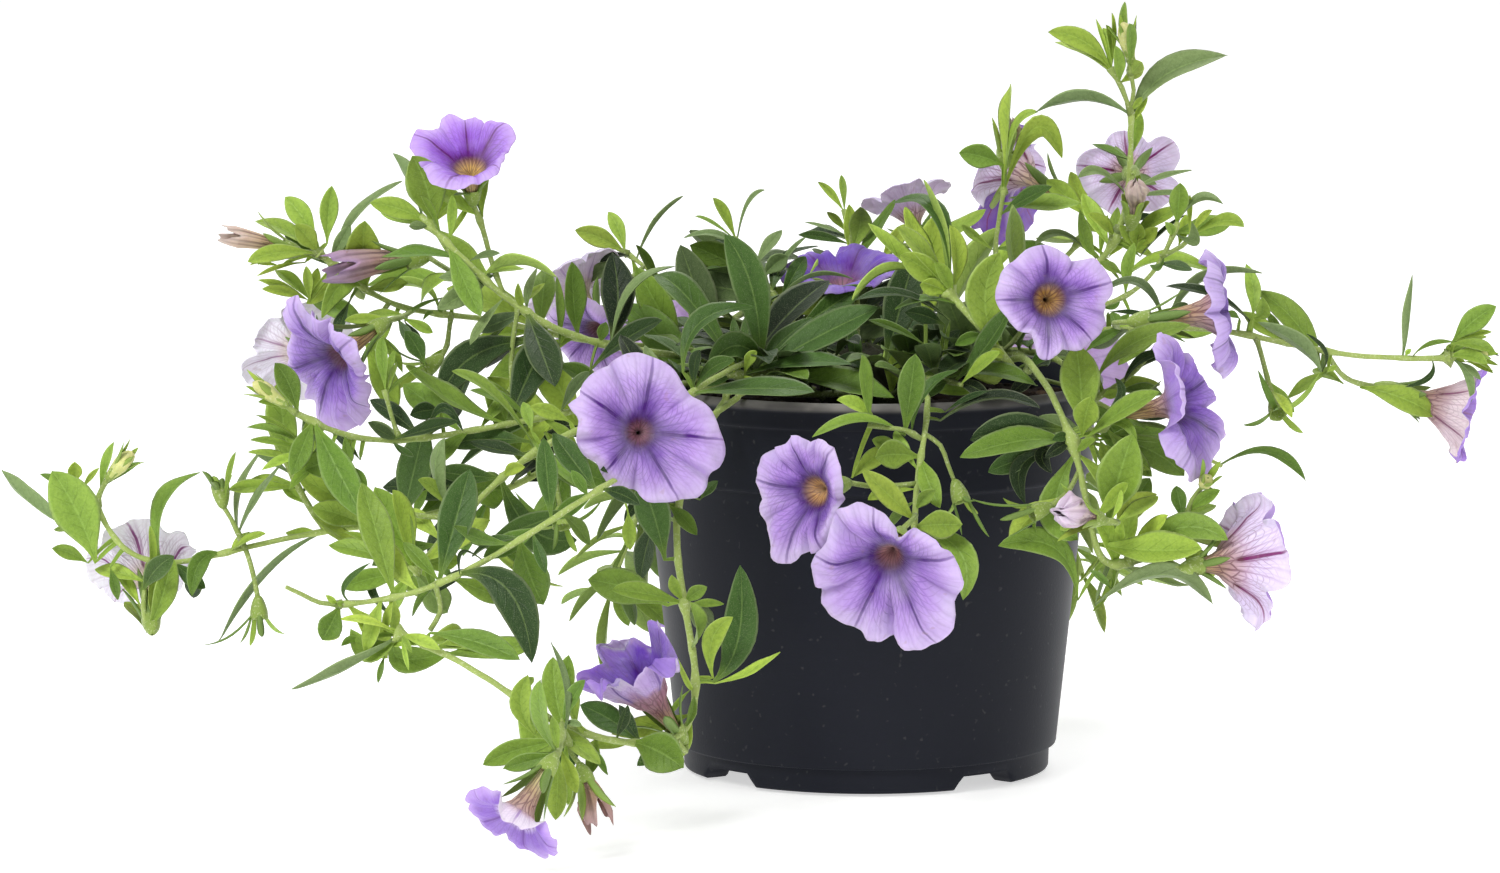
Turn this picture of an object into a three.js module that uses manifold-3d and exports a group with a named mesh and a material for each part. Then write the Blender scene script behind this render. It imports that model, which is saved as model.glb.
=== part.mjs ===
import * as THREE from "three";
import { mergeVertices } from "three/addons/utils/BufferGeometryUtils.js";
import Module from "manifold-3d";

// A trailing calibrachoa in a round nursery pot of the 10.5 cm class. Millimetres, +Z up.
// The origin is the middle of the pot's underside, on the table; -Y is the side the plant is looked at from.
// Each shoot (stem, side stems, flower stalks, calyces and leaves) grew as one piece and is one solid.
// Each corolla sits loose in its calyx and is a solid of its own.

const wasm = await Module();
wasm.setup();

// ---- driving dimensions, in millimetres ----------------------------------
const RIM_R = 53; // outer radius of the rolled rim
const RIM_H = 88.5; // height of the pot
const BEAD_H = 2.5; // rolled lip on top of the rim band
const WALL = 1.3; // wall of the moulded pot
const FOOT_R = 41.2; // foot ring
const FOOT_H = 5.6;
const WALL_R0 = 42.7; // side wall, bottom and top
const WALL_R1 = 49.3;
const WALL_TOP = 67.5;
const COLLAR_R0 = 50.6; // stepped collar under the rim
const COLLAR_R1 = 51.2;
const COLLAR_TOP = 82.3;
const BAND_R0 = 51.8; // rim band
const BAND_R1 = 52.3;
const BASE_LIFT = 3; // the base plate hangs above the table
const PAD_R = 9; // flat pad in the middle of the base
const FEET = 4;
const GAP_TURN = -50; // where the first gap between two feet is
const GAP_ANGLE = 23;
const GAP_H = 3.1;
const HOLES = 6;
const HOLE_R = 3;
const HOLE_AT = 24;
const POT_FACETS = 36;
const SOIL_Z = 81.5; // top of the potting mix
const SOIL_R = 49.3;
const CROWN_R = 11.3;
const GAP = 0.3; // air left between pieces that touch
const LEAF_T = 0.7; // thickness in the middle of a leaf
const SMALL_LEAF = 15; // leaves shorter than this have a simpler outline
const THICK_STEM = 1.0; // stems over this radius get a fifth side
const CUP_R = 2.15; // mouth of a calyx round a flower
const EMPTY_CUP_R = 2.05; // mouth of a calyx whose flower has dropped
const BUD_CUP_R = 1.5;

// ---- how the plant grew --------------------------------------------------
// stems: [radius at the root, radius at the tip, points]
// calyces: [base, direction, radius, height, tooth tips]
// buds: [base, tip, radius]
// leaves: [root on the stem, middle, tip, width, upper side, end of the leaf stalk when it has one]
const SHOOTS = [
  {
    name: "shoot_left_high",
    stems: [
      [0.87, 0.63, [[-11.17, -2.28, 88.2], [-16.07, -3.27, 90], [-49.57, -20.4, 96.17], [-59.67, -24.73, 98.54], [-66.03, -27.09, 100.78], [-72.18, -28.97, 103.9], [-81.16, -30.92, 110.41], [-98.74, -33, 127.84]]],
      [0.58, 0.47, [[-86.35, -31.53, 115.56], [-89.6, -32, 112.24], [-93.3, -32, 122.2]]],
      [0.55, 0.6, [[-77.27, -30.08, 107.59], [-79.09, -32.2, 95.63], [-78.61, -34.2, 89.66]]],
      [0.58, 0.62, [[-80.43, -30.76, 109.88], [-83.04, -30.07, 114.68], [-85.24, -28.62, 127.38], [-87.19, -28.32, 129.68]]],
      [0.58, 0.62, [[-90.28, -32, 114.08], [-92.88, -25.95, 114.89], [-97.44, -20.11, 117.06]]],
    ],
    calyces: [
      [[-78.61, -34.2, 89.66], [0.1, -0.201, -0.974], EMPTY_CUP_R, 4.6, [[-72.3, -40.05, 91.71], [-83.6, -31.05, 76.58], [-75.01, -38.05, 83.04], [-80.22, -33.05, 80.18], [-73.39, -41.05, 86.75]]],
      [[-87.19, -28.32, 129.68], [-0.05, -0.52, 0.853], CUP_R, 4.8, [[-94.49, -34.49, 140.28], [-91.26, -41.95, 136.46], [-83.6, -37.23, 139.42], [-81.85, -30.53, 144.08], [-90.2, -29.88, 144.1]]],
      [[-97.44, -20.11, 117.06], [-0.973, -0.205, -0.102], CUP_R, 4.8, [[-111.4, -17.78, 112.94], [-108.24, -24.06, 109.24], [-108.98, -30, 115.58], [-109.73, -26.32, 121.38], [-111.19, -17.92, 120.9]]],
    ],
    buds: [
    ],
    leaves: [
      [[-95.77, -32.65, 124.89], [-97.11, -35.12, 133.91], [-100.22, -38.72, 141.43], 8.35, [0.174, -0.938, -0.298]],
      [[-98.2, -32.94, 127.3], [-100.75, -30.37, 134.86], [-104.85, -26.95, 140.94], 4.35, [0.769, 0.624, 0.137]],
      [[-96.86, -32.78, 125.98], [-102.82, -35.24, 129.33], [-109.52, -37.82, 130.99], 4.4, [0.358, -0.934, -0.005]],
      [[-64.17, -26.4, 100.13], [-65.03, -29.45, 108.22], [-65.32, -34.43, 117.6], 5.71, [0.56, -0.771, -0.302]],
      [[-66.96, -27.37, 101.25], [-68.48, -24.1, 105.89], [-68.95, -19.39, 112.6], 3.1, [0.771, -0.535, 0.344], [-68.16, -27.39, 98.38]],
      [[-56.99, -23.58, 97.91], [-55.46, -18.23, 107.33], [-56.87, -11.63, 117.1], 7.25, [0.013, -0.833, 0.554]],
      [[-59.93, -24.83, 98.63], [-53.94, -38.46, 100.73], [-45.44, -44.83, 105.98], 6.37, [-0.735, -0.462, 0.497], [-61.44, -32.83, 93.48]],
      [[-56.99, -23.58, 97.91], [-52.31, -20.93, 109.87], [-42.81, -17.63, 114.85], 4.16, [-0.634, -0.348, 0.69]],
      [[-84.9, -31.36, 114.12], [-77.83, -35.11, 117.68], [-68.52, -39.51, 114.85], 4.97, [0.186, 0.557, 0.81]],
      [[-70.75, -28.53, 103.17], [-86.68, -35.88, 97.18], [-94.12, -44.82, 88.33], 7.91, [0.31, -0.785, 0.537], [-72.54, -28.56, 99.63]],
      [[-75.53, -29.7, 106.33], [-72.22, -40.33, 99.29], [-68.84, -50.59, 92.05], 8, [0.07, -0.545, 0.836]],
      [[-64.57, -26.55, 100.27], [-74.83, -21.05, 94.43], [-84.9, -15.33, 88.53], 6.84, [-0.605, -0.701, 0.377]],
      [[-92.7, -32.29, 121.85], [-89.18, -34.31, 113.66], [-85.33, -37.02, 105.98], 5.43, [0.166, -0.922, 0.351]],
      [[-82.8, -30.13, 114.24], [-89.04, -32.01, 110.38], [-94.83, -35.81, 107.31], 4.37, [0.21, -0.903, 0.374]],
      [[-96.38, -32.72, 125.5], [-90.93, -26.01, 118.67], [-83.83, -20.32, 112.41], 6.96, [0.798, -0.547, 0.252]],
      [[-89.02, -31.85, 118.21], [-98.24, -31.79, 119.09], [-107.22, -30.8, 118.32], 5.26, [-0.006, -0.372, 0.928]],
      [[-75.53, -29.7, 106.33], [-81.11, -29.1, 103.82], [-86.7, -28.72, 101.65], 3.96, [-0.255, -0.875, 0.412]],
      [[-90.62, -32, 114.99], [-96.16, -27.77, 111.79], [-99.06, -22.23, 107.35], 4.69, [-0.826, -0.41, 0.387]],
      [[-85.16, -28.67, 126.91], [-86.79, -25.41, 132.15], [-88.39, -25.79, 136.83], 4.13, [0.616, -0.781, -0.107]],
      [[-85.16, -28.67, 126.91], [-91.4, -30.07, 130.83], [-97.34, -31.79, 135.08], 5.09, [0.548, -0.589, 0.594]],
    ],
  },
  {
    name: "shoot_left_back",
    stems: [
      [0.76, 0.55, [[-11.71, 3.43, 84.3], [-16.51, 4.84, 86.1], [-23.54, 5.15, 89.07], [-30.65, 4.95, 91.49], [-37.91, 3.94, 93.15], [-52.81, -0.24, 95.09], [-67.38, -5.27, 97.64], [-83.75, -9.62, 101.79], [-101.17, -13.97, 104.74], [-106.58, -15.78, 106.76], [-111.79, -17.6, 109.85], [-121.8, -21, 118.35]]],
      [0.55, 0.6, [[-92.72, -11.86, 103.31], [-93.59, -13.62, 96.73], [-94.87, -15.62, 94.28]]],
      [0.55, 0.62, [[-121.36, -20.85, 117.97], [-125.74, -22, 118.45]]],
      [0.55, 0.62, [[-100.79, -13.88, 104.68], [-103.28, -21.17, 103.66], [-106.19, -29.02, 103.98]]],
      [0.55, 0.62, [[-106.15, -15.64, 106.6], [-111.3, -18.63, 99.56], [-118.04, -24.08, 92.22]]],
    ],
    calyces: [
      [[-94.87, -15.62, 94.28], [-0.767, -0.307, -0.563], EMPTY_CUP_R, 4.6, [[-106.37, -21.91, 98.84], [-105.68, -12.91, 86.55], [-96.54, -19.91, 84.74], [-104.01, -14.91, 93.08], [-98.15, -22.91, 97.84]]],
      [[-125.74, -22, 118.45], [-0.941, -0.24, 0.24], CUP_R, 4, [[-136.83, -22.11, 115.59], [-134.64, -29.64, 116.5], [-133.61, -28.53, 123.31], [-134.95, -23.33, 127.54], [-137.89, -18.62, 121.41]]],
      [[-106.19, -29.02, 103.98], [-0.699, -0.549, -0.459], CUP_R, 4.8, [[-119.3, -29.12, 94.25], [-112.9, -33.94, 92.58], [-112.52, -41.04, 94.92], [-114.47, -39.98, 101.89], [-121.52, -33.74, 103.89]]],
      [[-118.04, -24.08, 92.22], [-0.552, 0.804, 0.221], CUP_R, 4.8, [[-122.83, -11.79, 89], [-128.79, -15.12, 92.07], [-129.41, -17.34, 99.02], [-122.55, -13.64, 103.38], [-118.36, -10.94, 95.38]]],
    ],
    buds: [
    ],
    leaves: [
      [[-118.76, -19.97, 115.77], [-113.33, -16.41, 126.1], [-103.48, -12.01, 133.22], 4.6, [-0.605, -0.374, 0.703]],
      [[-111.3, -17.43, 109.56], [-111.81, -19.85, 117.67], [-111.13, -27.62, 125.97], 7.69, [0.014, -0.893, -0.45]],
      [[-110.51, -17.15, 109.09], [-115.88, -20.62, 111.62], [-120.82, -24.85, 104.09], 4.84, [0.549, -0.779, 0.303]],
      [[-121.84, -20.98, 118.03], [-128.67, -18.1, 122.69], [-136.03, -15, 124.61], 4.42, [0.076, -0.558, 0.826]],
      [[-121.84, -20.98, 118.03], [-130.03, -27.4, 118.94], [-136.86, -30.19, 117.15], 4.29, [0.412, -0.751, 0.517]],
      [[-121.84, -20.98, 118.03], [-125.33, -19.23, 126], [-129.23, -17, 130.17], 4.84, [-0.113, -0.939, 0.324], [-122.23, -21, 121.02]],
      [[-121.84, -20.98, 118.03], [-123.97, -23.69, 121.94], [-126.55, -26.96, 124.99], 4.4, [0.436, -0.805, -0.402]],
      [[-121.84, -20.98, 118.03], [-119.33, -22.33, 127.1], [-118.43, -24.95, 133.43], 3.96, [0.008, -0.956, -0.293], [-119.8, -20.95, 120.34]],
      [[-117.63, -19.58, 114.81], [-127.44, -17.3, 111.03], [-131.69, -14.64, 113.63], 3.03, [0.087, -0.713, 0.695], [-123.71, -19.64, 107.5]],
      [[-112.64, -17.89, 110.57], [-116.64, -21.83, 103.07], [-117.98, -24.9, 98.08], 3.23, [-0.392, -0.665, 0.636], [-114.92, -17.9, 107.3]],
      [[-92.57, -11.82, 103.28], [-102.15, -6.54, 110.84], [-112.28, -1.59, 108.58], 6.18, [-0.299, -0.418, 0.858], [-91.82, -11.59, 110.83]],
      [[-95.17, -12.47, 103.72], [-99.22, -11.78, 109.81], [-108.69, -7.25, 109.44], 2.9, [0.459, 0.725, 0.513]],
      [[-70.72, -6.16, 98.49], [-82.34, -4.92, 104.53], [-94.07, 0.24, 107.77], 7.28, [0.015, -0.799, 0.601]],
      [[-33.87, 4.5, 92.23], [-37.57, 4.15, 104.8], [-41.82, 5.7, 117.03], 7.95, [0.261, -0.957, 0.127]],
      [[-110.36, -18.08, 100.84], [-116.91, -14.77, 104.35], [-124.14, -10.11, 107.13], 5.54, [-0.05, -0.689, 0.723]],
      [[-111.81, -19.04, 99], [-107.81, -22.72, 90.74], [-104.69, -25.91, 82.92], 6.27, [0.422, -0.767, 0.483]],
      [[-73.16, -6.81, 99.11], [-79.51, -6.2, 95.24], [-85.24, -4.98, 90.53], 4.99, [-0.578, -0.363, 0.731]],
      [[-80.49, -8.75, 100.96], [-88.27, -12.87, 91.16], [-92.56, -14.41, 78.72], 8, [-0.709, -0.49, 0.507]],
      [[-41.35, 2.98, 93.6], [-46.3, -0.96, 102.88], [-51.61, -0.92, 112.74], 7.42, [0.095, -0.983, -0.16]],
      [[-73.16, -6.81, 99.11], [-80.15, -4.51, 98.41], [-87.01, -1.69, 97.27], 4.35, [-0.32, -0.576, 0.752]],
      [[-73.16, -6.81, 99.11], [-72.54, -2.3, 106.06], [-71.92, 5.48, 112.02], 5.27, [0.069, -0.72, 0.69]],
      [[-117.33, -19.48, 114.55], [-123.52, -16.8, 117.84], [-129.59, -14.37, 121.52], 3.93, [0.004, -0.806, 0.592]],
    ],
  },
  {
    name: "shoot_left_mid",
    stems: [
      [0.76, 0.55, [[-8.77, -3.9, 92], [-13.34, -5.93, 93.8], [-26.64, -19.55, 91.37], [-42.12, -31.92, 90.11], [-52.21, -38.48, 88.11], [-62.63, -43.92, 86.25], [-80.62, -50, 83.39], [-95.42, -53.06, 81.27], [-106.32, -55.14, 80.81], [-116.36, -57.44, 82.96], [-125.36, -60, 87.61]]],
      [0.55, 0.47, [[-102.6, -54.43, 80.97], [-105.78, -54, 91.68]]],
      [0.55, 0.6, [[-124.84, -59.85, 87.34], [-127.03, -61, 89.27]]],
    ],
    calyces: [
      [[-127.03, -61, 89.27], [-0.748, -0.322, 0.58], BUD_CUP_R, 4.19, [[-135.62, -62.89, 93.69], [-135.94, -66.31, 92.31], [-132.76, -66.66, 95.16], [-133.4, -63.93, 96.4], [-135.46, -61.33, 97.06]]],
    ],
    buds: [
      [[-127.18, -61.06, 89.39], [-134, -64, 94.68], 1.7],
    ],
    leaves: [
      [[-124.51, -59.76, 87.17], [-126.23, -62.33, 93.92], [-129.11, -65.76, 99.05], 4.84, [0.287, -0.89, -0.353]],
      [[-113.06, -56.68, 82.25], [-118.72, -60.2, 76.55], [-122.86, -63.68, 75.38], 6.15, [0.602, -0.76, 0.244], [-114.48, -56.64, 76.63]],
      [[-120.09, -58.5, 84.89], [-129.92, -56.02, 77.84], [-135.79, -53.49, 77.98], 2.42, [-0.136, -0.566, 0.813], [-124.2, -58.49, 76.44]],
      [[-119.05, -58.2, 84.35], [-126.87, -61.78, 77.73], [-132.12, -65.19, 75.58], 2.5, [0.17, -0.598, 0.783], [-121.37, -58.19, 78.6]],
      [[-98.18, -53.59, 81.15], [-103.49, -50.26, 85.58], [-109.38, -46.57, 88.55], 4.06, [-0.166, -0.825, 0.541]],
      [[-105.61, -54.02, 91.11], [-98.84, -56.19, 101.53], [-101.16, -59, 105.23], 3.96, [0.313, -0.87, -0.38], [-97.03, -54, 97.18]],
      [[-105.61, -54.02, 91.11], [-106.11, -55.94, 98.6], [-105.95, -59, 103.92], 3.3, [-0.468, -0.81, -0.353]],
      [[-87.36, -51.39, 82.42], [-91.89, -55.76, 79.27], [-95.85, -59.49, 74.82], 3.78, [0.079, -0.735, 0.673]],
      [[-116.21, -57.41, 82.93], [-122.12, -59.86, 75.38], [-126.06, -65.41, 71.23], 3.6, [-0.142, -0.538, 0.831], [-117.7, -57.41, 77.83]],
      [[-67.96, -45.72, 85.4], [-64.76, -49.86, 90.97], [-61.06, -54.47, 95.7], 4.07, [-0.855, -0.495, 0.153]],
      [[-50.56, -37.41, 88.44], [-53.88, -41.77, 84.22], [-56.87, -45.45, 79.57], 3.57, [0.169, -0.772, 0.613]],
      [[-68.18, -45.8, 85.37], [-72.6, -41.88, 80.62], [-76.8, -38.15, 75.95], 3.92, [-0.703, -0.707, 0.082]],
      [[-79.2, -49.52, 83.62], [-74.51, -42.85, 94.05], [-70.56, -32.12, 100.81], 8, [0.126, -0.726, 0.676]],
      [[-121.29, -58.84, 85.51], [-115.87, -66.33, 76.19], [-109.78, -71.81, 66.04], 7.04, [-0.25, -0.866, 0.432]],
      [[-79.2, -49.52, 83.62], [-91.12, -51.01, 88.88], [-101.04, -53.75, 97.04], 8, [0.536, -0.356, 0.765]],
      [[-89.22, -51.78, 82.16], [-95.86, -48.93, 87.54], [-102.15, -43.91, 91.75], 6.23, [-0.15, -0.852, 0.502]],
      [[-121.29, -58.84, 85.51], [-123.21, -64.58, 80.77], [-125.54, -68.79, 74.93], 4.81, [0.243, -0.748, 0.618]],
      [[-71.9, -47.05, 84.78], [-81.38, -45.16, 79.85], [-89.91, -42.33, 73.43], 6.34, [-0.564, -0.273, 0.78]],
      [[-96.8, -53.32, 81.21], [-93.08, -48.14, 85.18], [-89.89, -41.9, 87.98], 5.22, [0.304, -0.619, 0.724]],
      [[-104.45, -54.78, 80.89], [-97.16, -59.28, 83.52], [-89.7, -63.66, 86], 5.3, [-0.504, -0.378, 0.777]],
      [[-74.34, -47.88, 84.39], [-80.06, -50.19, 88.89], [-87.3, -50.73, 91.25], 4.11, [0.477, -0.484, 0.733]],
      [[-123.53, -59.48, 86.66], [-122.66, -54.56, 80.96], [-122.32, -50.23, 74.83], 5.35, [0.607, 0.592, 0.531]],
    ],
  },
  {
    name: "shoot_left_front",
    stems: [
      [0.87, 0.63, [[-9.81, -7.26, 84.3], [-13.83, -10.23, 86.1], [-22.83, -23.85, 88.43], [-32.84, -36.39, 90.22], [-35.56, -39.19, 90.22], [-41.27, -44.31, 88.81], [-53.76, -52.67, 86.02], [-66.53, -59.06, 82.23], [-75.31, -63.1, 77.53], [-85.98, -68, 68.39], [-99.12, -74, 54.27]]],
      [0.65, 0.55, [[-88.63, -69.21, 65.54], [-93.18, -69, 65.36], [-106.39, -69, 67.34]]],
      [0.55, 0.6, [[-72.39, -61.75, 79.1], [-69.19, -63.8, 75.39], [-67.44, -65.8, 67.34]]],
    ],
    calyces: [
      [[-67.44, -65.8, 67.34], [0.101, -0.504, -0.858], EMPTY_CUP_R, 4.6, [[-77.01, -72.92, 71.81], [-77.27, -63.92, 64.44], [-58.23, -70.92, 69.79], [-63.77, -65.92, 57.7], [-68.8, -73.92, 59.28]]],
    ],
    buds: [
    ],
    leaves: [
      [[-72.21, -61.67, 79.19], [-82.1, -66.22, 92.55], [-90.56, -71.72, 98.03], 4.73, [0.746, -0.322, 0.583], [-74, -61.72, 82.35]],
      [[-72.01, -61.58, 79.3], [-69.16, -65.23, 77.34], [-61.5, -69.63, 71.36], 3.35, [0.354, -0.497, 0.792], [-73.35, -61.63, 81.68]],
      [[-72.54, -61.83, 79.01], [-83.74, -48.82, 80.31], [-93.1, -43.87, 78.26], 5.8, [-0.414, -0.66, 0.627], [-74.2, -53.87, 80.23]],
      [[-89.47, -69.17, 65.51], [-93.88, -72.6, 74.83], [-91.96, -77, 84.12], 4.8, [0.708, 0.578, 0.407]],
      [[-89.69, -69.16, 65.5], [-93.75, -71.79, 71.85], [-97.9, -75, 74.71], 3.21, [0.624, -0.781, 0.024]],
      [[-86.1, -68.05, 68.26], [-83.94, -55.58, 69.62], [-79.5, -53.06, 69.54], 8.35, [0.47, -0.861, 0.194], [-88.3, -58.06, 68.69]],
      [[-98.73, -73.82, 54.69], [-102.68, -77.27, 64.85], [-106.9, -82, 74.14], 7.69, [0.211, -0.93, -0.302]],
      [[-98.73, -73.82, 54.69], [-100.83, -79.01, 65.09], [-102.87, -85.95, 74.02], 6.18, [0.859, -0.49, -0.15]],
      [[-98.73, -73.82, 54.69], [-109.67, -71.06, 58.62], [-117.76, -68, 59.53], 4.67, [-0.112, -0.706, 0.699], [-101.92, -74, 56.02]],
      [[-98.73, -73.82, 54.69], [-107.36, -76.81, 60.7], [-113.51, -80, 64.07], 2.91, [0.655, -0.435, 0.618], [-101.92, -74, 56.02]],
      [[-98.73, -73.82, 54.69], [-107.56, -78.04, 53.77], [-114.13, -82, 52.17], 4.4, [0.483, -0.848, 0.217]],
      [[-98.73, -73.82, 54.69], [-94.8, -78.02, 50.34], [-91.32, -81.62, 46.88], 6.59, [0.382, 0.767, -0.516]],
      [[-98.39, -73.67, 55.05], [-93.96, -69.9, 56.25], [-89.19, -66.09, 55.97], 4.84, [0.6, -0.77, 0.214]],
      [[-93.04, -71.22, 60.81], [-97.06, -67.63, 64.39], [-101.18, -63.62, 66.6], 3.96, [-0.409, -0.772, 0.488]],
      [[-86.44, -68.21, 67.89], [-79.26, -71.82, 56.36], [-66.61, -76.22, 51.75], 5.2, [0.586, -0.16, 0.794]],
      [[-79.8, -65.16, 73.68], [-74.27, -53.65, 61.24], [-64.08, -49.25, 57.97], 8.35, [0.33, -0.935, -0.13], [-80.68, -57.25, 73.42]],
      [[-69.46, -60.41, 80.66], [-67.3, -56.13, 79.09], [-64.42, -52.54, 73.88], 3.73, [0.85, -0.506, 0.147], [-70.77, -60.46, 83.28]],
      [[-59.15, -55.37, 84.42], [-52.5, -60.39, 61.73], [-52.3, -62.51, 57.65], 3.3, [-0.01, -0.838, 0.546], [-52.79, -57.51, 65.31]],
      [[-97.15, -73.1, 56.39], [-90.22, -79.57, 62.06], [-81.98, -84.7, 67.31], 5.77, [-0.683, -0.7, 0.209]],
      [[-79.66, -65.1, 73.8], [-87.35, -66.11, 74.54], [-94.23, -69, 75.87], 4.46, [0.281, -0.882, 0.377]],
      [[-92.08, -70.78, 61.84], [-81.24, -64.69, 57.83], [-72.85, -57.34, 50.86], 6.81, [0.625, -0.304, 0.719]],
      [[-93.77, -71.56, 60.02], [-100.89, -72.44, 58.96], [-108.02, -74.01, 55.89], 5.1, [0.022, -0.896, 0.443]],
      [[-73.9, -62.45, 78.28], [-65.29, -56.82, 74.63], [-56.82, -50.89, 70.88], 7.02, [0.554, -0.832, -0.021]],
      [[-73.9, -62.45, 78.28], [-80.57, -59.01, 79.13], [-87.29, -55.97, 80.57], 4.12, [-0.114, -0.519, 0.847]],
    ],
  },
  {
    name: "shoot_far_left",
    stems: [
      [0.76, 0.55, [[-12.2, -0.1, 84.3], [-17.2, -0.15, 86.1], [-31.13, -5.35, 85.79], [-38.11, -8.54, 86.87], [-46.28, -12.83, 89.76], [-50.4, -15.16, 89.76], [-51.93, -15.73, 89.01], [-52.16, -16.16, 86.54], [-58.69, -20.13, 79.94], [-65.24, -24.09, 74.6], [-71.87, -27.89, 70.57], [-85.53, -34.54, 65.07], [-104.08, -40.82, 61.03], [-131.98, -47.19, 57.14], [-146.63, -49.19, 53.81], [-156.19, -49.78, 53.21], [-161.43, -49.93, 54.99], [-163.6, -49.96, 56.61], [-167, -49.99, 61.06], [-169.56, -50, 66.48]]],
      [0.55, 0.47, [[-136.8, -47.85, 56.05], [-141.6, -49, 65.46]]],
      [0.65, 0.55, [[-119.1, -44.25, 58.94], [-121.67, -44.88, 61.78], [-128.61, -44.88, 75.74]]],
      [0.55, 0.6, [[-138.06, -48.15, 58.52], [-133.86, -53, 45.68]]],
      [0.55, 0.6, [[-169.3, -50, 65.94], [-166.59, -51, 71.91]]],
      [0.55, 0.62, [[-157.35, -49.81, 53.6], [-159.85, -50.71, 44.9], [-159.6, -51.59, 41.26], [-158.26, -52.48, 38.08], [-156.46, -53.36, 36.88], [-157.06, -53.79, 38.19]]],
    ],
    calyces: [
      [[-141.6, -49, 65.46], [-0.151, 0, 0.988], EMPTY_CUP_R, 4.6, [[-145.84, -54, 73.86], [-143.98, -45, 71.55], [-141.6, -52, 72.05], [-139.7, -47, 72.04], [-143.61, -55, 71.57]]],
      [[-128.61, -44.88, 75.74], [-0.05, 0, 0.999], EMPTY_CUP_R, 4.6, [[-128.76, -49.88, 80.15], [-126.81, -40.88, 79.42], [-124.7, -47.88, 79.89], [-130.45, -42.88, 78.57], [-127.39, -50.88, 81.16]]],
      [[-133.86, -53, 45.68], [0.05, -0.202, -0.978], EMPTY_CUP_R, 4.6, [[-145.4, -58.85, 36.18], [-128.17, -49.85, 37.23], [-137.65, -56.85, 36.31], [-135.75, -51.85, 34.88], [-132.67, -59.85, 38.1]]],
      [[-166.59, -51, 71.91], [0.643, -0.337, 0.688], BUD_CUP_R, 4.01, [[-162.62, -56.58, 80.59], [-160.58, -55.77, 77.39], [-158.31, -53.99, 75.9], [-159.9, -50.8, 78.63], [-161.5, -53.55, 80.78]]],
      [[-157.06, -53.79, 38.19], [-0.087, 0.804, 0.588], CUP_R, 4.8, [[-160.56, -40.34, 41.3], [-164.41, -43.09, 46.36], [-160.52, -47.33, 51.54], [-153.85, -45.06, 48.11], [-153.77, -39.71, 44.68]]],
    ],
    buds: [
      [[-166.46, -51.07, 72.05], [-160.86, -54, 78.04], 1.7],
    ],
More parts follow.
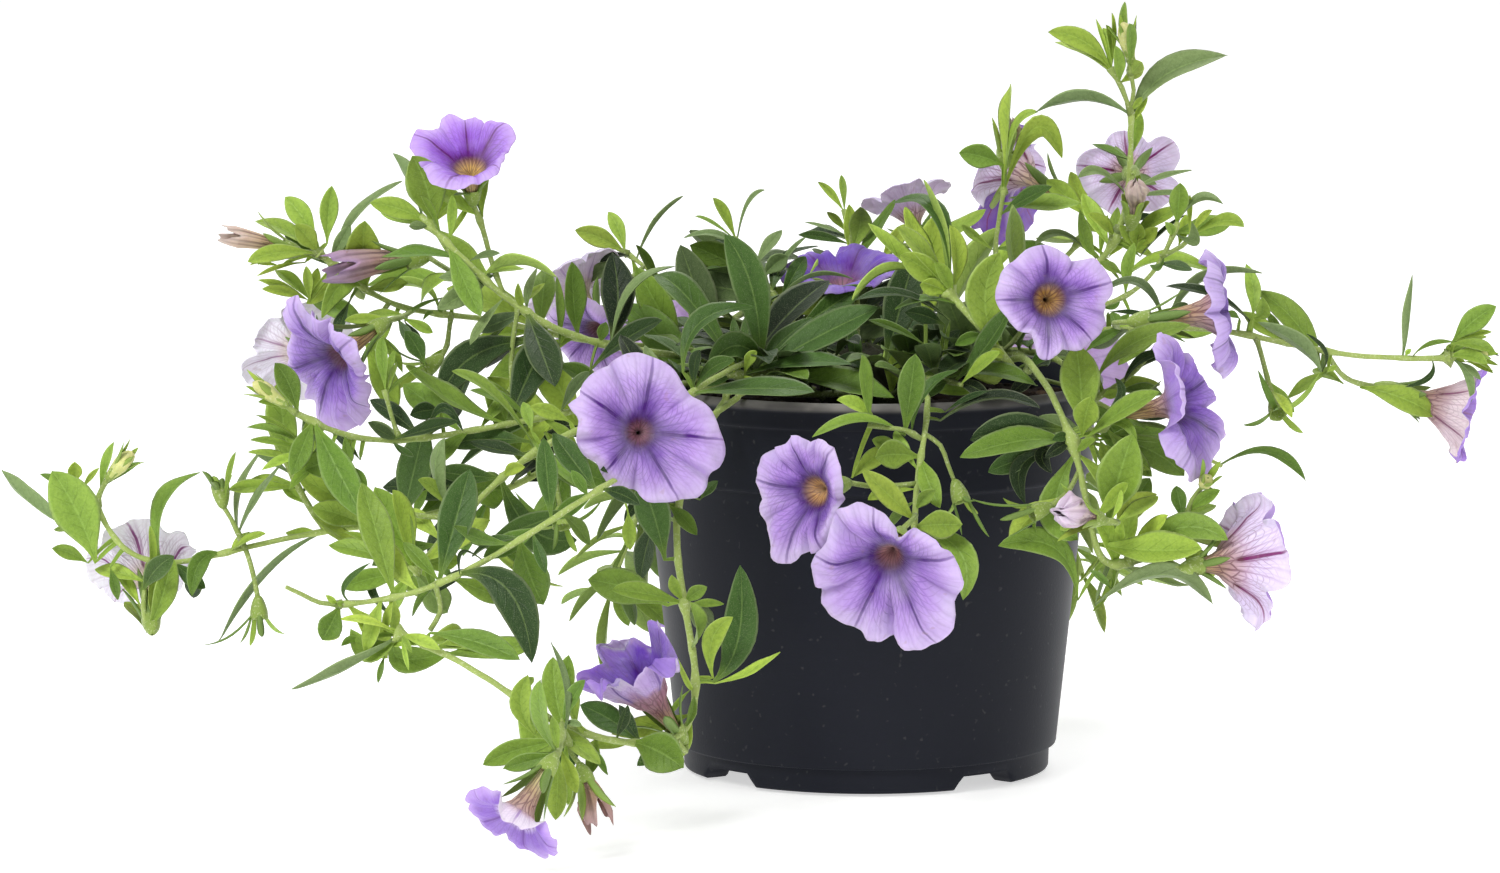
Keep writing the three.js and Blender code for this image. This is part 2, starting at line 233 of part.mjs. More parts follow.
    leaves: [
      [[-164.5, -49.97, 57.78], [-173.09, -53.71, 64.49], [-178.2, -58.97, 74.53], 9.89, [0.262, -0.923, -0.282], [-169.46, -49.97, 53.2]],
      [[-165.11, -49.97, 58.59], [-174.75, -52.85, 55.55], [-178.6, -55.98, 57.16], 3.08, [0.589, -0.801, -0.109], [-171.22, -49.98, 52.98]],
      [[-167.88, -49.99, 62.92], [-182.95, -46.84, 65.38], [-190.43, -42.99, 72.61], 6.09, [0.604, 0.609, 0.514], [-172.9, -49.99, 60.29]],
      [[-155.47, -49.74, 53.26], [-154.96, -45.7, 65.22], [-147.09, -40.75, 71.86], 6.04, [-0.699, -0.469, 0.539]],
      [[-157.77, -49.83, 53.75], [-155.87, -56.47, 52.55], [-151.64, -60.19, 55.97], 4.84, [-0.404, -0.832, -0.381], [-159.45, -50.32, 46.6]],
      [[-141.75, -48.52, 54.92], [-146.54, -52.26, 53.53], [-148.07, -56.66, 46.67], 3.96, [0.306, -0.806, 0.507]],
      [[-138.58, -48.28, 59.54], [-138.04, -45.85, 68.56], [-133.36, -42, 76.9], 3.69, [-0.823, -0.404, 0.399]],
      [[-138.43, -48.24, 59.25], [-135.07, -52.15, 66.11], [-128.69, -56, 75.45], 3.55, [-0.876, -0.387, 0.289]],
      [[-125.19, -44.88, 68.86], [-133.16, -47.86, 69.62], [-140.37, -50.88, 69.25], 4.21, [0.285, -0.576, 0.766]],
      [[-121.06, -44.7, 58.66], [-131.85, -49.04, 50.86], [-142.63, -53.99, 36.09], 6, [-0.747, 0.337, 0.574]],
      [[-110.98, -42.4, 60.07], [-116.22, -47.86, 63.56], [-122.13, -49.81, 65.11], 5.49, [0.449, -0.892, -0.047]],
      [[-92.83, -37.01, 63.48], [-94.95, -32.79, 56.71], [-97.03, -29.27, 50.66], 3.96, [-0.243, -0.835, -0.495]],
      [[-77.66, -30.71, 68.24], [-72.82, -27.15, 69.6], [-68.32, -23.2, 71.07], 3.52, [0.501, -0.776, 0.384]],
      [[-62.82, -22.63, 76.57], [-68.37, -19.03, 87.65], [-73.96, -15.39, 98.81], 8, [-0.256, -0.95, 0.179]],
      [[-102.7, -40.35, 61.33], [-100.05, -47.24, 72.03], [-97.23, -52.5, 83.61], 8, [-0.113, -0.885, -0.451]],
      [[-81.42, -32.54, 66.72], [-94.05, -35.62, 68.11], [-107.19, -34.46, 67.58], 8, [0.08, -0.885, 0.458]],
      [[-107.66, -41.64, 60.53], [-116.34, -45, 66.49], [-125.55, -47.11, 72.16], 6.54, [0.399, -0.893, 0.207]],
      [[-66.59, -24.86, 73.78], [-74.34, -29.85, 83.14], [-84.21, -31.07, 91.79], 8, [0.478, -0.862, 0.171]],
      [[-66.59, -24.86, 73.78], [-68.68, -25.35, 65], [-70.86, -25.57, 56.27], 5.48, [0.234, -0.972, -0.018]],
      [[-74.84, -29.33, 69.38], [-79.14, -39.42, 81.66], [-84.39, -44.7, 92.73], 8, [0.588, -0.807, -0.046]],
      [[-158.26, -52.48, 38.08], [-154.56, -53.72, 46.62], [-152.76, -52.97, 55.05], 5.03, [0.282, -0.959, -0.023]],
      [[-155.6, -49.74, 53.25], [-156.7, -50.22, 47.56], [-156.51, -52.14, 40.98], 5.88, [0.592, -0.668, -0.452]],
      [[-83.62, -33.61, 65.84], [-86.58, -35.98, 59.27], [-89.52, -38.2, 52.73], 4.47, [-0.648, -0.575, 0.499]],
      [[-158.26, -52.48, 38.08], [-160.72, -42.41, 40.08], [-164.26, -37.17, 42.4], 4.93, [0.276, -0.543, 0.793]],
      [[-55.77, -18.36, 82.89], [-61.01, -25.57, 89.38], [-68.77, -31.69, 94.46], 6.06, [0.799, -0.362, 0.48]],
      [[-126.8, -44.88, 72.09], [-127.94, -52.64, 83.51], [-129.1, -56.88, 93.45], 7.23, [-0.197, -0.921, -0.335]],
      [[-122.17, -44.88, 62.78], [-116.98, -49.25, 59.55], [-111.7, -53.96, 57.04], 4.35, [0.122, -0.426, 0.896]],
      [[-168.59, -50, 64.43], [-173.41, -45.2, 61], [-179.35, -40.92, 59.12], 4.69, [-0.595, -0.259, 0.761]],
      [[-36.7, -7.9, 86.65], [-45.21, -6.42, 96.68], [-54.05, -0.35, 104.46], 8, [0.069, -0.894, 0.444]],
      [[-79.23, -31.47, 67.61], [-72.16, -37.49, 75.68], [-63.95, -38.31, 81.87], 6.06, [-0.627, -0.708, 0.326]],
      [[-158.72, -50.31, 48.82], [-164.48, -49.11, 50.69], [-170.01, -46.63, 51.11], 4.13, [-0.072, -0.679, 0.731]],
      [[-147.87, -49.27, 53.73], [-148.32, -46.05, 48.56], [-148.63, -42.06, 44.07], 4.04, [-0.159, -0.793, -0.588]],
      [[-110.16, -42.21, 60.18], [-102.67, -50.7, 53.44], [-94.49, -56.74, 45.22], 8, [-0.262, -0.82, 0.509]],
    ],
  },
  {
    name: "shoot_low_left",
    stems: [
      [0.76, 0.55, [[-3.67, -11.63, 84.3], [-5.17, -16.4, 86.1], [-15.65, -28.52, 87.72], [-26.26, -42.62, 90.11], [-28.47, -45.77, 89.76], [-28.67, -46.07, 89.56], [-28.88, -46.35, 88.97], [-42.01, -64.57, 82.24], [-51.61, -75.8, 77.3], [-59.8, -83.14, 72.96], [-65.76, -87.41, 69.69], [-75.32, -92.85, 64.29], [-85.47, -97.18, 58.85], [-99.77, -101.56, 53.58], [-114.59, -105, 51.89]]],
      [0.55, 0.47, [[-113.22, -104.68, 52.05], [-124.9, -107, 56.06]]],
      [0.55, 0.6, [[-93.47, -99.63, 55.9], [-92.34, -101.76, 49.9], [-94.42, -103.76, 46.32]]],
    ],
    calyces: [
    ],
    buds: [
    ],
    leaves: [
      [[-113.46, -104.74, 52.02], [-115.45, -108.19, 47.95], [-117.12, -110.92, 45.26], 5.27, [0.373, -0.709, 0.599]],
      [[-89.08, -98.29, 57.52], [-77.78, -102.9, 54.81], [-72.58, -108.4, 39.92], 7.69, [-0.195, -0.904, 0.381]],
      [[-75.47, -92.91, 64.21], [-73.84, -89.32, 57.15], [-70.75, -84.92, 48.9], 7.69, [0.207, -0.891, -0.403]],
      [[-47.01, -70.42, 79.67], [-42.65, -75.41, 75.87], [-39.11, -79.56, 70.98], 5.71, [-0.322, -0.783, 0.532]],
      [[-92.61, -99.37, 56.22], [-89.33, -95.87, 67.99], [-86.31, -89.48, 79.01], 8, [0.026, -0.92, 0.391]],
      [[-68.81, -89.14, 67.97], [-69.63, -88.82, 76.99], [-70.41, -89.97, 85.92], 4.69, [0.07, -0.997, -0.031]],
      [[-97.3, -100.8, 54.49], [-102.81, -95.89, 59.52], [-107.71, -93.52, 66.89], 6.44, [0.208, -0.76, 0.616]],
      [[-77.01, -93.57, 63.38], [-83.97, -96.26, 64.98], [-89.28, -100.68, 68.25], 4.05, [0.568, -0.605, 0.557]],
      [[-90.27, -98.65, 57.08], [-84.05, -95.41, 53.88], [-77.77, -92.44, 51.04], 4.65, [0.484, -0.871, 0.082]],
      [[-74.89, -92.6, 64.53], [-80.9, -91.79, 63.55], [-85.79, -90.15, 60.19], 4.19, [-0.411, -0.296, 0.863]],
      [[-59.06, -82.48, 73.35], [-63.81, -80.74, 70.17], [-68.41, -78.69, 66.91], 3.79, [-0.481, -0.856, 0.191]],
      [[-59.06, -82.48, 73.35], [-63.79, -76.76, 78.48], [-68.78, -72.4, 84.62], 5.35, [-0.146, -0.795, 0.588]],
      [[-112.19, -104.44, 52.16], [-106.64, -101.28, 45.37], [-103.83, -95.14, 39.09], 5.89, [0.675, -0.732, -0.093]],
      [[-102.14, -102.11, 53.31], [-105.53, -98.61, 65.2], [-109.21, -93.49, 76.6], 7.19, [0.144, -0.914, 0.38]],
      [[-104.65, -102.69, 53.02], [-106.4, -106.19, 47.91], [-108.13, -105.58, 41.53], 3.79, [-0.154, -0.97, 0.188]],
      [[-64.8, -86.73, 70.21], [-73.1, -80.95, 65.9], [-82, -75.65, 62.19], 5.77, [-0.608, -0.492, 0.623]],
      [[-70.84, -90.3, 66.82], [-76.95, -88.34, 63.13], [-83.49, -87, 59.69], 5.28, [-0.418, -0.845, 0.334]],
    ],
  },
  {
    name: "shoot_front_left",
    stems: [
      [0.87, 0.63, [[-4.81, -8.31, 92], [-7.31, -12.64, 93.8], [-22.26, -31.4, 90.04], [-30.75, -43.48, 89.87], [-31.39, -44.39, 89.45], [-31.57, -44.7, 88.07], [-36.9, -53.77, 81.29], [-40.54, -60.87, 73.24], [-42.06, -65.73, 63.46], [-41.8, -68.17, 56.2], [-39.33, -72.9, 41.2], [-38, -77.71, 30.98], [-38.44, -81.86, 25.68], [-39.17, -84.19, 23.7], [-40.24, -86.65, 22.21], [-43.25, -91.81, 20.7], [-47.16, -97.01, 20.74], [-54.1, -104.3, 22.41], [-61.82, -109.94, 25.17], [-67.21, -112.01, 27.73], [-72.7, -112.45, 30.95], [-81.32, -110.62, 36.45], [-90.92, -107.41, 41.53], [-101.45, -104, 45.71]]],
      [0.55, 0.47, [[-67.04, -111.94, 27.65], [-65.81, -118.06, 29.21]]],
      [0.55, 0.62, [[-42.44, -90.42, 21.11], [-39.97, -88.1, 17.36], [-40.22, -86.13, 19.05]]],
      [0.55, 0.62, [[-66.02, -116.99, 28.94], [-66.09, -125.43, 23.98], [-67.12, -133.17, 24.06]]],
      [0.55, 0.62, [[-66.04, -119.6, 27.4], [-62.21, -119, 19.7]]],
    ],
    calyces: [
      [[-40.22, -86.13, 19.05], [-0.52, -0.35, 0.779], CUP_R, 4.8, [[-50.68, -87.27, 27.73], [-52.91, -94.73, 24.97], [-44.54, -97.17, 26.56], [-40.73, -91.96, 32.56], [-45.67, -85.58, 31.69]]],
      [[-67.12, -133.17, 24.06], [-0.487, -0.516, -0.705], CUP_R, 4.8, [[-71.22, -133.88, 8.32], [-69.47, -142.06, 11.66], [-69.58, -145.6, 18.11], [-77.83, -142.91, 19.58], [-78.35, -136.07, 15.75]]],
      [[-62.21, -119, 19.7], [0.28, -0.25, -0.927], CUP_R, 4, [[-54.99, -127.66, 12.36], [-61.61, -125.8, 8.96], [-65.63, -120.98, 8.79], [-60.08, -116, 7.73], [-54.66, -118.84, 10.64]]],
    ],
    buds: [
    ],
    leaves: [
      [[-41.81, -68.09, 56.44], [-46.87, -72.62, 66.4], [-49.88, -78.9, 75.25], 7.69, [0.194, -0.854, -0.482], [-44.63, -67.85, 56.23]],
      [[-40.36, -70.93, 47.46], [-52.56, -62.92, 49.32], [-61.52, -58.83, 50.52], 7.69, [-0.351, -0.903, 0.248], [-44, -66.83, 46.2]],
      [[-40.3, -71.04, 47.1], [-48.68, -75.32, 49.96], [-55.96, -79.94, 51.43], 4.7, [0.572, -0.632, 0.524]],
      [[-40.08, -71.47, 45.73], [-36.76, -68.32, 43.76], [-34.23, -65.61, 40.96], 4.84, [-0.564, 0.772, 0.292]],
      [[-38, -77.71, 30.98], [-28.78, -75.46, 39.82], [-28.35, -72.71, 55.83], 7.91, [0.011, -0.981, 0.195], [-34.18, -77.71, 30.98]],
      [[-38.08, -77.43, 31.57], [-34.39, -80.09, 40.53], [-29.84, -83.39, 46.05], 4.4, [-0.153, -0.927, -0.343], [-34.19, -77.39, 31.8]],
      [[-38.01, -77.79, 30.87], [-26.61, -80.93, 33.67], [-19.72, -84.78, 38.64], 3.33, [-0.595, -0.425, 0.682], [-33.75, -77.78, 30.77]],
      [[-51.33, -101.39, 21.74], [-45.66, -106.12, 20.5], [-40.45, -110.46, 17.62], 8.35, [-0.486, -0.778, 0.399]],
      [[-69.73, -112.21, 29.21], [-74.78, -115.1, 31.95], [-73.19, -118.4, 38.91], 4.84, [0.084, -0.917, -0.389], [-71.89, -112.4, 25.06]],
      [[-65.16, -119.46, 25.62], [-67.3, -115.87, 33.87], [-68.02, -112.06, 41.78], 5.49, [0.009, -0.939, 0.343]],
      [[-65.42, -119.5, 26.15], [-65.11, -120.31, 36], [-68.19, -123.06, 46.69], 2.57, [0.819, 0.532, 0.214]],
      [[-66.03, -117.85, 28.43], [-63.72, -120.67, 34.14], [-61.02, -124.06, 38.73], 3.39, [-0.701, -0.708, -0.089]],
      [[-49.84, -99.82, 21.38], [-55.9, -96.61, 25.68], [-62.68, -92.95, 28.39], 5.27, [-0.3, -0.891, 0.341]],
      [[-64.96, -119.43, 25.22], [-75.23, -121.64, 23.43], [-82.59, -125.06, 20.71], 4.84, [0.354, -0.9, 0.256]],
      [[-64.96, -119.43, 25.22], [-65.42, -122.62, 18.49], [-64.63, -126.06, 12.32], 3.82, [0.69, -0.538, 0.483]],
      [[-100.92, -104.17, 45.5], [-115.51, -105.62, 46.94], [-117.31, -107, 44.66], 4.84, [0.271, -0.881, 0.388], [-113.38, -104, 48.73]],
      [[-95.52, -105.92, 43.35], [-84.46, -110, 44.76], [-74.99, -113.91, 41.42], 5.79, [-0.173, -0.77, 0.614], [-94.35, -105.91, 46]],
      [[-100.92, -104.17, 45.5], [-100.95, -101.35, 39.9], [-90.37, -98.05, 40.69], 5.93, [0.474, -0.88, -0.006]],
      [[-100.92, -104.17, 45.5], [-106.31, -104.11, 41.97], [-111.38, -103.42, 46.54], 5.27, [-0.586, -0.78, 0.219]],
      [[-100.92, -104.17, 45.5], [-111.33, -108.15, 39.45], [-123.45, -113.1, 35.07], 4.74, [-0.499, 0.537, 0.68]],
      [[-41.94, -65.33, 64.26], [-48.88, -49.92, 56.44], [-50.34, -45.83, 48.61], 4.81, [-0.53, -0.762, -0.374], [-46.92, -55.39, 63.25]],
      [[-76.18, -111.71, 33.17], [-71.85, -107.34, 24.15], [-67.36, -104.76, 14.39], 6.59, [0.064, -0.942, -0.33]],
      [[-60.83, -109.22, 24.82], [-67.41, -115.61, 18.57], [-73.69, -123.26, 13.66], 7.17, [0.18, -0.709, 0.681]],
      [[-66.76, -130.46, 24.03], [-66.81, -128.25, 16.79], [-67.28, -127.46, 9.31], 5.04, [-0.256, -0.949, -0.185]],
      [[-38.77, -82.92, 24.78], [-47.44, -83.81, 22.37], [-56.07, -86.12, 20.94], 4.89, [0.028, -0.826, 0.563]],
      [[-66.76, -130.46, 24.03], [-69.73, -137.8, 31.88], [-70.02, -143.06, 41.74], 5.75, [-0.688, -0.526, -0.501]],
      [[-93.82, -106.47, 42.68], [-85.9, -97.08, 41.79], [-78.71, -90.86, 39.11], 6.65, [0.496, -0.288, 0.819]],
      [[-38.86, -74.59, 37.61], [-37.35, -79.54, 43.04], [-39.04, -83.67, 49.28], 4.96, [0.92, -0.32, -0.227]],
      [[-91.51, -107.22, 41.76], [-82.14, -98.15, 40.81], [-71.99, -90.04, 42.24], 7.3, [0.288, -0.352, 0.891]],
      [[-66.76, -130.46, 24.03], [-72.6, -130.4, 22.47], [-78.08, -128.58, 20.6], 3.7, [-0.215, -0.958, 0.188]],
      [[-67.38, -112.02, 27.83], [-65.72, -111.93, 35.21], [-64.63, -113.72, 42.47], 4.87, [-0.284, -0.957, -0.057]],
      [[-69.61, -112.2, 29.14], [-63.77, -117.46, 24.51], [-57.82, -122.92, 20.52], 5.26, [0.13, -0.534, 0.835]],
      [[-62.95, -110.37, 25.71], [-64.52, -105.36, 31.01], [-65.1, -101.32, 37.37], 4.16, [0.569, -0.594, 0.569]],
      [[-96.14, -105.72, 43.6], [-89.26, -96.89, 42.82], [-85.23, -87.17, 39], 7.26, [0.673, -0.216, 0.707]],
    ],
  },
  {
    name: "shoot_over_rim_left",
    stems: [
      [0.76, 0.55, [[-7.7, -8.41, 88.2], [-11.08, -12.09, 90], [-17.85, -21.58, 92.96], [-24.02, -32.22, 95.39], [-28.11, -39.35, 95.55], [-37.05, -50.7, 92], [-41.75, -54.96, 89.27], [-49.02, -60, 84.1]]],
      [0.55, 0.62, [[-46.36, -58.16, 85.99], [-51.04, -62.72, 83.35]]],
    ],
    calyces: [
      [[-51.04, -62.72, 83.35], [0.081, -0.987, 0.141], CUP_R, 4.8, [[-54.82, -75.15, 85.4], [-53.56, -75.74, 79.66], [-45.95, -73.73, 80.78], [-46.02, -73.56, 87.89], [-51.19, -75.34, 90.21]]],
    ],
    buds: [
    ],
    leaves: [
      [[-38.25, -51.79, 91.3], [-34.59, -55.65, 96.6], [-29.44, -59.84, 98.98], 3.79, [-0.68, -0.716, 0.159]],
      [[-38.21, -51.75, 91.33], [-37.11, -48.2, 105.93], [-25.08, -43.8, 108.73], 5.97, [-0.358, -0.553, 0.752], [-40.8, -51.8, 95.37]],
      [[-39.2, -52.65, 90.75], [-25.09, -56.34, 92.41], [-12.05, -60.74, 92.09], 7.42, [-0.217, -0.402, 0.89]],
      [[-45.17, -57.33, 86.84], [-50.46, -53.81, 77.91], [-53.52, -51.45, 67.12], 6.16, [-0.796, -0.592, 0.127]],
      [[-44.17, -56.64, 87.55], [-47.24, -53.27, 95.82], [-49.13, -48.76, 100.94], 3.8, [0.475, -0.64, 0.604], [-45.78, -56.76, 89.83]],
      [[-46.04, -57.94, 86.22], [-50.32, -52.69, 95.8], [-54.63, -46.04, 102.82], 5.68, [0.318, -0.665, 0.676]],
      [[-26.16, -35.95, 95.47], [-17.79, -25.17, 104.93], [-8.59, -15.5, 111.43], 8, [-0.262, -0.73, 0.631]],
    ],
  },
  {
    name: "shoot_top_left",
    stems: [
      [0.65, 0.47, [[-8.47, 7.63, 88.2], [-20.65, 17.09, 94.22], [-35.98, 26.78, 100.94], [-45.43, 31.36, 106.01], [-54.63, 35, 112.22]]],
      [0.55, 0.47, [[-53.9, 34.71, 111.73], [-57.58, 34.82, 113.85]]],
      [0.55, 0.62, [[-50.21, 33.25, 109.24], [-55.68, 27.53, 105.51], [-57.62, 20.11, 93.86], [-59.62, 22.31, 96.54]]],
      [0.55, 0.62, [[-45.14, 31.22, 105.86], [-51.18, 29.25, 99.16], [-55.72, 27.27, 97.12], [-55.44, 24.53, 101.43]]],
    ],
    calyces: [
      [[-59.62, 22.31, 96.54], [-0.5, 0.55, 0.67], CUP_R, 4.8, [[-65.73, 32.31, 100.29], [-69.43, 26.68, 99.48], [-68.38, 22.99, 105.66], [-61.5, 25.52, 108.71], [-61.21, 30.96, 103.48]]],
      [[-55.44, 24.53, 101.43], [-0.488, -0.766, -0.418], CUP_R, 4.8, [[-62.38, 19.79, 92.06], [-56.09, 15.93, 92.21], [-56.01, 10.52, 98.22], [-64.18, 13.64, 102.17], [-67.7, 16.71, 97.77]]],
    ],
    buds: [
    ],
    leaves: [
      [[-54.67, 34.73, 112.17], [-60.01, 32.61, 115.62], [-65.9, 30, 117.79], 4.4, [0.379, -0.923, -0.062]],
      [[-52.2, 34.04, 110.58], [-47.81, 36.78, 118.9], [-41.46, 40.08, 124.51], 2.31, [-0.774, 0.5, 0.388]],
      [[-22.25, 18.1, 94.92], [-16.86, 26.07, 100.46], [-11.27, 32.89, 107.08], 7.63, [0.159, -0.696, 0.7]],
      [[-53.31, 34.48, 111.33], [-51.12, 33.19, 104.11], [-50.34, 34.2, 96.6], 4.12, [0.516, -0.848, 0.122]],
      [[-20.23, 16.76, 94.01], [-29.22, 26.03, 92.02], [-39.67, 33.86, 91.64], 8, [-0.559, -0.551, 0.62]],
    ],
  },
  {
    name: "shoot_top_mid",
    stems: [
      [0.65, 0.47, [[-8.23, 4.95, 92], [-12.51, 7.52, 93.8], [-20.87, 13.8, 104.82], [-29.57, 19, 117.15]]],
    ],
    calyces: [
    ],
    buds: [
    ],
    leaves: [
      [[-23.83, 15.57, 109.02], [-31.81, 10.62, 118.16], [-41.01, 8.51, 118.3], 2.4, [0.571, -0.442, 0.692]],
      [[-22.36, 14.69, 106.94], [-31.28, 14.22, 112.29], [-39.67, 9.78, 116.56], 6.59, [0.263, -0.963, -0.062]],
      [[-20.59, 13.59, 104.46], [-19.87, 15.86, 112.05], [-10.83, 18.61, 115.38], 3.18, [-0.583, -0.395, 0.71]],
      [[-19.47, 12.75, 102.98], [-16.28, 12.15, 109.54], [-13.55, 15.64, 113.23], 3.96, [0.111, -0.932, 0.344]],
      [[-19.82, 13.01, 103.44], [-32.23, 9.86, 106.88], [-45.36, 11.47, 108.02], 7.69, [0.134, -0.891, 0.433]],
      [[-15.53, 9.79, 97.78], [-7.97, 10.25, 102.64], [-0.9, 8.35, 107.68], 5.53, [-0.215, -0.975, 0.047]],
      [[-25.5, 16.57, 111.38], [-19.92, 24.06, 112.27], [-14.74, 28.31, 111.47], 4.65, [0.297, -0.333, 0.895]],
    ],
  },
  {
    name: "shoot_top_back",
    stems: [
      [0.65, 0.47, [[-1.32, 9.51, 92], [-2, 14.46, 93.8], [-1.9, 22.84, 101.59], [-2.82, 30.72, 110.79], [-4.77, 38, 121.52]]],
      [0.55, 0.62, [[-1.99, 23.6, 102.48], [-3.47, 23.97, 102.56], [-4.79, 24.02, 98.42]]],
      [0.55, 0.62, [[-2.56, 28.52, 108.22], [4.52, 32.67, 111.11], [8.67, 36.7, 114.79], [12.77, 41.09, 112.19]]],
    ],
    calyces: [
      [[-4.79, 24.02, 98.42], [-0.1, -0.281, 0.954], CUP_R, 4.8, [[-12.56, 23.02, 109.81], [-9.7, 16.6, 106.75], [-2.63, 15.86, 108.21], [0.81, 22.34, 111.18], [-6.6, 26.5, 111.32]]],
      [[12.77, 41.09, 112.19], [-0.251, 0.351, 0.902], CUP_R, 4.8, [[9.08, 50.42, 119.14], [4.3, 44.75, 119.57], [9.32, 40.9, 122.73], [14.43, 41.13, 123.43], [13.67, 47.9, 122.48]]],
    ],
    buds: [
    ],
    leaves: [
      [[-3.09, 31.74, 112.29], [-1.22, 31.7, 118.52], [-1.27, 26.97, 123.33], 5.49, [-0.01, -0.876, -0.482]],
      [[-2.71, 29.76, 109.67], [1.78, 32.51, 116.38], [6.81, 35.81, 124.04], 4.69, [-0.666, -0.474, 0.576]],
      [[-2, 23.69, 102.59], [-12.62, 12.41, 104.97], [-19.41, 3.84, 103.08], 2.28, [0.29, -0.337, 0.896]],
      [[-1.93, 20.38, 99.3], [-13.83, 16.23, 102.11], [-26.01, 12.41, 104.56], 8, [0.362, -0.64, 0.678]],
      [[11.79, 40.04, 112.81], [20.22, 42.02, 115.96], [27.67, 42.48, 121.18], 5.07, [-0.329, -0.524, 0.786]],
      [[-3.61, 33.65, 115.12], [-9.12, 38.7, 116.45], [-14.11, 44.37, 115.63], 4.6, [-0.246, -0.294, 0.924]],
      [[-2.63, 29.09, 108.89], [-3.21, 34.09, 116.21], [-3.64, 34.94, 123.12], 3.93, [0.421, -0.904, 0.079]],
    ],
  },
  {
    name: "shoot_crown_left",
    stems: [
      [0.65, 0.47, [[-1.29, -11.33, 88.2], [-1.85, -16.3, 90], [-16.4, -28.28, 92.5], [-31.07, -39.92, 93.03]]],
    ],
    calyces: [
    ],
    buds: [
    ],
    leaves: [
      [[-26.11, -35.98, 92.85], [-26.18, -26.33, 103.15], [-18.88, -19.03, 108.91], 4, [-0.705, -0.366, 0.608]],
      [[-24.95, -35.06, 92.81], [-19.57, -34.34, 99.74], [-12.49, -29.3, 104.62], 4.67, [-0.225, -0.623, 0.749]],
      [[-25.65, -35.62, 92.83], [-11.9, -38.34, 101.24], [2.32, -41.64, 108.48], 8.64, [-0.443, -0.674, 0.591]],
      [[-27.72, -37.27, 92.91], [-15.98, -43.42, 96.35], [-3.85, -46.21, 96.45], 6.98, [-0.274, -0.301, 0.913]],
      [[-20.85, -31.81, 92.66], [-8.58, -37.29, 91.37], [5.61, -43.89, 88.65], 7.83, [-0.128, -0.463, 0.877]],
      [[-24, -34.31, 92.77], [-25.53, -38.83, 111.37], [-31.76, -38.68, 124.13], 8.35, [-0.092, -0.916, 0.39]],
      [[-21.77, -32.54, 92.69], [-28.47, -39.1, 99.65], [-35.21, -41.4, 95.2], 6.15, [-0.361, -0.908, 0.212]],
      [[-28.28, -37.71, 92.93], [-39.39, -33.14, 109.04], [-47.14, -27.64, 113.97], 7.94, [0.346, -0.675, 0.651]],
      [[-18.02, -29.57, 92.56], [-24.78, -25.25, 90.65], [-32.13, -25.1, 90.44], 4.19, [-0.228, -0.257, 0.939]],
    ],
  },
  {
    name: "shoot_front_centre",
    stems: [
      [0.76, 0.55, [[1.42, -9.49, 92], [2.16, -14.44, 93.8], [10.35, -40.25, 90.92], [12.55, -52.34, 89.76], [10.52, -62.87, 75.21], [9.4, -68, 62.82]]],
      [0.55, 0.47, [[11.57, -57.41, 82.75], [15.17, -59.83, 80.35], [18.45, -59.83, 72.22]]],
      [0.55, 0.47, [[11.37, -58.47, 81.29], [-0.52, -61, 84.89]]],
      [0.55, 0.62, [[10.28, -63.98, 72.52], [3.11, -66.61, 71.83], [-1.04, -69.05, 71.94], [-4.82, -72.28, 73.79]]],
      [0.55, 0.62, [[9.67, -66.74, 65.85], [8.9, -71.33, 65.48], [6.63, -76.68, 64.1]]],
    ],
    calyces: [
      [[18.45, -59.83, 72.22], [0.302, -0.302, -0.905], EMPTY_CUP_R, 4.6, [[25.73, -66.1, 61.02], [23.56, -57.1, 64.81], [19.91, -64.1, 61.17], [16.31, -59.1, 64.87], [22.64, -67.1, 69.27]]],
      [[-4.82, -72.28, 73.79], [-0.621, -0.781, -0.06], CUP_R, 4.8, [[-14.83, -78.14, 68.82], [-8.02, -83.3, 67.11], [-8.34, -84.47, 73.56], [-12.12, -83.1, 80.75], [-15.73, -78.53, 75.64]]],
      [[6.63, -76.68, 64.1], [-0.24, -0.901, -0.361], CUP_R, 4.8, [[-1.12, -85.66, 52.77], [8.57, -88.88, 54.95], [7.78, -90.21, 60.8], [2.74, -89.84, 64.17], [-2.92, -85.72, 61.67]]],
    ],
    buds: [
    ],
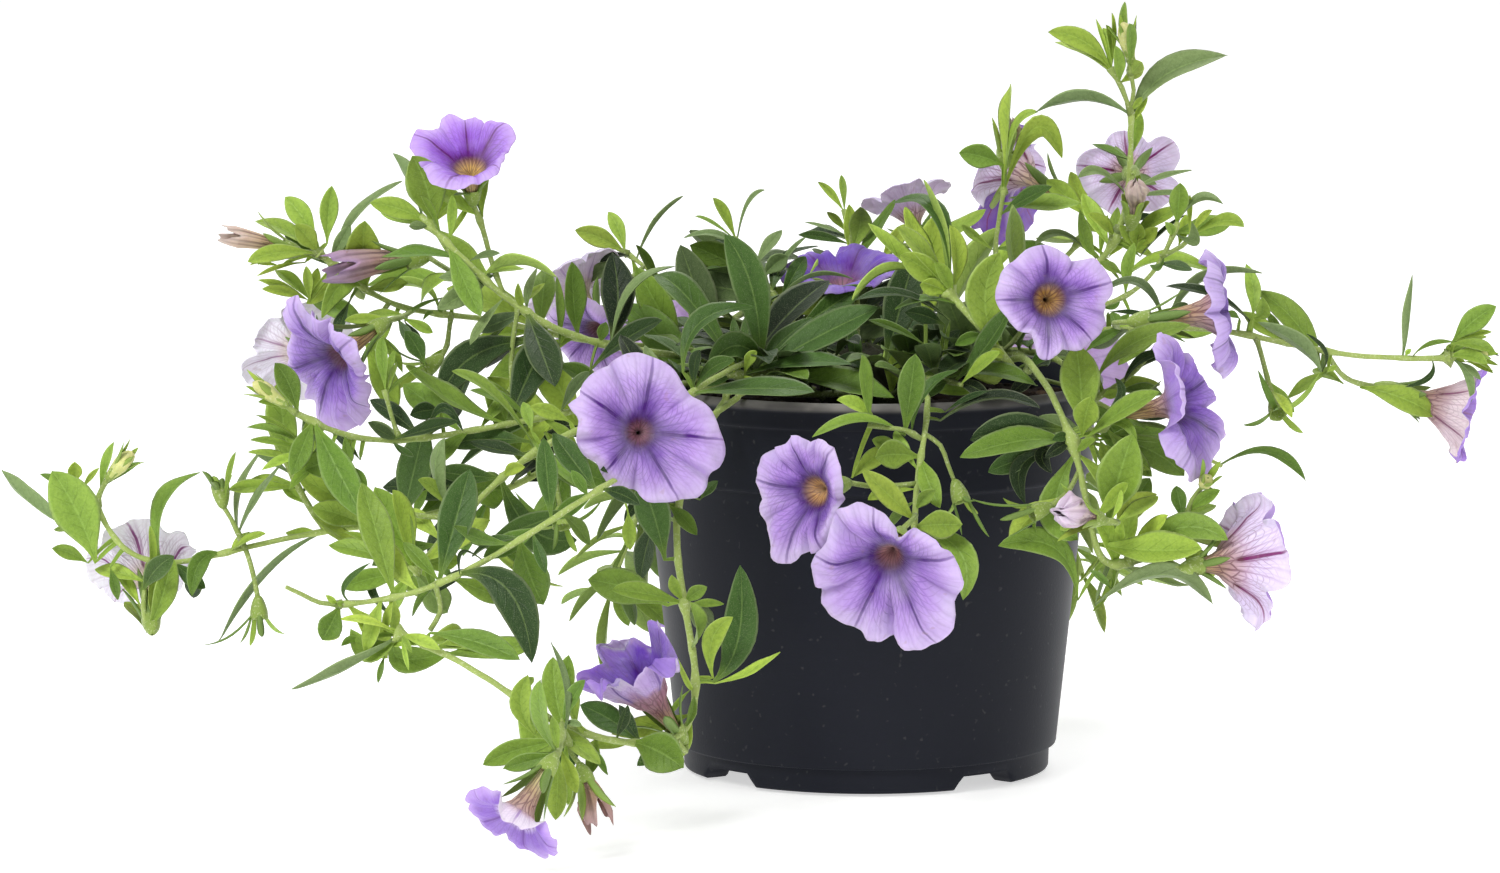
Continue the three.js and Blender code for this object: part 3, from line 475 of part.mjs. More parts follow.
    leaves: [
      [[0.04, -60.88, 84.72], [-1.04, -61.44, 93.49], [-1.93, -67, 100.94], 4.64, [0.765, -0.623, -0.166]],
      [[7.43, -59.31, 82.48], [8.7, -64.62, 93.11], [9.49, -70, 101.52], 6.15, [-0.066, -0.892, -0.448]],
      [[7.74, -59.24, 82.39], [-1.86, -63.25, 86.27], [-12.73, -66, 82.91], 4.09, [0.136, -0.411, 0.901]],
      [[8.88, -59, 82.04], [11.9, -58.3, 91.56], [19.15, -55, 96.2], 3.11, [-0.491, -0.595, 0.636]],
      [[11.98, -55.31, 85.65], [26.04, -58.91, 90.54], [36.78, -63.31, 88.91], 4.42, [-0.268, -0.303, 0.915], [15.25, -55.31, 85.25]],
      [[10.89, -60.95, 77.86], [5.1, -64.43, 78.94], [1.13, -67.64, 78.53], 6.59, [0.624, -0.766, 0.155]],
      [[10.89, -60.95, 77.86], [12.34, -65.65, 73.57], [15, -69.22, 67.81], 4.4, [-0.224, -0.833, 0.506]],
      [[9.58, -67.19, 64.79], [4.55, -71.78, 70.35], [-2.02, -77.28, 77.2], 5.08, [0.615, -0.778, -0.127]],
      [[9.45, -67.77, 63.37], [14.54, -71.82, 64.55], [19.63, -75.77, 65.01], 6.15, [-0.619, -0.784, 0.045]],
      [[9.45, -67.77, 63.37], [19.3, -72.05, 58.58], [19.87, -77, 48.81], 6.15, [-0.224, -0.875, 0.429]],
      [[3.81, -19.63, 93.22], [7.16, -17.4, 105.5], [10.54, -14.32, 117.68], 8, [-0.027, -0.975, 0.218]],
      [[10.64, -41.86, 90.77], [16.74, -40.35, 90.15], [22.73, -38.96, 89.59], 3.91, [0.001, -0.791, 0.611]],
    ],
  },
  {
    name: "shoot_crown_middle",
    stems: [
      [0.65, 0.47, [[4.07, -11.5, 84.3], [11.04, -30.01, 90.97], [14.4, -36.87, 91.99], [20.22, -47, 91.91]]],
    ],
    calyces: [
    ],
    buds: [
    ],
    leaves: [
      [[12.72, -33.44, 91.48], [6.34, -35.36, 102.77], [-0.25, -37.45, 105.12], 2.76, [0.496, -0.531, 0.687], [12.36, -33.45, 99.11]],
      [[15.84, -39.37, 91.97], [7.79, -41.65, 111.12], [-3.2, -44.4, 110.34], 4.2, [0.29, -0.308, 0.906], [17.72, -39.4, 105.35]],
      [[14.93, -37.79, 91.98], [12.35, -41.19, 106.46], [7.75, -44.8, 107.74], 3.96, [0.587, -0.803, -0.104], [16.66, -37.8, 104.05]],
      [[12.72, -33.44, 91.48], [3.48, -36.15, 116.02], [-3.8, -39.45, 109.77], 3.43, [-0.451, 0.683, 0.574], [12.32, -33.45, 115.28]],
      [[19.92, -46.48, 91.91], [23.96, -50.71, 96.6], [28.29, -55, 100.15], 3.79, [-0.812, -0.489, 0.319]],
      [[5.07, -14.16, 85.26], [5.94, -15.68, 93.02], [6.61, -18.06, 100.27], 5.3, [-0.26, -0.851, -0.457]],
      [[15.89, -39.46, 91.97], [26.01, -46.24, 94.71], [36.72, -47.6, 91.85], 6.28, [-0.119, -0.409, 0.905]],
      [[18.48, -43.96, 91.93], [25.76, -47.6, 100.96], [30.54, -49.81, 109.47], 6.25, [-0.726, -0.619, 0.298]],
    ],
  },
  {
    name: "shoot_right_cluster",
    stems: [
      [0.98, 0.7, [[11.04, -5.2, 84.3], [15.56, -7.33, 86.1], [21.82, -12.22, 91.89], [26.04, -16.61, 94.77], [27.98, -19.48, 95.6], [31.53, -25.54, 96.4], [34.1, -31.62, 96.12], [35.01, -37.14, 94.9], [33.78, -41.76, 93.41], [32.4, -43.49, 94.02], [29.14, -43.72, 98.2], [17.3, -38, 111.37]]],
      [0.55, 0.62, [[29.18, -21.53, 95.87], [33.2, -35.96, 101.62], [35.52, -47.51, 110.87], [36.34, -51.4, 111.28]]],
    ],
    calyces: [
      [[36.34, -51.4, 111.28], [0.205, -0.973, 0.102], CUP_R, 4.8, [[34.78, -63.81, 110.72], [39.45, -63.14, 107.23], [42.36, -60.79, 112.11], [40.94, -60.94, 118.91], [35.59, -61.97, 116.04]]],
    ],
    buds: [
    ],
    leaves: [
      [[17.68, -38.18, 110.95], [7.81, -39.8, 118.2], [-0.35, -42, 127.03], 6.38, [0.647, -0.41, 0.643]],
      [[17.68, -38.18, 110.95], [11.61, -35.75, 120.84], [7.9, -33, 129.61], 5.6, [0.57, -0.662, 0.487]],
      [[17.68, -38.18, 110.95], [12.19, -42.04, 119.97], [5.92, -47, 126.68], 5.61, [0.77, -0.597, 0.228]],
      [[17.68, -38.18, 110.95], [16.02, -34.4, 123.57], [12.12, -30, 135.27], 4.63, [0.94, 0.318, 0.122]],
      [[17.68, -38.18, 110.95], [19.42, -40.25, 119.13], [17.58, -43, 126.69], 4.13, [0.505, -0.817, -0.278]],
      [[17.68, -38.18, 110.95], [12.05, -42.24, 116.86], [6.59, -47.06, 120.54], 5.49, [0.483, -0.826, -0.29]],
      [[17.68, -38.18, 110.95], [14.51, -32.6, 128.9], [5.15, -26, 129.77], 6.14, [0.401, -0.509, 0.762], [17.72, -38, 115.13]],
      [[28.42, -43.37, 99.01], [25.21, -46.17, 110.54], [28.36, -49.47, 121.24], 8.79, [-0.024, -0.965, -0.263]],
      [[31.78, -43.53, 94.82], [27.49, -43.09, 95], [22.51, -42.41, 93.27], 6.59, [-0.575, 0.789, -0.217]],
      [[34.39, -39.46, 94.15], [38.22, -42.89, 98.32], [41.63, -46.87, 101.81], 3.39, [-0.726, -0.685, -0.059]],
      [[35.11, -45.46, 109.23], [31.13, -49.65, 121.08], [30.81, -55.99, 132.62], 8, [0.864, -0.499, -0.066]],
      [[23.98, -14.46, 93.36], [20.49, -24.56, 101.11], [16.33, -30.96, 111.94], 8, [0.12, -0.76, -0.639]],
    ],
  },
  {
    name: "shoot_right_front",
    stems: [
      [0.87, 0.63, [[6.93, -9.05, 88.2], [9.97, -13.02, 90], [22.91, -28.97, 93.24], [32.49, -40.22, 96.97], [34.56, -43.25, 96.79], [36.3, -46.68, 95.08], [39.38, -52.83, 90.96], [41.97, -57.77, 85.89], [45.1, -62.33, 76.81], [47.28, -63.61, 67.03], [49.92, -62.53, 56.79], [52.09, -61.57, 54.58], [56.65, -60, 54.65]]],
      [0.65, 0.55, [[56.08, -60.2, 54.64], [69.23, -60, 64.33]]],
      [0.55, 0.47, [[68.75, -60.01, 63.97], [70.01, -61.33, 68.48], [72.35, -62, 71.64]]],
      [0.55, 0.6, [[45.44, -62.53, 75.3], [42.9, -64.67, 70.69], [38.93, -66.67, 67.89]]],
      [0.55, 0.62, [[48.14, -63.26, 63.7], [53.48, -69.53, 64.69], [50.46, -72, 65.57]]],
      [0.55, 0.62, [[56.49, -60.19, 54.94], [63, -63.84, 56.08], [67.6, -67.25, 54.44]]],
    ],
    calyces: [
      [[38.93, -66.67, 67.89], [-0.879, -0.362, -0.31], EMPTY_CUP_R, 4.6, [[21.84, -73.19, 70.32], [28.79, -64.19, 69.31], [30.58, -71.19, 61.96], [36.37, -66.19, 61.47], [27.88, -74.19, 65.88]]],
      [[72.3, -63, 71.78], [0.242, -0.788, 0.567], BUD_CUP_R, 1.71, [[72.33, -69.18, 75.27], [74.19, -70.77, 73.36], [76.21, -68.44, 74.7], [75.92, -66.44, 77.7], [71.95, -68.25, 78.42]]],
      [[50.46, -72, 65.57], [-0.756, -0.616, 0.22], CUP_R, 4, [[40.17, -77.85, 61.73], [45.22, -83.86, 65.3], [45.41, -81.48, 71.68], [40.83, -76.3, 74.22], [39.33, -74.16, 67.75]]],
      [[67.6, -67.25, 54.44], [0.938, 0.343, 0.06], CUP_R, 4.8, [[80.5, -69.12, 57.16], [80.98, -65.57, 50.04], [79, -59.57, 51.49], [76.29, -58.55, 57.49], [78.76, -64.28, 61.96]]],
    ],
    buds: [
      [[72.35, -63.16, 71.89], [73.22, -66, 73.94], 1.7],
    ],
    leaves: [
      [[43.17, -59.52, 82.4], [45.8, -58.26, 92.92], [44.84, -54.9, 101.67], 8.79, [-0.048, -0.963, 0.263], [46.27, -59.9, 83.65]],
      [[43.53, -60.04, 81.36], [46.75, -63.41, 87.46], [47.69, -67.31, 91.82], 5.71, [-0.179, -0.809, -0.56], [46.04, -60.42, 82.4]],
      [[43.68, -60.25, 80.94], [33.51, -64.68, 82.08], [19.3, -69.63, 79.01], 6.86, [0.178, -0.627, 0.758]],
      [[42.76, -58.93, 83.59], [32.43, -61.73, 84.13], [21.58, -64.21, 82.02], 7.47, [0.207, -0.966, 0.153]],
      [[43.85, -60.51, 80.44], [54.1, -64.63, 88.23], [62.56, -68.88, 93.11], 5.72, [-0.655, -0.541, 0.527], [46.68, -60.88, 81.58]],
      [[44.32, -61.19, 79.07], [48.88, -63.6, 75.02], [51.91, -65.1, 69.67], 3.54, [0.383, -0.633, 0.673]],
      [[44.48, -61.43, 78.6], [40.31, -64.36, 67.79], [45.01, -67.66, 60.58], 7.69, [-0.05, -0.948, 0.315]],
      [[43.95, -60.66, 80.14], [33.03, -59.68, 75.94], [33.77, -58.03, 67.36], 3.91, [-0.433, -0.9, 0.044], [41.24, -61.03, 79.41]],
      [[43.73, -60.34, 80.77], [32.19, -58.47, 76.88], [25.74, -55.72, 73.87], 4.84, [-0.354, -0.935, 0.007], [39.08, -60.72, 79.37]],
      [[48.14, -63.26, 63.68], [53.66, -66.65, 73.58], [56.69, -70.5, 84.15], 9.23, [-0.158, -0.943, -0.294], [51.66, -63.5, 64.38]],
      [[48.16, -63.25, 63.61], [52.5, -67.04, 69.24], [55.63, -71.36, 73.57], 3.69, [-0.83, -0.556, 0.038]],
      [[51.09, -62.01, 55.6], [40.09, -65.66, 58.54], [27.58, -70.06, 59.61], 6.31, [0.589, -0.727, 0.353], [45.28, -62.06, 46.59]],
      [[53.29, -61.16, 54.6], [52.51, -62.35, 59.26], [48.18, -67.94, 65.89], 4.56, [0.672, -0.718, -0.182], [52.91, -60.89, 51.92]],
      [[55.69, -60.33, 54.64], [56.21, -58.86, 61.35], [57.39, -56.31, 67.13], 3.96, [-0.015, -0.948, 0.319]],
      [[57.62, -60.17, 55.77], [56.3, -56.4, 65.15], [62.81, -52, 68.52], 4.84, [0.263, -0.83, 0.492], [54.44, -60, 59.49]],
      [[56.08, -60.2, 54.64], [59.94, -63.27, 60.87], [64.53, -67.14, 65.99], 4.24, [-0.794, -0.558, 0.239]],
      [[56.08, -60.2, 54.64], [66.88, -63.74, 62.66], [77.54, -68.14, 60.65], 6.36, [-0.423, -0.771, 0.477]],
      [[52.09, -61.57, 54.58], [63.44, -64.27, 52.85], [74.4, -67.57, 46.53], 7.05, [0.108, 0.605, 0.789], [49, -61.57, 45.41]],
      [[49.35, -62.76, 58.99], [60.86, -68.64, 58.53], [71.41, -76.22, 60.1], 8, [-0.414, -0.639, 0.649]],
      [[66.38, -60.04, 62.23], [70.88, -59.49, 56.06], [75.18, -55.78, 50.89], 4.58, [0.065, -0.951, -0.302]],
      [[41.45, -65.4, 69.67], [34.5, -65.14, 65.21], [30.29, -58.99, 57.89], 5.74, [-0.71, -0.602, 0.365]],
      [[54.13, -60.87, 54.61], [52.56, -56.64, 48.2], [48.97, -52.8, 42.75], 3.99, [-0.938, -0.163, 0.305]],
      [[54.13, -60.87, 54.61], [61.71, -54.02, 50.05], [70.27, -47.38, 47.8], 7.79, [0.433, -0.085, 0.897]],
      [[64.29, -60.07, 60.69], [72.97, -50.58, 58.94], [81.16, -44.27, 55.98], 6.2, [0.559, -0.484, 0.673]],
      [[46.28, -63.02, 71.5], [48.21, -59.71, 67.13], [50.45, -56.29, 62.73], 4.3, [0.892, -0.448, 0.056]],
      [[66.38, -60.04, 62.23], [71.02, -57.17, 64.87], [75.68, -53.57, 66.23], 3.8, [0.006, -0.531, 0.848]],
      [[53.03, -69, 64.61], [57.83, -66.26, 66.97], [62.59, -63.68, 69.57], 4.12, [-0.099, -0.58, 0.809]],
    ],
  },
  {
    name: "shoot_right_mid",
    stems: [
      [0.76, 0.55, [[11.07, -2.74, 88.2], [15.92, -3.95, 90], [26.24, -12.02, 94.68], [33.6, -20.14, 96.34], [40.36, -28.9, 95.86], [44.01, -34.44, 94.06], [46.54, -39.3, 90.95], [47.86, -43.28, 86.64], [48.26, -48, 78.8]]],
      [0.55, 0.47, [[47.61, -42.52, 87.46], [55.33, -45.03, 90.41], [62.42, -46.7, 100.25]]],
      [0.55, 0.62, [[48.11, -46.23, 81.73], [51.5, -48.65, 82.19], [52.53, -51.45, 85.01]]],
    ],
    calyces: [
      [[52.53, -51.45, 85.01], [0.824, -0.503, 0.261], CUP_R, 4.8, [[60.2, -63.7, 84.3], [65.98, -57.38, 83.23], [66.08, -51.54, 88.99], [63.5, -56.91, 94.09], [59.32, -62.93, 92.51]]],
    ],
    buds: [
    ],
    leaves: [
      [[51.26, -43.71, 88.86], [46.18, -47.57, 95.81], [41.95, -50.7, 97.43], 5.49, [0.535, -0.831, -0.151], [50.07, -44.7, 93.17]],
      [[51.26, -43.71, 88.86], [56.88, -48.3, 100.88], [69.76, -52.7, 105.8], 6.72, [-0.588, -0.589, 0.554], [49.85, -44.7, 93.17]],
      [[51.38, -43.75, 88.9], [57.13, -42.73, 91.3], [63.84, -40.71, 91.13], 3.77, [0.132, -0.637, 0.759]],
      [[48.17, -46.94, 80.56], [61.55, -44.76, 77.27], [69.17, -42.01, 71.14], 6.15, [0.252, -0.968, -0.014], [50.48, -47.01, 80.66]],
      [[48.21, -47.42, 79.76], [59.99, -43.45, 80.56], [69.47, -39.46, 79.23], 5.57, [0.292, -0.641, 0.71], [50.47, -47.46, 79.83]],
      [[48.23, -47.69, 79.31], [59.47, -31.81, 64.96], [62.29, -29, 68.95], 4.84, [0.125, -0.889, 0.44], [57.26, -34, 60.27]],
      [[23.84, -10.15, 93.59], [13.44, -3.19, 97.49], [2.99, 3.52, 101.32], 6.83, [-0.121, -0.62, 0.775]],
      [[48.18, -47.05, 80.38], [42.7, -45.37, 82.26], [37.18, -45.75, 84.84], 4.2, [0.014, -0.944, 0.328]],
      [[51.7, -49.2, 82.75], [56.35, -47.54, 77], [61.85, -47.74, 71.8], 5.13, [0.405, -0.877, 0.258]],
    ],
  },
  {
    name: "shoot_right_far",
    stems: [
      [0.76, 0.55, [[9.5, 1.37, 92], [14.45, 2.09, 93.8], [17.61, 1.69, 94.79], [23.89, 0.49, 96.6], [30.07, -1.74, 98.04], [36.11, -5.12, 99.02], [56.88, -19.87, 101.01], [69.92, -25.22, 101.93], [80.72, -27.09, 101.12], [105.45, -27.97, 96.42], [128.45, -28, 95.56]]],
      [0.55, 0.6, [[85.58, -27.26, 100.2], [86.86, -28.81, 97.44], [89.22, -31.48, 86.65]]],
      [0.55, 0.6, [[127.85, -28, 95.58], [131.01, -29, 97.02]]],
      [0.55, 0.62, [[101.09, -27.81, 97.25], [104.44, -24.35, 89.54], [108.68, -20.77, 88.2], [112.78, -17.3, 87.93]]],
      [0.55, 0.62, [[55.9, -19.17, 100.92], [53.19, -39.21, 105.02], [57.03, -40.35, 105.02]]],
    ],
    calyces: [
      [[89.22, -31.48, 86.65], [0.204, -0.764, -0.612], EMPTY_CUP_R, 4.6, [[85.39, -39.69, 94.32], [99.59, -30.69, 92.77], [82.3, -37.69, 81.89], [95.82, -32.69, 79.46], [89.35, -40.69, 86.04]]],
      [[131.01, -29, 97.02], [0.872, -0.475, -0.119], BUD_CUP_R, 2.84, [[136.88, -36.46, 96.45], [137.61, -33.53, 93.37], [138.9, -30.89, 94.29], [138.87, -31.5, 96.98], [137.43, -33.52, 98.3]]],
      [[112.78, -17.3, 87.93], [0.952, -0.14, -0.271], CUP_R, 4.8, [[124.52, -25.64, 86.84], [125.68, -22.02, 79.36], [123.15, -13.38, 79.94], [127.14, -14, 86.74], [127.81, -20.27, 90.01]]],
      [[57.03, -40.35, 105.02], [0.988, -0.1, 0.12], CUP_R, 4.8, [[70.21, -46.89, 108.04], [69.25, -44.33, 101.03], [71.66, -36.95, 101.01], [70.66, -36.7, 107.79], [68.91, -41.76, 112.21]]],
    ],
    buds: [
      [[131.18, -29.09, 97], [136.52, -32, 96.27], 1.7],
    ],
    leaves: [
      [[66.06, -23.64, 101.66], [73.2, -26.23, 112.7], [86.73, -28.98, 114.56], 4.55, [-0.255, 0.576, 0.777]],
      [[83.67, -27.19, 100.56], [76.32, -30.5, 109.63], [65.33, -34.35, 112.28], 4.15, [0.479, -0.322, 0.816], [84.25, -27.35, 103.93]],
      [[83.94, -27.2, 100.51], [85.21, -25.12, 109.68], [83.55, -22.37, 115.83], 3.3, [-0.088, -0.91, 0.405], [84.68, -27.37, 104.83]],
      [[100.81, -27.8, 97.3], [95.02, -24.78, 102.52], [86.11, -20.93, 109.87], 6.26, [0.166, -0.859, 0.483], [99.99, -27.93, 92.66]],
      [[100.85, -27.81, 97.29], [95.1, -31.08, 99.04], [85.59, -34.93, 104.38], 5.39, [0.271, 0.652, 0.709], [99.99, -27.93, 92.44]],
      [[117.85, -27.99, 95.96], [118.96, -29.8, 104.22], [119.59, -32, 114.45], 3.64, [-0.852, 0.489, 0.184]],
      [[128.3, -28.14, 95.79], [133.05, -30.76, 103.9], [137.99, -34, 107.81], 5.27, [-0.409, -0.894, -0.183], [128.86, -28, 98.9]],
      [[65.82, -23.54, 101.64], [60.18, -21.19, 111.24], [51.02, -17.89, 108.63], 3.23, [0.154, -0.505, 0.849]],
      [[109.12, -20.4, 88.17], [117.86, -24.68, 86.39], [125.83, -21.5, 81.92], 5.84, [0.187, -0.937, 0.294]],
      [[59.64, -21, 101.2], [69.75, -17.19, 101.78], [80.46, -14.68, 102.68], 7.05, [0.279, -0.933, 0.228]],
      [[102.93, -25.91, 93.02], [97.49, -26.38, 89.9], [92.68, -26.16, 86.29], 3.65, [-0.458, -0.538, 0.707]],
      [[66.83, -23.95, 101.71], [60.85, -28.44, 99.07], [55.07, -29.86, 94.18], 3.96, [-0.02, -0.792, 0.61]],
      [[125.64, -28, 95.67], [130.84, -25.85, 97.86], [135.29, -21.91, 99.23], 4.17, [0.352, -0.825, 0.442]],
    ],
  },
  {
    name: "shoot_right_tail",
    stems: [
      [0.55, 0.4, [[7.67, -5.77, 92], [11.67, -8.77, 93.8], [24.43, -17.98, 92.39], [44.81, -29.77, 89.55], [45.33, -30.07, 88.52], [52.05, -33.48, 85.61], [59.09, -35.98, 82.34], [66.42, -37.39, 78.7], [77.72, -38, 72.83]]],
    ],
    calyces: [
    ],
    buds: [
    ],
    leaves: [
      [[77.19, -37.97, 73.11], [87.67, -40.7, 76.29], [95.86, -44, 70.3], 3.66, [-0.033, -0.471, 0.882]],
      [[57.29, -35.34, 83.18], [63.26, -35.81, 84.05], [68.76, -37.55, 85.9], 4.11, [-0.279, -0.766, 0.579]],
      [[48.44, -31.65, 87.17], [53.8, -35.12, 80.49], [58.85, -34.38, 72.78], 5.98, [0.078, -0.969, 0.234]],
    ],
  },
  {
    name: "shoot_right_high",
    stems: [
      [0.76, 0.55, [[9.2, 6.73, 88.2], [13.24, 9.68, 90], [25.84, 15.66, 97.63], [42.71, 22.51, 104.34], [48.76, 24.59, 107.47], [53.6, 26.07, 111.64], [56.93, 26.93, 116.95], [58.82, 27.23, 123.22], [59.67, 27.07, 130.14], [59.98, 26, 145.05]]],
      [0.55, 0.47, [[59.97, 26.04, 144.45], [57.92, 26, 150.5], [55.18, 26, 155.03]]],
      [0.55, 0.47, [[59.79, 26.04, 144.98], [60.63, 26, 150.04], [59.71, 26, 154.12]]],
      [0.55, 0.6, [[59.84, 26, 153.53], [59.88, 25, 156.48]]],
      [0.55, 0.62, [[57.26, 26.98, 118.06], [59.96, 22, 119.1]]],
      [0.55, 0.62, [[58.91, 27.21, 123.98], [59.89, 26.63, 126.12], [60.36, 27.03, 130.73]]],
    ],
    calyces: [
      [[59.88, 25, 156.48], [-0.198, -0.301, 0.933], BUD_CUP_R, 4.2, [[54.44, 22.41, 164.69], [56.96, 20.68, 165.67], [60.18, 19.23, 165.6], [61.02, 23.02, 167.26], [57.21, 23.22, 167.37]]],
      [[59.96, 22, 119.1], [0.073, -0.265, 0.961], CUP_R, 4, [[57.75, 17.37, 125.82], [62.5, 16.78, 125.53], [64.09, 21.18, 125.19], [60.91, 22.92, 127.32], [57.93, 21.23, 126.97]]],
      [[60.36, 27.03, 130.73], [-0.02, 0.998, -0.061], CUP_R, 4.8, [[66.33, 38.74, 127.41], [59.92, 39.65, 124.59], [53.22, 39.31, 127.9], [56.87, 39.82, 136.11], [65.39, 39.53, 135.74]]],
    ],
    buds: [
      [[59.84, 24.94, 156.67], [57.9, 22, 165.79], 1.7],
    ],
    leaves: [
      [[59.97, 26.05, 144.36], [49.48, 23.81, 148.43], [38.12, 21.06, 145.51], 5.89, [-0.094, 0.584, 0.807]],
      [[59.96, 26.08, 143.91], [67.77, 29.25, 153.15], [82.21, 33.1, 157.36], 7.21, [-0.197, -0.7, 0.687]],
      [[55.5, 26, 154.5], [49.42, 23.75, 161.12], [40.97, 21, 163.61], 4.84, [0.296, -0.954, -0.048]],
      [[59.85, 25.82, 154.06], [57.77, 25.98, 164.06], [58.33, 22, 170.31], 3.01, [0.672, -0.729, -0.13]],
      [[59.85, 25.82, 154.06], [59.61, 20.55, 161.46], [59.17, 17.62, 165.81], 3.26, [0.665, -0.668, -0.334]],
      [[57.3, 26.99, 118.19], [64.8, 24.32, 120.22], [71.64, 21.02, 123.98], 3.88, [-0.628, -0.646, 0.433], [60.63, 27.02, 116.97]],
      [[53.16, 25.94, 111.26], [66.59, 22.8, 111.74], [77.73, 18.95, 109.66], 5.78, [-0.243, -0.327, 0.913], [57.7, 25.95, 106.83]],
      [[55.95, 26, 153.76], [49.83, 26.58, 158.22], [42.85, 28.24, 160.72], 4.25, [0.359, -0.447, 0.819]],
      [[55.31, 26.51, 114.36], [52.33, 30.76, 119.64], [49.39, 33.94, 125.79], 4.46, [0.175, -0.786, 0.592]],
    ],
  },
  {
    name: "shoot_right_back",
    stems: [
      [0.76, 0.55, [[5.83, 7.62, 92], [13.81, 16.74, 97.11], [21.91, 24.1, 101.15], [34.04, 32.41, 104.87], [42.55, 37.12, 108.32], [48.76, 40.51, 113.99], [52.6, 43, 121.68]]],
      [0.55, 0.47, [[31.51, 30.67, 104.09], [28.88, 32, 108.51], [31.5, 32, 126.71]]],
      [0.55, 0.62, [[52.34, 42.83, 121.16], [46.67, 43.19, 122.46]]],
      [0.55, 0.62, [[31.41, 32, 126.12], [31.65, 38, 131.13]]],
    ],
    calyces: [
      [[46.67, 43.19, 122.46], [-0.602, 0.722, 0.341], CUP_R, 4.8, [[38.58, 53.87, 120.61], [33.06, 50.25, 123], [36.66, 49.08, 131.36], [41.9, 54.05, 133.11], [45.49, 56.82, 125.65]]],
      [[31.65, 38, 131.13], [0.11, -0.129, 0.986], CUP_R, 4, [[28.93, 33.73, 141.72], [34.22, 30.68, 141.45], [38.22, 36.92, 141.22], [34.8, 42.22, 141.49], [28.91, 39.76, 142.59]]],
    ],
    buds: [
    ],
    leaves: [
      [[31.43, 32.38, 126.44], [26.34, 29.57, 134.59], [21.14, 27, 135.64], 5.27, [0.434, -0.9, -0.036], [31.25, 32, 132.41]],
      [[31.43, 32.38, 126.44], [38.56, 34.7, 140.59], [44.84, 38, 133.42], 4.84, [0.282, -0.924, 0.257]],
      [[31.43, 32.38, 126.44], [32.41, 32.47, 143.18], [32.92, 37, 150.18], 5.89, [-0.901, -0.405, 0.156], [31.49, 32, 128.99]],
      [[31.43, 32.38, 126.44], [33.89, 28.42, 141.29], [39.02, 28, 144.86], 3.41, [-0.873, -0.379, 0.306], [31.72, 32, 128.99]],
      [[31.06, 32, 123.64], [39.94, 31.45, 123.39], [48.86, 30.2, 123.87], 5.18, [-0.077, -0.675, 0.733]],
      [[13.96, 16.87, 97.18], [3.01, 21.75, 97.27], [-6.92, 31.3, 95.01], 8, [-0.58, -0.64, 0.504]],
      [[30.69, 32, 121.07], [35.98, 28.49, 124.88], [42.08, 25.57, 128.15], 4.45, [-0.634, -0.578, 0.514]],
      [[51.28, 42.15, 119.05], [46.12, 42.26, 124.22], [41.57, 45.19, 127.61], 4.66, [-0.221, -0.815, 0.535]],
      [[29.58, 32, 113.35], [37.04, 36.74, 112.51], [44.26, 41.95, 111.15], 4.88, [0.491, -0.588, 0.643]],
      [[13.96, 16.87, 97.18], [14.46, 14.72, 110], [14.9, 12.03, 122.72], 7.8, [-0.113, -0.977, -0.181]],
      [[31.56, 35.83, 129.32], [30.9, 41.55, 124.73], [29.24, 47.79, 120.86], 4.07, [-0.722, 0.302, 0.622]],
      [[51.28, 42.15, 119.05], [49.1, 42.94, 124.56], [47.16, 46, 129.49], 3.64, [-0.163, -0.947, 0.275]],
      [[29.37, 29.21, 103.44], [32.3, 33.72, 96.14], [35.7, 39.57, 90.12], 5.34, [0.16, 0.747, 0.645]],
      [[29.03, 31.92, 108.25], [31.52, 36.72, 111.05], [33.52, 40.4, 115.47], 3.74, [-0.246, -0.55, 0.799]],
      [[49.05, 40.7, 114.58], [44.34, 48.27, 113.25], [39.56, 55.91, 113.16], 5.67, [-0.022, 0.077, 0.997]],
    ],
  },
  {
    name: "shoot_right_inner",
    stems: [
      [0.65, 0.47, [[11.04, 5.19, 84.3], [15.57, 7.31, 86.1], [21.09, 9.49, 93.69], [28.66, 11.51, 98.55], [34.97, 12.54, 100.09], [48.65, 13.27, 101.68], [57.77, 12.91, 104.39], [64.49, 12.4, 110.09], [70.1, 12, 121.53]]],
      [0.55, 0.47, [[66.19, 12.28, 113.56], [73.27, 12, 118.36]]],
    ],
    calyces: [
    ],
    buds: [
    ],
    leaves: [
      [[69.82, 12.02, 120.96], [70.16, 10.01, 126.1], [70.25, 7.01, 130.85], 4.4, [-0.065, -0.893, -0.445]],
      [[72.77, 12.02, 118.02], [79.85, 9.3, 122.04], [84.62, 6, 121.03], 3.61, [-0.44, -0.699, 0.564]],
      [[68.92, 12.08, 119.12], [75.82, 15.33, 119.95], [82.64, 18.23, 121.09], 5.08, [0.3, -0.821, 0.485]],
    ],
  },
  {
    name: "shoot_back_left",
    stems: [
      [0.76, 0.55, [[-6.47, 10.35, 84.3], [-9.11, 14.59, 86.1], [-14.27, 22.02, 92.69], [-19.73, 29.69, 97.33], [-25.41, 37.35, 98.4], [-30.84, 44.35, 95.2], [-35.64, 50.27, 88.39], [-41.16, 56.73, 76.32], [-50.11, 66.48, 53.14], [-59.1, 75.65, 28]]],
      [0.55, 0.62, [[-42.42, 58.1, 73.05], [-43.23, 61.84, 76.42], [-44.02, 65.48, 78.14]]],
    ],
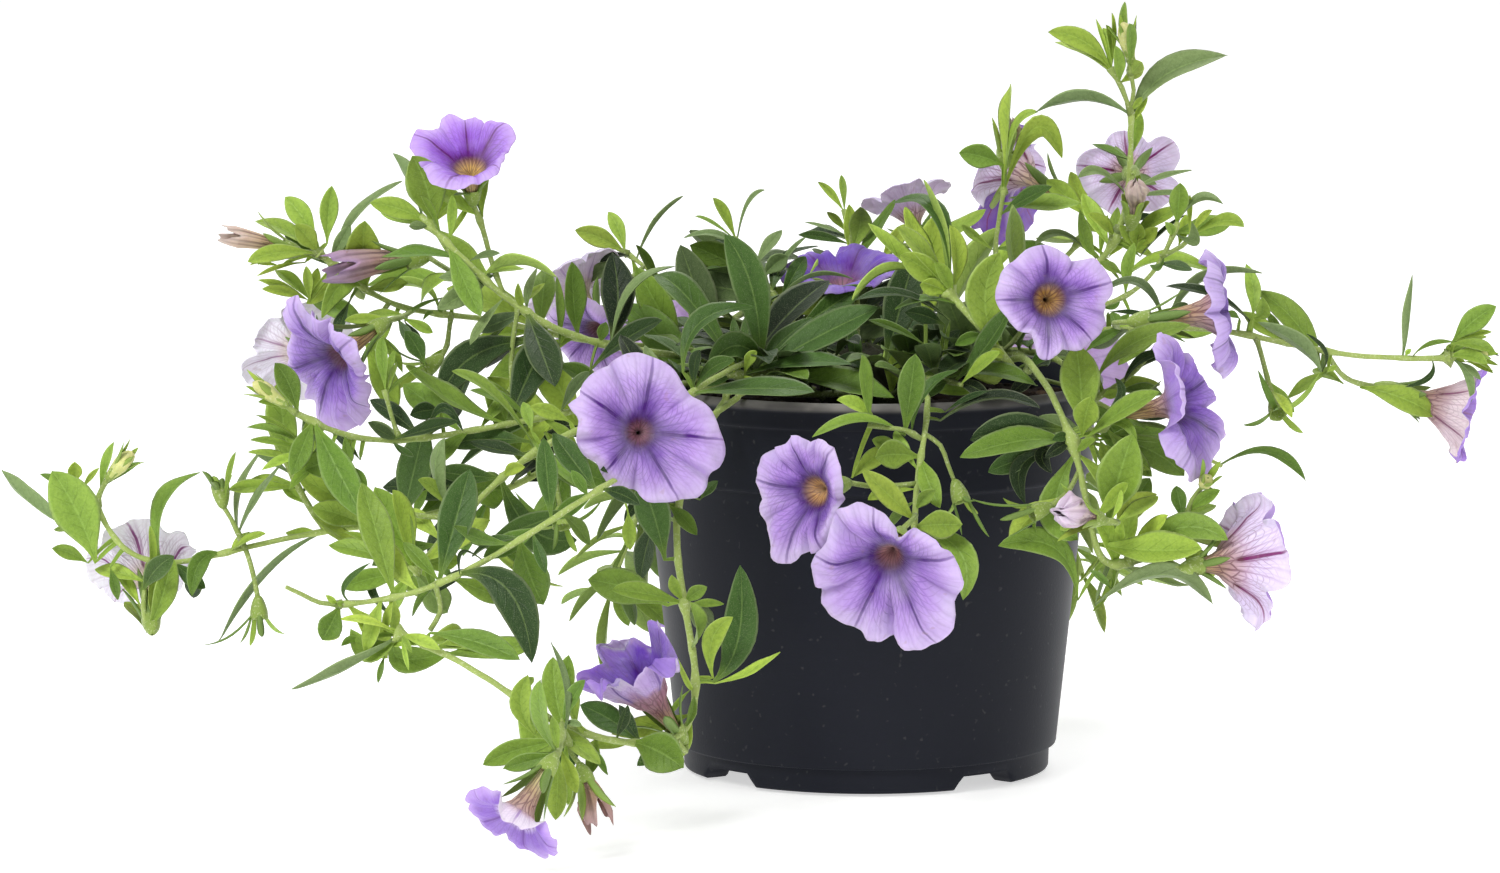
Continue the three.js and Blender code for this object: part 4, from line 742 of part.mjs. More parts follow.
    calyces: [
      [[-44.02, 65.48, 78.14], [-0.203, 0.946, 0.254], CUP_R, 4.8, [[-40.24, 80.88, 77.56], [-48.52, 77.5, 74.22], [-54.65, 77.17, 81.76], [-49.06, 76.76, 86.88], [-43.04, 77.63, 85.64]]],
    ],
    buds: [
    ],
    leaves: [
      [[-10.81, 17.04, 88.27], [-12.39, 29.78, 87.75], [-14.4, 42.22, 84.98], 7.49, [-0.184, 0.104, 0.977]],
      [[-13.42, 20.79, 91.6], [-11.6, 23.84, 101.89], [-10.12, 28.1, 112.05], 7.22, [-0.822, 0.566, 0.055]],
      [[-15.89, 24.29, 94.06], [-27.85, 26.34, 96.22], [-39.74, 29.17, 95.77], 7.13, [0.059, 0.291, 0.955]],
      [[-19.25, 29.02, 96.92], [-15.73, 37.92, 100.32], [-12.81, 47.58, 101.46], 5.89, [-0.482, -0.044, 0.875]],
      [[-21.96, 32.7, 97.75], [-29.89, 33.32, 108.71], [-39.89, 35.28, 117.1], 7.66, [0.53, 0.747, 0.401]],
      [[-24.68, 36.36, 98.26], [-30.97, 43.87, 88.17], [-35.97, 49.78, 77.24], 7.99, [-0.47, 0.61, 0.637]],
      [[-28.2, 40.95, 96.75], [-28.29, 51.13, 103.62], [-29.02, 62.6, 106.81], 6.92, [-0.67, -0.321, 0.669]],
      [[-30.8, 44.3, 95.22], [-42.08, 43.01, 94.46], [-52.82, 42.56, 90.71], 3.96, [-0.206, 0.599, 0.774]],
      [[-33.13, 47.18, 91.95], [-28.23, 53.08, 85.72], [-24.55, 58.16, 77.94], 3.48, [-0.329, 0.839, 0.434]],
      [[-35.76, 50.41, 88.14], [-43.17, 57.55, 90.85], [-50.75, 64.95, 90.09], 6.16, [0.161, 0.034, 0.986]],
      [[-37.92, 52.94, 83.4], [-41.46, 47.41, 74.53], [-44.48, 43.32, 64.52], 6.51, [-0.919, 0.376, 0.117]],
      [[-40.22, 55.63, 78.37], [-37.55, 65.35, 76.17], [-35.5, 74.09, 71.2], 5.95, [-0.544, 0.427, 0.722]],
      [[-42.66, 58.37, 72.43], [-54.64, 59.12, 70.82], [-65.57, 60.11, 65.75], 7.01, [-0.192, 0.578, 0.793]],
      [[-44.76, 60.66, 66.99], [-40.6, 60.21, 58.85], [-37.58, 60.02, 50.11], 5.36, [-0.33, 0.926, -0.184]],
      [[-46.51, 62.56, 62.45], [-49.94, 70.14, 62.33], [-53.24, 77.12, 59.67], 4.74, [-0.345, 0.026, 0.938]],
      [[-48.36, 64.57, 57.67], [-55.48, 59.66, 51.29], [-61.51, 55.93, 43.14], 6.27, [-0.781, 0.451, 0.432]],
      [[-50.64, 67.02, 51.66], [-45.74, 74.01, 45.49], [-42.04, 79.92, 37.61], 3.66, [-0.435, 0.781, 0.448]],
      [[-50.64, 67.02, 51.66], [-58.08, 70.64, 50.93], [-64.92, 74.08, 47.78], 4.8, [-0.057, 0.391, 0.918]],
      [[-51.73, 68.13, 48.62], [-50.98, 63.83, 38.77], [-50.65, 60.75, 28.38], 6.29, [-0.851, 0.475, -0.222]],
      [[-51.73, 68.13, 48.62], [-52.15, 75.68, 46.88], [-52.7, 82.35, 43.1], 4.46, [-0.558, 0.271, 0.784]],
      [[-52.96, 69.39, 45.17], [-60.44, 67.97, 42], [-66.88, 66.92, 36.95], 2.87, [-0.495, 0.575, 0.651]],
      [[-52.96, 69.39, 45.17], [-48.64, 71.52, 38.28], [-45.46, 73.32, 30.65], 4.91, [-0.335, 0.939, 0.073]],
      [[-54.18, 70.63, 41.76], [-59.22, 76.44, 41.02], [-63.84, 81.69, 38.03], 4.41, [-0.209, 0.151, 0.966]],
      [[-55.42, 71.9, 38.29], [-53.33, 78.38, 34.64], [-51.77, 83.82, 29.46], 4.46, [-0.548, 0.606, 0.577]],
      [[-55.42, 71.9, 38.29], [-63.65, 73.62, 36.34], [-70.93, 75.26, 32.11], 4.97, [-0.216, 0.536, 0.816]],
      [[-56.63, 73.13, 34.91], [-54.5, 71.87, 28], [-53.02, 71.03, 20.79], 4.3, [-0.607, 0.747, -0.271]],
      [[-56.63, 73.13, 34.91], [-58.96, 80.04, 33.44], [-61.14, 86.16, 29.98], 4.27, [-0.479, 0.166, 0.862]],
      [[-57.59, 74.11, 32.22], [-63.37, 71.47, 27.79], [-68.22, 69.5, 22.06], 4.5, [-0.699, 0.525, 0.487]],
      [[-57.59, 74.11, 32.22], [-53.2, 78.97, 25.38], [-49.96, 83, 17.44], 5.5, [-0.432, 0.855, 0.287]],
      [[-58.87, 75.42, 28.63], [-64.93, 79.56, 27.35], [-70.4, 83.35, 24.04], 4.31, [-0.149, 0.325, 0.934]],
      [[-58.87, 75.42, 28.63], [-59.92, 71.35, 20.15], [-60.95, 68.45, 11.19], 5.49, [-0.897, 0.437, -0.068]],
      [[-16.71, 25.44, 94.76], [-5.15, 37.06, 89.68], [7.62, 46.07, 86.67], 8, [0.343, -0.709, 0.617]],
      [[-41.83, 57.46, 74.6], [-30.99, 64.68, 74.55], [-20.45, 72.26, 73.76], 8, [0.351, -0.462, 0.814]],
      [[-33.75, 47.94, 91.07], [-42.15, 48.53, 87.79], [-50.34, 49.23, 84.12], 5.97, [-0.249, -0.864, 0.438]],
      [[-57.97, 74.5, 31.15], [-50.7, 74.44, 25.77], [-44.43, 76.18, 19.45], 6.04, [0.444, -0.801, 0.402]],
    ],
  },
  {
    name: "shoot_back_mid",
    stems: [
      [0.76, 0.55, [[0.62, 11.38, 88.2], [0.52, 26.85, 94.93], [0.62, 37.14, 97.41], [0.99, 43.6, 96.73], [1.24, 46.62, 95.58], [1.81, 52.09, 91.76], [2.12, 54.57, 89.17], [2.73, 58.89, 82.98], [4, 66.16, 68.49], [6.32, 76.74, 42.54], [9.2, 87.52, 12]]],
      [0.55, 0.62, [[5.99, 75.26, 46.18], [6.6, 79.39, 48.86], [7.22, 83.45, 49.91]]],
    ],
    calyces: [
      [[7.22, 83.45, 49.91], [0.151, 0.987, 0.05], CUP_R, 4.8, [[16.18, 95.02, 47.31], [10.01, 96.48, 43.34], [2.25, 96.66, 48.26], [5.96, 97.11, 56.24], [13.3, 96.43, 56.86]]],
    ],
    buds: [
    ],
    leaves: [
      [[0.57, 19.61, 91.78], [8.02, 30.73, 90.45], [14.47, 41.68, 86.99], 7.76, [-0.093, 0.322, 0.942]],
      [[0.54, 24.06, 93.72], [1.07, 31.34, 103.52], [1.64, 36.45, 112.51], 5.89, [-0.196, 0.968, -0.159]],
      [[0.54, 28.92, 95.43], [-8.74, 38.82, 93.67], [-17, 48.86, 89.25], 7.96, [0.094, 0.377, 0.921]],
      [[0.6, 34.75, 96.83], [10.68, 40.57, 100.96], [20.76, 47.64, 101.86], 7.16, [-0.42, 0.348, 0.838]],
      [[0.76, 39.5, 97.16], [-5.3, 45.43, 105.36], [-11.88, 53.22, 110.94], 6.75, [0.812, 0.206, 0.546]],
      [[1.19, 46.04, 95.8], [2.51, 47.72, 89.35], [3.59, 49.44, 77.71], 5.64, [0.133, 0.94, 0.313]],
      [[1.58, 49.93, 93.27], [8.3, 59.27, 98.06], [15.14, 69.48, 98.83], 7.14, [-0.57, 0.175, 0.802]],
      [[2.06, 54.06, 89.7], [-8.73, 59.65, 85.74], [-17.9, 65.21, 78.81], 4.45, [0.064, 0.754, 0.654]],
      [[2.44, 56.8, 85.97], [12.82, 54.96, 78.65], [21.4, 53.94, 69.07], 7.48, [0.497, 0.758, 0.423]],
      [[2.81, 59.36, 82.04], [2, 72.32, 83.44], [1.33, 85, 80.63], 7.54, [0.213, 0.067, 0.975]],
      [[3.19, 61.5, 77.78], [-2.17, 58.07, 69.62], [-6.34, 55.59, 60.31], 3.65, [-0.495, 0.868, -0.034]],
      [[3.6, 63.86, 73.07], [13.39, 68.72, 70.78], [22.01, 73.23, 65.4], 6.45, [-0.008, 0.654, 0.756]],
      [[4.09, 66.57, 67.48], [-1.59, 72.76, 65.36], [-6.45, 78.39, 60.96], 5.01, [0.225, 0.618, 0.753]],
      [[4.63, 69.03, 61.45], [7.68, 63.98, 53.79], [10.16, 60.2, 45.09], 5.68, [0.79, 0.609, -0.065]],
      [[5.12, 71.28, 55.92], [9.33, 80.32, 54.97], [13.18, 88.54, 51.05], 5.73, [-0.065, 0.305, 0.95]],
      [[5.5, 73, 51.7], [-2.72, 73.84, 44.99], [-9.24, 74.7, 36.61], 6.18, [-0.269, 0.896, 0.353]],
      [[6.07, 75.62, 45.29], [14.64, 75.09, 39.89], [21.72, 74.9, 32.61], 5.89, [0.448, 0.736, 0.507]],
      [[6.53, 77.54, 40.26], [4.22, 87.12, 38.05], [2.29, 95.67, 33.13], 5.83, [0.279, 0.409, 0.869]],
      [[6.53, 77.54, 40.26], [4.72, 73.8, 33.46], [3.37, 71.08, 26.05], 4.64, [-0.024, 0.911, -0.412]],
      [[6.82, 78.62, 37.22], [13.87, 84.18, 34.61], [19.98, 89.13, 29.63], 5.4, [-0.001, 0.592, 0.806]],
      [[6.82, 78.62, 37.22], [0.21, 83.44, 32.81], [-5.18, 87.61, 26.53], 3.22, [0.074, 0.807, 0.586]],
      [[7.17, 79.92, 33.52], [11.94, 76.5, 26.97], [15.76, 73.94, 19.36], 5.15, [0.735, 0.658, 0.162]],
      [[7.17, 79.92, 33.52], [8.84, 87.88, 31.92], [10.36, 94.91, 28.05], 4.74, [0.108, 0.326, 0.939]],
      [[7.46, 81.01, 30.44], [1.41, 79.54, 22.77], [-3.25, 78.53, 14.05], 3.46, [-0.337, 0.939, 0.069]],
      [[7.46, 81.01, 30.44], [15.41, 82.83, 26.22], [22.04, 84.47, 20.08], 5.33, [0.272, 0.74, 0.616]],
      [[7.79, 82.25, 26.92], [4.62, 88.47, 24.38], [2.01, 93.78, 20.07], 4.25, [0.27, 0.596, 0.756]],
      [[7.79, 82.25, 26.92], [8.37, 78.11, 19.82], [8.87, 75, 12.08], 4.85, [0.594, 0.737, -0.323]],
      [[8.04, 83.17, 24.32], [13.08, 89.91, 21.97], [17.45, 95.8, 17.39], 5.02, [-0.009, 0.492, 0.871]],
      [[8.04, 83.17, 24.32], [2.15, 85.43, 19.28], [-2.51, 87.34, 12.99], 4.67, [-0.085, 0.911, 0.403]],
      [[8.41, 84.55, 20.43], [14.52, 82.91, 14.71], [19.45, 81.76, 7.79], 4.97, [0.583, 0.737, 0.341]],
      [[8.41, 84.55, 20.43], [8.11, 91.89, 18.35], [7.92, 98.28, 14.33], 4.38, [0.234, 0.405, 0.884]],
      [[8.69, 85.62, 17.38], [5.82, 83.14, 10.93], [3.67, 81.36, 3.94], 4.36, [-0.175, 0.955, -0.241]],
      [[8.69, 85.62, 17.38], [16.63, 89.89, 13.34], [23.3, 93.65, 7.14], 3.43, [0.12, 0.695, 0.709]],
      [[8.97, 86.65, 14.46], [3.55, 92.72, 9.96], [-0.82, 97.91, 3.64], 5.38, [0.188, 0.762, 0.62]],
      [[9.15, 87.32, 12.56], [12.38, 95.25, 9.33], [15.13, 102.02, 4.62], 5.04, [0.065, 0.426, 0.903]],
      [[9.15, 87.32, 12.56], [2.78, 86, 5.09], [-2.18, 88.2, 0.7], 5.74, [-0.192, 0.966, 0.174]],
      [[3.73, 64.61, 71.58], [2.71, 73.4, 76.82], [2.92, 79.67, 84.28], 7.13, [0.351, -0.679, 0.645]],
      [[1, 43.73, 96.68], [3.93, 47.04, 100.75], [6.83, 50.89, 104.34], 3.98, [0.034, -0.743, 0.668]],
    ],
  },
  {
    name: "shoot_back_right",
    stems: [
      [0.76, 0.55, [[5.43, 10.93, 84.3], [7.65, 15.4, 86.1], [12.47, 23.35, 92.7], [17.48, 31.63, 97.35], [22.58, 39.96, 98.44], [27.38, 47.67, 95.32], [31.59, 54.23, 88.66], [36.41, 61.46, 76.86], [44.17, 72.54, 54.34], [51.93, 83.11, 30]]],
      [0.55, 0.62, [[37.51, 63.03, 73.67], [39.33, 66.5, 76.88], [41.12, 69.88, 78.44]]],
    ],
    calyces: [
      [[41.12, 69.88, 78.44], [0.458, 0.865, 0.204], CUP_R, 4.8, [[54.5, 78.35, 79.37], [47.27, 80.8, 73.64], [41.12, 86.09, 79], [43.49, 83.04, 85.55], [48.49, 79.41, 86.16]]],
    ],
    buds: [
    ],
    leaves: [
      [[9.21, 17.97, 88.24], [8.4, 31.41, 88.39], [8.19, 44.72, 86.1], 7.83, [0.208, 0.088, 0.974]],
      [[12.01, 22.59, 92.07], [20.89, 21.26, 98.27], [30.88, 20.69, 102.61], 6.32, [-0.387, 0.488, 0.782]],
      [[14.22, 26.25, 94.33], [9.84, 31.59, 103.03], [5.49, 38.74, 110.05], 6.34, [0.835, -0.092, 0.543]],
      [[16.48, 29.97, 96.42], [24.4, 40.24, 92.19], [31.66, 46.65, 85.73], 7.05, [0.229, 0.39, 0.892]],
      [[19.06, 34.22, 97.69], [24.09, 35.05, 108.41], [30.76, 37.22, 117.55], 6.68, [-0.515, 0.839, 0.179]],
      [[22.17, 39.3, 98.35], [18.45, 48, 98.22], [15.53, 56.68, 95.81], 5.5, [0.418, 0.291, 0.86]],
      [[24.6, 43.2, 97.13], [37.16, 42.99, 93.87], [48.51, 43.58, 87.49], 7.56, [0.313, 0.577, 0.754]],
      [[27.75, 48.25, 94.73], [30.3, 59.06, 100.8], [33.45, 71.03, 103.01], 7.29, [0.413, -0.399, 0.819]],
      [[30.57, 52.64, 90.27], [26.18, 53.53, 79.18], [23.1, 54.67, 67.48], 7.05, [0.264, 0.965, -0.007]],
      [[32.95, 56.26, 85.34], [43.49, 58.43, 85.2], [53.29, 60.73, 81.75], 6.17, [0.019, 0.604, 0.797]],
      [[34.89, 59.18, 80.58], [31.34, 68.69, 78.88], [28.44, 77.32, 74.3], 5.91, [0.508, 0.447, 0.737]],
      [[36.69, 61.86, 76.06], [39.59, 57.18, 68.28], [42.09, 53.83, 59.69], 3.32, [0.886, 0.459, 0.066]],
      [[38.62, 64.62, 70.44], [46.09, 73.05, 71.2], [53.24, 81.14, 68.38], 6.47, [-0.032, 0.157, 0.987]],
      [[40.46, 67.25, 65.1], [34.41, 71.08, 58.16], [29.8, 74.35, 49.91], 5.8, [0.194, 0.937, 0.291]],
      [[41.89, 69.29, 60.95], [50.98, 67.44, 56.6], [58.77, 66.16, 50.04], 5.96, [0.507, 0.624, 0.595]],
      [[43.35, 71.37, 56.72], [43.99, 79.73, 55.84], [44.76, 87.39, 52.53], 4.86, [0.478, 0.185, 0.859]],
      [[43.35, 71.37, 56.72], [41.7, 68.93, 48.73], [40.62, 67.28, 40.4], 4.97, [0.571, 0.768, -0.29]],
      [[44.4, 72.86, 53.61], [52.52, 76.48, 52.55], [59.92, 79.99, 48.95], 3.11, [0.028, 0.505, 0.863]],
      [[44.4, 72.86, 53.61], [40.1, 79.83, 49.25], [36.77, 85.89, 43.06], 5.38, [0.42, 0.708, 0.568]],
      [[45.26, 74.02, 50.92], [49.75, 70.63, 45.1], [53.46, 68.15, 38.3], 4.72, [0.808, 0.52, 0.278]],
      [[45.26, 74.02, 50.92], [48.93, 80.88, 50.59], [52.4, 87.23, 47.92], 4.47, [0.215, 0.108, 0.971]],
      [[46.42, 75.61, 47.28], [42.11, 76.6, 39.9], [38.94, 77.54, 31.89], 5.03, [0.226, 0.974, 0.005]],
      [[46.42, 75.61, 47.28], [56.38, 75.96, 43.8], [65.01, 76.52, 37.8], 3.66, [0.329, 0.641, 0.694]],
      [[47.24, 76.72, 44.72], [45.91, 86.33, 42.06], [44.98, 94.78, 36.84], 5.79, [0.526, 0.4, 0.751]],
      [[47.24, 76.72, 44.72], [48.16, 73.01, 36.23], [49.03, 70.37, 27.24], 5.46, [0.81, 0.571, -0.13]],
      [[48.17, 77.99, 41.8], [56.07, 84.26, 40.73], [63.25, 90.04, 36.73], 5.83, [0.033, 0.359, 0.933]],
      [[48.17, 77.99, 41.8], [42.99, 83.31, 35.37], [39.05, 87.76, 27.54], 5.7, [0.328, 0.867, 0.375]],
      [[49.29, 79.51, 38.29], [55.49, 77.27, 33.36], [60.64, 75.65, 27.1], 4.79, [0.658, 0.604, 0.45]],
      [[49.29, 79.51, 38.29], [51.22, 86.74, 37.19], [53.05, 93.24, 33.97], 4.34, [0.409, 0.176, 0.895]],
      [[50.3, 80.89, 35.11], [47.44, 79.78, 26.44], [45.43, 79.15, 17.42], 5.37, [0.425, 0.881, -0.207]],
      [[50.3, 80.89, 35.11], [58.6, 83.28, 32.78], [65.89, 85.57, 28.17], 5.17, [0.174, 0.596, 0.784]],
      [[51.31, 82.26, 31.96], [48.86, 88.94, 28.37], [47.01, 94.68, 23.17], 4.62, [0.5, 0.61, 0.615]],
      [[51.31, 82.26, 31.96], [54.25, 79.06, 25.38], [56.68, 76.79, 18.21], 4.58, [0.83, 0.547, 0.105]],
      [[35.1, 59.49, 80.07], [25.27, 67.14, 75.81], [13.21, 72.07, 73.96], 7.56, [-0.516, -0.61, 0.602]],
    ],
  },
];

// lobes: [reach, forward lift] of each lobe as shares of the radius; rim, mouth: where the limb and the
// throat are as shares of length and radius; shut: how far the flower is pressed flat
const FLOWERS = [
  {
    name: "flower_on_the_table",
    kind: "open",
    color: [0.83, 0.78, 0.92],
    base: [-67.66, -133.74, 23.28],
    dir: [-0.487, -0.516, -0.705],
    radius: 11.4,
    length: 17.5,
    turn: 6.063,
    rim: 1.05,
    mouth: 0.22,
    shut: 0,
    lobes: [[1, -0.013], [1, 0.063], [1.02, 0.041], [1, -0.023], [0.7, 0.04]],
  },
  {
    name: "flower_withered_low_left",
    kind: "furled",
    color: [0.62, 0.48, 0.44],
    base: [-61.9, -119.28, 18.68],
    dir: [0.28, -0.25, -0.927],
    radius: 3.3,
    length: 10,
    turn: 4.529,
    rim: 1,
    mouth: 0.22,
    shut: 0,
    lobes: [[1.016, -0.053], [1.039, -0.029], [1.01, -0.048], [0.998, -0.009], [0.949, 0.008]],
  },
  {
    name: "flower_crumpled_low_left",
    kind: "open",
    color: [0.56, 0.36, 0.78],
    base: [-40.8, -86.51, 19.91],
    dir: [-0.52, -0.35, 0.779],
    radius: 12.5,
    length: 21.4,
    turn: 5.428,
    rim: 1.12,
    mouth: 0.22,
    shut: 0.35,
    lobes: [[0.991, 0.026], [0.994, 0.294], [1.029, -0.03], [0.971, 0.214], [0.988, 0.072]],
  },
  {
    name: "flower_front_right",
    kind: "open",
    color: [0.7, 0.58, 0.88],
    base: [6.37, -77.67, 63.7],
    dir: [-0.24, -0.901, -0.36],
    radius: 16.8,
    length: 15.9,
    turn: 5.681,
    rim: 1,
    mouth: 0.22,
    shut: 0,
    lobes: [[0.776, 0.065], [0.876, 0.028], [1.098, -0.043], [1.181, -0.05], [0.842, -0.056]],
  },
  {
    name: "flower_front_middle",
    kind: "open",
    color: [0.7, 0.58, 0.88],
    base: [-5.5, -73.14, 73.73],
    dir: [-0.621, -0.781, -0.06],
    radius: 14.6,
    length: 13.9,
    turn: 5.878,
    rim: 1,
    mouth: 0.22,
    shut: 0,
    lobes: [[0.828, -0.055], [0.968, -0.041], [1.11, 0.046], [0.7, 0.038], [0.755, -0.024]],
  },
  {
    name: "flower_furled_right",
    kind: "furled",
    color: [0.86, 0.74, 0.8],
    base: [49.62, -72.68, 65.81],
    dir: [-0.756, -0.616, 0.22],
    radius: 3.74,
    length: 11.88,
    turn: 4.189,
    rim: 1,
    mouth: 0.22,
    shut: 0,
    lobes: [[0.976, 0.056], [1.005, -0.019], [0.96, -0.06], [0.965, -0.035], [0.949, 0.007]],
  },
  {
    name: "flower_low_right_pale",
    kind: "open",
    color: [0.86, 0.82, 0.9],
    base: [68.63, -66.87, 54.51],
    dir: [0.938, 0.343, 0.06],
    radius: 16.6,
    length: 15.9,
    turn: 0.707,
    rim: 1.1,
    mouth: 0.22,
    shut: 0.1,
    lobes: [[1.03, 0.029], [1, -0.021], [0.961, -0.07], [0.983, 0.035], [0.995, 0.077]],
  },
  {
    name: "flower_front_left",
    kind: "open",
    color: [0.7, 0.58, 0.88],
    base: [-50.95, -63.8, 83.51],
    dir: [0.081, -0.987, 0.141],
    radius: 17,
    length: 15.9,
    turn: 0.400,
    rim: 1,
    mouth: 0.22,
    shut: 0,
    lobes: [[0.924, 0.067], [0.735, -0.034], [0.973, -0.032], [1, 0.046], [0.95, -0.057]],
  },
  {
    name: "flower_far_left_white",
    kind: "open",
    color: [0.9, 0.88, 0.94],
    base: [-157.16, -52.91, 38.83],
    dir: [-0.087, 0.804, 0.588],
    radius: 12.6,
    length: 20.5,
    turn: 0.560,
    rim: 1,
    mouth: 0.22,
    shut: 0,
    lobes: [[0.838, -0.056], [0.831, -0.013], [0.973, 0.05], [1.099, 0.08], [1.139, -0.056]],
  },
  {
    name: "flower_right_over_rim",
    kind: "open",
    color: [0.7, 0.58, 0.88],
    base: [36.56, -52.47, 111.39],
    dir: [0.205, -0.973, 0.102],
    radius: 13,
    length: 13.9,
    turn: 5.868,
    rim: 1,
    mouth: 0.22,
    shut: 0,
    lobes: [[0.912, 0.071], [0.931, -0.05], [0.832, 0.03], [0.991, -0.043], [0.988, 0.007]],
  },
  {
    name: "flower_right_middle",
    kind: "open",
    color: [0.7, 0.58, 0.88],
    base: [53.44, -52, 85.29],
    dir: [0.824, -0.502, 0.261],
    radius: 16.6,
    length: 19.9,
    turn: 5.765,
    rim: 1,
    mouth: 0.22,
    shut: 0,
    lobes: [[0.933, 0.069], [0.887, 0.012], [1.036, 0.019], [0.943, 0.021], [0.722, -0.051]],
  },
  {
    name: "flower_right_edge_on",
    kind: "open",
    color: [0.62, 0.48, 0.84],
    base: [58.11, -40.46, 105.15],
    dir: [0.988, -0.1, 0.12],
    radius: 14.2,
    length: 23,
    turn: 3.979,
    rim: 1.06,
    mouth: 0.22,
    shut: 0.12,
    lobes: [[0.941, -0.052], [1.019, -0.056], [0.98, -0.052], [0.992, 0.007], [1.034, -0.019]],
  },
  {
    name: "flower_left_high",
    kind: "open",
    color: [0.7, 0.58, 0.88],
    base: [-106.96, -29.63, 103.48],
    dir: [-0.699, -0.549, -0.459],
    radius: 15.2,
    length: 18.9,
    turn: 0.705,
    rim: 1,
    mouth: 0.22,
    shut: 0,
    lobes: [[0.814, -0.079], [1.265, 0.01], [0.839, 0.068], [1.087, 0.053], [1.128, 0.067]],
  },
  {
    name: "flower_facing_up_left",
    kind: "open",
    color: [0.7, 0.58, 0.88],
    base: [-87.24, -28.89, 130.62],
    dir: [-0.05, -0.52, 0.853],
    radius: 11.8,
    length: 14.5,
    turn: 5.917,
    rim: 1,
    mouth: 0.22,
    shut: 0,
    lobes: [[1.098, -0.04], [1.079, 0.043], [1.213, 0.055], [0.883, -0.019], [0.948, -0.061]],
  },
  {
    name: "flower_left_pale",
    kind: "open",
    color: [0.84, 0.8, 0.93],
    base: [-118.65, -23.19, 92.46],
    dir: [-0.552, 0.804, 0.221],
    radius: 12.4,
    length: 19,
    turn: 6.016,
    rim: 1,
    mouth: 0.22,
    shut: 0,
    lobes: [[0.805, 0.042], [1.266, 0.078], [1.162, -0.021], [1.046, 0.066], [0.742, 0.035]],
  },
  {
    name: "flower_withered_far_left",
    kind: "furled",
    color: [0.8, 0.7, 0.66],
    base: [-126.77, -22.26, 118.72],
    dir: [-0.941, -0.24, 0.239],
    radius: 2.2,
    length: 15.56,
    turn: 4.215,
    rim: 1,
    mouth: 0.22,
    shut: 0,
    lobes: [[0.966, 0.025], [1.013, 0.022], [0.996, -0.027], [0.977, -0.053], [1.003, 0.04]],
  },
  {
    name: "flower_left_behind_leaf",
    kind: "furled",
    color: [0.55, 0.4, 0.62],
    base: [-98.51, -20.33, 116.95],
    dir: [-0.973, -0.205, -0.102],
    radius: 3.4,
    length: 19.5,
    turn: 4.241,
    rim: 1,
    mouth: 0.22,
    shut: 0,
    lobes: [[0.954, 0.065], [0.941, -0.046], [1.018, 0.062], [0.996, -0.067], [0.973, 0.072]],
  },
  {
    name: "flower_far_right",
    kind: "open",
    color: [0.6, 0.5, 0.8],
    base: [113.83, -17.45, 87.63],
    dir: [0.952, -0.14, -0.271],
    radius: 12.6,
    length: 21.4,
    turn: 3.953,
    rim: 1.06,
    mouth: 0.22,
    shut: 0.12,
    lobes: [[0.943, -0.01], [0.973, 0.047], [1.002, -0.057], [0.964, 0.048], [1.025, 0.045]],
  },
  {
    name: "flower_withered_top_right",
    kind: "furled",
    color: [0.8, 0.7, 0.66],
    base: [60.04, 21.71, 120.16],
    dir: [0.073, -0.265, 0.961],
    radius: 2.6,
    length: 10,
    turn: 5.829,
    rim: 1,
    mouth: 0.22,
    shut: 0,
    lobes: [[0.964, -0.065], [0.997, 0.073], [1.02, 0.029], [1.02, -0.048], [1.019, 0.04]],
  },
  {
    name: "flower_over_rim_pale",
    kind: "open",
    color: [0.84, 0.8, 0.93],
    base: [-60.17, 22.91, 97.28],
    dir: [-0.5, 0.55, 0.669],
    radius: 11.5,
    length: 12.9,
    turn: 0.977,
    rim: 1,
    mouth: 0.22,
    shut: 0,
    lobes: [[0.979, -0.014], [0.986, -0.07], [1.036, -0.014], [1.023, -0.04], [1.034, 0.008]],
  },
  {
    name: "flower_over_rim_behind",
    kind: "open",
    color: [0.7, 0.58, 0.88],
    base: [-55.98, 23.68, 100.97],
    dir: [-0.488, -0.766, -0.418],
    radius: 11,
    length: 13.9,
    turn: 4.163,
    rim: 1,
    mouth: 0.22,
    shut: 0,
    lobes: [[0.992, -0.053], [0.994, 0.057], [0.977, 0.057], [1.004, 0.032], [0.964, -0.024]],
  },
  {
    name: "flower_top_right_seen_from_behind",
    kind: "open",
    color: [0.86, 0.82, 0.9],
    base: [60.34, 28.13, 130.66],
    dir: [-0.02, 0.998, -0.061],
    radius: 12.2,
    length: 13.9,
    turn: 0.414,
    rim: 1.1,
    mouth: 0.22,
    shut: 0.1,
    lobes: [[0.992, -0.05], [0.959, 0.042], [0.882, -0.041], [0.947, -0.057], [0.833, 0.039]],
  },
  {
    name: "flower_top_middle",
    kind: "open",
    color: [0.7, 0.58, 0.88],
    base: [-4.9, 23.71, 99.47],
    dir: [-0.101, -0.281, 0.954],
    radius: 13.8,
    length: 12.9,
    turn: 5.428,
    rim: 1,
    mouth: 0.22,
    shut: 0,
    lobes: [[1.029, 0.068], [0.947, -0.062], [0.951, -0.036], [0.943, 0.004], [0.979, -0.025]],
  },
  {
    name: "flower_withered_top_middle",
    kind: "furled",
    color: [0.8, 0.7, 0.66],
    base: [31.77, 37.86, 132.21],
    dir: [0.11, -0.129, 0.986],
    radius: 2.4,
    length: 10,
    turn: 6.048,
    rim: 1,
    mouth: 0.22,
    shut: 0,
    lobes: [[0.987, -0.026], [1.024, -0.054], [0.979, 0.016], [1.038, -0.062], [0.989, 0.072]],
  },
  {
    name: "flower_top_faded",
    kind: "open",
    color: [0.72, 0.68, 0.78],
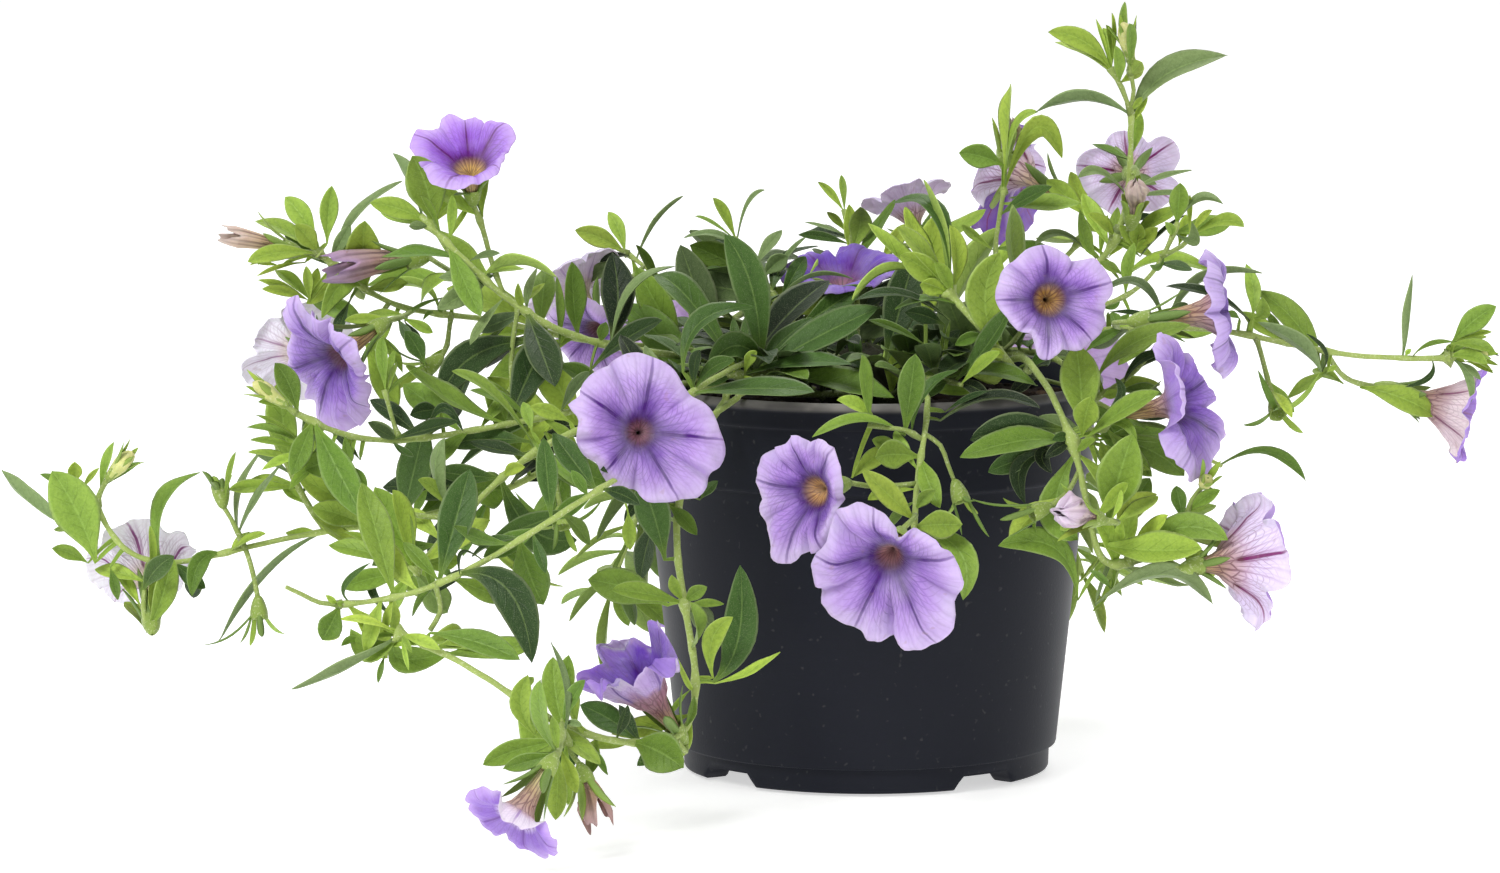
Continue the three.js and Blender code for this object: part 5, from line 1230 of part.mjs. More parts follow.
    base: [12.49, 41.47, 113.18],
    dir: [-0.251, 0.351, 0.902],
    radius: 10.5,
    length: 12.9,
    turn: 0.166,
    rim: 1,
    mouth: 0.22,
    shut: 0,
    lobes: [[1.005, 0.029], [1.02, 0.006], [1.028, 0.035], [1.025, 0.018], [1.01, -0.057]],
  },
  {
    name: "flower_top_right",
    kind: "open",
    color: [0.84, 0.76, 0.88],
    base: [46.01, 43.99, 122.84],
    dir: [-0.602, 0.722, 0.341],
    radius: 12.6,
    length: 20,
    turn: 0.476,
    rim: 1.1,
    mouth: 0.22,
    shut: 0.1,
    lobes: [[0.7, -0.011], [1.3, 0.075], [1.3, 0.048], [0.89, -0.07], [0.844, 0.071]],
  },
  {
    name: "flower_back_left",
    kind: "open",
    color: [0.7, 0.58, 0.88],
    base: [-44.24, 66.52, 78.42],
    dir: [-0.203, 0.946, 0.254],
    radius: 15.5,
    length: 15.9,
    turn: 5.917,
    rim: 1,
    mouth: 0.22,
    shut: 0,
    lobes: [[0.985, -0.053], [1.028, 0.07], [0.967, -0.021], [1.011, 0.078], [1.024, 0.042]],
  },
  {
    name: "flower_back_right",
    kind: "open",
    color: [0.7, 0.58, 0.88],
    base: [41.62, 70.84, 78.66],
    dir: [0.458, 0.865, 0.204],
    radius: 15,
    length: 15.9,
    turn: 0.140,
    rim: 1,
    mouth: 0.22,
    shut: 0,
    lobes: [[1.011, 0.028], [1.009, 0.047], [0.949, -0.039], [1.038, -0.055], [0.985, 0.079]],
  },
  {
    name: "flower_back_middle",
    kind: "open",
    color: [0.7, 0.58, 0.88],
    base: [7.39, 84.53, 49.97],
    dir: [0.151, 0.987, 0.05],
    radius: 16,
    length: 15.9,
    turn: 0.524,
    rim: 1,
    mouth: 0.22,
    shut: 0,
    lobes: [[0.998, 0.067], [1.001, -0.022], [1.008, 0.05], [0.993, -0.068], [0.954, 0.009]],
  },
];

// ---- small helpers -------------------------------------------------------
const V = (a) => new THREE.Vector3(a[0], a[1], a[2]);
const mix = (a, b, t) => a.clone().lerp(b, t);
const along = (p, d, s) => p.clone().addScaledVector(d, s);

// Moves every vertex of a geometry with a function, then closes its seams.
function shaped(geometry, place) {
  geometry.deleteAttribute("normal");
  geometry.deleteAttribute("uv");
  const pos = geometry.getAttribute("position");
  const v = new THREE.Vector3();
  for (let i = 0; i < pos.count; i++) {
    v.fromBufferAttribute(pos, i);
    const q = place(v);
    pos.setXYZ(i, q.x, q.y, q.z);
  }
  return mergeVertices(geometry, 1e-4);
}

// Turns a closed geometry into a solid that can be joined or cut.
function solid(geometry) {
  const g = geometry.index ? geometry : mergeVertices(geometry, 1e-4);
  const p = g.getAttribute("position").array;
  let t = Array.from(g.index.array);
  // triangles that have shrunk to a line are left out
  const kept = [];
  for (let i = 0; i < t.length; i += 3)
    if (t[i] !== t[i + 1] && t[i + 1] !== t[i + 2] && t[i] !== t[i + 2])
      kept.push(t[i], t[i + 1], t[i + 2]);
  t = kept;
  let vol = 0;
  for (let i = 0; i < t.length; i += 3) {
    const [a, b, c] = [t[i] * 3, t[i + 1] * 3, t[i + 2] * 3];
    vol +=
      p[a] * (p[b + 1] * p[c + 2] - p[b + 2] * p[c + 1]) +
      p[a + 1] * (p[b + 2] * p[c] - p[b] * p[c + 2]) +
      p[a + 2] * (p[b] * p[c + 1] - p[b + 1] * p[c]);
  }
  if (vol < 0)
    for (let i = 0; i < t.length; i += 3) [t[i + 1], t[i + 2]] = [t[i + 2], t[i + 1]];
  return new wasm.Manifold(
    new wasm.Mesh({
      numProp: 3,
      vertProperties: new Float32Array(p),
      triVerts: new Uint32Array(t),
    }),
  );
}

// ---- stems ---------------------------------------------------------------
// A tapering stem through a list of points, a cylinder bent along them.
function stemGeometry(points, r0, r1, sides) {
  const n = points.length - 1;
  const tangent = points.map((p, i) =>
    points[Math.min(i + 1, n)].clone().sub(points[Math.max(i - 1, 0)]).normalize(),
  );
  const across = [];
  let u = new THREE.Vector3(0.31, 0.42, 0.85);
  for (const t of tangent) {
    u = along(u, t, -u.dot(t));
    if (u.length() < 0.05) u = new THREE.Vector3(1, 0, 0).addScaledVector(t, -t.x);
    u.normalize();
    across.push(u.clone());
  }
  return shaped(new THREE.CylinderGeometry(1, 1, n, sides, n), (v) => {
    const k = Math.round(v.y + n / 2);
    const r = r0 + ((r1 - r0) * k) / n;
    const w = across[k].clone().cross(tangent[k]);
    return along(along(points[k], across[k], v.x * r), w, v.z * r);
  });
}

// ---- leaves --------------------------------------------------------------
// A spoon-shaped leaf: a six-sided outline (four-sided when it is small) with a raised middle, bent
// through base, middle and tip. A sphere of two rows of faces is pulled out to that shape.
function leafGeometry(root, base, middle, tip, width, normal, thickness, grow = 0) {
  const ctrl = middle.clone().multiplyScalar(2).addScaledVector(base, -0.5).addScaledVector(tip, -0.5);
  const at = (s) => mix(base, ctrl, s).lerp(mix(ctrl, tip, s), s);
  const axis = tip.clone().sub(base).normalize();
  const side = normal.clone().cross(axis).normalize();
  const up = axis.clone().cross(side).normalize();
  const half = width / 2 + grow;
  const small = tip.distanceTo(root) < SMALL_LEAF;
  return shaped(new THREE.SphereGeometry(1, small ? 4 : 6, 2), (v) => {
    if (Math.abs(v.y) > 0.9) return along(at(0.56), up, Math.sign(v.y) * (thickness / 2 + grow));
    if (v.x < -0.9) return root.clone();
    if (v.x > 0.9) return along(tip, axis, grow);
    const s = small ? 0.6 : v.x < 0 ? 0.42 : 0.82;
    const wide = small ? 1 : v.x < 0 ? 0.92 : 0.84;
    return along(at(s), side, Math.sign(v.z) * half * wide);
  });
}

// ---- calyces -------------------------------------------------------------
// A green cup with long narrow teeth: the equator of a sphere alternates between the notches and the tooth tips.
function calyxGeometry(base, dir, radius, height, tips, grow = 0) {
  const n = tips.length;
  const ref = Math.abs(dir.z) < 0.9 ? new THREE.Vector3(0, 0, 1) : new THREE.Vector3(1, 0, 0);
  const u = ref.addScaledVector(dir, -ref.dot(dir)).normalize();
  const w = dir.clone().cross(u);
  const rows = tips
    .map((t) => {
      const q = t.clone().sub(base);
      return { t, a: Math.atan2(q.dot(w), q.dot(u)) };
    })
    .sort((p, q) => p.a - q.a);
  const notch = rows.map((p, i) => {
    const next = rows[(i + 1) % n].a + (i + 1 === n ? 2 * Math.PI : 0);
    const a = (p.a + next) / 2;
    const r = radius + grow;
    return along(along(along(base, dir, height + grow), u, Math.cos(a) * r), w, Math.sin(a) * r);
  });
  return shaped(new THREE.SphereGeometry(1, 2 * n, 2), (v) => {
    if (v.y < -0.9) return along(base, dir, -0.5 - grow);
    if (v.y > 0.9) return along(base, dir, 0.45);
    let k = Math.round((Math.atan2(v.z, -v.x) / Math.PI) * n);
    k = ((k % (2 * n)) + 2 * n) % (2 * n);
    return k % 2 ? notch[(k - 1) / 2].clone() : rows[k / 2].t.clone();
  });
}

// ---- corollas ------------------------------------------------------------
// One fused flower, standing on the origin with its axis along +Z: a thin funnel with five rounded
// lobes, turned as a lathe profile and then lobed.
const LOBES = 5;
function corollaGeometry(f, grow = 0) {
  const { radius: R, length: T, turn, shut } = f;
  if (f.kind === "furled") {
    // a closed, twisted roll of petal, widest past its middle
    const neck = 4.6;
    const roll = [
      [0, 0.3],
      [Math.min(1.5, R * 0.45 + 0.4) + grow, neck],
      [R + grow, neck + (T - neck) * 0.5],
      [R * 0.6 + grow, neck + (T - neck) * 0.86],
      [0, T + grow],
    ];
    return shaped(new THREE.LatheGeometry(roll.map((p) => new THREE.Vector2(...p)).reverse(), 6), (v) => {
      const a = Math.atan2(v.z, v.x) + (v.y / T) * 0.9 + turn;
      const r = Math.hypot(v.x, v.z) * (1 + 0.22 * Math.cos(2 * a) * (v.y > 0.1 * T ? 1 : 0));
      return new THREE.Vector3(Math.cos(a) * r, Math.sin(a) * r, v.y);
    });
  }
  const mouth = f.mouth * R;
  const funnel = [
    [0, 0.3],
    [mouth + 0.35 + grow, T * 0.8 - grow],
    [R + grow, T * f.rim],
    [mouth - grow * 0.5, T * 0.84 + 0.3 + grow],
    [0, T * 0.42 + grow],
  ];
  return shaped(new THREE.LatheGeometry(funnel.map((p) => new THREE.Vector2(...p)).reverse(), LOBES * 3), (v) => {
    const a0 = Math.atan2(v.z, v.x);
    const a = a0 + turn;
    let r = Math.hypot(v.x, v.z);
    let h = v.y;
    if (Math.abs(r - (R + grow)) < 1e-3) {
      const k = ((Math.round((a0 * LOBES * 3) / (2 * Math.PI)) % (LOBES * 3)) + LOBES * 3) % (LOBES * 3);
      if (k % 3 === 0) {
        r *= 0.8; // notch between two lobes
        h -= R * 0.02;
      } else {
        const [reach, lift] = f.lobes[Math.floor(k / 3)];
        r *= reach;
        h += lift * R;
      }
      r *= 1 - shut * (0.5 + 0.5 * Math.cos(2 * a));
    }
    return new THREE.Vector3(Math.cos(a) * r, Math.sin(a) * r, h);
  });
}

// The turn that takes +Z to a flower's direction and keeps its local X as high as it can be.
function standing(dir) {
  const z = dir.clone().normalize();
  const ref = Math.abs(z.z) < 0.9 ? new THREE.Vector3(0, 0, 1) : new THREE.Vector3(1, 0, 0);
  const x = ref.addScaledVector(z, -ref.dot(z)).normalize();
  const y = z.clone().cross(x);
  return new THREE.Quaternion().setFromRotationMatrix(new THREE.Matrix4().makeBasis(x, y, z));
}

// ---- buds ----------------------------------------------------------------
// A closed bud, a slim egg that fills its calyx.
function budGeometry(base, tip, radius) {
  const axis = tip.clone().sub(base);
  const turn = new THREE.Quaternion().setFromUnitVectors(new THREE.Vector3(0, 1, 0), axis.clone().normalize());
  return new THREE.SphereGeometry(1, 6, 4)
    .scale(radius, axis.length() / 2, radius)
    .applyQuaternion(turn)
    .translate(...base.clone().add(tip).multiplyScalar(0.5).toArray());
}

// ---- pot, soil and crown -------------------------------------------------
function lathe(points, segments) {
  const g = new THREE.LatheGeometry(points.map((p) => new THREE.Vector2(p[0], p[1])), segments);
  // a lathe turns about Y; the pot stands along Z
  return shaped(g, (v) => new THREE.Vector3(v.x, -v.z, v.y));
}

function potSolid() {
  const shell = lathe(
    [
      [0, BASE_LIFT],
      [FOOT_R - 6.5, BASE_LIFT],
      [FOOT_R - 5.2, 0],
      [FOOT_R - 0.4, 0],
      [FOOT_R, FOOT_H - 0.2],
      [WALL_R0, FOOT_H],
      [WALL_R1, WALL_TOP],
      [COLLAR_R0, WALL_TOP + 0.7],
      [COLLAR_R1, COLLAR_TOP],
      [BAND_R0, COLLAR_TOP + 0.4],
      [BAND_R1, RIM_H - BEAD_H],
      [RIM_R, RIM_H - BEAD_H / 2],
      [RIM_R - 0.9, RIM_H],
      [RIM_R - 2.3, RIM_H - 0.2],
      [COLLAR_R0 - WALL, WALL_TOP + 1.2],
      [WALL_R1 - WALL, WALL_TOP - 0.6],
      [FOOT_R - WALL - 0.6, BASE_LIFT + WALL],
      [0, BASE_LIFT + WALL],
    ],
    POT_FACETS,
  );
  let pot = solid(shell);
  // the flat pad under the middle of the base
  pot = pot.add(
    solid(
      shaped(new THREE.CylinderGeometry(PAD_R, PAD_R, BASE_LIFT + 0.6, 16), (v) =>
        new THREE.Vector3(v.x, -v.z, v.y + (BASE_LIFT + 0.6) / 2),
      ),
    ),
  );
  // gaps with slanted ends between the four feet
  for (let k = 0; k < FEET; k++) {
    const mid = THREE.MathUtils.degToRad(GAP_TURN + (k * 360) / FEET);
    const half = THREE.MathUtils.degToRad(GAP_ANGLE / 2);
    const gap = shaped(new THREE.BoxGeometry(2, 2, 2, 1, 3, 1), (v) => {
      const a = mid + v.y * half * (v.z < 0 ? 1.12 : 0.82);
      const r = v.x < 0 ? FOOT_R - 9 : FOOT_R + 4;
      return new THREE.Vector3(Math.cos(a) * r, Math.sin(a) * r, v.z < 0 ? -1 : GAP_H);
    });
    pot = pot.subtract(solid(gap));
  }
  // drain holes
  for (let k = 0; k < HOLES; k++) {
    const a = ((k + 0.5) * 2 * Math.PI) / HOLES;
    const hole = shaped(new THREE.CylinderGeometry(HOLE_R, HOLE_R, 12, 8), (v) =>
      new THREE.Vector3(v.x + Math.cos(a) * HOLE_AT, v.z + Math.sin(a) * HOLE_AT, -v.y + 2),
    );
    pot = pot.subtract(solid(hole));
  }
  return pot;
}

// the potting mix: a solid plug with a slightly lumpy, slightly domed top
function soilSolid() {
  const inner = [
    [0, BASE_LIFT + WALL + GAP],
    [FOOT_R - WALL - 1.4, BASE_LIFT + WALL + GAP],
    [WALL_R1 - WALL - GAP - 0.3, WALL_TOP - 0.9],
    [COLLAR_R0 - WALL - GAP - 0.3, WALL_TOP + 1.9],
    [SOIL_R - 0.8, SOIL_Z - 0.9],
    [SOIL_R * 0.7, SOIL_Z - 0.2],
    [0, SOIL_Z],
  ];
  const g = lathe(inner, 26);
  return solid(
    shaped(g, (v) => {
      const r = Math.hypot(v.x, v.y);
      const a = Math.atan2(v.y, v.x);
      const lump = v.z > SOIL_Z - 0.5 && r > CROWN_R + 2 ? -0.25 + 0.25 * Math.sin(5 * a + r * 0.4) : 0;
      return new THREE.Vector3(v.x, v.y, v.z + lump);
    }),
  );
}

// the woody crown from which the shoots leave
function crownSolid() {
  return solid(
    lathe(
      [
        [0, SOIL_Z + GAP],
        [CROWN_R - 0.6, SOIL_Z + GAP],
        [CROWN_R, SOIL_Z + 2.6],
        [CROWN_R - 0.8, SOIL_Z + 6.4],
        [CROWN_R - 2.7, SOIL_Z + 10.4],
        [CROWN_R - 6, SOIL_Z + 13],
        [0, SOIL_Z + 14],
      ],
      10,
    ),
  );
}

// ---- assembly ------------------------------------------------------------
function shootSolid(shoot) {
  const pieces = shoot.stems.map(([r0, r1, points]) =>
    solid(stemGeometry(points.map(V), r0, r1, r0 > THICK_STEM ? 5 : 4)),
  );
  for (const [base, dir, radius, height, tips] of shoot.calyces)
    pieces.push(solid(calyxGeometry(V(base), V(dir).normalize(), radius, height, tips.map(V))));
  for (const [base, tip, radius] of shoot.buds)
    pieces.push(solid(shaped(budGeometry(V(base), V(tip), radius), (v) => v.clone())));
  for (const [root, middle, tip, width, upper, stalkEnd] of shoot.leaves)
    pieces.push(
      solid(leafGeometry(V(root), V(stalkEnd ?? root), V(middle), V(tip), width, V(upper), LEAF_T)),
    );
  const whole = pieces.reduce((all, piece) => all.add(piece));
  // pockets closed in between overlapping leaves are filled
  return whole.decompose().reduce((a, c) => (c.volume() > a.volume() ? c : a));
}

function meshOf(name, shape, color, roughness) {
  let geometry = shape;
  if (!shape.isBufferGeometry) {
    const m = shape.getMesh();
    geometry = new THREE.BufferGeometry();
    geometry.setAttribute("position", new THREE.BufferAttribute(new Float32Array(m.vertProperties), 3));
    geometry.setIndex(new THREE.BufferAttribute(new Uint32Array(m.triVerts), 1));
  }
  geometry.computeVertexNormals();
  const material = new THREE.MeshStandardMaterial({
    color: new THREE.Color(...color),
    roughness,
    metalness: 0,
  });
  const mesh = new THREE.Mesh(geometry, material);
  mesh.name = name;
  return mesh;
}

const plantInPot = new THREE.Group();
plantInPot.name = "calibrachoa_in_nursery_pot";

const container = new THREE.Group();
container.add(meshOf("nursery_pot", potSolid(), [0.035, 0.036, 0.042], 0.42));
container.add(meshOf("potting_soil", soilSolid(), [0.09, 0.06, 0.04], 0.95));
plantInPot.add(container);

const plant = new THREE.Group();
plant.add(meshOf("crown", crownSolid(), [0.36, 0.33, 0.2], 0.85));
for (const shoot of SHOOTS) plant.add(meshOf(shoot.name, shootSolid(shoot), [0.36, 0.5, 0.22], 0.7));
plantInPot.add(plant);

const blooms = new THREE.Group();
for (const flower of FLOWERS) {
  const m = meshOf(flower.name, corollaGeometry(flower), flower.color, 0.65);
  m.position.copy(V(flower.base));
  m.quaternion.copy(standing(V(flower.dir)));
  blooms.add(m);
}
plantInPot.add(blooms);

export default plantInPot;
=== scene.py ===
"""A trailing calibrachoa in a charcoal nursery pot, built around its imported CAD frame.

Every shoot is one mesh (stems, flower stalks, calyces, leaves and closed buds), every corolla is one mesh,
and the pot, the potting mix and the crown are meshes of their own. Everything is computed from the tables
below, in millimetres, and turned to metres at the end.
"""
import math
import random

import bpy
import numpy as np
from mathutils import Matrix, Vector


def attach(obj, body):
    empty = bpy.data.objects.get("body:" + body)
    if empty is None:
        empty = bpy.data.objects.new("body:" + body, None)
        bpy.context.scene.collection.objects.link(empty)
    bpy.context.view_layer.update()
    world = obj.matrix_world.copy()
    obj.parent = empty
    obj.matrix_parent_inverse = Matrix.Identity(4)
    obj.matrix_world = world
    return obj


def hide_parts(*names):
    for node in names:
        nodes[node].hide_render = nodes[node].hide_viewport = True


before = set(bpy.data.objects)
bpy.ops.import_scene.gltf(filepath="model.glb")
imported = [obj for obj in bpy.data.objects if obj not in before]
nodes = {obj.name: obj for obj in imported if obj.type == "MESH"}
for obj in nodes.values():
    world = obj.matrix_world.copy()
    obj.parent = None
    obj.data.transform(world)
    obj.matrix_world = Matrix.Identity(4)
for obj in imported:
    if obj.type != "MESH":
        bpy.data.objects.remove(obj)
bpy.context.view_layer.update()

MM = 0.001

# ---------------------------------------------------------------- tables
# stems: (radius at the root, radius at the tip, main, [x, y, z, x, y, z, ...])
# cups: (base, direction, mouth radius, height)
# teeth and leaves: (root, middle, tip, width, upper side, colour key[, end of the leaf stalk])
# buds: (base, tip, radius)
SHOOTS = [
    {"node": "shoot_left_high",
     "stems": [
         (0.87, 0.63, 1, [-11.2, -2.3, 88.2, -16.1, -3.3, 90, -19.9, -5.3, 90.7, -23.7, -7.4, 91.4, -27.5, -9.4, 92.1, -31.3, -11.4, 92.8, -35.1, -13.4, 93.5, -38.8, -15.2, 94.1, -42.5, -17.1, 94.8, -46, -18.8, 95.5, -49.6, -20.4, 96.2, -53, -21.9, 96.9, -56.4, -23.4, 97.7, -59.7, -24.7, 98.5, -62.9, -26, 99.6, -66, -27.1, 100.8, -69.1, -28.1, 102.2, -72.2, -29, 103.9, -75.2, -29.7, 105.8, -78.2, -30.4, 108, -81.2, -30.9, 110.4, -84.1, -31.4, 113, -87.1, -31.8, 115.8, -90, -32.1, 118.7, -92.9, -32.4, 121.7, -95.8, -32.7, 124.7, -98.7, -33, 127.8]),
         (0.55, 0.47, 0, [-86.4, -31.5, 115.6, -88.7, -31.8, 115.2, -90.6, -31.9, 116.4, -92, -32, 119, -93.3, -32, 122.2]),
         (0.55, 0.6, 0, [-77.3, -30.1, 107.6, -77.9, -30.8, 103.4, -78.5, -31.6, 99.5, -78.8, -32.3, 95.9, -78.8, -33.2, 92.7, -78.6, -34.2, 89.7]),
         (0.55, 0.62, 0, [-80.4, -30.8, 109.9, -82.1, -30.2, 114.2, -83.4, -29.7, 118.3, -84.5, -29.2, 122.4, -85.7, -28.8, 126.2, -87.2, -28.3, 129.7]),
         (0.55, 0.62, 0, [-90.3, -32, 114.1, -91.7, -29, 114.5, -93.3, -26, 115.2, -95.2, -23, 116, -97.4, -20.1, 117.1]),
     ],
     "cups": [
         ((-78.61, -34.2, 89.66), (0.1, -0.201, -0.974), 2, 4.6),
         ((-87.19, -28.32, 129.68), (-0.05, -0.52, 0.853), 2.15, 4.8),
         ((-97.44, -20.11, 117.06), (-0.973, -0.205, -0.102), 2.15, 4.8),
     ],
     "teeth": [
         ((-76.96, -36.17, 86.13), (-74.53, -38.31, 87.96), (-72.3, -40.05, 91.71), 1.6, (0.451, -0.512, -0.731), "M"),
         ((-79.49, -33.87, 85.39), (-81.42, -32.7, 79.8), (-83.6, -31.05, 76.58), 1.62, (0.615, -0.622, -0.486), "L"),
         ((-76.89, -36.09, 86.12), (-75.9, -37.17, 84.1), (-75.01, -38.05, 83.04), 1.6, (-0.613, 0.443, -0.654), "M"),
         ((-79.32, -33.71, 85.37), (-79.7, -33.5, 82.15), (-80.22, -33.05, 80.18), 1.6, (0.617, -0.76, -0.203), "L"),
         ((-77.14, -36.34, 86.14), (-75.19, -38.84, 85.74), (-73.39, -41.05, 86.75), 1.6, (0.025, -0.107, -0.994), "M"),
         ((-89.23, -30.36, 133.16), (-91.45, -31.47, 135.13), (-94.31, -32.58, 137.14), 2.15, (0.881, -0.274, 0.387), "M"),
         ((-88.11, -31.9, 132.29), (-89.41, -35.49, 132.8), (-91.05, -39.8, 132.93), 1.83, (0.302, 0.379, 0.875), "M"),
         ((-85.82, -31.31, 132.78), (-84.8, -33.16, 134.49), (-83.41, -35.24, 136.16), 2.37, (-0.834, 0.292, 0.468), "M"),
         ((-86.05, -29.43, 133.91), (-84.14, -29.1, 137), (-81.64, -28.33, 140.47), 2.03, (-0.657, -0.748, 0.091), "M"),
         ((-88.05, -28.98, 134.06), (-88.9, -28.55, 137.05), (-89.98, -27.63, 140.41), 2.39, (0.306, -0.947, -0.093), "M"),
         ((-101.7, -19.35, 115.78), (-106.63, -18.83, 114.48), (-111.4, -17.78, 112.94), 2.5, (-0.2, -0.891, 0.407), "M"),
         ((-101.19, -21.35, 114.86), (-104.97, -22.68, 112.35), (-108.24, -24.06, 109.24), 2.21, (-0.574, 0.099, 0.813), "M"),
         ((-101.07, -22.75, 116.61), (-105.32, -26.06, 116.08), (-108.98, -30, 115.58), 2.34, (-0.612, 0.79, -0.032), "M"),
         ((-101.41, -21.94, 118.19), (-105.76, -23.99, 119.49), (-109.73, -26.32, 121.38), 2.04, (-0.431, 0.402, -0.808), "M"),
         ((-101.85, -19.73, 117.96), (-106.66, -19.11, 119.15), (-111.19, -17.92, 120.9), 1.8, (-0.258, -0.684, -0.682), "M"),
     ],
     "leaves": [
         ((-95.77, -32.65, 124.89), (-97.11, -35.12, 133.91), (-100.22, -38.72, 141.43), 8.6, (0.174, -0.938, -0.298), "B"),
         ((-98.2, -32.94, 127.3), (-100.75, -30.37, 134.86), (-104.85, -26.95, 140.94), 4.48, (0.769, 0.624, 0.137), "G"),
         ((-96.86, -32.78, 125.98), (-102.82, -35.24, 129.33), (-109.52, -37.82, 130.99), 4.53, (0.358, -0.934, -0.005), "L"),
         ((-96.19, -32.7, 125.31), (-98.76, -35.01, 125.72), (-101.01, -37.34, 125.87), 2.04, (-0.718, 0.696, -0.007), "G"),
         ((-92.65, -32.28, 121.8), (-90.29, -30.19, 126.19), (-87.92, -27.41, 129.47), 1.36, (0.236, -0.859, 0.455), "L"),
         ((-92.43, -32.25, 121.58), (-91.69, -33.87, 127.63), (-91.58, -36.39, 132.61), 2.27, (0.029, -0.932, -0.36), "L"),
         ((-88.2, -31.75, 117.39), (-84.52, -34.74, 119.3), (-81.05, -37.7, 119.95), 1.81, (-0.634, -0.771, -0.07), "G"),
         ((-94.09, -32.45, 123.23), (-95.97, -35.87, 128.38), (-98.25, -40.02, 132.76), 2.51, (0.892, -0.45, 0.03), "L"),
         ((-76.91, -30, 107.33), (-74.85, -27.32, 109.35), (-71.51, -24.12, 111.79), 2.04, (0.005, -0.695, 0.719), "Y"),
         ((-75.91, -29.78, 106.6), (-77.03, -32.01, 109.32), (-77.2, -34.91, 113.01), 1.83, (0.195, -0.832, -0.52), "Y"),
         ((-75.26, -29.64, 106.13), (-75.11, -28.65, 110.26), (-73.2, -26.77, 115.42), 2.27, (-0.364, -0.865, 0.344), "G"),
         ((-64.17, -26.4, 100.13), (-65.03, -29.45, 108.22), (-65.32, -34.43, 117.6), 5.88, (0.56, -0.771, -0.302), "M"),
         ((-66.96, -27.37, 101.25), (-68.48, -24.1, 105.89), (-68.95, -19.39, 112.6), 3.19, (0.771, -0.535, 0.344), "B", (-68.16, -27.39, 98.38)),
         ((-59.28, -24.56, 98.45), (-58.74, -26.75, 101.15), (-57.95, -29.48, 103.74), 2.72, (-0.172, -0.767, -0.618), "M"),
         ((-56.99, -23.58, 97.91), (-55.46, -18.23, 107.33), (-56.87, -11.63, 117.1), 7.47, (0.013, -0.833, 0.554), "K"),
         ((-59.93, -24.83, 98.63), (-53.94, -38.46, 100.73), (-45.44, -44.83, 105.98), 6.56, (-0.735, -0.462, 0.497), "D", (-61.44, -32.83, 93.48)),
         ((-56.99, -23.58, 97.91), (-52.31, -20.93, 109.87), (-42.81, -17.63, 114.85), 4.28, (-0.634, -0.348, 0.69), "G"),
         ((-84.9, -31.36, 114.12), (-77.83, -35.11, 117.68), (-68.52, -39.51, 114.85), 5.27, (0.186, 0.557, 0.81), "Y"),
         ((-70.75, -28.53, 103.17), (-86.68, -35.88, 97.18), (-94.12, -44.82, 88.33), 8.15, (0.31, -0.785, 0.537), "D", (-72.54, -28.56, 99.63)),
         ((-80.11, -30.69, 109.65), (-84.73, -35.22, 104.46), (-87.68, -39.04, 99.78), 2.62, (-0.122, -0.654, 0.746), "G"),
         ((-75.53, -29.7, 106.33), (-72.22, -40.33, 99.29), (-68.84, -50.59, 92.05), 8.24, (0.07, -0.545, 0.836), "D"),
         ((-64.57, -26.55, 100.27), (-74.83, -21.05, 94.43), (-84.9, -15.33, 88.53), 7.05, (-0.605, -0.701, 0.377), "L"),
         ((-92.7, -32.29, 121.85), (-89.18, -34.31, 113.66), (-85.33, -37.02, 105.98), 5.59, (0.166, -0.922, 0.351), "B"),
         ((-82.8, -30.13, 114.24), (-89.04, -32.01, 110.38), (-94.83, -35.81, 107.31), 4.65, (0.21, -0.903, 0.374), "G"),
         ((-96.38, -32.72, 125.5), (-90.93, -26.01, 118.67), (-83.83, -20.32, 112.41), 7.17, (0.798, -0.547, 0.252), "Y"),
         ((-89.02, -31.85, 118.21), (-98.24, -31.79, 119.09), (-107.22, -30.8, 118.32), 5.58, (-0.006, -0.372, 0.928), "M"),
         ((-82.8, -30.13, 114.24), (-88.82, -32.74, 114.48), (-94.65, -33.18, 114), 3.27, (0.12, -0.87, 0.478), "G"),
         ((-75.53, -29.7, 106.33), (-81.11, -29.1, 103.82), (-86.7, -28.72, 101.65), 4.08, (-0.255, -0.875, 0.412), "S"),
         ((-90.62, -32, 114.99), (-96.16, -27.77, 111.79), (-99.06, -22.23, 107.35), 4.99, (-0.826, -0.41, 0.387), "Y"),
         ((-85.16, -28.67, 126.91), (-86.79, -25.41, 132.15), (-88.39, -25.79, 136.83), 4.25, (0.616, -0.781, -0.107), "M"),
         ((-96.38, -32.72, 125.5), (-102.04, -31.08, 126.87), (-107.55, -28.94, 127.95), 3.3, (-0.11, -0.749, 0.653), "L"),
         ((-85.35, -31.42, 114.56), (-80.72, -30.62, 115.4), (-75.89, -29.23, 115.55), 3.09, (-0.005, -0.443, 0.897), "Y"),
         ((-85.16, -28.67, 126.91), (-91.4, -30.07, 130.83), (-97.34, -31.79, 135.08), 5.24, (0.548, -0.589, 0.594), "Y"),
         ((-85.16, -28.67, 126.91), (-84.93, -26.94, 131.64), (-83.93, -24.3, 135.82), 3.35, (-0.6, -0.682, 0.418), "Y"),
         ((-96.38, -32.72, 125.5), (-93.76, -30.02, 128.73), (-91.52, -25.93, 130.76), 3.28, (0.241, -0.699, 0.673), "Y"),
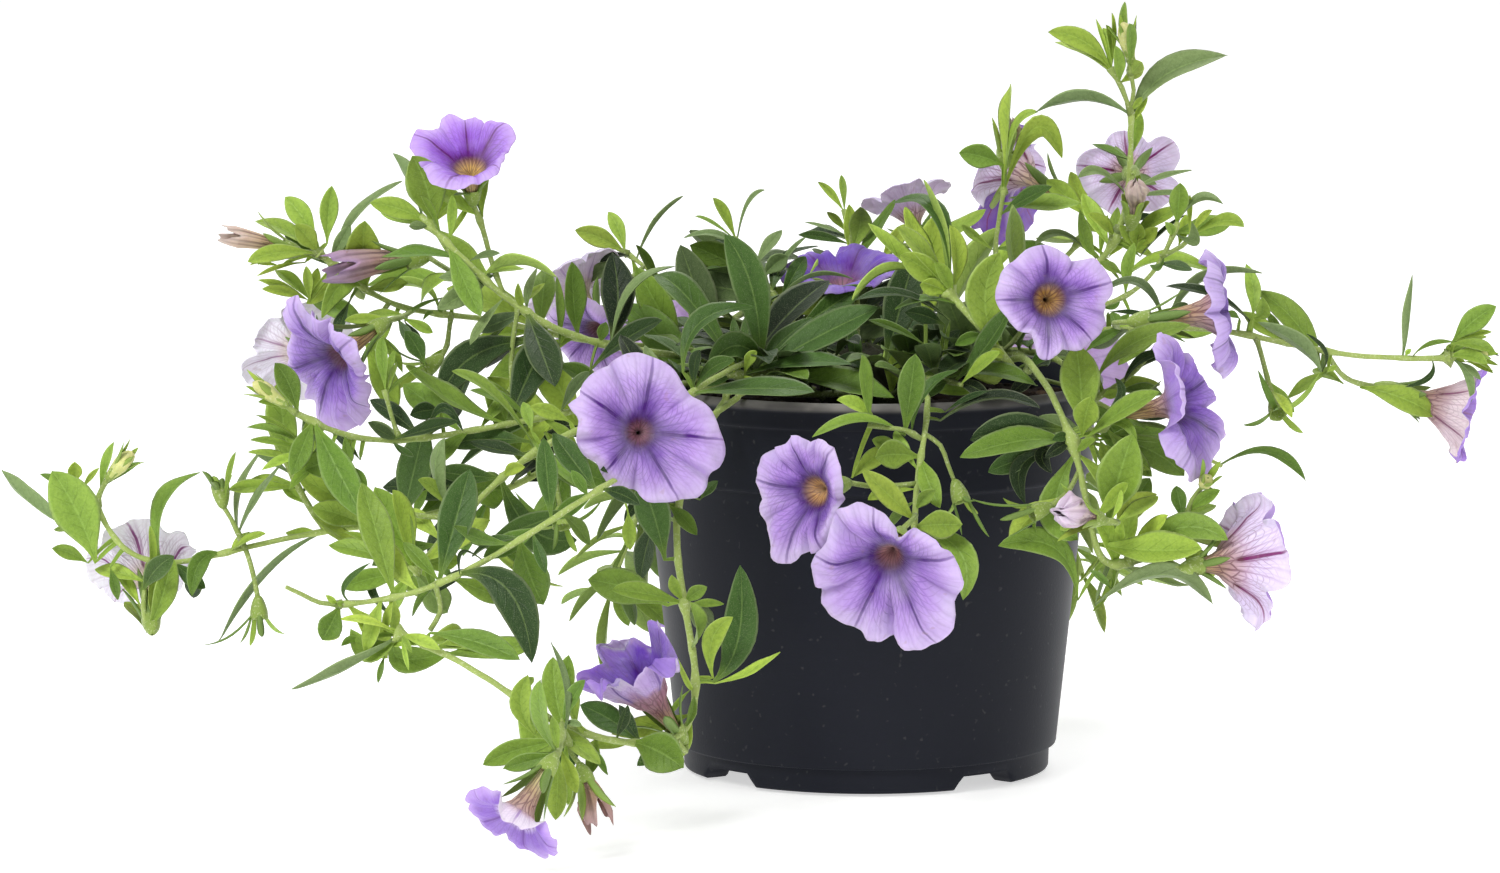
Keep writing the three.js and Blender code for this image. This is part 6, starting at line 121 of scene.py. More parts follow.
         ((-11.17, -2.28, 88.2), (-12.63, -10.25, 93.83), (-13.99, -17.61, 95.07), 5.51, (-0.08, 0.492, 0.867), "E"),
         ((-19.89, -5.35, 90.68), (-28.9, -2.01, 95.25), (-37.21, 1.07, 95.35), 6.07, (0.291, -0.124, 0.949), "E"),
         ((-23.71, -7.42, 91.37), (-24.48, -16.25, 97.18), (-25.2, -24.4, 99.03), 5.31, (0.108, 0.441, 0.891), "M"),
         ((-27.52, -9.45, 92.06), (-33.7, -6.82, 96.23), (-39.41, -4.39, 97.02), 4.23, (0.298, -0.364, 0.883), "D"),
         ((-35.07, -13.38, 93.45), (-37.69, -21.87, 95.36), (-40.1, -29.7, 93.03), 5.24, (0.079, 0.059, 0.995), "K"),
         ((-38.78, -15.25, 94.13), (-44.04, -11.82, 97.56), (-48.89, -8.66, 97.74), 4.24, (0.262, -0.278, 0.924), "M"),
     ],
     "buds": [
     ]},
    {"node": "shoot_left_back",
     "stems": [
         (0.76, 0.55, 1, [-11.7, 3.4, 84.3, -16.5, 4.8, 86.1, -20, 5, 87.6, -23.5, 5.2, 89.1, -27.1, 5.1, 90.4, -30.6, 5, 91.5, -34.3, 4.5, 92.4, -37.9, 3.9, 93.2, -41.6, 3.1, 93.7, -45.3, 2.1, 94.2, -49.1, 1, 94.7, -52.8, -0.2, 95.1, -56.5, -1.5, 95.6, -60.2, -2.8, 96.2, -63.8, -4.1, 96.8, -67.4, -5.3, 97.6, -70.8, -6.4, 98.5, -74.2, -7.3, 99.4, -77.5, -8.2, 100.3, -80.6, -8.9, 101.1, -83.8, -9.6, 101.8, -86.8, -10.3, 102.4, -89.8, -10.9, 102.8, -92.7, -11.6, 103.2, -95.6, -12.3, 103.6, -98.4, -13.1, 104.1, -101.2, -14, 104.7, -103.9, -14.9, 105.6, -106.6, -15.8, 106.8, -109.2, -16.7, 108.2, -111.8, -17.6, 109.8, -114.3, -18.5, 111.8, -116.8, -19.3, 113.8, -119.3, -20.2, 116.1, -121.8, -21, 118.3]),
         (0.55, 0.6, 0, [-92.7, -11.9, 103.3, -93.2, -12.6, 99.7, -93.6, -13.6, 96.7, -94.9, -15.6, 94.3]),
         (0.55, 0.62, 0, [-121.4, -20.8, 118, -125.7, -22, 118.5]),
         (0.55, 0.62, 0, [-100.8, -13.9, 104.7, -102.1, -17.6, 104.2, -103.4, -21.3, 103.9, -104.8, -25.1, 103.9, -106.2, -29, 104]),
         (0.55, 0.62, 0, [-106.2, -15.6, 106.6, -108.9, -17.3, 103, -111.7, -19.3, 99.5, -114.8, -21.6, 95.9, -118, -24.1, 92.2]),
     ],
     "cups": [
         ((-94.87, -15.62, 94.28), (-0.767, -0.307, -0.563), 2, 4.6),
         ((-125.74, -22, 118.45), (-0.941, -0.24, 0.24), 2.15, 4),
         ((-106.19, -29.02, 103.98), (-0.699, -0.549, -0.459), 2.15, 4.8),
         ((-118.04, -24.08, 92.22), (-0.552, 0.804, 0.221), 2.15, 4.8),
     ],
     "teeth": [
         ((-98.75, -17.44, 93.46), (-103.52, -20.06, 95.45), (-106.37, -21.91, 98.84), 1.65, (-0.512, -0.144, -0.847), "M"),
         ((-98.4, -15.19, 91.75), (-102.89, -14.39, 88.53), (-105.68, -12.91, 86.55), 1.6, (-0.187, -0.969, -0.162), "L"),
         ((-96.82, -17.31, 90.76), (-97.29, -18.86, 87.31), (-96.54, -19.91, 84.74), 1.6, (-0.996, -0.085, -0.01), "M"),
         ((-99.03, -15.89, 93), (-101.99, -15.59, 92.69), (-104.01, -14.91, 93.08), 1.6, (-0.13, -0.602, -0.788), "L"),
         ((-98.18, -18.21, 93.11), (-98.78, -20.81, 95.02), (-98.15, -22.91, 97.84), 1.6, (-0.78, -0.447, -0.438), "M"),
         ((-129.56, -22.14, 117.68), (-133.28, -22.27, 116.91), (-136.83, -22.11, 115.59), 2.46, (-0.165, -0.443, 0.881), "L"),
         ((-128.9, -24.26, 118.12), (-132.02, -26.76, 117.57), (-134.64, -29.64, 116.5), 2.09, (-0.54, 0.525, 0.658), "L"),
         ((-128.37, -24.32, 120.16), (-131.16, -26.27, 121.65), (-133.61, -28.53, 123.31), 1.83, (-0.655, 0.665, -0.358), "L"),
         ((-128.62, -22.45, 121.05), (-132.04, -23.01, 124.03), (-134.95, -23.33, 127.54), 2.07, (-0.602, -0.29, -0.744), "L"),
         ((-129.41, -21.04, 119.35), (-133.74, -20.16, 120.41), (-137.89, -18.62, 121.41), 2.34, (-0.183, -0.981, 0.066), "L"),
         ((-109.81, -29.76, 101.38), (-114.61, -30, 97.83), (-119.07, -28.94, 94.4), 1.87, (-0.019, -0.995, 0.095), "M"),
         ((-108.46, -30.7, 100.46), (-110.9, -32.51, 96.72), (-112.9, -33.94, 92.58), 1.97, (-0.586, -0.511, 0.629), "M"),
         ((-107.77, -32.41, 101.45), (-110.28, -36.48, 98.35), (-111.24, -40.04, 95.76), 1.83, (-0.888, 0.417, 0.193), "M"),
         ((-108.87, -32.61, 103.35), (-111.77, -36.17, 102.39), (-114.47, -39.98, 101.89), 2.19, (-0.343, 0.495, -0.799), "M"),
         ((-110.32, -30.75, 103.34), (-115.86, -32.57, 103.15), (-121.52, -33.74, 103.89), 2.33, (0.204, -0.538, -0.818), "M"),
         ((-119.84, -19.99, 91.54), (-121.54, -15.85, 90.59), (-122.83, -11.79, 89), 1.98, (-0.485, 0.001, 0.875), "M"),
         ((-121.64, -21.35, 92), (-125.1, -18.1, 92.19), (-128.79, -15.12, 92.07), 1.82, (0.535, 0.531, 0.657), "M"),
         ((-121.42, -21.8, 94.18), (-125.31, -19.23, 96.45), (-129.41, -17.34, 99.02), 2.15, (0.314, 0.849, -0.424), "M"),
         ((-119.72, -20.82, 94.87), (-121.46, -16.95, 98.79), (-122.55, -13.64, 103.38), 1.92, (-0.567, 0.445, -0.693), "M"),
         ((-118.79, -19.75, 93.29), (-119, -15.33, 94.37), (-118.36, -10.94, 95.38), 2.11, (-0.997, -0.057, 0.039), "M"),
     ],
     "leaves": [
         ((-118.76, -19.97, 115.77), (-113.33, -16.41, 126.1), (-103.48, -12.01, 133.22), 4.74, (-0.605, -0.374, 0.703), "G"),
         ((-111.3, -17.43, 109.56), (-111.81, -19.85, 117.67), (-111.13, -27.62, 125.97), 7.92, (0.014, -0.893, -0.45), "L"),
         ((-110.51, -17.15, 109.09), (-115.88, -20.62, 111.62), (-120.82, -24.85, 104.09), 4.99, (0.549, -0.779, 0.303), "L"),
         ((-121.84, -20.98, 118.03), (-128.67, -18.1, 122.69), (-136.03, -15, 124.61), 4.55, (0.076, -0.558, 0.826), "L"),
         ((-121.84, -20.98, 118.03), (-130.03, -27.4, 118.94), (-136.86, -30.19, 117.15), 4.42, (0.412, -0.751, 0.517), "L"),
         ((-121.84, -20.98, 118.03), (-125.33, -19.23, 126), (-129.23, -17, 130.17), 4.99, (-0.113, -0.939, 0.324), "L", (-122.23, -21, 121.02)),
         ((-121.84, -20.98, 118.03), (-123.97, -23.69, 121.94), (-126.55, -26.96, 124.99), 4.53, (0.436, -0.805, -0.402), "Y"),
         ((-121.84, -20.98, 118.03), (-119.33, -22.33, 127.1), (-118.43, -24.95, 133.43), 4.08, (0.008, -0.956, -0.293), "L", (-119.8, -20.95, 120.34)),
         ((-121.84, -20.98, 118.03), (-130, -23.56, 115.42), (-135.07, -26, 113.56), 1.46, (0.123, -0.642, 0.757), "Y", (-124.7, -21, 116.12)),
         ((-121.84, -20.98, 118.03), (-132.55, -23.67, 116.05), (-134.94, -26.38, 116.32), 0.91, (0.543, -0.839, 0.047), "Y", (-130.24, -21.48, 115.29)),
         ((-117.89, -19.67, 115.03), (-129.33, -21.64, 110.54), (-134.98, -23.73, 112.42), 2.45, (0.503, -0.61, 0.613), "Y", (-124.15, -19.73, 107.51)),
         ((-117.89, -19.67, 115.03), (-128.91, -23.13, 109.73), (-133.94, -26.73, 110.75), 2.44, (0.619, -0.714, 0.328), "Y", (-124.15, -19.73, 107.51)),
         ((-117.63, -19.58, 114.81), (-127.44, -17.3, 111.03), (-131.69, -14.64, 113.63), 3.12, (0.087, -0.713, 0.695), "Y", (-123.71, -19.64, 107.5)),
         ((-117.41, -19.51, 114.62), (-123.96, -21.64, 111.58), (-124.3, -24.57, 115.62), 2.27, (0.104, -0.862, -0.495), "Y", (-123.71, -19.57, 107.04)),
         ((-117.37, -19.49, 114.59), (-122.77, -17.88, 111.04), (-122.09, -15.55, 114.18), 2.27, (0.118, -0.861, 0.494), "Y", (-123.27, -19.55, 107.49)),
         ((-112.64, -17.89, 110.57), (-116.64, -21.83, 103.07), (-117.98, -24.9, 98.08), 3.33, (-0.392, -0.665, 0.636), "D", (-114.92, -17.9, 107.3)),
         ((-92.57, -11.82, 103.28), (-102.15, -6.54, 110.84), (-112.28, -1.59, 108.58), 6.37, (-0.299, -0.418, 0.858), "B", (-91.82, -11.59, 110.83)),
         ((-95.17, -12.47, 103.72), (-99.22, -11.78, 109.81), (-108.69, -7.25, 109.44), 2.99, (0.459, 0.725, 0.513), "Y"),
         ((-94.94, -12.41, 103.68), (-94.91, -13.93, 105.06), (-94.57, -16.19, 107.55), 1.59, (-0.037, -0.804, -0.593), "M"),
         ((-94.38, -12.27, 103.59), (-98.55, -14.64, 106.08), (-102.77, -17.05, 103.85), 1.32, (-0.023, -0.54, 0.841), "M", (-94.04, -12.05, 107.3)),
         ((-96.34, -12.76, 103.92), (-97.58, -14.7, 104.03), (-98.79, -16.65, 102.68), 0.91, (0.52, -0.634, 0.572), "M"),
         ((-103.98, -14.91, 105.79), (-107.81, -18.73, 99.98), (-110.15, -21.99, 96.17), 3.07, (0.105, -0.725, 0.681), "L", (-105.08, -14.91, 102.93)),
         ((-102, -14.25, 105.05), (-101.17, -10.92, 98.57), (-99.8, -8.25, 94.51), 2.79, (0.525, -0.755, -0.392), "D", (-102.88, -14.25, 101.96)),
         ((-70.72, -6.16, 98.49), (-82.34, -4.92, 104.53), (-94.07, 0.24, 107.77), 7.5, (0.015, -0.799, 0.601), "Y"),
         ((-33.87, 4.5, 92.23), (-37.57, 4.15, 104.8), (-41.82, 5.7, 117.03), 8.19, (0.261, -0.957, 0.127), "S"),
         ((-110.36, -18.08, 100.84), (-116.91, -14.77, 104.35), (-124.14, -10.11, 107.13), 5.71, (-0.05, -0.689, 0.723), "B"),
         ((-105.02, -25.88, 103.85), (-110.35, -26.86, 104.11), (-115.47, -31.75, 104.28), 3.31, (0.374, -0.607, 0.702), "Y"),
         ((-111.81, -19.04, 99), (-107.81, -22.72, 90.74), (-104.69, -25.91, 82.92), 6.46, (0.422, -0.767, 0.483), "Y"),
         ((-115.42, -18.83, 112.93), (-120.12, -16.88, 109.45), (-124.77, -15.01, 106.15), 3.42, (-0.403, -0.915, 0.026), "Y"),
         ((-102.39, -18.57, 104.02), (-107.4, -19.26, 104.18), (-112.33, -18.99, 103.03), 3.05, (-0.051, -0.571, 0.819), "Y"),
         ((-93.86, -14.04, 96.21), (-96.44, -13.41, 93.54), (-98.74, -14.89, 89.93), 2.32, (-0.182, -0.946, 0.269), "Y"),
         ((-104.12, -23.44, 103.75), (-102.41, -26.11, 101.19), (-100.81, -27.89, 97.94), 2.63, (0.084, -0.765, 0.638), "S"),
         ((-73.16, -6.81, 99.11), (-79.51, -6.2, 95.24), (-85.24, -4.98, 90.53), 5.14, (-0.578, -0.363, 0.731), "K"),
         ((-80.49, -8.75, 100.96), (-88.27, -12.87, 91.16), (-92.56, -14.41, 78.72), 8.24, (-0.709, -0.49, 0.507), "D"),
         ((-103.22, -21, 103.68), (-99.72, -20.11, 101.91), (-96.53, -18.49, 100.09), 2.33, (0.383, -0.921, 0.07), "Y"),
         ((-41.35, 2.98, 93.6), (-46.3, -0.96, 102.88), (-51.61, -0.92, 112.74), 7.64, (0.095, -0.983, -0.16), "B"),
         ((-73.16, -6.81, 99.11), (-80.15, -4.51, 98.41), (-87.01, -1.69, 97.27), 4.48, (-0.32, -0.576, 0.752), "Y"),
         ((-119.25, -20.13, 116.18), (-116.94, -21.48, 120.28), (-114.52, -22.13, 124.62), 2.97, (-0.034, -0.978, -0.205), "G"),
         ((-111.55, -17.52, 109.71), (-106.68, -18.45, 110.35), (-101.98, -19.9, 111.32), 3.54, (-0.288, -0.813, 0.506), "Y"),
         ((-73.16, -6.81, 99.11), (-72.54, -2.3, 106.06), (-71.92, 5.48, 112.02), 5.43, (0.069, -0.72, 0.69), "B"),
         ((-119.25, -20.13, 116.18), (-116.59, -17.92, 117.94), (-113.77, -16.16, 120.2), 2.64, (0.109, -0.783, 0.613), "L"),
         ((-113.5, -18.18, 111.3), (-112.89, -14.95, 108.98), (-112.14, -11.78, 106.66), 2.91, (-0.397, 0.586, 0.706), "Y"),
         ((-110.39, -18.1, 100.8), (-106.22, -19.18, 96.47), (-103.23, -19.03, 91.18), 3.55, (0.588, -0.635, 0.501), "Y"),
         ((-117.33, -19.48, 114.55), (-123.52, -16.8, 117.84), (-129.59, -14.37, 121.52), 4.05, (0.004, -0.806, 0.592), "M"),
         ((-11.71, 3.43, 84.3), (-16.86, -1.1, 91.02), (-21.61, -5.28, 94.15), 4.71, (0.658, 0.152, 0.737), "M"),
         ((-20.02, 5.03, 87.62), (-22.92, 10.91, 91.3), (-25.59, 16.34, 92.33), 4.31, (0.086, -0.384, 0.919), "K"),
         ((-27.08, 5.14, 90.37), (-32.31, 0.46, 92.71), (-37.14, -3.86, 90.89), 4.64, (0.065, 0.214, 0.975), "E"),
         ((-34.26, 4.55, 92.41), (-40.67, 11.89, 98.54), (-46.59, 18.67, 98.71), 5.93, (0.341, -0.274, 0.899), "E"),
         ((-34.26, 4.55, 92.41), (-36.78, -3.39, 99.82), (-39.11, -10.71, 101.98), 5.44, (0.361, 0.489, 0.794), "M"),
         ((-41.6, 3.12, 93.73), (-48.34, 7.68, 98.56), (-54.55, 11.9, 98.72), 5.58, (0.102, -0.522, 0.847), "E"),
     ],
     "buds": [
     ]},
    {"node": "shoot_left_mid",
     "stems": [
         (0.76, 0.55, 1, [-8.8, -3.9, 92, -13.3, -5.9, 93.8, -15.9, -8.7, 93.3, -18.5, -11.5, 92.7, -21.1, -14.2, 92.2, -23.8, -16.9, 91.8, -26.6, -19.6, 91.4, -29.6, -22.1, 91, -32.6, -24.7, 90.7, -35.7, -27.1, 90.5, -38.9, -29.6, 90.3, -42.1, -31.9, 90.1, -45.4, -34.2, 89.4, -48.8, -36.4, 88.8, -52.2, -38.5, 88.1, -55.6, -40.4, 87.5, -59.1, -42.3, 86.8, -62.6, -43.9, 86.2, -66.2, -45.4, 85.7, -69.7, -46.8, 85.1, -73.3, -48, 84.5, -77, -49, 84, -80.6, -50, 83.4, -84.3, -50.9, 82.8, -88, -51.6, 82.3, -91.7, -52.4, 81.7, -95.4, -53.1, 81.3, -99.1, -53.7, 80.9, -102.8, -54.4, 80.7, -106.3, -55.1, 80.8, -109.8, -55.9, 81.2, -113.2, -56.6, 81.9, -116.4, -57.4, 83, -119.5, -58.3, 84.3, -122.4, -59.1, 85.9, -125.4, -60, 87.6]),
         (0.55, 0.47, 0, [-102.6, -54.4, 81, -103.4, -54.2, 82.9, -104.2, -54.1, 85.4, -105, -54, 88.4, -105.8, -54, 91.7]),
         (0.55, 0.6, 0, [-124.8, -59.9, 87.3, -126.2, -60.5, 88.4, -127, -61, 89.3]),
     ],
     "cups": [
         ((-127.03, -61, 89.27), (-0.748, -0.322, 0.58), 1.35, 4.19),
     ],
     "teeth": [
         ((-130.44, -61.55, 90.78), (-132.99, -62.27, 92.28), (-135.62, -62.89, 93.69), 1.65, (0.526, -0.591, 0.611), "L"),
         ((-130.12, -62.76, 90.53), (-133.02, -64.46, 91.6), (-135.94, -66.31, 92.31), 1.47, (0.095, 0.413, 0.906), "L"),
         ((-129.21, -63.13, 91.5), (-131.08, -64.79, 93.34), (-132.76, -66.66, 95.16), 1.78, (-0.647, 0.762, 0.032), "L"),
         ((-129.1, -62.01, 92.26), (-131.28, -62.98, 94.29), (-133.4, -63.93, 96.4), 1.4, (-0.633, -0.165, -0.756), "L"),
         ((-129.81, -61.16, 91.82), (-132.66, -61.42, 94.4), (-135.46, -61.33, 97.06), 1.31, (-0.13, -0.962, -0.241), "L"),
     ],
     "leaves": [
         ((-124.51, -59.76, 87.17), (-126.23, -62.33, 93.92), (-129.11, -65.76, 99.05), 4.99, (0.287, -0.89, -0.353), "M"),
         ((-113.06, -56.68, 82.25), (-118.72, -60.2, 76.55), (-122.86, -63.68, 75.38), 6.33, (0.602, -0.76, 0.244), "B", (-114.48, -56.64, 76.63)),
         ((-120.09, -58.5, 84.89), (-129.92, -56.02, 77.84), (-135.79, -53.49, 77.98), 2.49, (-0.136, -0.566, 0.813), "L", (-124.2, -58.49, 76.44)),
         ((-121.95, -59.03, 85.85), (-128.5, -61.37, 84.93), (-133.4, -64.02, 87.47), 1.5, (0.642, -0.588, 0.492), "B", (-124.14, -59.02, 81.34)),
         ((-121, -58.76, 85.36), (-129.54, -59.18, 83.39), (-135.9, -55.94, 83.79), 2.64, (0.054, -0.549, 0.834), "B", (-123.51, -58.99, 80.24)),
         ((-120.58, -58.64, 85.14), (-128.98, -61.56, 81.22), (-134.71, -64.63, 82.07), 2.55, (0.471, -0.526, 0.708), "B", (-123.52, -58.63, 79.09)),
         ((-119.05, -58.2, 84.35), (-126.87, -61.78, 77.73), (-132.12, -65.19, 75.58), 2.58, (0.17, -0.598, 0.783), "Y", (-121.37, -58.19, 78.6)),
         ((-110.28, -56.05, 81.66), (-114.35, -53.69, 80.16), (-117.97, -51, 82.94), 2.27, (-0.246, -0.872, 0.423), "D", (-111.24, -56, 76.55)),
         ((-112.17, -56.48, 82.06), (-111.41, -59.57, 73.28), (-109.7, -62.27, 70.36), 2.72, (-0.276, -0.728, 0.627), "M", (-113.4, -56.44, 75.51)),
         ((-98.18, -53.59, 81.15), (-103.49, -50.26, 85.58), (-109.38, -46.57, 88.55), 4.18, (-0.166, -0.825, 0.541), "D"),
         ((-102.69, -54.45, 80.96), (-105.9, -57.18, 82.69), (-109.24, -60.85, 85.53), 3.16, (0.783, -0.614, 0.101), "S"),
         ((-105.61, -54.02, 91.11), (-98.84, -56.19, 101.53), (-101.16, -59, 105.23), 4.08, (0.313, -0.87, -0.38), "E", (-97.03, -54, 97.18)),
         ((-105.61, -54.02, 91.11), (-106.11, -55.94, 98.6), (-105.95, -59, 103.92), 3.4, (-0.468, -0.81, -0.353), "B"),
         ((-105.61, -54.02, 91.11), (-104.91, -51.86, 96.26), (-103.76, -49, 99.87), 1.84, (-0.05, -0.833, 0.551), "B"),
         ((-93.08, -52.58, 81.6), (-97.04, -55.48, 87.35), (-100.19, -58.33, 86.74), 4.08, (0.65, -0.734, 0.198), "D", (-93.86, -52.61, 87.11)),
         ((-96.94, -53.35, 81.21), (-93.07, -58.11, 88.31), (-88.62, -59.98, 83.44), 2.27, (-0.617, -0.779, 0.115), "D"),
         ((-125.25, -60.06, 87.7), (-129.03, -60.16, 89.66), (-132.95, -64, 90.31), 2.04, (0.465, -0.885, -0.005), "L"),
         ((-87.36, -51.39, 82.42), (-91.89, -55.76, 79.27), (-95.85, -59.49, 74.82), 3.89, (0.079, -0.735, 0.673), "B"),
         ((-85.17, -50.94, 82.74), (-81.67, -47.32, 86.63), (-77.72, -43.15, 89.22), 3.49, (0.094, -0.674, 0.733), "L"),
         ((-116.21, -57.41, 82.93), (-122.12, -59.86, 75.38), (-126.06, -65.41, 71.23), 3.71, (-0.142, -0.538, 0.831), "B", (-117.7, -57.41, 77.83)),
         ((-67.96, -45.72, 85.4), (-64.76, -49.86, 90.97), (-61.06, -54.47, 95.7), 4.19, (-0.855, -0.495, 0.153), "S"),
         ((-50.56, -37.41, 88.44), (-53.88, -41.77, 84.22), (-56.87, -45.45, 79.57), 3.68, (0.169, -0.772, 0.613), "D"),
         ((-68.18, -45.8, 85.37), (-72.6, -41.88, 80.62), (-76.8, -38.15, 75.95), 4.04, (-0.703, -0.707, 0.082), "Y"),
         ((-79.2, -49.52, 83.62), (-74.51, -42.85, 94.05), (-70.56, -32.12, 100.81), 8.24, (0.126, -0.726, 0.676), "D"),
         ((-121.29, -58.84, 85.51), (-115.87, -66.33, 76.19), (-109.78, -71.81, 66.04), 7.25, (-0.25, -0.866, 0.432), "M"),
         ((-79.2, -49.52, 83.62), (-91.12, -51.01, 88.88), (-101.04, -53.75, 97.04), 8.24, (0.536, -0.356, 0.765), "B"),
         ((-89.22, -51.78, 82.16), (-95.86, -48.93, 87.54), (-102.15, -43.91, 91.75), 6.42, (-0.15, -0.852, 0.502), "B"),
         ((-121.29, -58.84, 85.51), (-123.21, -64.58, 80.77), (-125.54, -68.79, 74.93), 4.95, (0.243, -0.748, 0.618), "M"),
         ((-71.9, -47.05, 84.78), (-81.38, -45.16, 79.85), (-89.91, -42.33, 73.43), 6.53, (-0.564, -0.273, 0.78), "E"),
         ((-104.45, -54.78, 80.89), (-101.95, -57.18, 78.65), (-99.46, -60.32, 77.91), 2.21, (-0.009, -0.465, 0.885), "E"),
         ((-71.9, -47.05, 84.78), (-67.78, -46.5, 81.86), (-64.24, -44.96, 78.66), 2.79, (0.556, -0.737, 0.383), "L"),
         ((-114.4, -56.99, 82.54), (-113.9, -59.39, 79.11), (-112.87, -62.69, 76.97), 2.64, (0.323, -0.598, 0.734), "M"),
         ((-105.45, -54.04, 90.57), (-104.19, -54.71, 94.26), (-103.04, -55.5, 98.02), 2.39, (-0.892, -0.397, 0.215), "L"),
         ((-96.8, -53.32, 81.21), (-93.08, -48.14, 85.18), (-89.89, -41.9, 87.98), 5.38, (0.304, -0.619, 0.724), "D"),
         ((-104.45, -54.78, 80.89), (-97.16, -59.28, 83.52), (-89.7, -63.66, 86), 5.46, (-0.504, -0.378, 0.777), "D"),
         ((-74.34, -47.88, 84.39), (-80.06, -50.19, 88.89), (-87.3, -50.73, 91.25), 4.23, (0.477, -0.484, 0.733), "M"),
         ((-101.9, -54.3, 81), (-105.41, -53.6, 82.65), (-108.74, -53.8, 84.9), 2.35, (0.177, -0.901, 0.396), "G"),
         ((-123.53, -59.48, 86.66), (-122.66, -54.56, 80.96), (-122.32, -50.23, 74.83), 5.51, (0.607, 0.592, 0.531), "E"),
         ((-8.77, -3.9, 92), (-12, -12.17, 97.85), (-14.99, -19.8, 99.43), 5.85, (0.044, 0.465, 0.884), "E"),
         ((-15.89, -8.71, 93.26), (-22.64, -6.78, 97.22), (-28.87, -5.01, 98.17), 4.89, (0.366, -0.121, 0.923), "E"),
         ((-21.11, -14.21, 92.24), (-20.07, -23.97, 96.69), (-19.1, -32.98, 95.77), 6.56, (0.141, 0.311, 0.94), "D"),
         ((-26.64, -19.55, 91.37), (-33.67, -16.39, 97.91), (-40.17, -13.47, 99.29), 5.92, (0.423, -0.409, 0.809), "K"),
         ((-29.56, -22.14, 91.02), (-28.07, -28.35, 98.17), (-26.69, -34.09, 101.23), 5.32, (-0.214, 0.65, 0.729), "E"),
         ((-35.67, -27.14, 90.49), (-43.06, -24.02, 96.91), (-49.89, -21.14, 100.04), 5.34, (0.471, -0.269, 0.84), "E"),
     ],
     "buds": [
         ((-127.18, -61.06, 89.39), (-134, -64, 94.68), 1.7),
     ]},
    {"node": "shoot_left_front",
     "stems": [
         (0.87, 0.63, 1, [-9.8, -7.3, 84.3, -13.8, -10.2, 86.1, -16, -13.7, 86.7, -18.2, -17.1, 87.3, -20.5, -20.5, 87.9, -22.8, -23.9, 88.4, -25.2, -27.1, 88.9, -27.7, -30.4, 89.4, -30.2, -33.4, 89.8, -32.8, -36.4, 90.2, -35.6, -39.2, 90.2, -38.4, -41.8, 89.5, -41.3, -44.3, 88.8, -44.3, -46.6, 88.1, -47.4, -48.8, 87.4, -50.5, -50.8, 86.7, -53.8, -52.7, 86, -57, -54.4, 85.2, -60.2, -56, 84.4, -63.4, -57.6, 83.4, -66.5, -59.1, 82.2, -69.6, -60.5, 80.9, -72.5, -61.8, 79.3, -75.3, -63.1, 77.5, -78.1, -64.4, 75.5, -80.7, -65.6, 73.3, -83.4, -66.8, 70.9, -86, -68, 68.4, -88.6, -69.2, 65.7, -91.2, -70.4, 62.9, -93.8, -71.6, 60.1, -96.5, -72.8, 57.2, -99.1, -74, 54.3]),
         (0.65, 0.55, 0, [-88.6, -69.2, 65.5, -93.1, -69.1, 65.7, -97.6, -69, 66.1, -102, -69, 66.7, -106.4, -69, 67.3]),
         (0.55, 0.6, 0, [-72.4, -61.8, 79.1, -69.2, -63.8, 75.4, -68.2, -64.8, 71.6, -67.4, -65.8, 67.3]),
     ],
     "cups": [
         ((-67.44, -65.8, 67.34), (0.101, -0.504, -0.858), 2, 4.6),
     ],
     "teeth": [
         ((-68.34, -68.89, 64.38), (-72.53, -71.64, 66.85), (-77.01, -72.92, 71.81), 1.94, (-0.23, -0.718, -0.657), "M"),
         ((-68.7, -67.46, 63.5), (-72.87, -66.25, 63.01), (-77.27, -63.92, 64.44), 1.6, (-0.259, -0.392, -0.883), "L"),
         ((-65.55, -68.54, 64.5), (-61.78, -70.3, 66.19), (-58.23, -70.92, 69.79), 1.6, (0.332, -0.599, -0.729), "M"),
         ((-66.15, -66.47, 63.22), (-64.89, -66.56, 59.84), (-63.77, -65.92, 57.7), 1.6, (-0.328, -0.915, -0.234), "L"),
         ((-68.16, -69.03, 64.48), (-68.39, -71.91, 61.15), (-68.8, -73.92, 59.28), 1.6, (0.645, 0.515, -0.564), "M"),
     ],
     "leaves": [
         ((-72.21, -61.67, 79.19), (-82.1, -66.22, 92.55), (-90.56, -71.72, 98.03), 4.87, (0.746, -0.322, 0.583), "L", (-74, -61.72, 82.35)),
         ((-71.42, -61.31, 79.61), (-74.45, -59.63, 86.66), (-75.61, -57.36, 89.47), 2.72, (-0.101, -0.846, 0.524), "L", (-73.57, -61.36, 83.4)),
         ((-64.45, -58.02, 82.85), (-69.49, -60.49, 87.63), (-73.95, -63.09, 89.1), 3.4, (0.481, -0.874, -0.063), "Y", (-65.37, -58.09, 85.17)),
         ((-72.01, -61.58, 79.3), (-69.16, -65.23, 77.34), (-61.5, -69.63, 71.36), 3.45, (0.354, -0.497, 0.792), "B", (-73.35, -61.63, 81.68)),
         ((-72.54, -61.83, 79.01), (-83.74, -48.82, 80.31), (-93.1, -43.87, 78.26), 5.97, (-0.414, -0.66, 0.627), "E", (-74.2, -53.87, 80.23)),
         ((-89.47, -69.17, 65.51), (-93.88, -72.6, 74.83), (-91.96, -77, 84.12), 4.94, (0.708, 0.578, 0.407), "G"),
         ((-89.69, -69.16, 65.5), (-93.75, -71.79, 71.85), (-97.9, -75, 74.71), 3.31, (0.624, -0.781, 0.024), "L"),
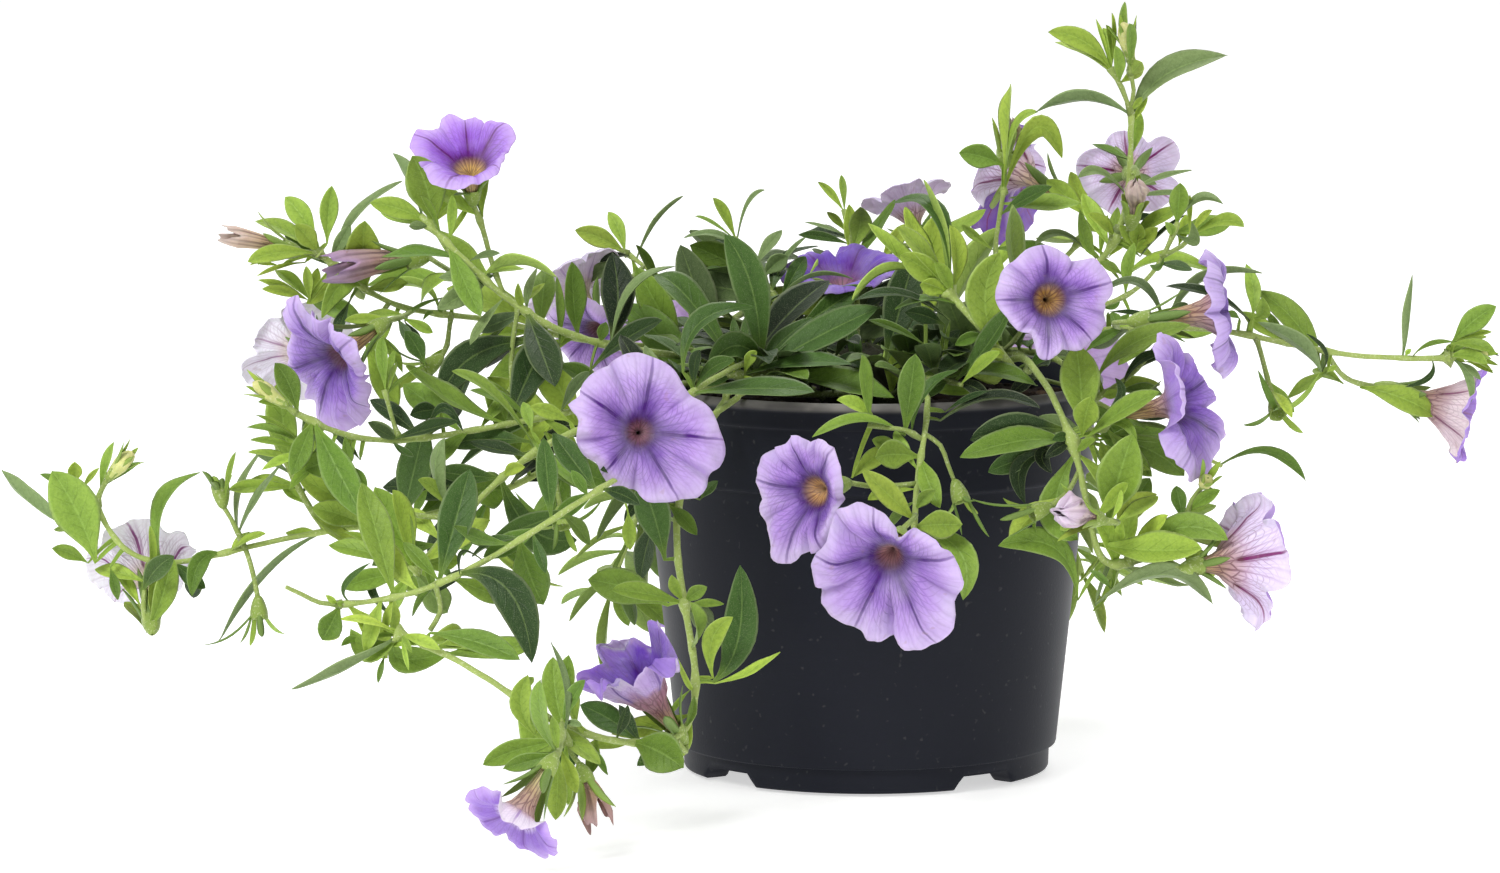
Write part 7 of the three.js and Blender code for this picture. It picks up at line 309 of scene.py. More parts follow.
         ((-86.1, -68.05, 68.26), (-83.94, -55.58, 69.62), (-79.5, -53.06, 69.54), 8.6, (0.47, -0.861, 0.194), "M", (-88.3, -58.06, 68.69)),
         ((-98.73, -73.82, 54.69), (-102.68, -77.27, 64.85), (-106.9, -82, 74.14), 7.92, (0.211, -0.93, -0.302), "L"),
         ((-98.73, -73.82, 54.69), (-100.83, -79.01, 65.09), (-102.87, -85.95, 74.02), 6.37, (0.859, -0.49, -0.15), "Y"),
         ((-98.73, -73.82, 54.69), (-109.67, -71.06, 58.62), (-117.76, -68, 59.53), 4.81, (-0.112, -0.706, 0.699), "L", (-101.92, -74, 56.02)),
         ((-98.73, -73.82, 54.69), (-107.36, -76.81, 60.7), (-113.51, -80, 64.07), 3, (0.655, -0.435, 0.618), "L", (-101.92, -74, 56.02)),
         ((-98.73, -73.82, 54.69), (-107.56, -78.04, 53.77), (-114.13, -82, 52.17), 4.53, (0.483, -0.848, 0.217), "B"),
         ((-98.73, -73.82, 54.69), (-94.8, -78.02, 50.34), (-91.32, -81.62, 46.88), 6.79, (0.382, 0.767, -0.516), "M"),
         ((-98.39, -73.67, 55.05), (-93.96, -69.9, 56.25), (-89.19, -66.09, 55.97), 4.99, (0.6, -0.77, 0.214), "B"),
         ((-93.04, -71.22, 60.81), (-97.06, -67.63, 64.39), (-101.18, -63.62, 66.6), 4.08, (-0.409, -0.772, 0.488), "Y"),
         ((-98.73, -73.82, 54.69), (-102.17, -76.34, 50.2), (-103.11, -78, 46.12), 3.17, (0.122, -0.895, 0.429), "L"),
         ((-98.73, -73.82, 54.69), (-107.89, -76.7, 52.04), (-103.9, -80, 45.98), 1.97, (-0.245, -0.74, 0.627), "D", (-101.93, -74, 53.83)),
         ((-79.8, -65.16, 73.68), (-77.76, -67.77, 76.1), (-74.89, -70.46, 76.94), 2.72, (-0.651, -0.75, -0.116), "Y"),
         ((-86.44, -68.21, 67.89), (-79.26, -71.82, 56.36), (-66.61, -76.22, 51.75), 5.36, (0.586, -0.16, 0.794), "Y"),
         ((-79.8, -65.16, 73.68), (-74.27, -53.65, 61.24), (-64.08, -49.25, 57.97), 8.6, (0.33, -0.935, -0.13), "E", (-80.68, -57.25, 73.42)),
         ((-97.04, -73.05, 56.51), (-95.42, -77.57, 54.51), (-94.66, -78.06, 51.15), 1.81, (-0.136, -0.705, 0.696), "M"),
         ((-69.46, -60.41, 80.66), (-67.3, -56.13, 79.09), (-64.42, -52.54, 73.88), 3.84, (0.85, -0.506, 0.147), "L", (-70.77, -60.46, 83.28)),
         ((-59.15, -55.37, 84.42), (-52.5, -60.39, 61.73), (-52.3, -62.51, 57.65), 3.4, (-0.01, -0.838, 0.546), "Y", (-52.79, -57.51, 65.31)),
         ((-97.15, -73.1, 56.39), (-90.22, -79.57, 62.06), (-81.98, -84.7, 67.31), 5.94, (-0.683, -0.7, 0.209), "Y"),
         ((-79.66, -65.1, 73.8), (-87.35, -66.11, 74.54), (-94.23, -69, 75.87), 4.59, (0.281, -0.882, 0.377), "E"),
         ((-92.08, -70.78, 61.84), (-81.24, -64.69, 57.83), (-72.85, -57.34, 50.86), 7.01, (0.625, -0.304, 0.719), "M"),
         ((-93.77, -71.56, 60.02), (-100.89, -72.44, 58.96), (-108.02, -74.01, 55.89), 5.25, (0.022, -0.896, 0.443), "M"),
         ((-73.9, -62.45, 78.28), (-65.29, -56.82, 74.63), (-56.82, -50.89, 70.88), 7.23, (0.554, -0.832, -0.021), "M"),
         ((-73.9, -62.45, 78.28), (-80.57, -59.01, 79.13), (-87.29, -55.97, 80.57), 4.24, (-0.114, -0.519, 0.847), "D"),
         ((-68.72, -64.34, 73.22), (-70.52, -65.35, 68.33), (-73.19, -67.43, 64.06), 3.89, (-0.518, -0.738, 0.432), "M"),
         ((-9.81, -7.26, 84.3), (-10.17, -16.44, 91.4), (-10.5, -24.92, 92.95), 6.18, (0.03, 0.523, 0.852), "K"),
         ((-13.83, -10.23, 86.1), (-19.8, -11.16, 90.51), (-25.31, -12.02, 92.62), 3.62, (0.514, -0.29, 0.807), "M"),
         ((-18.25, -17.09, 87.32), (-16.19, -22.47, 91.79), (-14.3, -27.44, 94.03), 3.57, (-0.412, 0.388, 0.824), "E"),
         ((-20.51, -20.49, 87.89), (-17.91, -27.9, 94.24), (-15.5, -34.73, 96.9), 6.04, (-0.155, 0.522, 0.839), "M"),
         ((-25.21, -27.14, 88.93), (-31.51, -28.24, 92.87), (-37.33, -29.25, 94.07), 4.35, (0.418, 0.068, 0.906), "M"),
         ((-30.22, -33.43, 89.81), (-36.48, -34.09, 93.5), (-42.26, -34.7, 95.11), 4.23, (0.389, 0.132, 0.912), "M"),
     ],
     "buds": [
     ]},
    {"node": "shoot_far_left",
     "stems": [
         (0.76, 0.55, 1, [-12.2, -0.1, 84.3, -17.2, -0.1, 86.1, -20.7, -1.4, 85.8, -24.2, -2.6, 85.7, -27.6, -3.9, 85.6, -31.1, -5.3, 85.8, -34.6, -6.9, 86.2, -38.1, -8.5, 86.9, -41.6, -10.3, 87.8, -45.1, -12.2, 88.9, -46.3, -12.8, 89.8, -46.4, -12.9, 89.8, -48.6, -14.2, 90.1, -50.4, -15.2, 89.8, -51.9, -15.7, 89, -51.9, -15.8, 88.5, -52.2, -16.2, 86.5, -55.4, -18.1, 83.1, -58.7, -20.1, 79.9, -62, -22.1, 77.1, -65.2, -24.1, 74.6, -68.5, -26, 72.4, -71.9, -27.9, 70.6, -75.2, -29.7, 68.9, -78.6, -31.4, 67.5, -82, -33, 66.2, -85.5, -34.5, 65.1, -89.1, -36, 64, -92.7, -37.3, 63.1, -96.4, -38.5, 62.3, -100.2, -39.7, 61.6, -104.1, -40.8, 61, -108, -41.9, 60.5, -112, -42.9, 60, -116, -43.9, 59.6, -120.1, -44.8, 59.1, -124.1, -45.7, 58.5, -128.1, -46.5, 57.9, -132, -47.2, 57.1, -135.8, -47.8, 56.3, -139.5, -48.4, 55.4, -143.1, -48.8, 54.6, -146.6, -49.2, 53.8, -150, -49.5, 53.3, -153.2, -49.6, 53, -156.2, -49.8, 53.2, -158.9, -49.9, 53.9, -161.4, -49.9, 55, -163.6, -50, 56.6, -165.4, -50, 58.7, -167, -50, 61.1, -168.3, -50, 63.7, -169.6, -50, 66.5]),
         (0.55, 0.47, 0, [-136.8, -47.8, 56, -139.7, -49, 62.4, -141.6, -49, 65.5]),
         (0.65, 0.55, 0, [-119.1, -44.3, 58.9, -121.6, -44.6, 62.6, -124, -44.8, 66.7, -126.3, -44.9, 71.1, -128.6, -44.9, 75.7]),
         (0.55, 0.6, 0, [-138.1, -48.2, 58.5, -136.6, -49.6, 55.6, -135.5, -50.9, 52.5, -134.6, -52, 49.1, -133.9, -53, 45.7]),
         (0.55, 0.6, 0, [-169.3, -50, 65.9, -168.1, -50.5, 69.2, -166.6, -51, 71.9]),
         (0.55, 0.62, 0, [-157.4, -49.8, 53.6, -158.4, -50.3, 49.3, -159, -50.9, 45.2, -158.9, -51.6, 41.8, -158.2, -52.4, 39.4, -157.5, -53.2, 38.3, -157.1, -53.8, 38.2]),
     ],
     "cups": [
         ((-141.6, -49, 65.46), (-0.151, 0, 0.988), 2, 4.6),
         ((-128.61, -44.88, 75.74), (-0.05, 0, 0.999), 2, 4.6),
         ((-133.86, -53, 45.68), (0.05, -0.202, -0.978), 2, 4.6),
         ((-166.59, -51, 71.91), (0.643, -0.337, 0.688), 1.35, 4.01),
         ((-157.06, -53.79, 38.19), (-0.087, 0.804, 0.588), 2.15, 4.8),
     ],
     "teeth": [
         ((-143.08, -50.51, 69.28), (-144.57, -52.26, 72.33), (-145.84, -54, 73.86), 1.6, (0.29, 0.67, 0.684), "M"),
         ((-142.79, -47.35, 69.32), (-143.45, -46.18, 70.84), (-143.98, -45, 71.55), 1.6, (0.12, -0.65, 0.751), "L"),
         ((-141.66, -50.66, 69.49), (-141.68, -51.33, 71.11), (-141.6, -52, 72.05), 1.6, (-0.347, 0.827, 0.442), "M"),
         ((-140.79, -48, 69.63), (-140.29, -47.5, 71.17), (-139.7, -47, 72.04), 1.6, (-0.73, -0.447, 0.516), "L"),
         ((-142.51, -50.72, 69.36), (-143.15, -52.86, 71.05), (-143.61, -55, 71.57), 1.6, (-0.051, 0.469, 0.882), "M"),
         ((-128.78, -46.63, 79.73), (-128.79, -48.25, 80.33), (-128.76, -49.88, 80.15), 1.6, (-0.052, 0.127, 0.991), "M"),
         ((-128.03, -43.31, 79.77), (-127.44, -42.1, 79.92), (-126.81, -40.88, 79.42), 1.6, (0.017, 0.135, 0.991), "L"),
         ((-127.4, -45.91, 79.8), (-126.07, -46.9, 80.24), (-124.7, -47.88, 79.89), 1.6, (-0.038, -0.009, 0.999), "M"),
         ((-129.94, -43.54, 79.67), (-130.2, -43.21, 79.29), (-130.45, -42.88, 78.57), 1.6, (-0.533, 0.593, 0.603), "L"),
         ((-128.39, -46.58, 79.75), (-127.91, -48.73, 81.01), (-127.39, -50.88, 81.16), 1.6, (-0.119, 0.284, 0.951), "M"),
         ((-135.33, -54.34, 41.79), (-140.29, -56.89, 37.53), (-145.4, -58.85, 36.18), 1.98, (0.498, -0.032, -0.867), "M"),
         ((-132.36, -52.64, 41.6), (-130.23, -51.41, 38.63), (-128.17, -49.85, 37.23), 1.6, (-0.394, -0.554, -0.734), "L"),
         ((-135.26, -54.51, 41.83), (-136.42, -55.83, 38.31), (-137.65, -56.85, 36.31), 1.6, (0.838, 0.266, -0.476), "M"),
         ((-134.69, -52.43, 41.43), (-135.18, -52.3, 37.37), (-135.75, -51.85, 34.88), 1.6, (0.568, -0.806, -0.164), "L"),
         ((-133.41, -55.5, 42.13), (-133, -57.82, 39.41), (-132.67, -59.85, 38.1), 1.6, (-0.086, 0.67, -0.737), "M"),
         ((-165.18, -52.77, 74.73), (-163.72, -54.6, 77.63), (-162.62, -56.58, 80.59), 1.48, (0.887, 0.427, -0.178), "L"),
         ((-164.33, -53.14, 73.77), (-162.45, -54.41, 75.61), (-160.58, -55.77, 77.39), 1.39, (0.033, 0.838, 0.544), "L"),
         ((-163.56, -52.14, 73.54), (-161.01, -53.09, 74.87), (-158.31, -53.99, 75.9), 1.37, (-0.496, -0.126, 0.859), "L"),
         ((-164.05, -51.13, 74.49), (-161.98, -51.14, 76.58), (-159.9, -50.8, 78.63), 1.44, (-0.063, -0.996, 0.056), "L"),
         ((-165.03, -51.77, 75.09), (-163.19, -52.7, 77.87), (-161.5, -53.55, 80.78), 1.64, (0.693, -0.408, -0.594), "L"),
         ((-158.15, -49.53, 39.22), (-159.25, -44.97, 40.56), (-160.56, -40.34, 41.3), 1.87, (0.343, -0.187, 0.921), "M"),
         ((-159.25, -50.65, 40.58), (-161.54, -46.74, 43.56), (-164.41, -43.09, 46.36), 1.99, (0.905, 0.367, 0.215), "M"),
         ((-157.99, -51.55, 42), (-159.17, -49.04, 46.62), (-160.52, -47.33, 51.54), 1.99, (0.243, 0.877, -0.413), "M"),
         ((-155.89, -50.96, 41.52), (-155.07, -47.87, 44.75), (-153.85, -45.06, 48.11), 2.13, (-0.816, 0.507, -0.279), "M"),
         ((-155.89, -49.76, 39.87), (-155.06, -44.77, 42.44), (-153.76, -39.8, 44.62), 2.11, (-0.821, -0.147, 0.552), "M"),
     ],
     "leaves": [
         ((-164.5, -49.97, 57.78), (-173.09, -53.71, 64.49), (-178.2, -58.97, 74.53), 10.19, (0.262, -0.923, -0.282), "L", (-169.46, -49.97, 53.2)),
         ((-165.11, -49.97, 58.59), (-174.75, -52.85, 55.55), (-178.6, -55.98, 57.16), 3.17, (0.589, -0.801, -0.109), "B", (-171.22, -49.98, 52.98)),
         ((-167.88, -49.99, 62.92), (-182.95, -46.84, 65.38), (-190.43, -42.99, 72.61), 6.27, (0.604, 0.609, 0.514), "G", (-172.9, -49.99, 60.29)),
         ((-169.1, -50.07, 66.39), (-173.75, -51.73, 73.35), (-173.55, -54, 75.84), 3.17, (0.054, -0.8, -0.597), "Y", (-173.9, -50, 70.45)),
         ((-169.1, -50.07, 66.39), (-170.54, -51.81, 72.11), (-168.32, -54, 74.52), 1.36, (-0.329, -0.86, -0.39), "Y", (-172.38, -50, 69.13)),
         ((-169.1, -50.07, 66.39), (-177.15, -48.08, 70.57), (-181.85, -46, 72.12), 2.09, (-0.155, -0.856, 0.494), "M", (-172.83, -50, 68.02)),
         ((-169.1, -50.07, 66.39), (-173.7, -52.79, 70.16), (-176.7, -56, 72.59), 1.96, (0.741, -0.67, 0.025), "L"),
         ((-155.47, -49.74, 53.26), (-154.96, -45.7, 65.22), (-147.09, -40.75, 71.86), 6.22, (-0.699, -0.469, 0.539), "B"),
         ((-156.19, -49.78, 53.21), (-157.12, -51.1, 55.09), (-157.31, -53.78, 61.7), 2.78, (0.737, -0.652, -0.177), "Y", (-157.03, -49.78, 48.08)),
         ((-157.77, -49.83, 53.75), (-155.87, -56.47, 52.55), (-151.64, -60.19, 55.97), 4.99, (-0.404, -0.832, -0.381), "E", (-159.45, -50.32, 46.6)),
         ((-141.75, -48.52, 54.92), (-146.54, -52.26, 53.53), (-148.07, -56.66, 46.67), 4.08, (0.306, -0.806, 0.507), "M"),
         ((-141.33, -48.93, 64.93), (-140.08, -53.33, 72.85), (-138.38, -55.19, 78.19), 1.71, (-0.631, -0.758, -0.162), "B"),
         ((-138.58, -48.28, 59.54), (-138.04, -45.85, 68.56), (-133.36, -42, 76.9), 3.8, (-0.823, -0.404, 0.399), "G"),
         ((-138.43, -48.24, 59.25), (-135.07, -52.15, 66.11), (-128.69, -56, 75.45), 3.66, (-0.876, -0.387, 0.289), "G"),
         ((-125.19, -44.88, 68.86), (-133.16, -47.86, 69.62), (-140.37, -50.88, 69.25), 4.34, (0.285, -0.576, 0.766), "L"),
         ((-121.06, -44.7, 58.66), (-131.85, -49.04, 50.86), (-142.63, -53.99, 36.09), 6.18, (-0.747, 0.337, 0.574), "G"),
         ((-110.98, -42.4, 60.07), (-116.22, -47.86, 63.56), (-122.13, -49.81, 65.11), 5.65, (0.449, -0.892, -0.047), "L"),
         ((-163.17, -49.95, 56.29), (-165.25, -53.25, 49.09), (-164.3, -55.95, 45.68), 2.27, (-0.084, -0.73, 0.678), "M", (-166.41, -49.95, 51.87)),
         ((-124.53, -44.88, 67.53), (-122.77, -42.54, 69.87), (-120.31, -39.88, 71.75), 2.27, (0.393, -0.786, 0.478), "M"),
         ((-169.1, -50.07, 66.39), (-167.09, -51.56, 74.73), (-164.99, -54, 80.25), 2.48, (-0.598, -0.796, -0.097), "L", (-168.44, -50, 68.69)),
         ((-169.1, -50.07, 66.39), (-164.17, -48.59, 72.68), (-159.83, -47, 74.91), 2, (-0.052, -0.835, 0.548), "M", (-168, -50, 69.57)),
         ((-99.36, -39.22, 62.06), (-95.86, -35.84, 63.77), (-92.45, -31.77, 66.65), 3.63, (0.377, -0.77, 0.515), "M"),
         ((-92.83, -37.01, 63.48), (-94.95, -32.79, 56.71), (-97.03, -29.27, 50.66), 4.08, (-0.243, -0.835, -0.495), "D"),
         ((-77.66, -30.71, 68.24), (-72.82, -27.15, 69.6), (-68.32, -23.2, 71.07), 3.63, (0.501, -0.776, 0.384), "K"),
         ((-62.82, -22.63, 76.57), (-68.37, -19.03, 87.65), (-73.96, -15.39, 98.81), 8.24, (-0.256, -0.95, 0.179), "Y"),
         ((-102.7, -40.35, 61.33), (-100.05, -47.24, 72.03), (-97.23, -52.5, 83.61), 8.24, (-0.113, -0.885, -0.451), "E"),
         ((-81.42, -32.54, 66.72), (-94.05, -35.62, 68.11), (-107.19, -34.46, 67.58), 8.24, (0.08, -0.885, 0.458), "D"),
         ((-107.66, -41.64, 60.53), (-116.34, -45, 66.49), (-125.55, -47.11, 72.16), 6.74, (0.399, -0.893, 0.207), "L"),
         ((-66.59, -24.86, 73.78), (-74.34, -29.85, 83.14), (-84.21, -31.07, 91.79), 8.24, (0.478, -0.862, 0.171), "Y"),
         ((-66.59, -24.86, 73.78), (-68.68, -25.35, 65), (-70.86, -25.57, 56.27), 5.64, (0.234, -0.972, -0.018), "M"),
         ((-74.84, -29.33, 69.38), (-79.14, -39.42, 81.66), (-84.39, -44.7, 92.73), 8.24, (0.588, -0.807, -0.046), "B"),
         ((-158.26, -52.48, 38.08), (-154.56, -53.72, 46.62), (-152.76, -52.97, 55.05), 5.18, (0.282, -0.959, -0.023), "B"),
         ((-155.6, -49.74, 53.25), (-156.7, -50.22, 47.56), (-156.51, -52.14, 40.98), 6.06, (0.592, -0.668, -0.452), "Y"),
         ((-83.62, -33.61, 65.84), (-86.58, -35.98, 59.27), (-89.52, -38.2, 52.73), 4.6, (-0.648, -0.575, 0.499), "M"),
         ((-158.26, -52.48, 38.08), (-160.72, -42.41, 40.08), (-164.26, -37.17, 42.4), 5.08, (0.276, -0.543, 0.793), "Y"),
         ((-55.77, -18.36, 82.89), (-61.01, -25.57, 89.38), (-68.77, -31.69, 94.46), 6.24, (0.799, -0.362, 0.48), "M"),
         ((-126.8, -44.88, 72.09), (-127.94, -52.64, 83.51), (-129.1, -56.88, 93.45), 7.45, (-0.197, -0.921, -0.335), "B"),
         ((-140.3, -48.33, 55.25), (-138.27, -45.5, 57.01), (-136.27, -42.62, 58.95), 2.83, (-0.066, -0.501, 0.863), "Y"),
         ((-122.17, -44.88, 62.78), (-116.98, -49.25, 59.55), (-111.7, -53.96, 57.04), 4.48, (0.122, -0.426, 0.896), "Y"),
         ((-123.33, -44.88, 65.11), (-126.44, -43.76, 67.45), (-129.11, -41.44, 69.44), 2.32, (-0.332, -0.903, 0.273), "L"),
         ((-168.59, -50, 64.43), (-173.41, -45.2, 61), (-179.35, -40.92, 59.12), 4.83, (-0.595, -0.259, 0.761), "L"),
         ((-36.7, -7.9, 86.65), (-45.21, -6.42, 96.68), (-54.05, -0.35, 104.46), 8.24, (0.069, -0.894, 0.444), "M"),
         ((-79.23, -31.47, 67.61), (-72.16, -37.49, 75.68), (-63.95, -38.31, 81.87), 6.24, (-0.627, -0.708, 0.326), "K"),
         ((-159.78, -50.97, 43.84), (-162.45, -48.66, 47.38), (-165, -46.5, 51.1), 3.5, (0.451, -0.579, 0.68), "Y"),
         ((-158.72, -50.31, 48.82), (-164.48, -49.11, 50.69), (-170.01, -46.63, 51.11), 4.25, (-0.072, -0.679, 0.731), "Y"),
         ((-153.04, -49.59, 53.41), (-149.03, -51.05, 50.33), (-145.33, -53.39, 47.86), 3.59, (-0.276, -0.925, 0.259), "E"),
         ((-147.87, -49.27, 53.73), (-148.32, -46.05, 48.56), (-148.63, -42.06, 44.07), 4.16, (-0.159, -0.793, -0.588), "D"),
         ((-110.16, -42.21, 60.18), (-102.67, -50.7, 53.44), (-94.49, -56.74, 45.22), 8.24, (-0.262, -0.82, 0.509), "B"),
         ((-100.29, -39.54, 61.85), (-98.92, -41.64, 64.91), (-97.05, -42.84, 68.28), 2.47, (-0.614, -0.785, -0.081), "B"),
         ((-120.21, -44.5, 58.78), (-124.14, -41.83, 58.27), (-128.48, -39.3, 58.16), 3.04, (-0.415, -0.5, 0.76), "Y"),
         ((-126.8, -44.88, 72.09), (-131.07, -44.86, 74.7), (-135.31, -44.86, 77.35), 3.45, (0.469, -0.452, 0.759), "G"),
         ((-140.3, -48.33, 55.25), (-136.56, -50.49, 57.98), (-132.17, -52.12, 59.82), 3.55, (-0.571, -0.326, 0.753), "L"),
         ((-62.82, -22.63, 76.57), (-66.8, -23.77, 79.25), (-70.33, -26.04, 82.05), 2.8, (0.426, -0.905, 0.02), "D"),
         ((-83.62, -33.61, 65.84), (-84.97, -33.6, 60.92), (-86.56, -32.96, 56.22), 2.69, (0.276, -0.948, -0.159), "L"),
         ((-125.64, -44.88, 69.77), (-131.46, -43.3, 69.98), (-136.93, -40.81, 69.53), 3.53, (-0.289, -0.769, 0.57), "L"),
         ((-12.2, -0.1, 84.3), (-17.73, 5.27, 90.53), (-22.84, 10.22, 92.32), 5.27, (0.389, -0.379, 0.839), "D"),
         ((-17.2, -0.15, 86.1), (-23.05, 6.62, 93.23), (-28.44, 12.86, 96.31), 6.08, (0.446, -0.319, 0.836), "E"),
         ((-24.17, -2.61, 85.66), (-24.19, -12.07, 91.58), (-24.21, -20.8, 94.21), 6.18, (0.267, 0.414, 0.87), "M"),
         ((-31.13, -5.35, 85.79), (-32.92, -12.28, 91.05), (-34.57, -18.68, 92.22), 4.66, (0.227, 0.457, 0.86), "M"),
         ((-34.62, -6.89, 86.2), (-38.27, -14.91, 90.86), (-41.64, -22.32, 91.5), 5.2, (0.172, 0.316, 0.933), "E"),
         ((-41.61, -10.32, 87.79), (-41.34, -19.34, 92.7), (-41.09, -27.66, 92.29), 6.17, (0.125, 0.371, 0.92), "E"),
     ],
     "buds": [
         ((-166.46, -51.07, 72.05), (-160.86, -54, 78.04), 1.7),
     ]},
    {"node": "shoot_low_left",
     "stems": [
         (0.76, 0.55, 1, [-3.7, -11.6, 84.3, -5.2, -16.4, 86.1, -7.8, -19.3, 86.5, -10.4, -22.3, 86.8, -13, -25.3, 87.2, -15.7, -28.5, 87.7, -18.3, -31.8, 88.2, -21, -35.3, 88.8, -23.6, -38.9, 89.5, -26.3, -42.6, 90.1, -28.2, -45.4, 89.8, -28.5, -45.8, 89.8, -28.7, -46.1, 89.6, -28.9, -46.4, 89, -31.1, -49.4, 87.8, -33.3, -52.4, 86.7, -35.4, -55.5, 85.6, -37.6, -58.6, 84.5, -39.8, -61.6, 83.4, -42, -64.6, 82.2, -44.3, -67.5, 81.1, -46.6, -70.4, 79.9, -49.1, -73.1, 78.6, -51.6, -75.8, 77.3, -54.2, -78.4, 75.9, -57, -80.8, 74.5, -59.8, -83.1, 73, -62.7, -85.3, 71.4, -65.8, -87.4, 69.7, -68.9, -89.4, 67.9, -72.1, -91.2, 66.1, -75.3, -92.8, 64.3, -78.6, -94.4, 62.4, -82, -95.8, 60.6, -85.5, -97.2, 58.9, -89, -98.4, 57.2, -92.5, -99.5, 55.8, -96.1, -100.6, 54.5, -99.8, -101.6, 53.6, -103.5, -102.5, 52.9, -107.2, -103.3, 52.4, -110.9, -104.2, 52.1, -114.6, -105, 51.9]),
         (0.55, 0.47, 0, [-113.2, -104.7, 52, -117.7, -106, 52.5, -121.3, -106.5, 54.3, -124.9, -107, 56.1]),
         (0.55, 0.6, 0, [-93.5, -99.6, 55.9, -92.6, -100.8, 52.6, -92.3, -101.8, 49.9, -94.4, -103.8, 46.3]),
     ],
     "cups": [
     ],
     "teeth": [
     ],
     "leaves": [
         ((-111.53, -104.29, 52.24), (-112.36, -106.57, 56.43), (-106.9, -109.32, 61.56), 1.53, (-0.582, -0.802, -0.132), "E"),
         ((-113.46, -104.74, 52.02), (-115.45, -108.19, 47.95), (-117.12, -110.92, 45.26), 5.43, (0.373, -0.709, 0.599), "M"),
         ((-114.01, -104.87, 51.96), (-115.04, -107.06, 53.21), (-116.3, -109.21, 54.67), 1.36, (0.542, -0.705, -0.456), "Y"),
         ((-112.53, -104.52, 52.13), (-113.24, -106.02, 52.33), (-114.04, -107.59, 52.71), 1.36, (0.83, -0.508, -0.231), "L"),
         ((-89.08, -98.29, 57.52), (-77.78, -102.9, 54.81), (-72.58, -108.4, 39.92), 7.92, (-0.195, -0.904, 0.381), "D"),
         ((-75.47, -92.91, 64.21), (-73.84, -89.32, 57.15), (-70.75, -84.92, 48.9), 7.92, (0.207, -0.891, -0.403), "M"),
         ((-89.89, -98.53, 57.22), (-90.81, -96.39, 57.48), (-92.57, -93.88, 58.68), 1.59, (-0.42, -0.674, 0.607), "M"),
         ((-83.04, -96.14, 60.15), (-87.7, -98.47, 62.36), (-88.06, -101.22, 57.8), 0.93, (0.443, -0.696, 0.566), "D"),
         ((-58.4, -81.88, 73.7), (-54.02, -85.69, 73.14), (-49.77, -89.26, 71.23), 3.24, (-0.443, -0.722, 0.531), "D"),
         ((-66.74, -87.97, 69.14), (-63.56, -83.98, 65.92), (-60.68, -80.56, 61.32), 3.54, (0.741, -0.671, -0.041), "M"),
         ((-47.01, -70.42, 79.67), (-42.65, -75.41, 75.87), (-39.11, -79.56, 70.98), 5.88, (-0.322, -0.783, 0.532), "D"),
         ((-50.44, -74.43, 77.9), (-54.19, -77.34, 77.97), (-58.47, -80.2, 77.6), 3.17, (0.628, -0.767, 0.133), "D"),
         ((-92.61, -99.37, 56.22), (-89.33, -95.87, 67.99), (-86.31, -89.48, 79.01), 8.24, (0.026, -0.92, 0.391), "E"),
         ((-68.81, -89.14, 67.97), (-69.63, -88.82, 76.99), (-70.41, -89.97, 85.92), 4.83, (0.07, -0.997, -0.031), "E"),
         ((-97.3, -100.8, 54.49), (-102.81, -95.89, 59.52), (-107.71, -93.52, 66.89), 6.63, (0.208, -0.76, 0.616), "Y"),
         ((-77.01, -93.57, 63.38), (-83.97, -96.26, 64.98), (-89.28, -100.68, 68.25), 4.17, (0.568, -0.605, 0.557), "M"),
         ((-90.27, -98.65, 57.08), (-84.05, -95.41, 53.88), (-77.77, -92.44, 51.04), 4.79, (0.484, -0.871, 0.082), "B"),
         ((-74.89, -92.6, 64.53), (-80.9, -91.79, 63.55), (-85.79, -90.15, 60.19), 4.32, (-0.411, -0.296, 0.863), "E"),
         ((-59.06, -82.48, 73.35), (-63.81, -80.74, 70.17), (-68.41, -78.69, 66.91), 3.9, (-0.481, -0.856, 0.191), "M"),
         ((-102.14, -102.11, 53.31), (-102.33, -99.16, 49.09), (-102, -96.98, 44.57), 3.01, (0.513, -0.738, -0.438), "Y"),
         ((-102.14, -102.11, 53.31), (-103.4, -102.74, 49.37), (-104.12, -102.63, 45.41), 2.7, (-0.607, -0.767, 0.207), "Y"),
         ((-72.86, -91.45, 65.68), (-71.34, -94.13, 61.68), (-69.87, -96.5, 57.53), 2.75, (0.039, -0.849, 0.527), "E"),
         ((-60.95, -83.96, 72.33), (-62.58, -86.04, 75.37), (-64.52, -87.6, 78.51), 2.77, (0.49, -0.846, -0.21), "M"),
         ((-59.06, -82.48, 73.35), (-63.79, -76.76, 78.48), (-68.78, -72.4, 84.62), 5.51, (-0.146, -0.795, 0.588), "E"),
         ((-112.19, -104.44, 52.16), (-106.64, -101.28, 45.37), (-103.83, -95.14, 39.09), 6.07, (0.675, -0.732, -0.093), "Y"),
         ((-102.14, -102.11, 53.31), (-105.53, -98.61, 65.2), (-109.21, -93.49, 76.6), 7.41, (0.144, -0.914, 0.38), "B"),
         ((-104.65, -102.69, 53.02), (-106.4, -106.19, 47.91), (-108.13, -105.58, 41.53), 3.9, (-0.154, -0.97, 0.188), "L"),
         ((-64.8, -86.73, 70.21), (-73.1, -80.95, 65.9), (-82, -75.65, 62.19), 5.94, (-0.608, -0.492, 0.623), "E"),
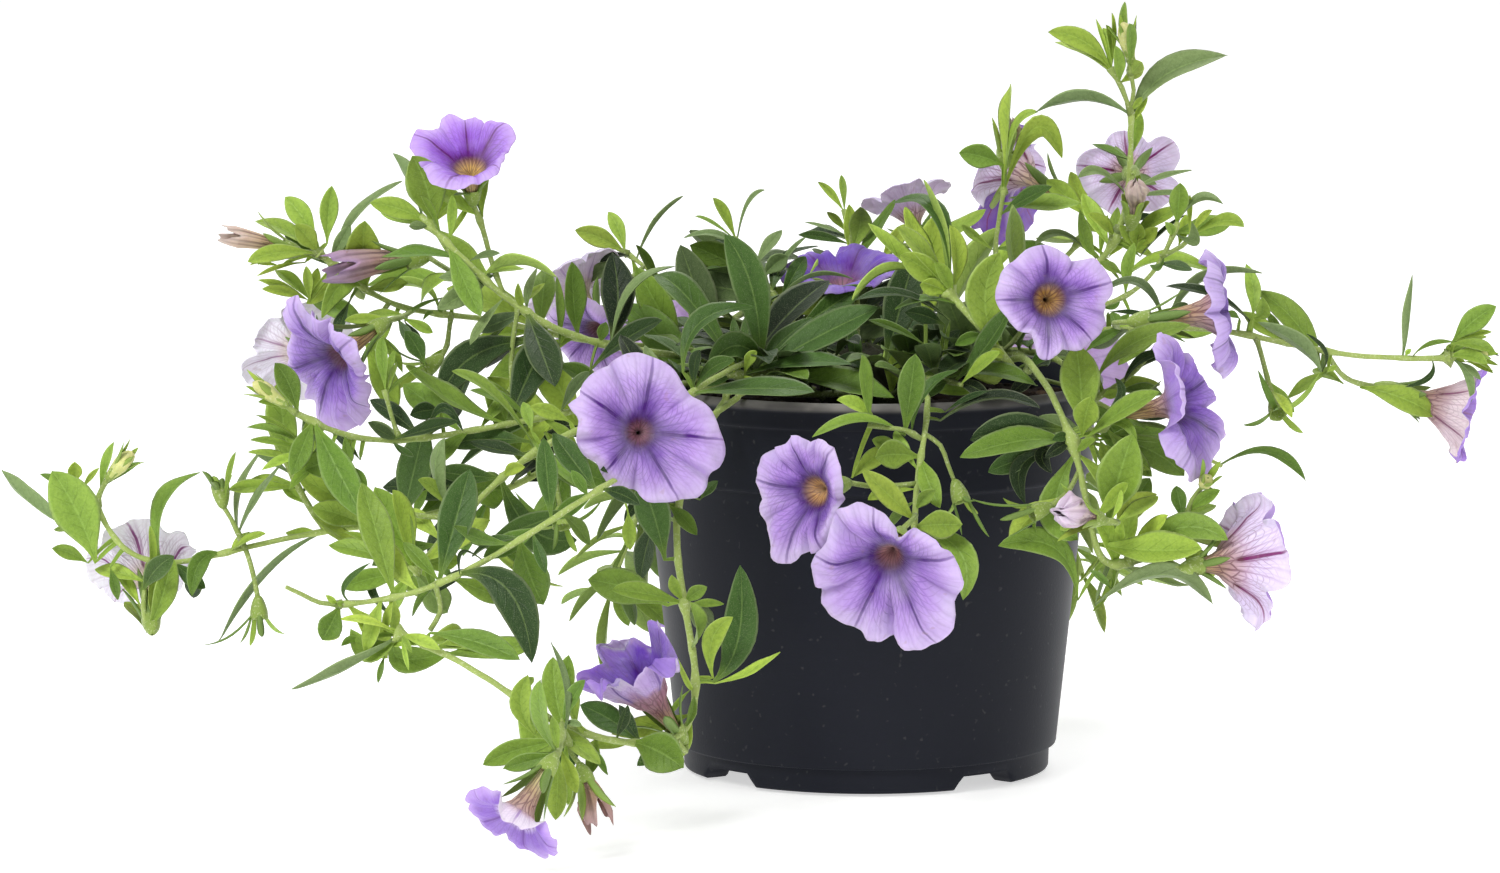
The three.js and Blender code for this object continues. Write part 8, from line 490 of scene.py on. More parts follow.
         ((-92.61, -99.37, 56.22), (-96.33, -98.59, 60.38), (-100.32, -95.93, 64.11), 3.42, (0.045, -0.901, 0.432), "M"),
         ((-70.84, -90.3, 66.82), (-76.95, -88.34, 63.13), (-83.49, -87, 59.69), 5.44, (-0.418, -0.845, 0.334), "M"),
         ((-92.61, -99.37, 56.22), (-96.18, -98.7, 52.47), (-98.46, -97, 48.24), 3.06, (-0.762, -0.461, 0.455), "M"),
         ((-85.6, -97.22, 58.8), (-89.32, -93.99, 56.04), (-93.46, -94.73, 53.15), 3.46, (-0.589, -0.576, 0.567), "D"),
         ((-5.17, -16.4, 86.1), (-13.95, -17.14, 92.32), (-22.06, -17.82, 92.48), 5.27, (0.483, 0.025, 0.875), "M"),
         ((-7.77, -19.32, 86.46), (-7.18, -26.44, 90.69), (-6.64, -33.01, 91.31), 4.42, (-0.336, 0.36, 0.87), "M"),
         ((-10.38, -22.28, 86.84), (-10.54, -30.72, 93.93), (-10.68, -38.52, 96.07), 5.73, (0.302, 0.53, 0.792), "K"),
         ((-15.65, -28.52, 87.72), (-15.46, -39.1, 91.03), (-15.29, -48.87, 91.28), 5.83, (-0.115, 0.171, 0.979), "E"),
         ((-18.31, -31.84, 88.24), (-18.33, -40.4, 91.27), (-18.35, -48.31, 90.88), 5.29, (-0.07, 0.21, 0.975), "M"),
         ((-23.63, -38.91, 89.45), (-21.97, -45.31, 93.14), (-20.44, -51.21, 92.7), 4.37, (-0.065, 0.378, 0.924), "D"),
     ],
     "buds": [
     ]},
    {"node": "shoot_front_left",
     "stems": [
         (0.87, 0.63, 1, [-4.8, -8.3, 92, -7.3, -12.6, 93.8, -9.7, -15.8, 93.1, -12.1, -19, 92.4, -14.6, -22.1, 91.7, -17.2, -25.1, 91, -19.8, -28.1, 90.5, -22.3, -31.4, 90, -24.7, -34.8, 89.8, -27.1, -38.2, 89.9, -29.4, -41.4, 90.2, -30.8, -43.5, 89.9, -31.4, -44.4, 89.5, -31.4, -44.4, 89.2, -31.6, -44.7, 88.1, -33.5, -47.9, 85.9, -35.3, -50.9, 83.7, -36.9, -53.8, 81.3, -38.3, -56.4, 78.8, -39.5, -58.8, 76.1, -40.5, -60.9, 73.2, -41.3, -62.7, 70.2, -41.8, -64.3, 66.9, -42.1, -65.7, 63.5, -42, -67, 59.9, -41.8, -68.2, 56.2, -41.3, -69.3, 52.5, -40.7, -70.4, 48.7, -40, -71.6, 44.9, -39.3, -72.9, 41.2, -38.7, -74.3, 37.6, -38.2, -75.9, 34.2, -38, -77.7, 31, -38.1, -79.7, 28.1, -38.4, -81.9, 25.7, -39.2, -84.2, 23.7, -40.2, -86.7, 22.2, -41.6, -89.2, 21.2, -43.2, -91.8, 20.7, -45.1, -94.4, 20.6, -47.2, -97, 20.7, -49.4, -99.5, 21.1, -51.7, -102, 21.7, -54.1, -104.3, 22.4, -56.6, -106.4, 23.2, -59.2, -108.3, 24.1, -61.8, -109.9, 25.2, -64.5, -111.2, 26.4, -67.2, -112, 27.7, -69.9, -112.4, 29.3, -72.7, -112.5, 30.9, -75.5, -112.1, 32.8, -78.4, -111.5, 34.6, -81.3, -110.6, 36.5, -84.4, -109.6, 38.2, -87.6, -108.5, 40, -90.9, -107.4, 41.5, -94.4, -106.3, 43, -97.9, -105.1, 44.4, -101.5, -104, 45.7]),
         (0.55, 0.47, 0, [-67, -111.9, 27.6, -65.8, -118.1, 29.2]),
         (0.55, 0.62, 0, [-42.4, -90.4, 21.1, -40, -88.1, 17.4, -40.2, -86.1, 19.1]),
         (0.55, 0.62, 0, [-66, -117, 28.9, -66.1, -121.3, 26.3, -66.3, -125.4, 24.7, -66.6, -129.3, 24.1, -67.1, -133.2, 24.1]),
         (0.55, 0.62, 0, [-66, -119.6, 27.4, -64.1, -118.5, 22.2, -62.2, -119, 19.7]),
     ],
     "cups": [
         ((-40.22, -86.13, 19.05), (-0.52, -0.35, 0.779), 2.15, 4.8),
         ((-67.12, -133.17, 24.06), (-0.487, -0.516, -0.705), 2.15, 4.8),
         ((-62.21, -119, 19.7), (0.28, -0.25, -0.927), 2.15, 4),
     ],
     "teeth": [
         ((-43.75, -86.42, 21.87), (-47.08, -87.03, 24.93), (-50.68, -87.27, 27.73), 2.21, (0.545, -0.704, 0.455), "M"),
         ((-43.55, -88.38, 21.12), (-47.9, -91.33, 23.23), (-52.1, -94.19, 23.76), 2.05, (0.33, 0.228, 0.916), "M"),
         ((-41.89, -89.29, 21.82), (-43.44, -92.98, 24.47), (-44.54, -97.17, 26.56), 2.43, (-0.483, 0.636, 0.602), "M"),
         ((-40.8, -87.92, 23.16), (-41.19, -89.95, 27.86), (-40.64, -91.9, 32.42), 1.96, (-0.997, 0.008, -0.079), "M"),
         ((-42.04, -86.01, 23.19), (-43.97, -86.08, 27.4), (-45.67, -85.58, 31.69), 1.84, (-0.358, -0.917, -0.178), "M"),
         ((-68.64, -134.05, 19.89), (-70.22, -134.47, 14.16), (-71.22, -133.88, 8.32), 2.36, (-0.488, -0.85, 0.198), "M"),
         ((-67.52, -135.79, 20.4), (-68.76, -138.9, 16.07), (-69.4, -141.99, 11.76), 2.25, (-0.974, 0.113, 0.197), "M"),
         ((-68.33, -136.85, 21.72), (-69.24, -141.05, 19.61), (-69.58, -145.6, 18.11), 2.4, (-0.625, 0.455, -0.634), "M"),
         ((-70.22, -136.03, 22.44), (-73.92, -139.43, 20.61), (-77.83, -142.91, 19.58), 2.49, (0.329, 0.142, -0.933), "M"),
         ((-70.59, -134.21, 21.36), (-74.31, -135.39, 18.42), (-78.35, -136.07, 15.75), 2.19, (0.543, -0.746, -0.383), "M"),
         ((-60.27, -121.26, 17.19), (-57.74, -124.25, 14.36), (-54.99, -127.66, 12.36), 2.36, (-0.301, 0.509, -0.806), "L"),
         ((-62.3, -121.36, 16.59), (-61.82, -123.43, 12.71), (-61.61, -125.8, 8.96), 2.25, (0.63, 0.716, -0.301), "L"),
         ((-63, -119.74, 15.95), (-63.97, -120.44, 12.25), (-65.63, -120.98, 8.79), 2.4, (0.958, -0.186, -0.218), "L"),
         ((-61.53, -118.12, 15.96), (-60.71, -117.37, 11.78), (-60.08, -116, 7.73), 2.49, (0.257, -0.959, -0.122), "L"),
         ((-59.68, -118.92, 16.72), (-57.35, -119.03, 13.54), (-54.66, -118.84, 10.64), 2.19, (-0.674, -0.569, -0.472), "L"),
     ],
     "leaves": [
         ((-41.81, -68.09, 56.44), (-46.87, -72.62, 66.4), (-49.88, -78.9, 75.25), 7.92, (0.194, -0.854, -0.482), "E", (-44.63, -67.85, 56.23)),
         ((-41.16, -62.87, 69.22), (-35.26, -59.51, 70.66), (-33.14, -62.3, 72.78), 2.27, (-0.488, -0.765, -0.42), "E", (-37.08, -57.1, 67.89)),
         ((-41.47, -63.84, 67.26), (-40.63, -67.27, 65.32), (-37.67, -70.07, 62.02), 3.4, (-0.34, -0.812, 0.474), "M", (-44, -64.07, 67.75)),
         ((-40.36, -70.93, 47.46), (-52.56, -62.92, 49.32), (-61.52, -58.83, 50.52), 7.92, (-0.351, -0.903, 0.248), "B", (-44, -66.83, 46.2)),
         ((-40.3, -71.04, 47.1), (-48.68, -75.32, 49.96), (-55.96, -79.94, 51.43), 4.84, (0.572, -0.632, 0.524), "B"),
         ((-40.31, -71.03, 47.13), (-38.26, -73.28, 49.62), (-35.48, -75.93, 51.49), 3.4, (-0.536, -0.8, -0.269), "B"),
         ((-40.2, -71.24, 46.48), (-36.16, -69.14, 46.91), (-31.83, -67.14, 46.46), 1.86, (0.382, -0.833, 0.4), "L"),
         ((-40.08, -71.47, 45.73), (-36.76, -68.32, 43.76), (-34.23, -65.61, 40.96), 4.99, (-0.564, 0.772, 0.292), "S"),
         ((-40.34, -70.97, 47.31), (-42.34, -73.34, 50.89), (-43.04, -76.5, 54.19), 2.72, (0.151, -0.791, -0.593), "L"),
         ((-38, -77.71, 30.98), (-28.78, -75.46, 39.82), (-28.35, -72.71, 55.83), 8.15, (0.011, -0.981, 0.195), "E", (-34.18, -77.71, 30.98)),
         ((-38.08, -77.43, 31.57), (-34.39, -80.09, 40.53), (-29.84, -83.39, 46.05), 4.53, (-0.153, -0.927, -0.343), "L", (-34.19, -77.39, 31.8)),
         ((-38.01, -77.79, 30.87), (-26.61, -80.93, 33.67), (-19.72, -84.78, 38.64), 3.43, (-0.595, -0.425, 0.682), "Y", (-33.75, -77.78, 30.77)),
         ((-38.09, -78.56, 29.89), (-39.58, -80.3, 30.95), (-42.14, -82.5, 37.63), 1.36, (0.321, -0.922, -0.216), "Y"),
         ((-51.33, -101.39, 21.74), (-45.66, -106.12, 20.5), (-40.45, -110.46, 17.62), 8.6, (-0.486, -0.778, 0.399), "M"),
         ((-69.73, -112.21, 29.21), (-74.78, -115.1, 31.95), (-73.19, -118.4, 38.91), 4.99, (0.084, -0.917, -0.389), "Y", (-71.89, -112.4, 25.06)),
         ((-65.1, -119.45, 25.5), (-70.1, -116.42, 29.31), (-70.77, -114.06, 32.86), 2.27, (-0.021, -0.884, 0.467), "M", (-69.64, -118.06, 25.34)),
         ((-65.16, -119.46, 25.62), (-67.3, -115.87, 33.87), (-68.02, -112.06, 41.78), 5.65, (0.009, -0.939, 0.343), "B"),
         ((-65.42, -119.5, 26.15), (-65.11, -120.31, 36), (-68.19, -123.06, 46.69), 2.65, (0.819, 0.532, 0.214), "S"),
         ((-66.03, -117.85, 28.43), (-63.72, -120.67, 34.14), (-61.02, -124.06, 38.73), 3.49, (-0.701, -0.708, -0.089), "M"),
         ((-66.03, -117.85, 28.44), (-63.54, -120.07, 28.94), (-61.71, -122.06, 28.57), 1.59, (-0.7, -0.658, 0.277), "G"),
         ((-49.84, -99.82, 21.38), (-55.9, -96.61, 25.68), (-62.68, -92.95, 28.39), 5.43, (-0.3, -0.891, 0.341), "E"),
         ((-64.96, -119.43, 25.22), (-75.23, -121.64, 23.43), (-82.59, -125.06, 20.71), 4.99, (0.354, -0.9, 0.256), "B"),
         ((-64.96, -119.43, 25.22), (-73.83, -115.98, 20.72), (-78.67, -114.06, 18.01), 2.29, (-0.486, -0.761, 0.43), "M", (-68.58, -118.06, 22.33)),
         ((-64.96, -119.43, 25.22), (-65.42, -122.62, 18.49), (-64.63, -126.06, 12.32), 3.93, (0.69, -0.538, 0.483), "L"),
         ((-64.96, -119.43, 25.22), (-59.65, -114.12, 21.26), (-56.57, -114.06, 17.36), 2.27, (0.384, -0.909, -0.164), "M", (-63.28, -118.06, 23.84)),
         ((-61.79, -109.92, 25.16), (-59.19, -106.1, 19.45), (-56.54, -102.92, 14.84), 1.52, (0.739, -0.672, -0.047), "M"),
         ((-60, -108.61, 24.52), (-61.68, -111.05, 25.91), (-63.35, -113.74, 28.07), 1.36, (0.47, -0.751, -0.464), "L"),
         ((-100.92, -104.17, 45.5), (-107.15, -108.32, 48.95), (-113.19, -109.19, 49.48), 2.52, (0.413, -0.564, 0.716), "Y"),
         ((-100.92, -104.17, 45.5), (-115.51, -105.62, 46.94), (-117.31, -107, 44.66), 4.99, (0.271, -0.881, 0.388), "Y", (-113.38, -104, 48.73)),
         ((-95.52, -105.92, 43.35), (-84.46, -110, 44.76), (-74.99, -113.91, 41.42), 5.96, (-0.173, -0.77, 0.614), "M", (-94.35, -105.91, 46)),
         ((-100.92, -104.17, 45.5), (-100.95, -101.35, 39.9), (-90.37, -98.05, 40.69), 6.11, (0.474, -0.88, -0.006), "B"),
         ((-100.92, -104.17, 45.5), (-106.31, -104.11, 41.97), (-111.38, -103.42, 46.54), 5.43, (-0.586, -0.78, 0.219), "L"),
         ((-100.92, -104.17, 45.5), (-110.99, -103.81, 44.33), (-113.38, -104.16, 42.93), 1.81, (-0.684, -0.728, -0.053), "B", (-108.46, -101.78, 43.82)),
         ((-100.92, -104.17, 45.5), (-96.56, -107.9, 44.84), (-92.04, -111.56, 43.21), 3.35, (-0.25, -0.535, 0.807), "Y"),
         ((-100.61, -104.27, 45.38), (-99.38, -108.39, 44.5), (-98.1, -108.72, 42.12), 1.36, (-0.387, -0.645, 0.658), "L"),
         ((-100.38, -104.35, 45.28), (-99.65, -108.99, 42.36), (-98.77, -109.54, 38.56), 1.13, (-0.088, -0.836, 0.541), "Y"),
         ((-100.92, -104.17, 45.5), (-111.33, -108.15, 39.45), (-123.45, -113.1, 35.07), 4.88, (-0.499, 0.537, 0.68), "G"),
         ((-100.92, -104.17, 45.5), (-104.85, -105.75, 38.34), (-105.44, -107, 35.39), 1.36, (0.115, -0.886, 0.448), "M", (-104.04, -104, 40.96)),
         ((-38.13, -78.9, 29.46), (-41.63, -74.81, 26.24), (-43.52, -74.81, 23.28), 1.36, (-0.073, -0.996, 0.058), "L", (-39.18, -74.81, 28.77)),
         ((-40.37, -86.87, 22.15), (-38.76, -88.42, 25.65), (-38.21, -90.87, 30.01), 2.04, (-0.05, -0.917, -0.396), "M"),
         ((-41.94, -65.33, 64.26), (-48.88, -49.92, 56.44), (-50.34, -45.83, 48.61), 4.95, (-0.53, -0.762, -0.374), "D", (-46.92, -55.39, 63.25)),
         ((-76.18, -111.71, 33.17), (-71.85, -107.34, 24.15), (-67.36, -104.76, 14.39), 6.79, (0.064, -0.942, -0.33), "L"),
         ((-60.83, -109.22, 24.82), (-67.41, -115.61, 18.57), (-73.69, -123.26, 13.66), 7.39, (0.18, -0.709, 0.681), "E"),
         ((-66.76, -130.46, 24.03), (-66.81, -128.25, 16.79), (-67.28, -127.46, 9.31), 5.19, (-0.256, -0.949, -0.185), "L"),
         ((-38.77, -82.92, 24.78), (-47.44, -83.81, 22.37), (-56.07, -86.12, 20.94), 5.04, (0.028, -0.826, 0.563), "Y"),
         ((-66.76, -130.46, 24.03), (-69.73, -137.8, 31.88), (-70.02, -143.06, 41.74), 5.92, (-0.688, -0.526, -0.501), "B"),
         ((-58.83, -107.75, 24.1), (-59.41, -111.04, 20.03), (-60.24, -114.81, 16.81), 3.27, (-0.122, -0.704, 0.699), "B"),
         ((-51.18, -101.24, 21.71), (-56.01, -102.27, 21.24), (-60.8, -103.74, 21.64), 3.49, (0.152, -0.597, 0.788), "Y"),
         ((-38.77, -82.92, 24.78), (-40.14, -84.31, 20.13), (-41.42, -84.49, 15.26), 3.67, (-0.076, -0.98, 0.183), "L"),
         ((-93.82, -106.47, 42.68), (-85.9, -97.08, 41.79), (-78.71, -90.86, 39.11), 6.85, (0.496, -0.288, 0.819), "Y"),
         ((-38.86, -74.59, 37.61), (-37.35, -79.54, 43.04), (-39.04, -83.67, 49.28), 5.11, (0.92, -0.32, -0.227), "L"),
         ((-54.8, -104.81, 22.66), (-53.48, -107.25, 26.82), (-52.22, -109.59, 31.06), 2.77, (0.41, -0.738, -0.536), "D"),
         ((-91.51, -107.22, 41.76), (-82.14, -98.15, 40.81), (-71.99, -90.04, 42.24), 7.52, (0.288, -0.352, 0.891), "L"),
         ((-66.76, -130.46, 24.03), (-72.6, -130.4, 22.47), (-78.08, -128.58, 20.6), 3.81, (-0.215, -0.958, 0.188), "M"),
         ((-67.38, -112.02, 27.83), (-65.72, -111.93, 35.21), (-64.63, -113.72, 42.47), 5.02, (-0.284, -0.957, -0.057), "B"),
         ((-69.61, -112.2, 29.14), (-63.77, -117.46, 24.51), (-57.82, -122.92, 20.52), 5.42, (0.13, -0.534, 0.835), "L"),
         ((-62.95, -110.37, 25.71), (-64.52, -105.36, 31.01), (-65.1, -101.32, 37.37), 4.28, (0.569, -0.594, 0.569), "L"),
         ((-96.14, -105.72, 43.6), (-89.26, -96.89, 42.82), (-85.23, -87.17, 39), 7.48, (0.673, -0.216, 0.707), "Y"),
         ((-66.42, -127.88, 24.01), (-67.41, -127.93, 27.9), (-67.8, -129.24, 31.73), 2.51, (0.451, -0.89, -0.073), "L"),
         ((-44.47, -93.44, 20.71), (-47.46, -93.56, 17.9), (-50.37, -95.07, 15.5), 2.89, (0.085, -0.975, 0.206), "E"),
         ((-76.18, -111.71, 33.17), (-74.3, -108.92, 34.99), (-72.41, -105.74, 36.53), 2.87, (0.07, -0.503, 0.861), "L"),
         ((-96.14, -105.72, 43.6), (-99.12, -106.16, 43.68), (-102.55, -103.46, 43.02), 2.86, (-0.418, -0.413, 0.809), "Y"),
         ((-66.09, -125.34, 24.03), (-64.43, -127.55, 19.83), (-62.71, -129.13, 15.39), 3.45, (-0.082, -0.922, 0.378), "Y"),
         ((-49.41, -99.38, 21.28), (-52.14, -99.85, 25.3), (-54.19, -101.12, 29.72), 3.29, (0.622, -0.754, 0.21), "D"),
         ((-7.31, -12.64, 93.8), (-4.57, -18.7, 98.17), (-2.05, -24.3, 98.25), 4.28, (-0.375, 0.315, 0.872), "K"),
         ((-9.7, -15.79, 93.09), (-19.22, -14.7, 98.46), (-28.01, -13.7, 100.63), 6.37, (0.389, 0.044, 0.92), "M"),
         ((-12.11, -18.96, 92.39), (-10.41, -26.02, 97.78), (-8.83, -32.54, 98.95), 5.48, (-0.342, 0.423, 0.839), "E"),
         ((-17.16, -25.11, 91.05), (-26.7, -23.96, 97.01), (-35.51, -22.91, 99.48), 6.35, (0.358, -0.384, 0.851), "E"),
         ((-22.26, -31.4, 90.04), (-31.14, -29.5, 96.4), (-39.33, -27.74, 96.92), 5.49, (0.436, -0.236, 0.869), "M"),
         ((-24.69, -34.8, 89.81), (-18.89, -43.38, 94.09), (-13.54, -51.31, 93.73), 6.31, (-0.295, 0.114, 0.949), "M"),
     ],
     "buds": [
     ]},
    {"node": "shoot_over_rim_left",
     "stems": [
         (0.76, 0.55, 1, [-7.7, -8.4, 88.2, -11.1, -12.1, 90, -13.4, -15.2, 91, -15.7, -18.2, 92, -17.9, -21.6, 93, -19.9, -25.2, 93.8, -22, -28.7, 94.6, -24, -32.2, 95.4, -26, -35.8, 95.8, -28.1, -39.4, 95.5, -30.3, -42.5, 94.9, -32.5, -45.5, 94, -34.8, -48.2, 93.1, -37, -50.7, 92, -39.4, -53, 90.7, -41.8, -55, 89.3, -44.2, -56.8, 87.7, -46.6, -58.4, 85.9, -49, -60, 84.1]),
         (0.55, 0.62, 0, [-46.4, -58.2, 86, -48.7, -60.5, 84.7, -51, -62.7, 83.4]),
     ],
     "cups": [
         ((-51.04, -62.72, 83.35), (0.081, -0.987, 0.141), 2.15, 4.8),
     ],
     "teeth": [
         ((-52.54, -66.92, 84.05), (-53.62, -70.45, 84.64), (-54.96, -73.46, 85.15), 1.82, (0.975, -0.223, -0.02), "M"),
         ((-51.69, -67.09, 82.41), (-52.55, -70.86, 81.14), (-53.68, -74.18, 79.43), 2.43, (0.518, -0.279, 0.809), "M"),
         ((-49.39, -66.86, 82.65), (-47.79, -70.37, 81.85), (-45.98, -73.36, 80.72), 2.42, (-0.608, -0.394, 0.69), "M"),
         ((-49.22, -66.52, 84.98), (-47.76, -69.73, 86.31), (-46.12, -72.37, 87.72), 2.03, (-0.735, -0.468, -0.492), "M"),
         ((-51.15, -66.57, 85.71), (-51.23, -69.82, 87.66), (-51.42, -72.51, 89.8), 2.02, (0.251, -0.4, -0.881), "M"),
     ],
     "leaves": [
         ((-38.25, -51.79, 91.3), (-34.59, -55.65, 96.6), (-29.44, -59.84, 98.98), 3.9, (-0.68, -0.716, 0.159), "E"),
         ((-38.21, -51.75, 91.33), (-37.11, -48.2, 105.93), (-25.08, -43.8, 108.73), 6.15, (-0.358, -0.553, 0.752), "E", (-40.8, -51.8, 95.37)),
         ((-39.2, -52.65, 90.75), (-25.09, -56.34, 92.41), (-12.05, -60.74, 92.09), 7.64, (-0.217, -0.402, 0.89), "E"),
         ((-45.17, -57.33, 86.84), (-50.46, -53.81, 77.91), (-53.52, -51.45, 67.12), 6.34, (-0.796, -0.592, 0.127), "M"),
         ((-44.17, -56.64, 87.55), (-47.24, -53.27, 95.82), (-49.13, -48.76, 100.94), 3.91, (0.475, -0.64, 0.604), "G", (-45.78, -56.76, 89.83)),
         ((-46.04, -57.94, 86.22), (-50.32, -52.69, 95.8), (-54.63, -46.04, 102.82), 5.85, (0.318, -0.665, 0.676), "K"),
         ((-38.35, -51.88, 91.24), (-38.3, -54.71, 97.2), (-37.05, -58.27, 100.98), 2.96, (-0.551, -0.727, -0.41), "D"),
         ((-26.16, -35.95, 95.47), (-17.79, -25.17, 104.93), (-8.59, -15.5, 111.43), 8.24, (-0.262, -0.73, 0.631), "K"),
         ((-11.08, -12.09, 90), (-6.37, -19.1, 93.96), (-2.01, -25.58, 93.13), 5.34, (-0.418, 0.077, 0.905), "D"),
         ((-13.38, -15.17, 91.01), (-22.28, -11.56, 96.74), (-30.5, -8.23, 97.62), 6.15, (0.415, -0.061, 0.908), "E"),
         ((-17.85, -21.58, 92.96), (-14.45, -30.08, 99.49), (-11.3, -37.92, 101.67), 6.55, (-0.278, 0.411, 0.868), "E"),
         ((-19.92, -25.16, 93.83), (-28.72, -27.74, 99.98), (-36.84, -30.13, 101.84), 5.46, (0.468, 0.036, 0.883), "D"),
         ((-24.02, -32.22, 95.39), (-22.5, -38.87, 98.42), (-21.11, -45.01, 97.5), 4.01, (0.054, 0.308, 0.95), "D"),
         ((-24.02, -32.22, 95.39), (-33.63, -33.66, 99.03), (-42.49, -34.99, 99.3), 5.85, (0.246, -0.105, 0.963), "D"),
     ],
     "buds": [
     ]},
    {"node": "shoot_top_left",
     "stems": [
         (0.65, 0.47, 1, [-8.5, 7.6, 88.2, -12.2, 11, 90, -15, 13, 91.4, -17.8, 15.1, 92.8, -20.6, 17.1, 94.2, -23.6, 19.1, 95.5, -26.6, 21.1, 96.9, -29.7, 23.1, 98.2, -32.8, 25, 99.5, -36, 26.8, 100.9, -39.1, 28.4, 102.5, -42.3, 30, 104.2, -45.4, 31.4, 106, -48.5, 32.6, 108, -51.6, 33.8, 110.1, -54.6, 35, 112.2]),
         (0.55, 0.47, 0, [-53.9, 34.7, 111.7, -57.6, 34.8, 113.8]),
         (0.55, 0.62, 0, [-50.2, 33.3, 109.2, -52.8, 30.4, 107.2, -54.8, 27.6, 104.6, -56.2, 24.9, 101.3, -57.2, 22.9, 98.3, -58.3, 22.1, 96.7, -59.6, 22.3, 96.5]),
         (0.55, 0.62, 0, [-45.1, 31.2, 105.9, -48.3, 29.9, 102.7, -51.3, 28.4, 100.5, -53.7, 26.6, 100.2, -55.4, 24.5, 101.4]),
     ],
     "cups": [
         ((-59.62, 22.31, 96.54), (-0.5, 0.55, 0.67), 2.15, 4.8),
         ((-55.44, 24.53, 101.43), (-0.488, -0.766, -0.418), 2.15, 4.8),
     ],
     "teeth": [
         ((-61.88, 25.91, 98.06), (-63.43, 28.63, 98.75), (-64.93, 31.43, 99.22), 2.17, (-0.093, -0.456, 0.885), "M"),
         ((-63.23, 24.36, 98.33), (-66.3, 25.62, 99.08), (-69.43, 26.68, 99.48), 1.92, (0.438, 0.395, 0.807), "M"),
         ((-62.62, 23.08, 99.83), (-65.1, 22.82, 102.28), (-67.68, 22.22, 104.72), 2.21, (0.208, 0.975, 0.074), "M"),
         ((-60.7, 23.81, 100.66), (-60.88, 24.39, 104.14), (-60.8, 24.75, 107.78), 2.46, (-0.709, 0.631, -0.314), "M"),
         ((-60.29, 25.78, 99.35), (-60.64, 28.17, 101.21), (-60.84, 30.56, 102.99), 2.31, (-0.883, -0.415, 0.218), "M"),
         ((-57.93, 22.44, 98.29), (-59.98, 21.14, 95.45), (-61.98, 20.41, 92.4), 2.47, (0.001, -0.874, 0.487), "M"),
         ((-56.17, 21.27, 98.39), (-56.25, 18.71, 95.54), (-55.78, 16.43, 92.47), 2.39, (-0.847, -0.339, 0.41), "M"),
         ((-56.09, 20.23, 100.2), (-55.83, 16.28, 99.52), (-54.92, 12.24, 99.16), 2.44, (-0.884, 0.175, -0.434), "M"),
         ((-58.21, 20.96, 101.33), (-60.64, 18.05, 101.88), (-63.12, 15.31, 103.08), 1.97, (0.159, -0.136, -0.978), "M"),
         ((-59.05, 22.08, 100.27), (-62.4, 20.43, 99.56), (-66.05, 19.3, 99.18), 1.95, (0.616, -0.653, -0.441), "M"),
     ],
     "leaves": [
         ((-54.67, 34.73, 112.17), (-60.01, 32.61, 115.62), (-65.9, 30, 117.79), 4.53, (0.379, -0.923, -0.062), "Y"),
         ((-54.59, 34.73, 112.13), (-56.1, 37.16, 117.1), (-58.56, 39.97, 120.85), 3.4, (-0.163, -0.878, 0.45), "L"),
         ((-52.2, 34.04, 110.58), (-47.81, 36.78, 118.9), (-41.46, 40.08, 124.51), 2.38, (-0.774, 0.5, 0.388), "G"),
         ((-53.23, 34.45, 111.27), (-56.87, 29.23, 112.02), (-60.22, 27.58, 110.77), 1.73, (0.528, -0.651, 0.545), "K"),
         ((-57.06, 34.8, 113.55), (-60.99, 28.69, 108.16), (-56.12, 27.82, 110.04), 3.39, (-0.553, -0.818, 0.157), "G", (-65.31, 32.82, 103.77)),
         ((-45.35, 31.32, 105.97), (-48.98, 28.26, 109.9), (-51.99, 24.32, 114.99), 2.76, (0.735, -0.674, -0.071), "M", (-46.64, 31.32, 103.94)),
         ((-38.95, 28.22, 102.53), (-44.11, 24.99, 103.87), (-48.8, 21.34, 105.75), 3.45, (0.67, -0.71, 0.217), "B"),
         ((-22.25, 18.1, 94.92), (-16.86, 26.07, 100.46), (-11.27, 32.89, 107.08), 7.86, (0.159, -0.696, 0.7), "K"),
         ((-53.31, 34.48, 111.33), (-51.12, 33.19, 104.11), (-50.34, 34.2, 96.6), 4.24, (0.516, -0.848, 0.122), "Y"),
         ((-20.23, 16.76, 94.01), (-29.22, 26.03, 92.02), (-39.67, 33.86, 91.64), 8.24, (-0.559, -0.551, 0.62), "D"),
         ((-8.47, 7.63, 88.2), (-16.78, 4.61, 95.23), (-24.46, 1.83, 96.18), 5.6, (0.589, -0.137, 0.797), "D"),
         ((-14.97, 13.01, 91.43), (-20.07, 10.53, 96.16), (-24.79, 8.25, 98.18), 3.56, (0.436, 0.365, 0.822), "E"),
         ((-17.78, 15.05, 92.84), (-27.26, 15.27, 97.49), (-36.01, 15.47, 99.15), 5.82, (0.329, 0.08, 0.941), "M"),
         ((-23.58, 19.13, 95.55), (-25.85, 26.3, 99.87), (-27.95, 32.92, 101.32), 4.99, (0.037, -0.4, 0.916), "M"),
         ((-29.67, 23.11, 98.17), (-35.05, 19.2, 103.41), (-40.02, 15.59, 105.59), 4.66, (0.629, -0.036, 0.777), "M"),
         ((-32.81, 25, 99.52), (-32.05, 32.55, 104.56), (-31.35, 39.51, 106.77), 5.15, (0.037, -0.461, 0.887), "E"),
     ],
     "buds": [
     ]},
    {"node": "shoot_top_mid",
     "stems": [
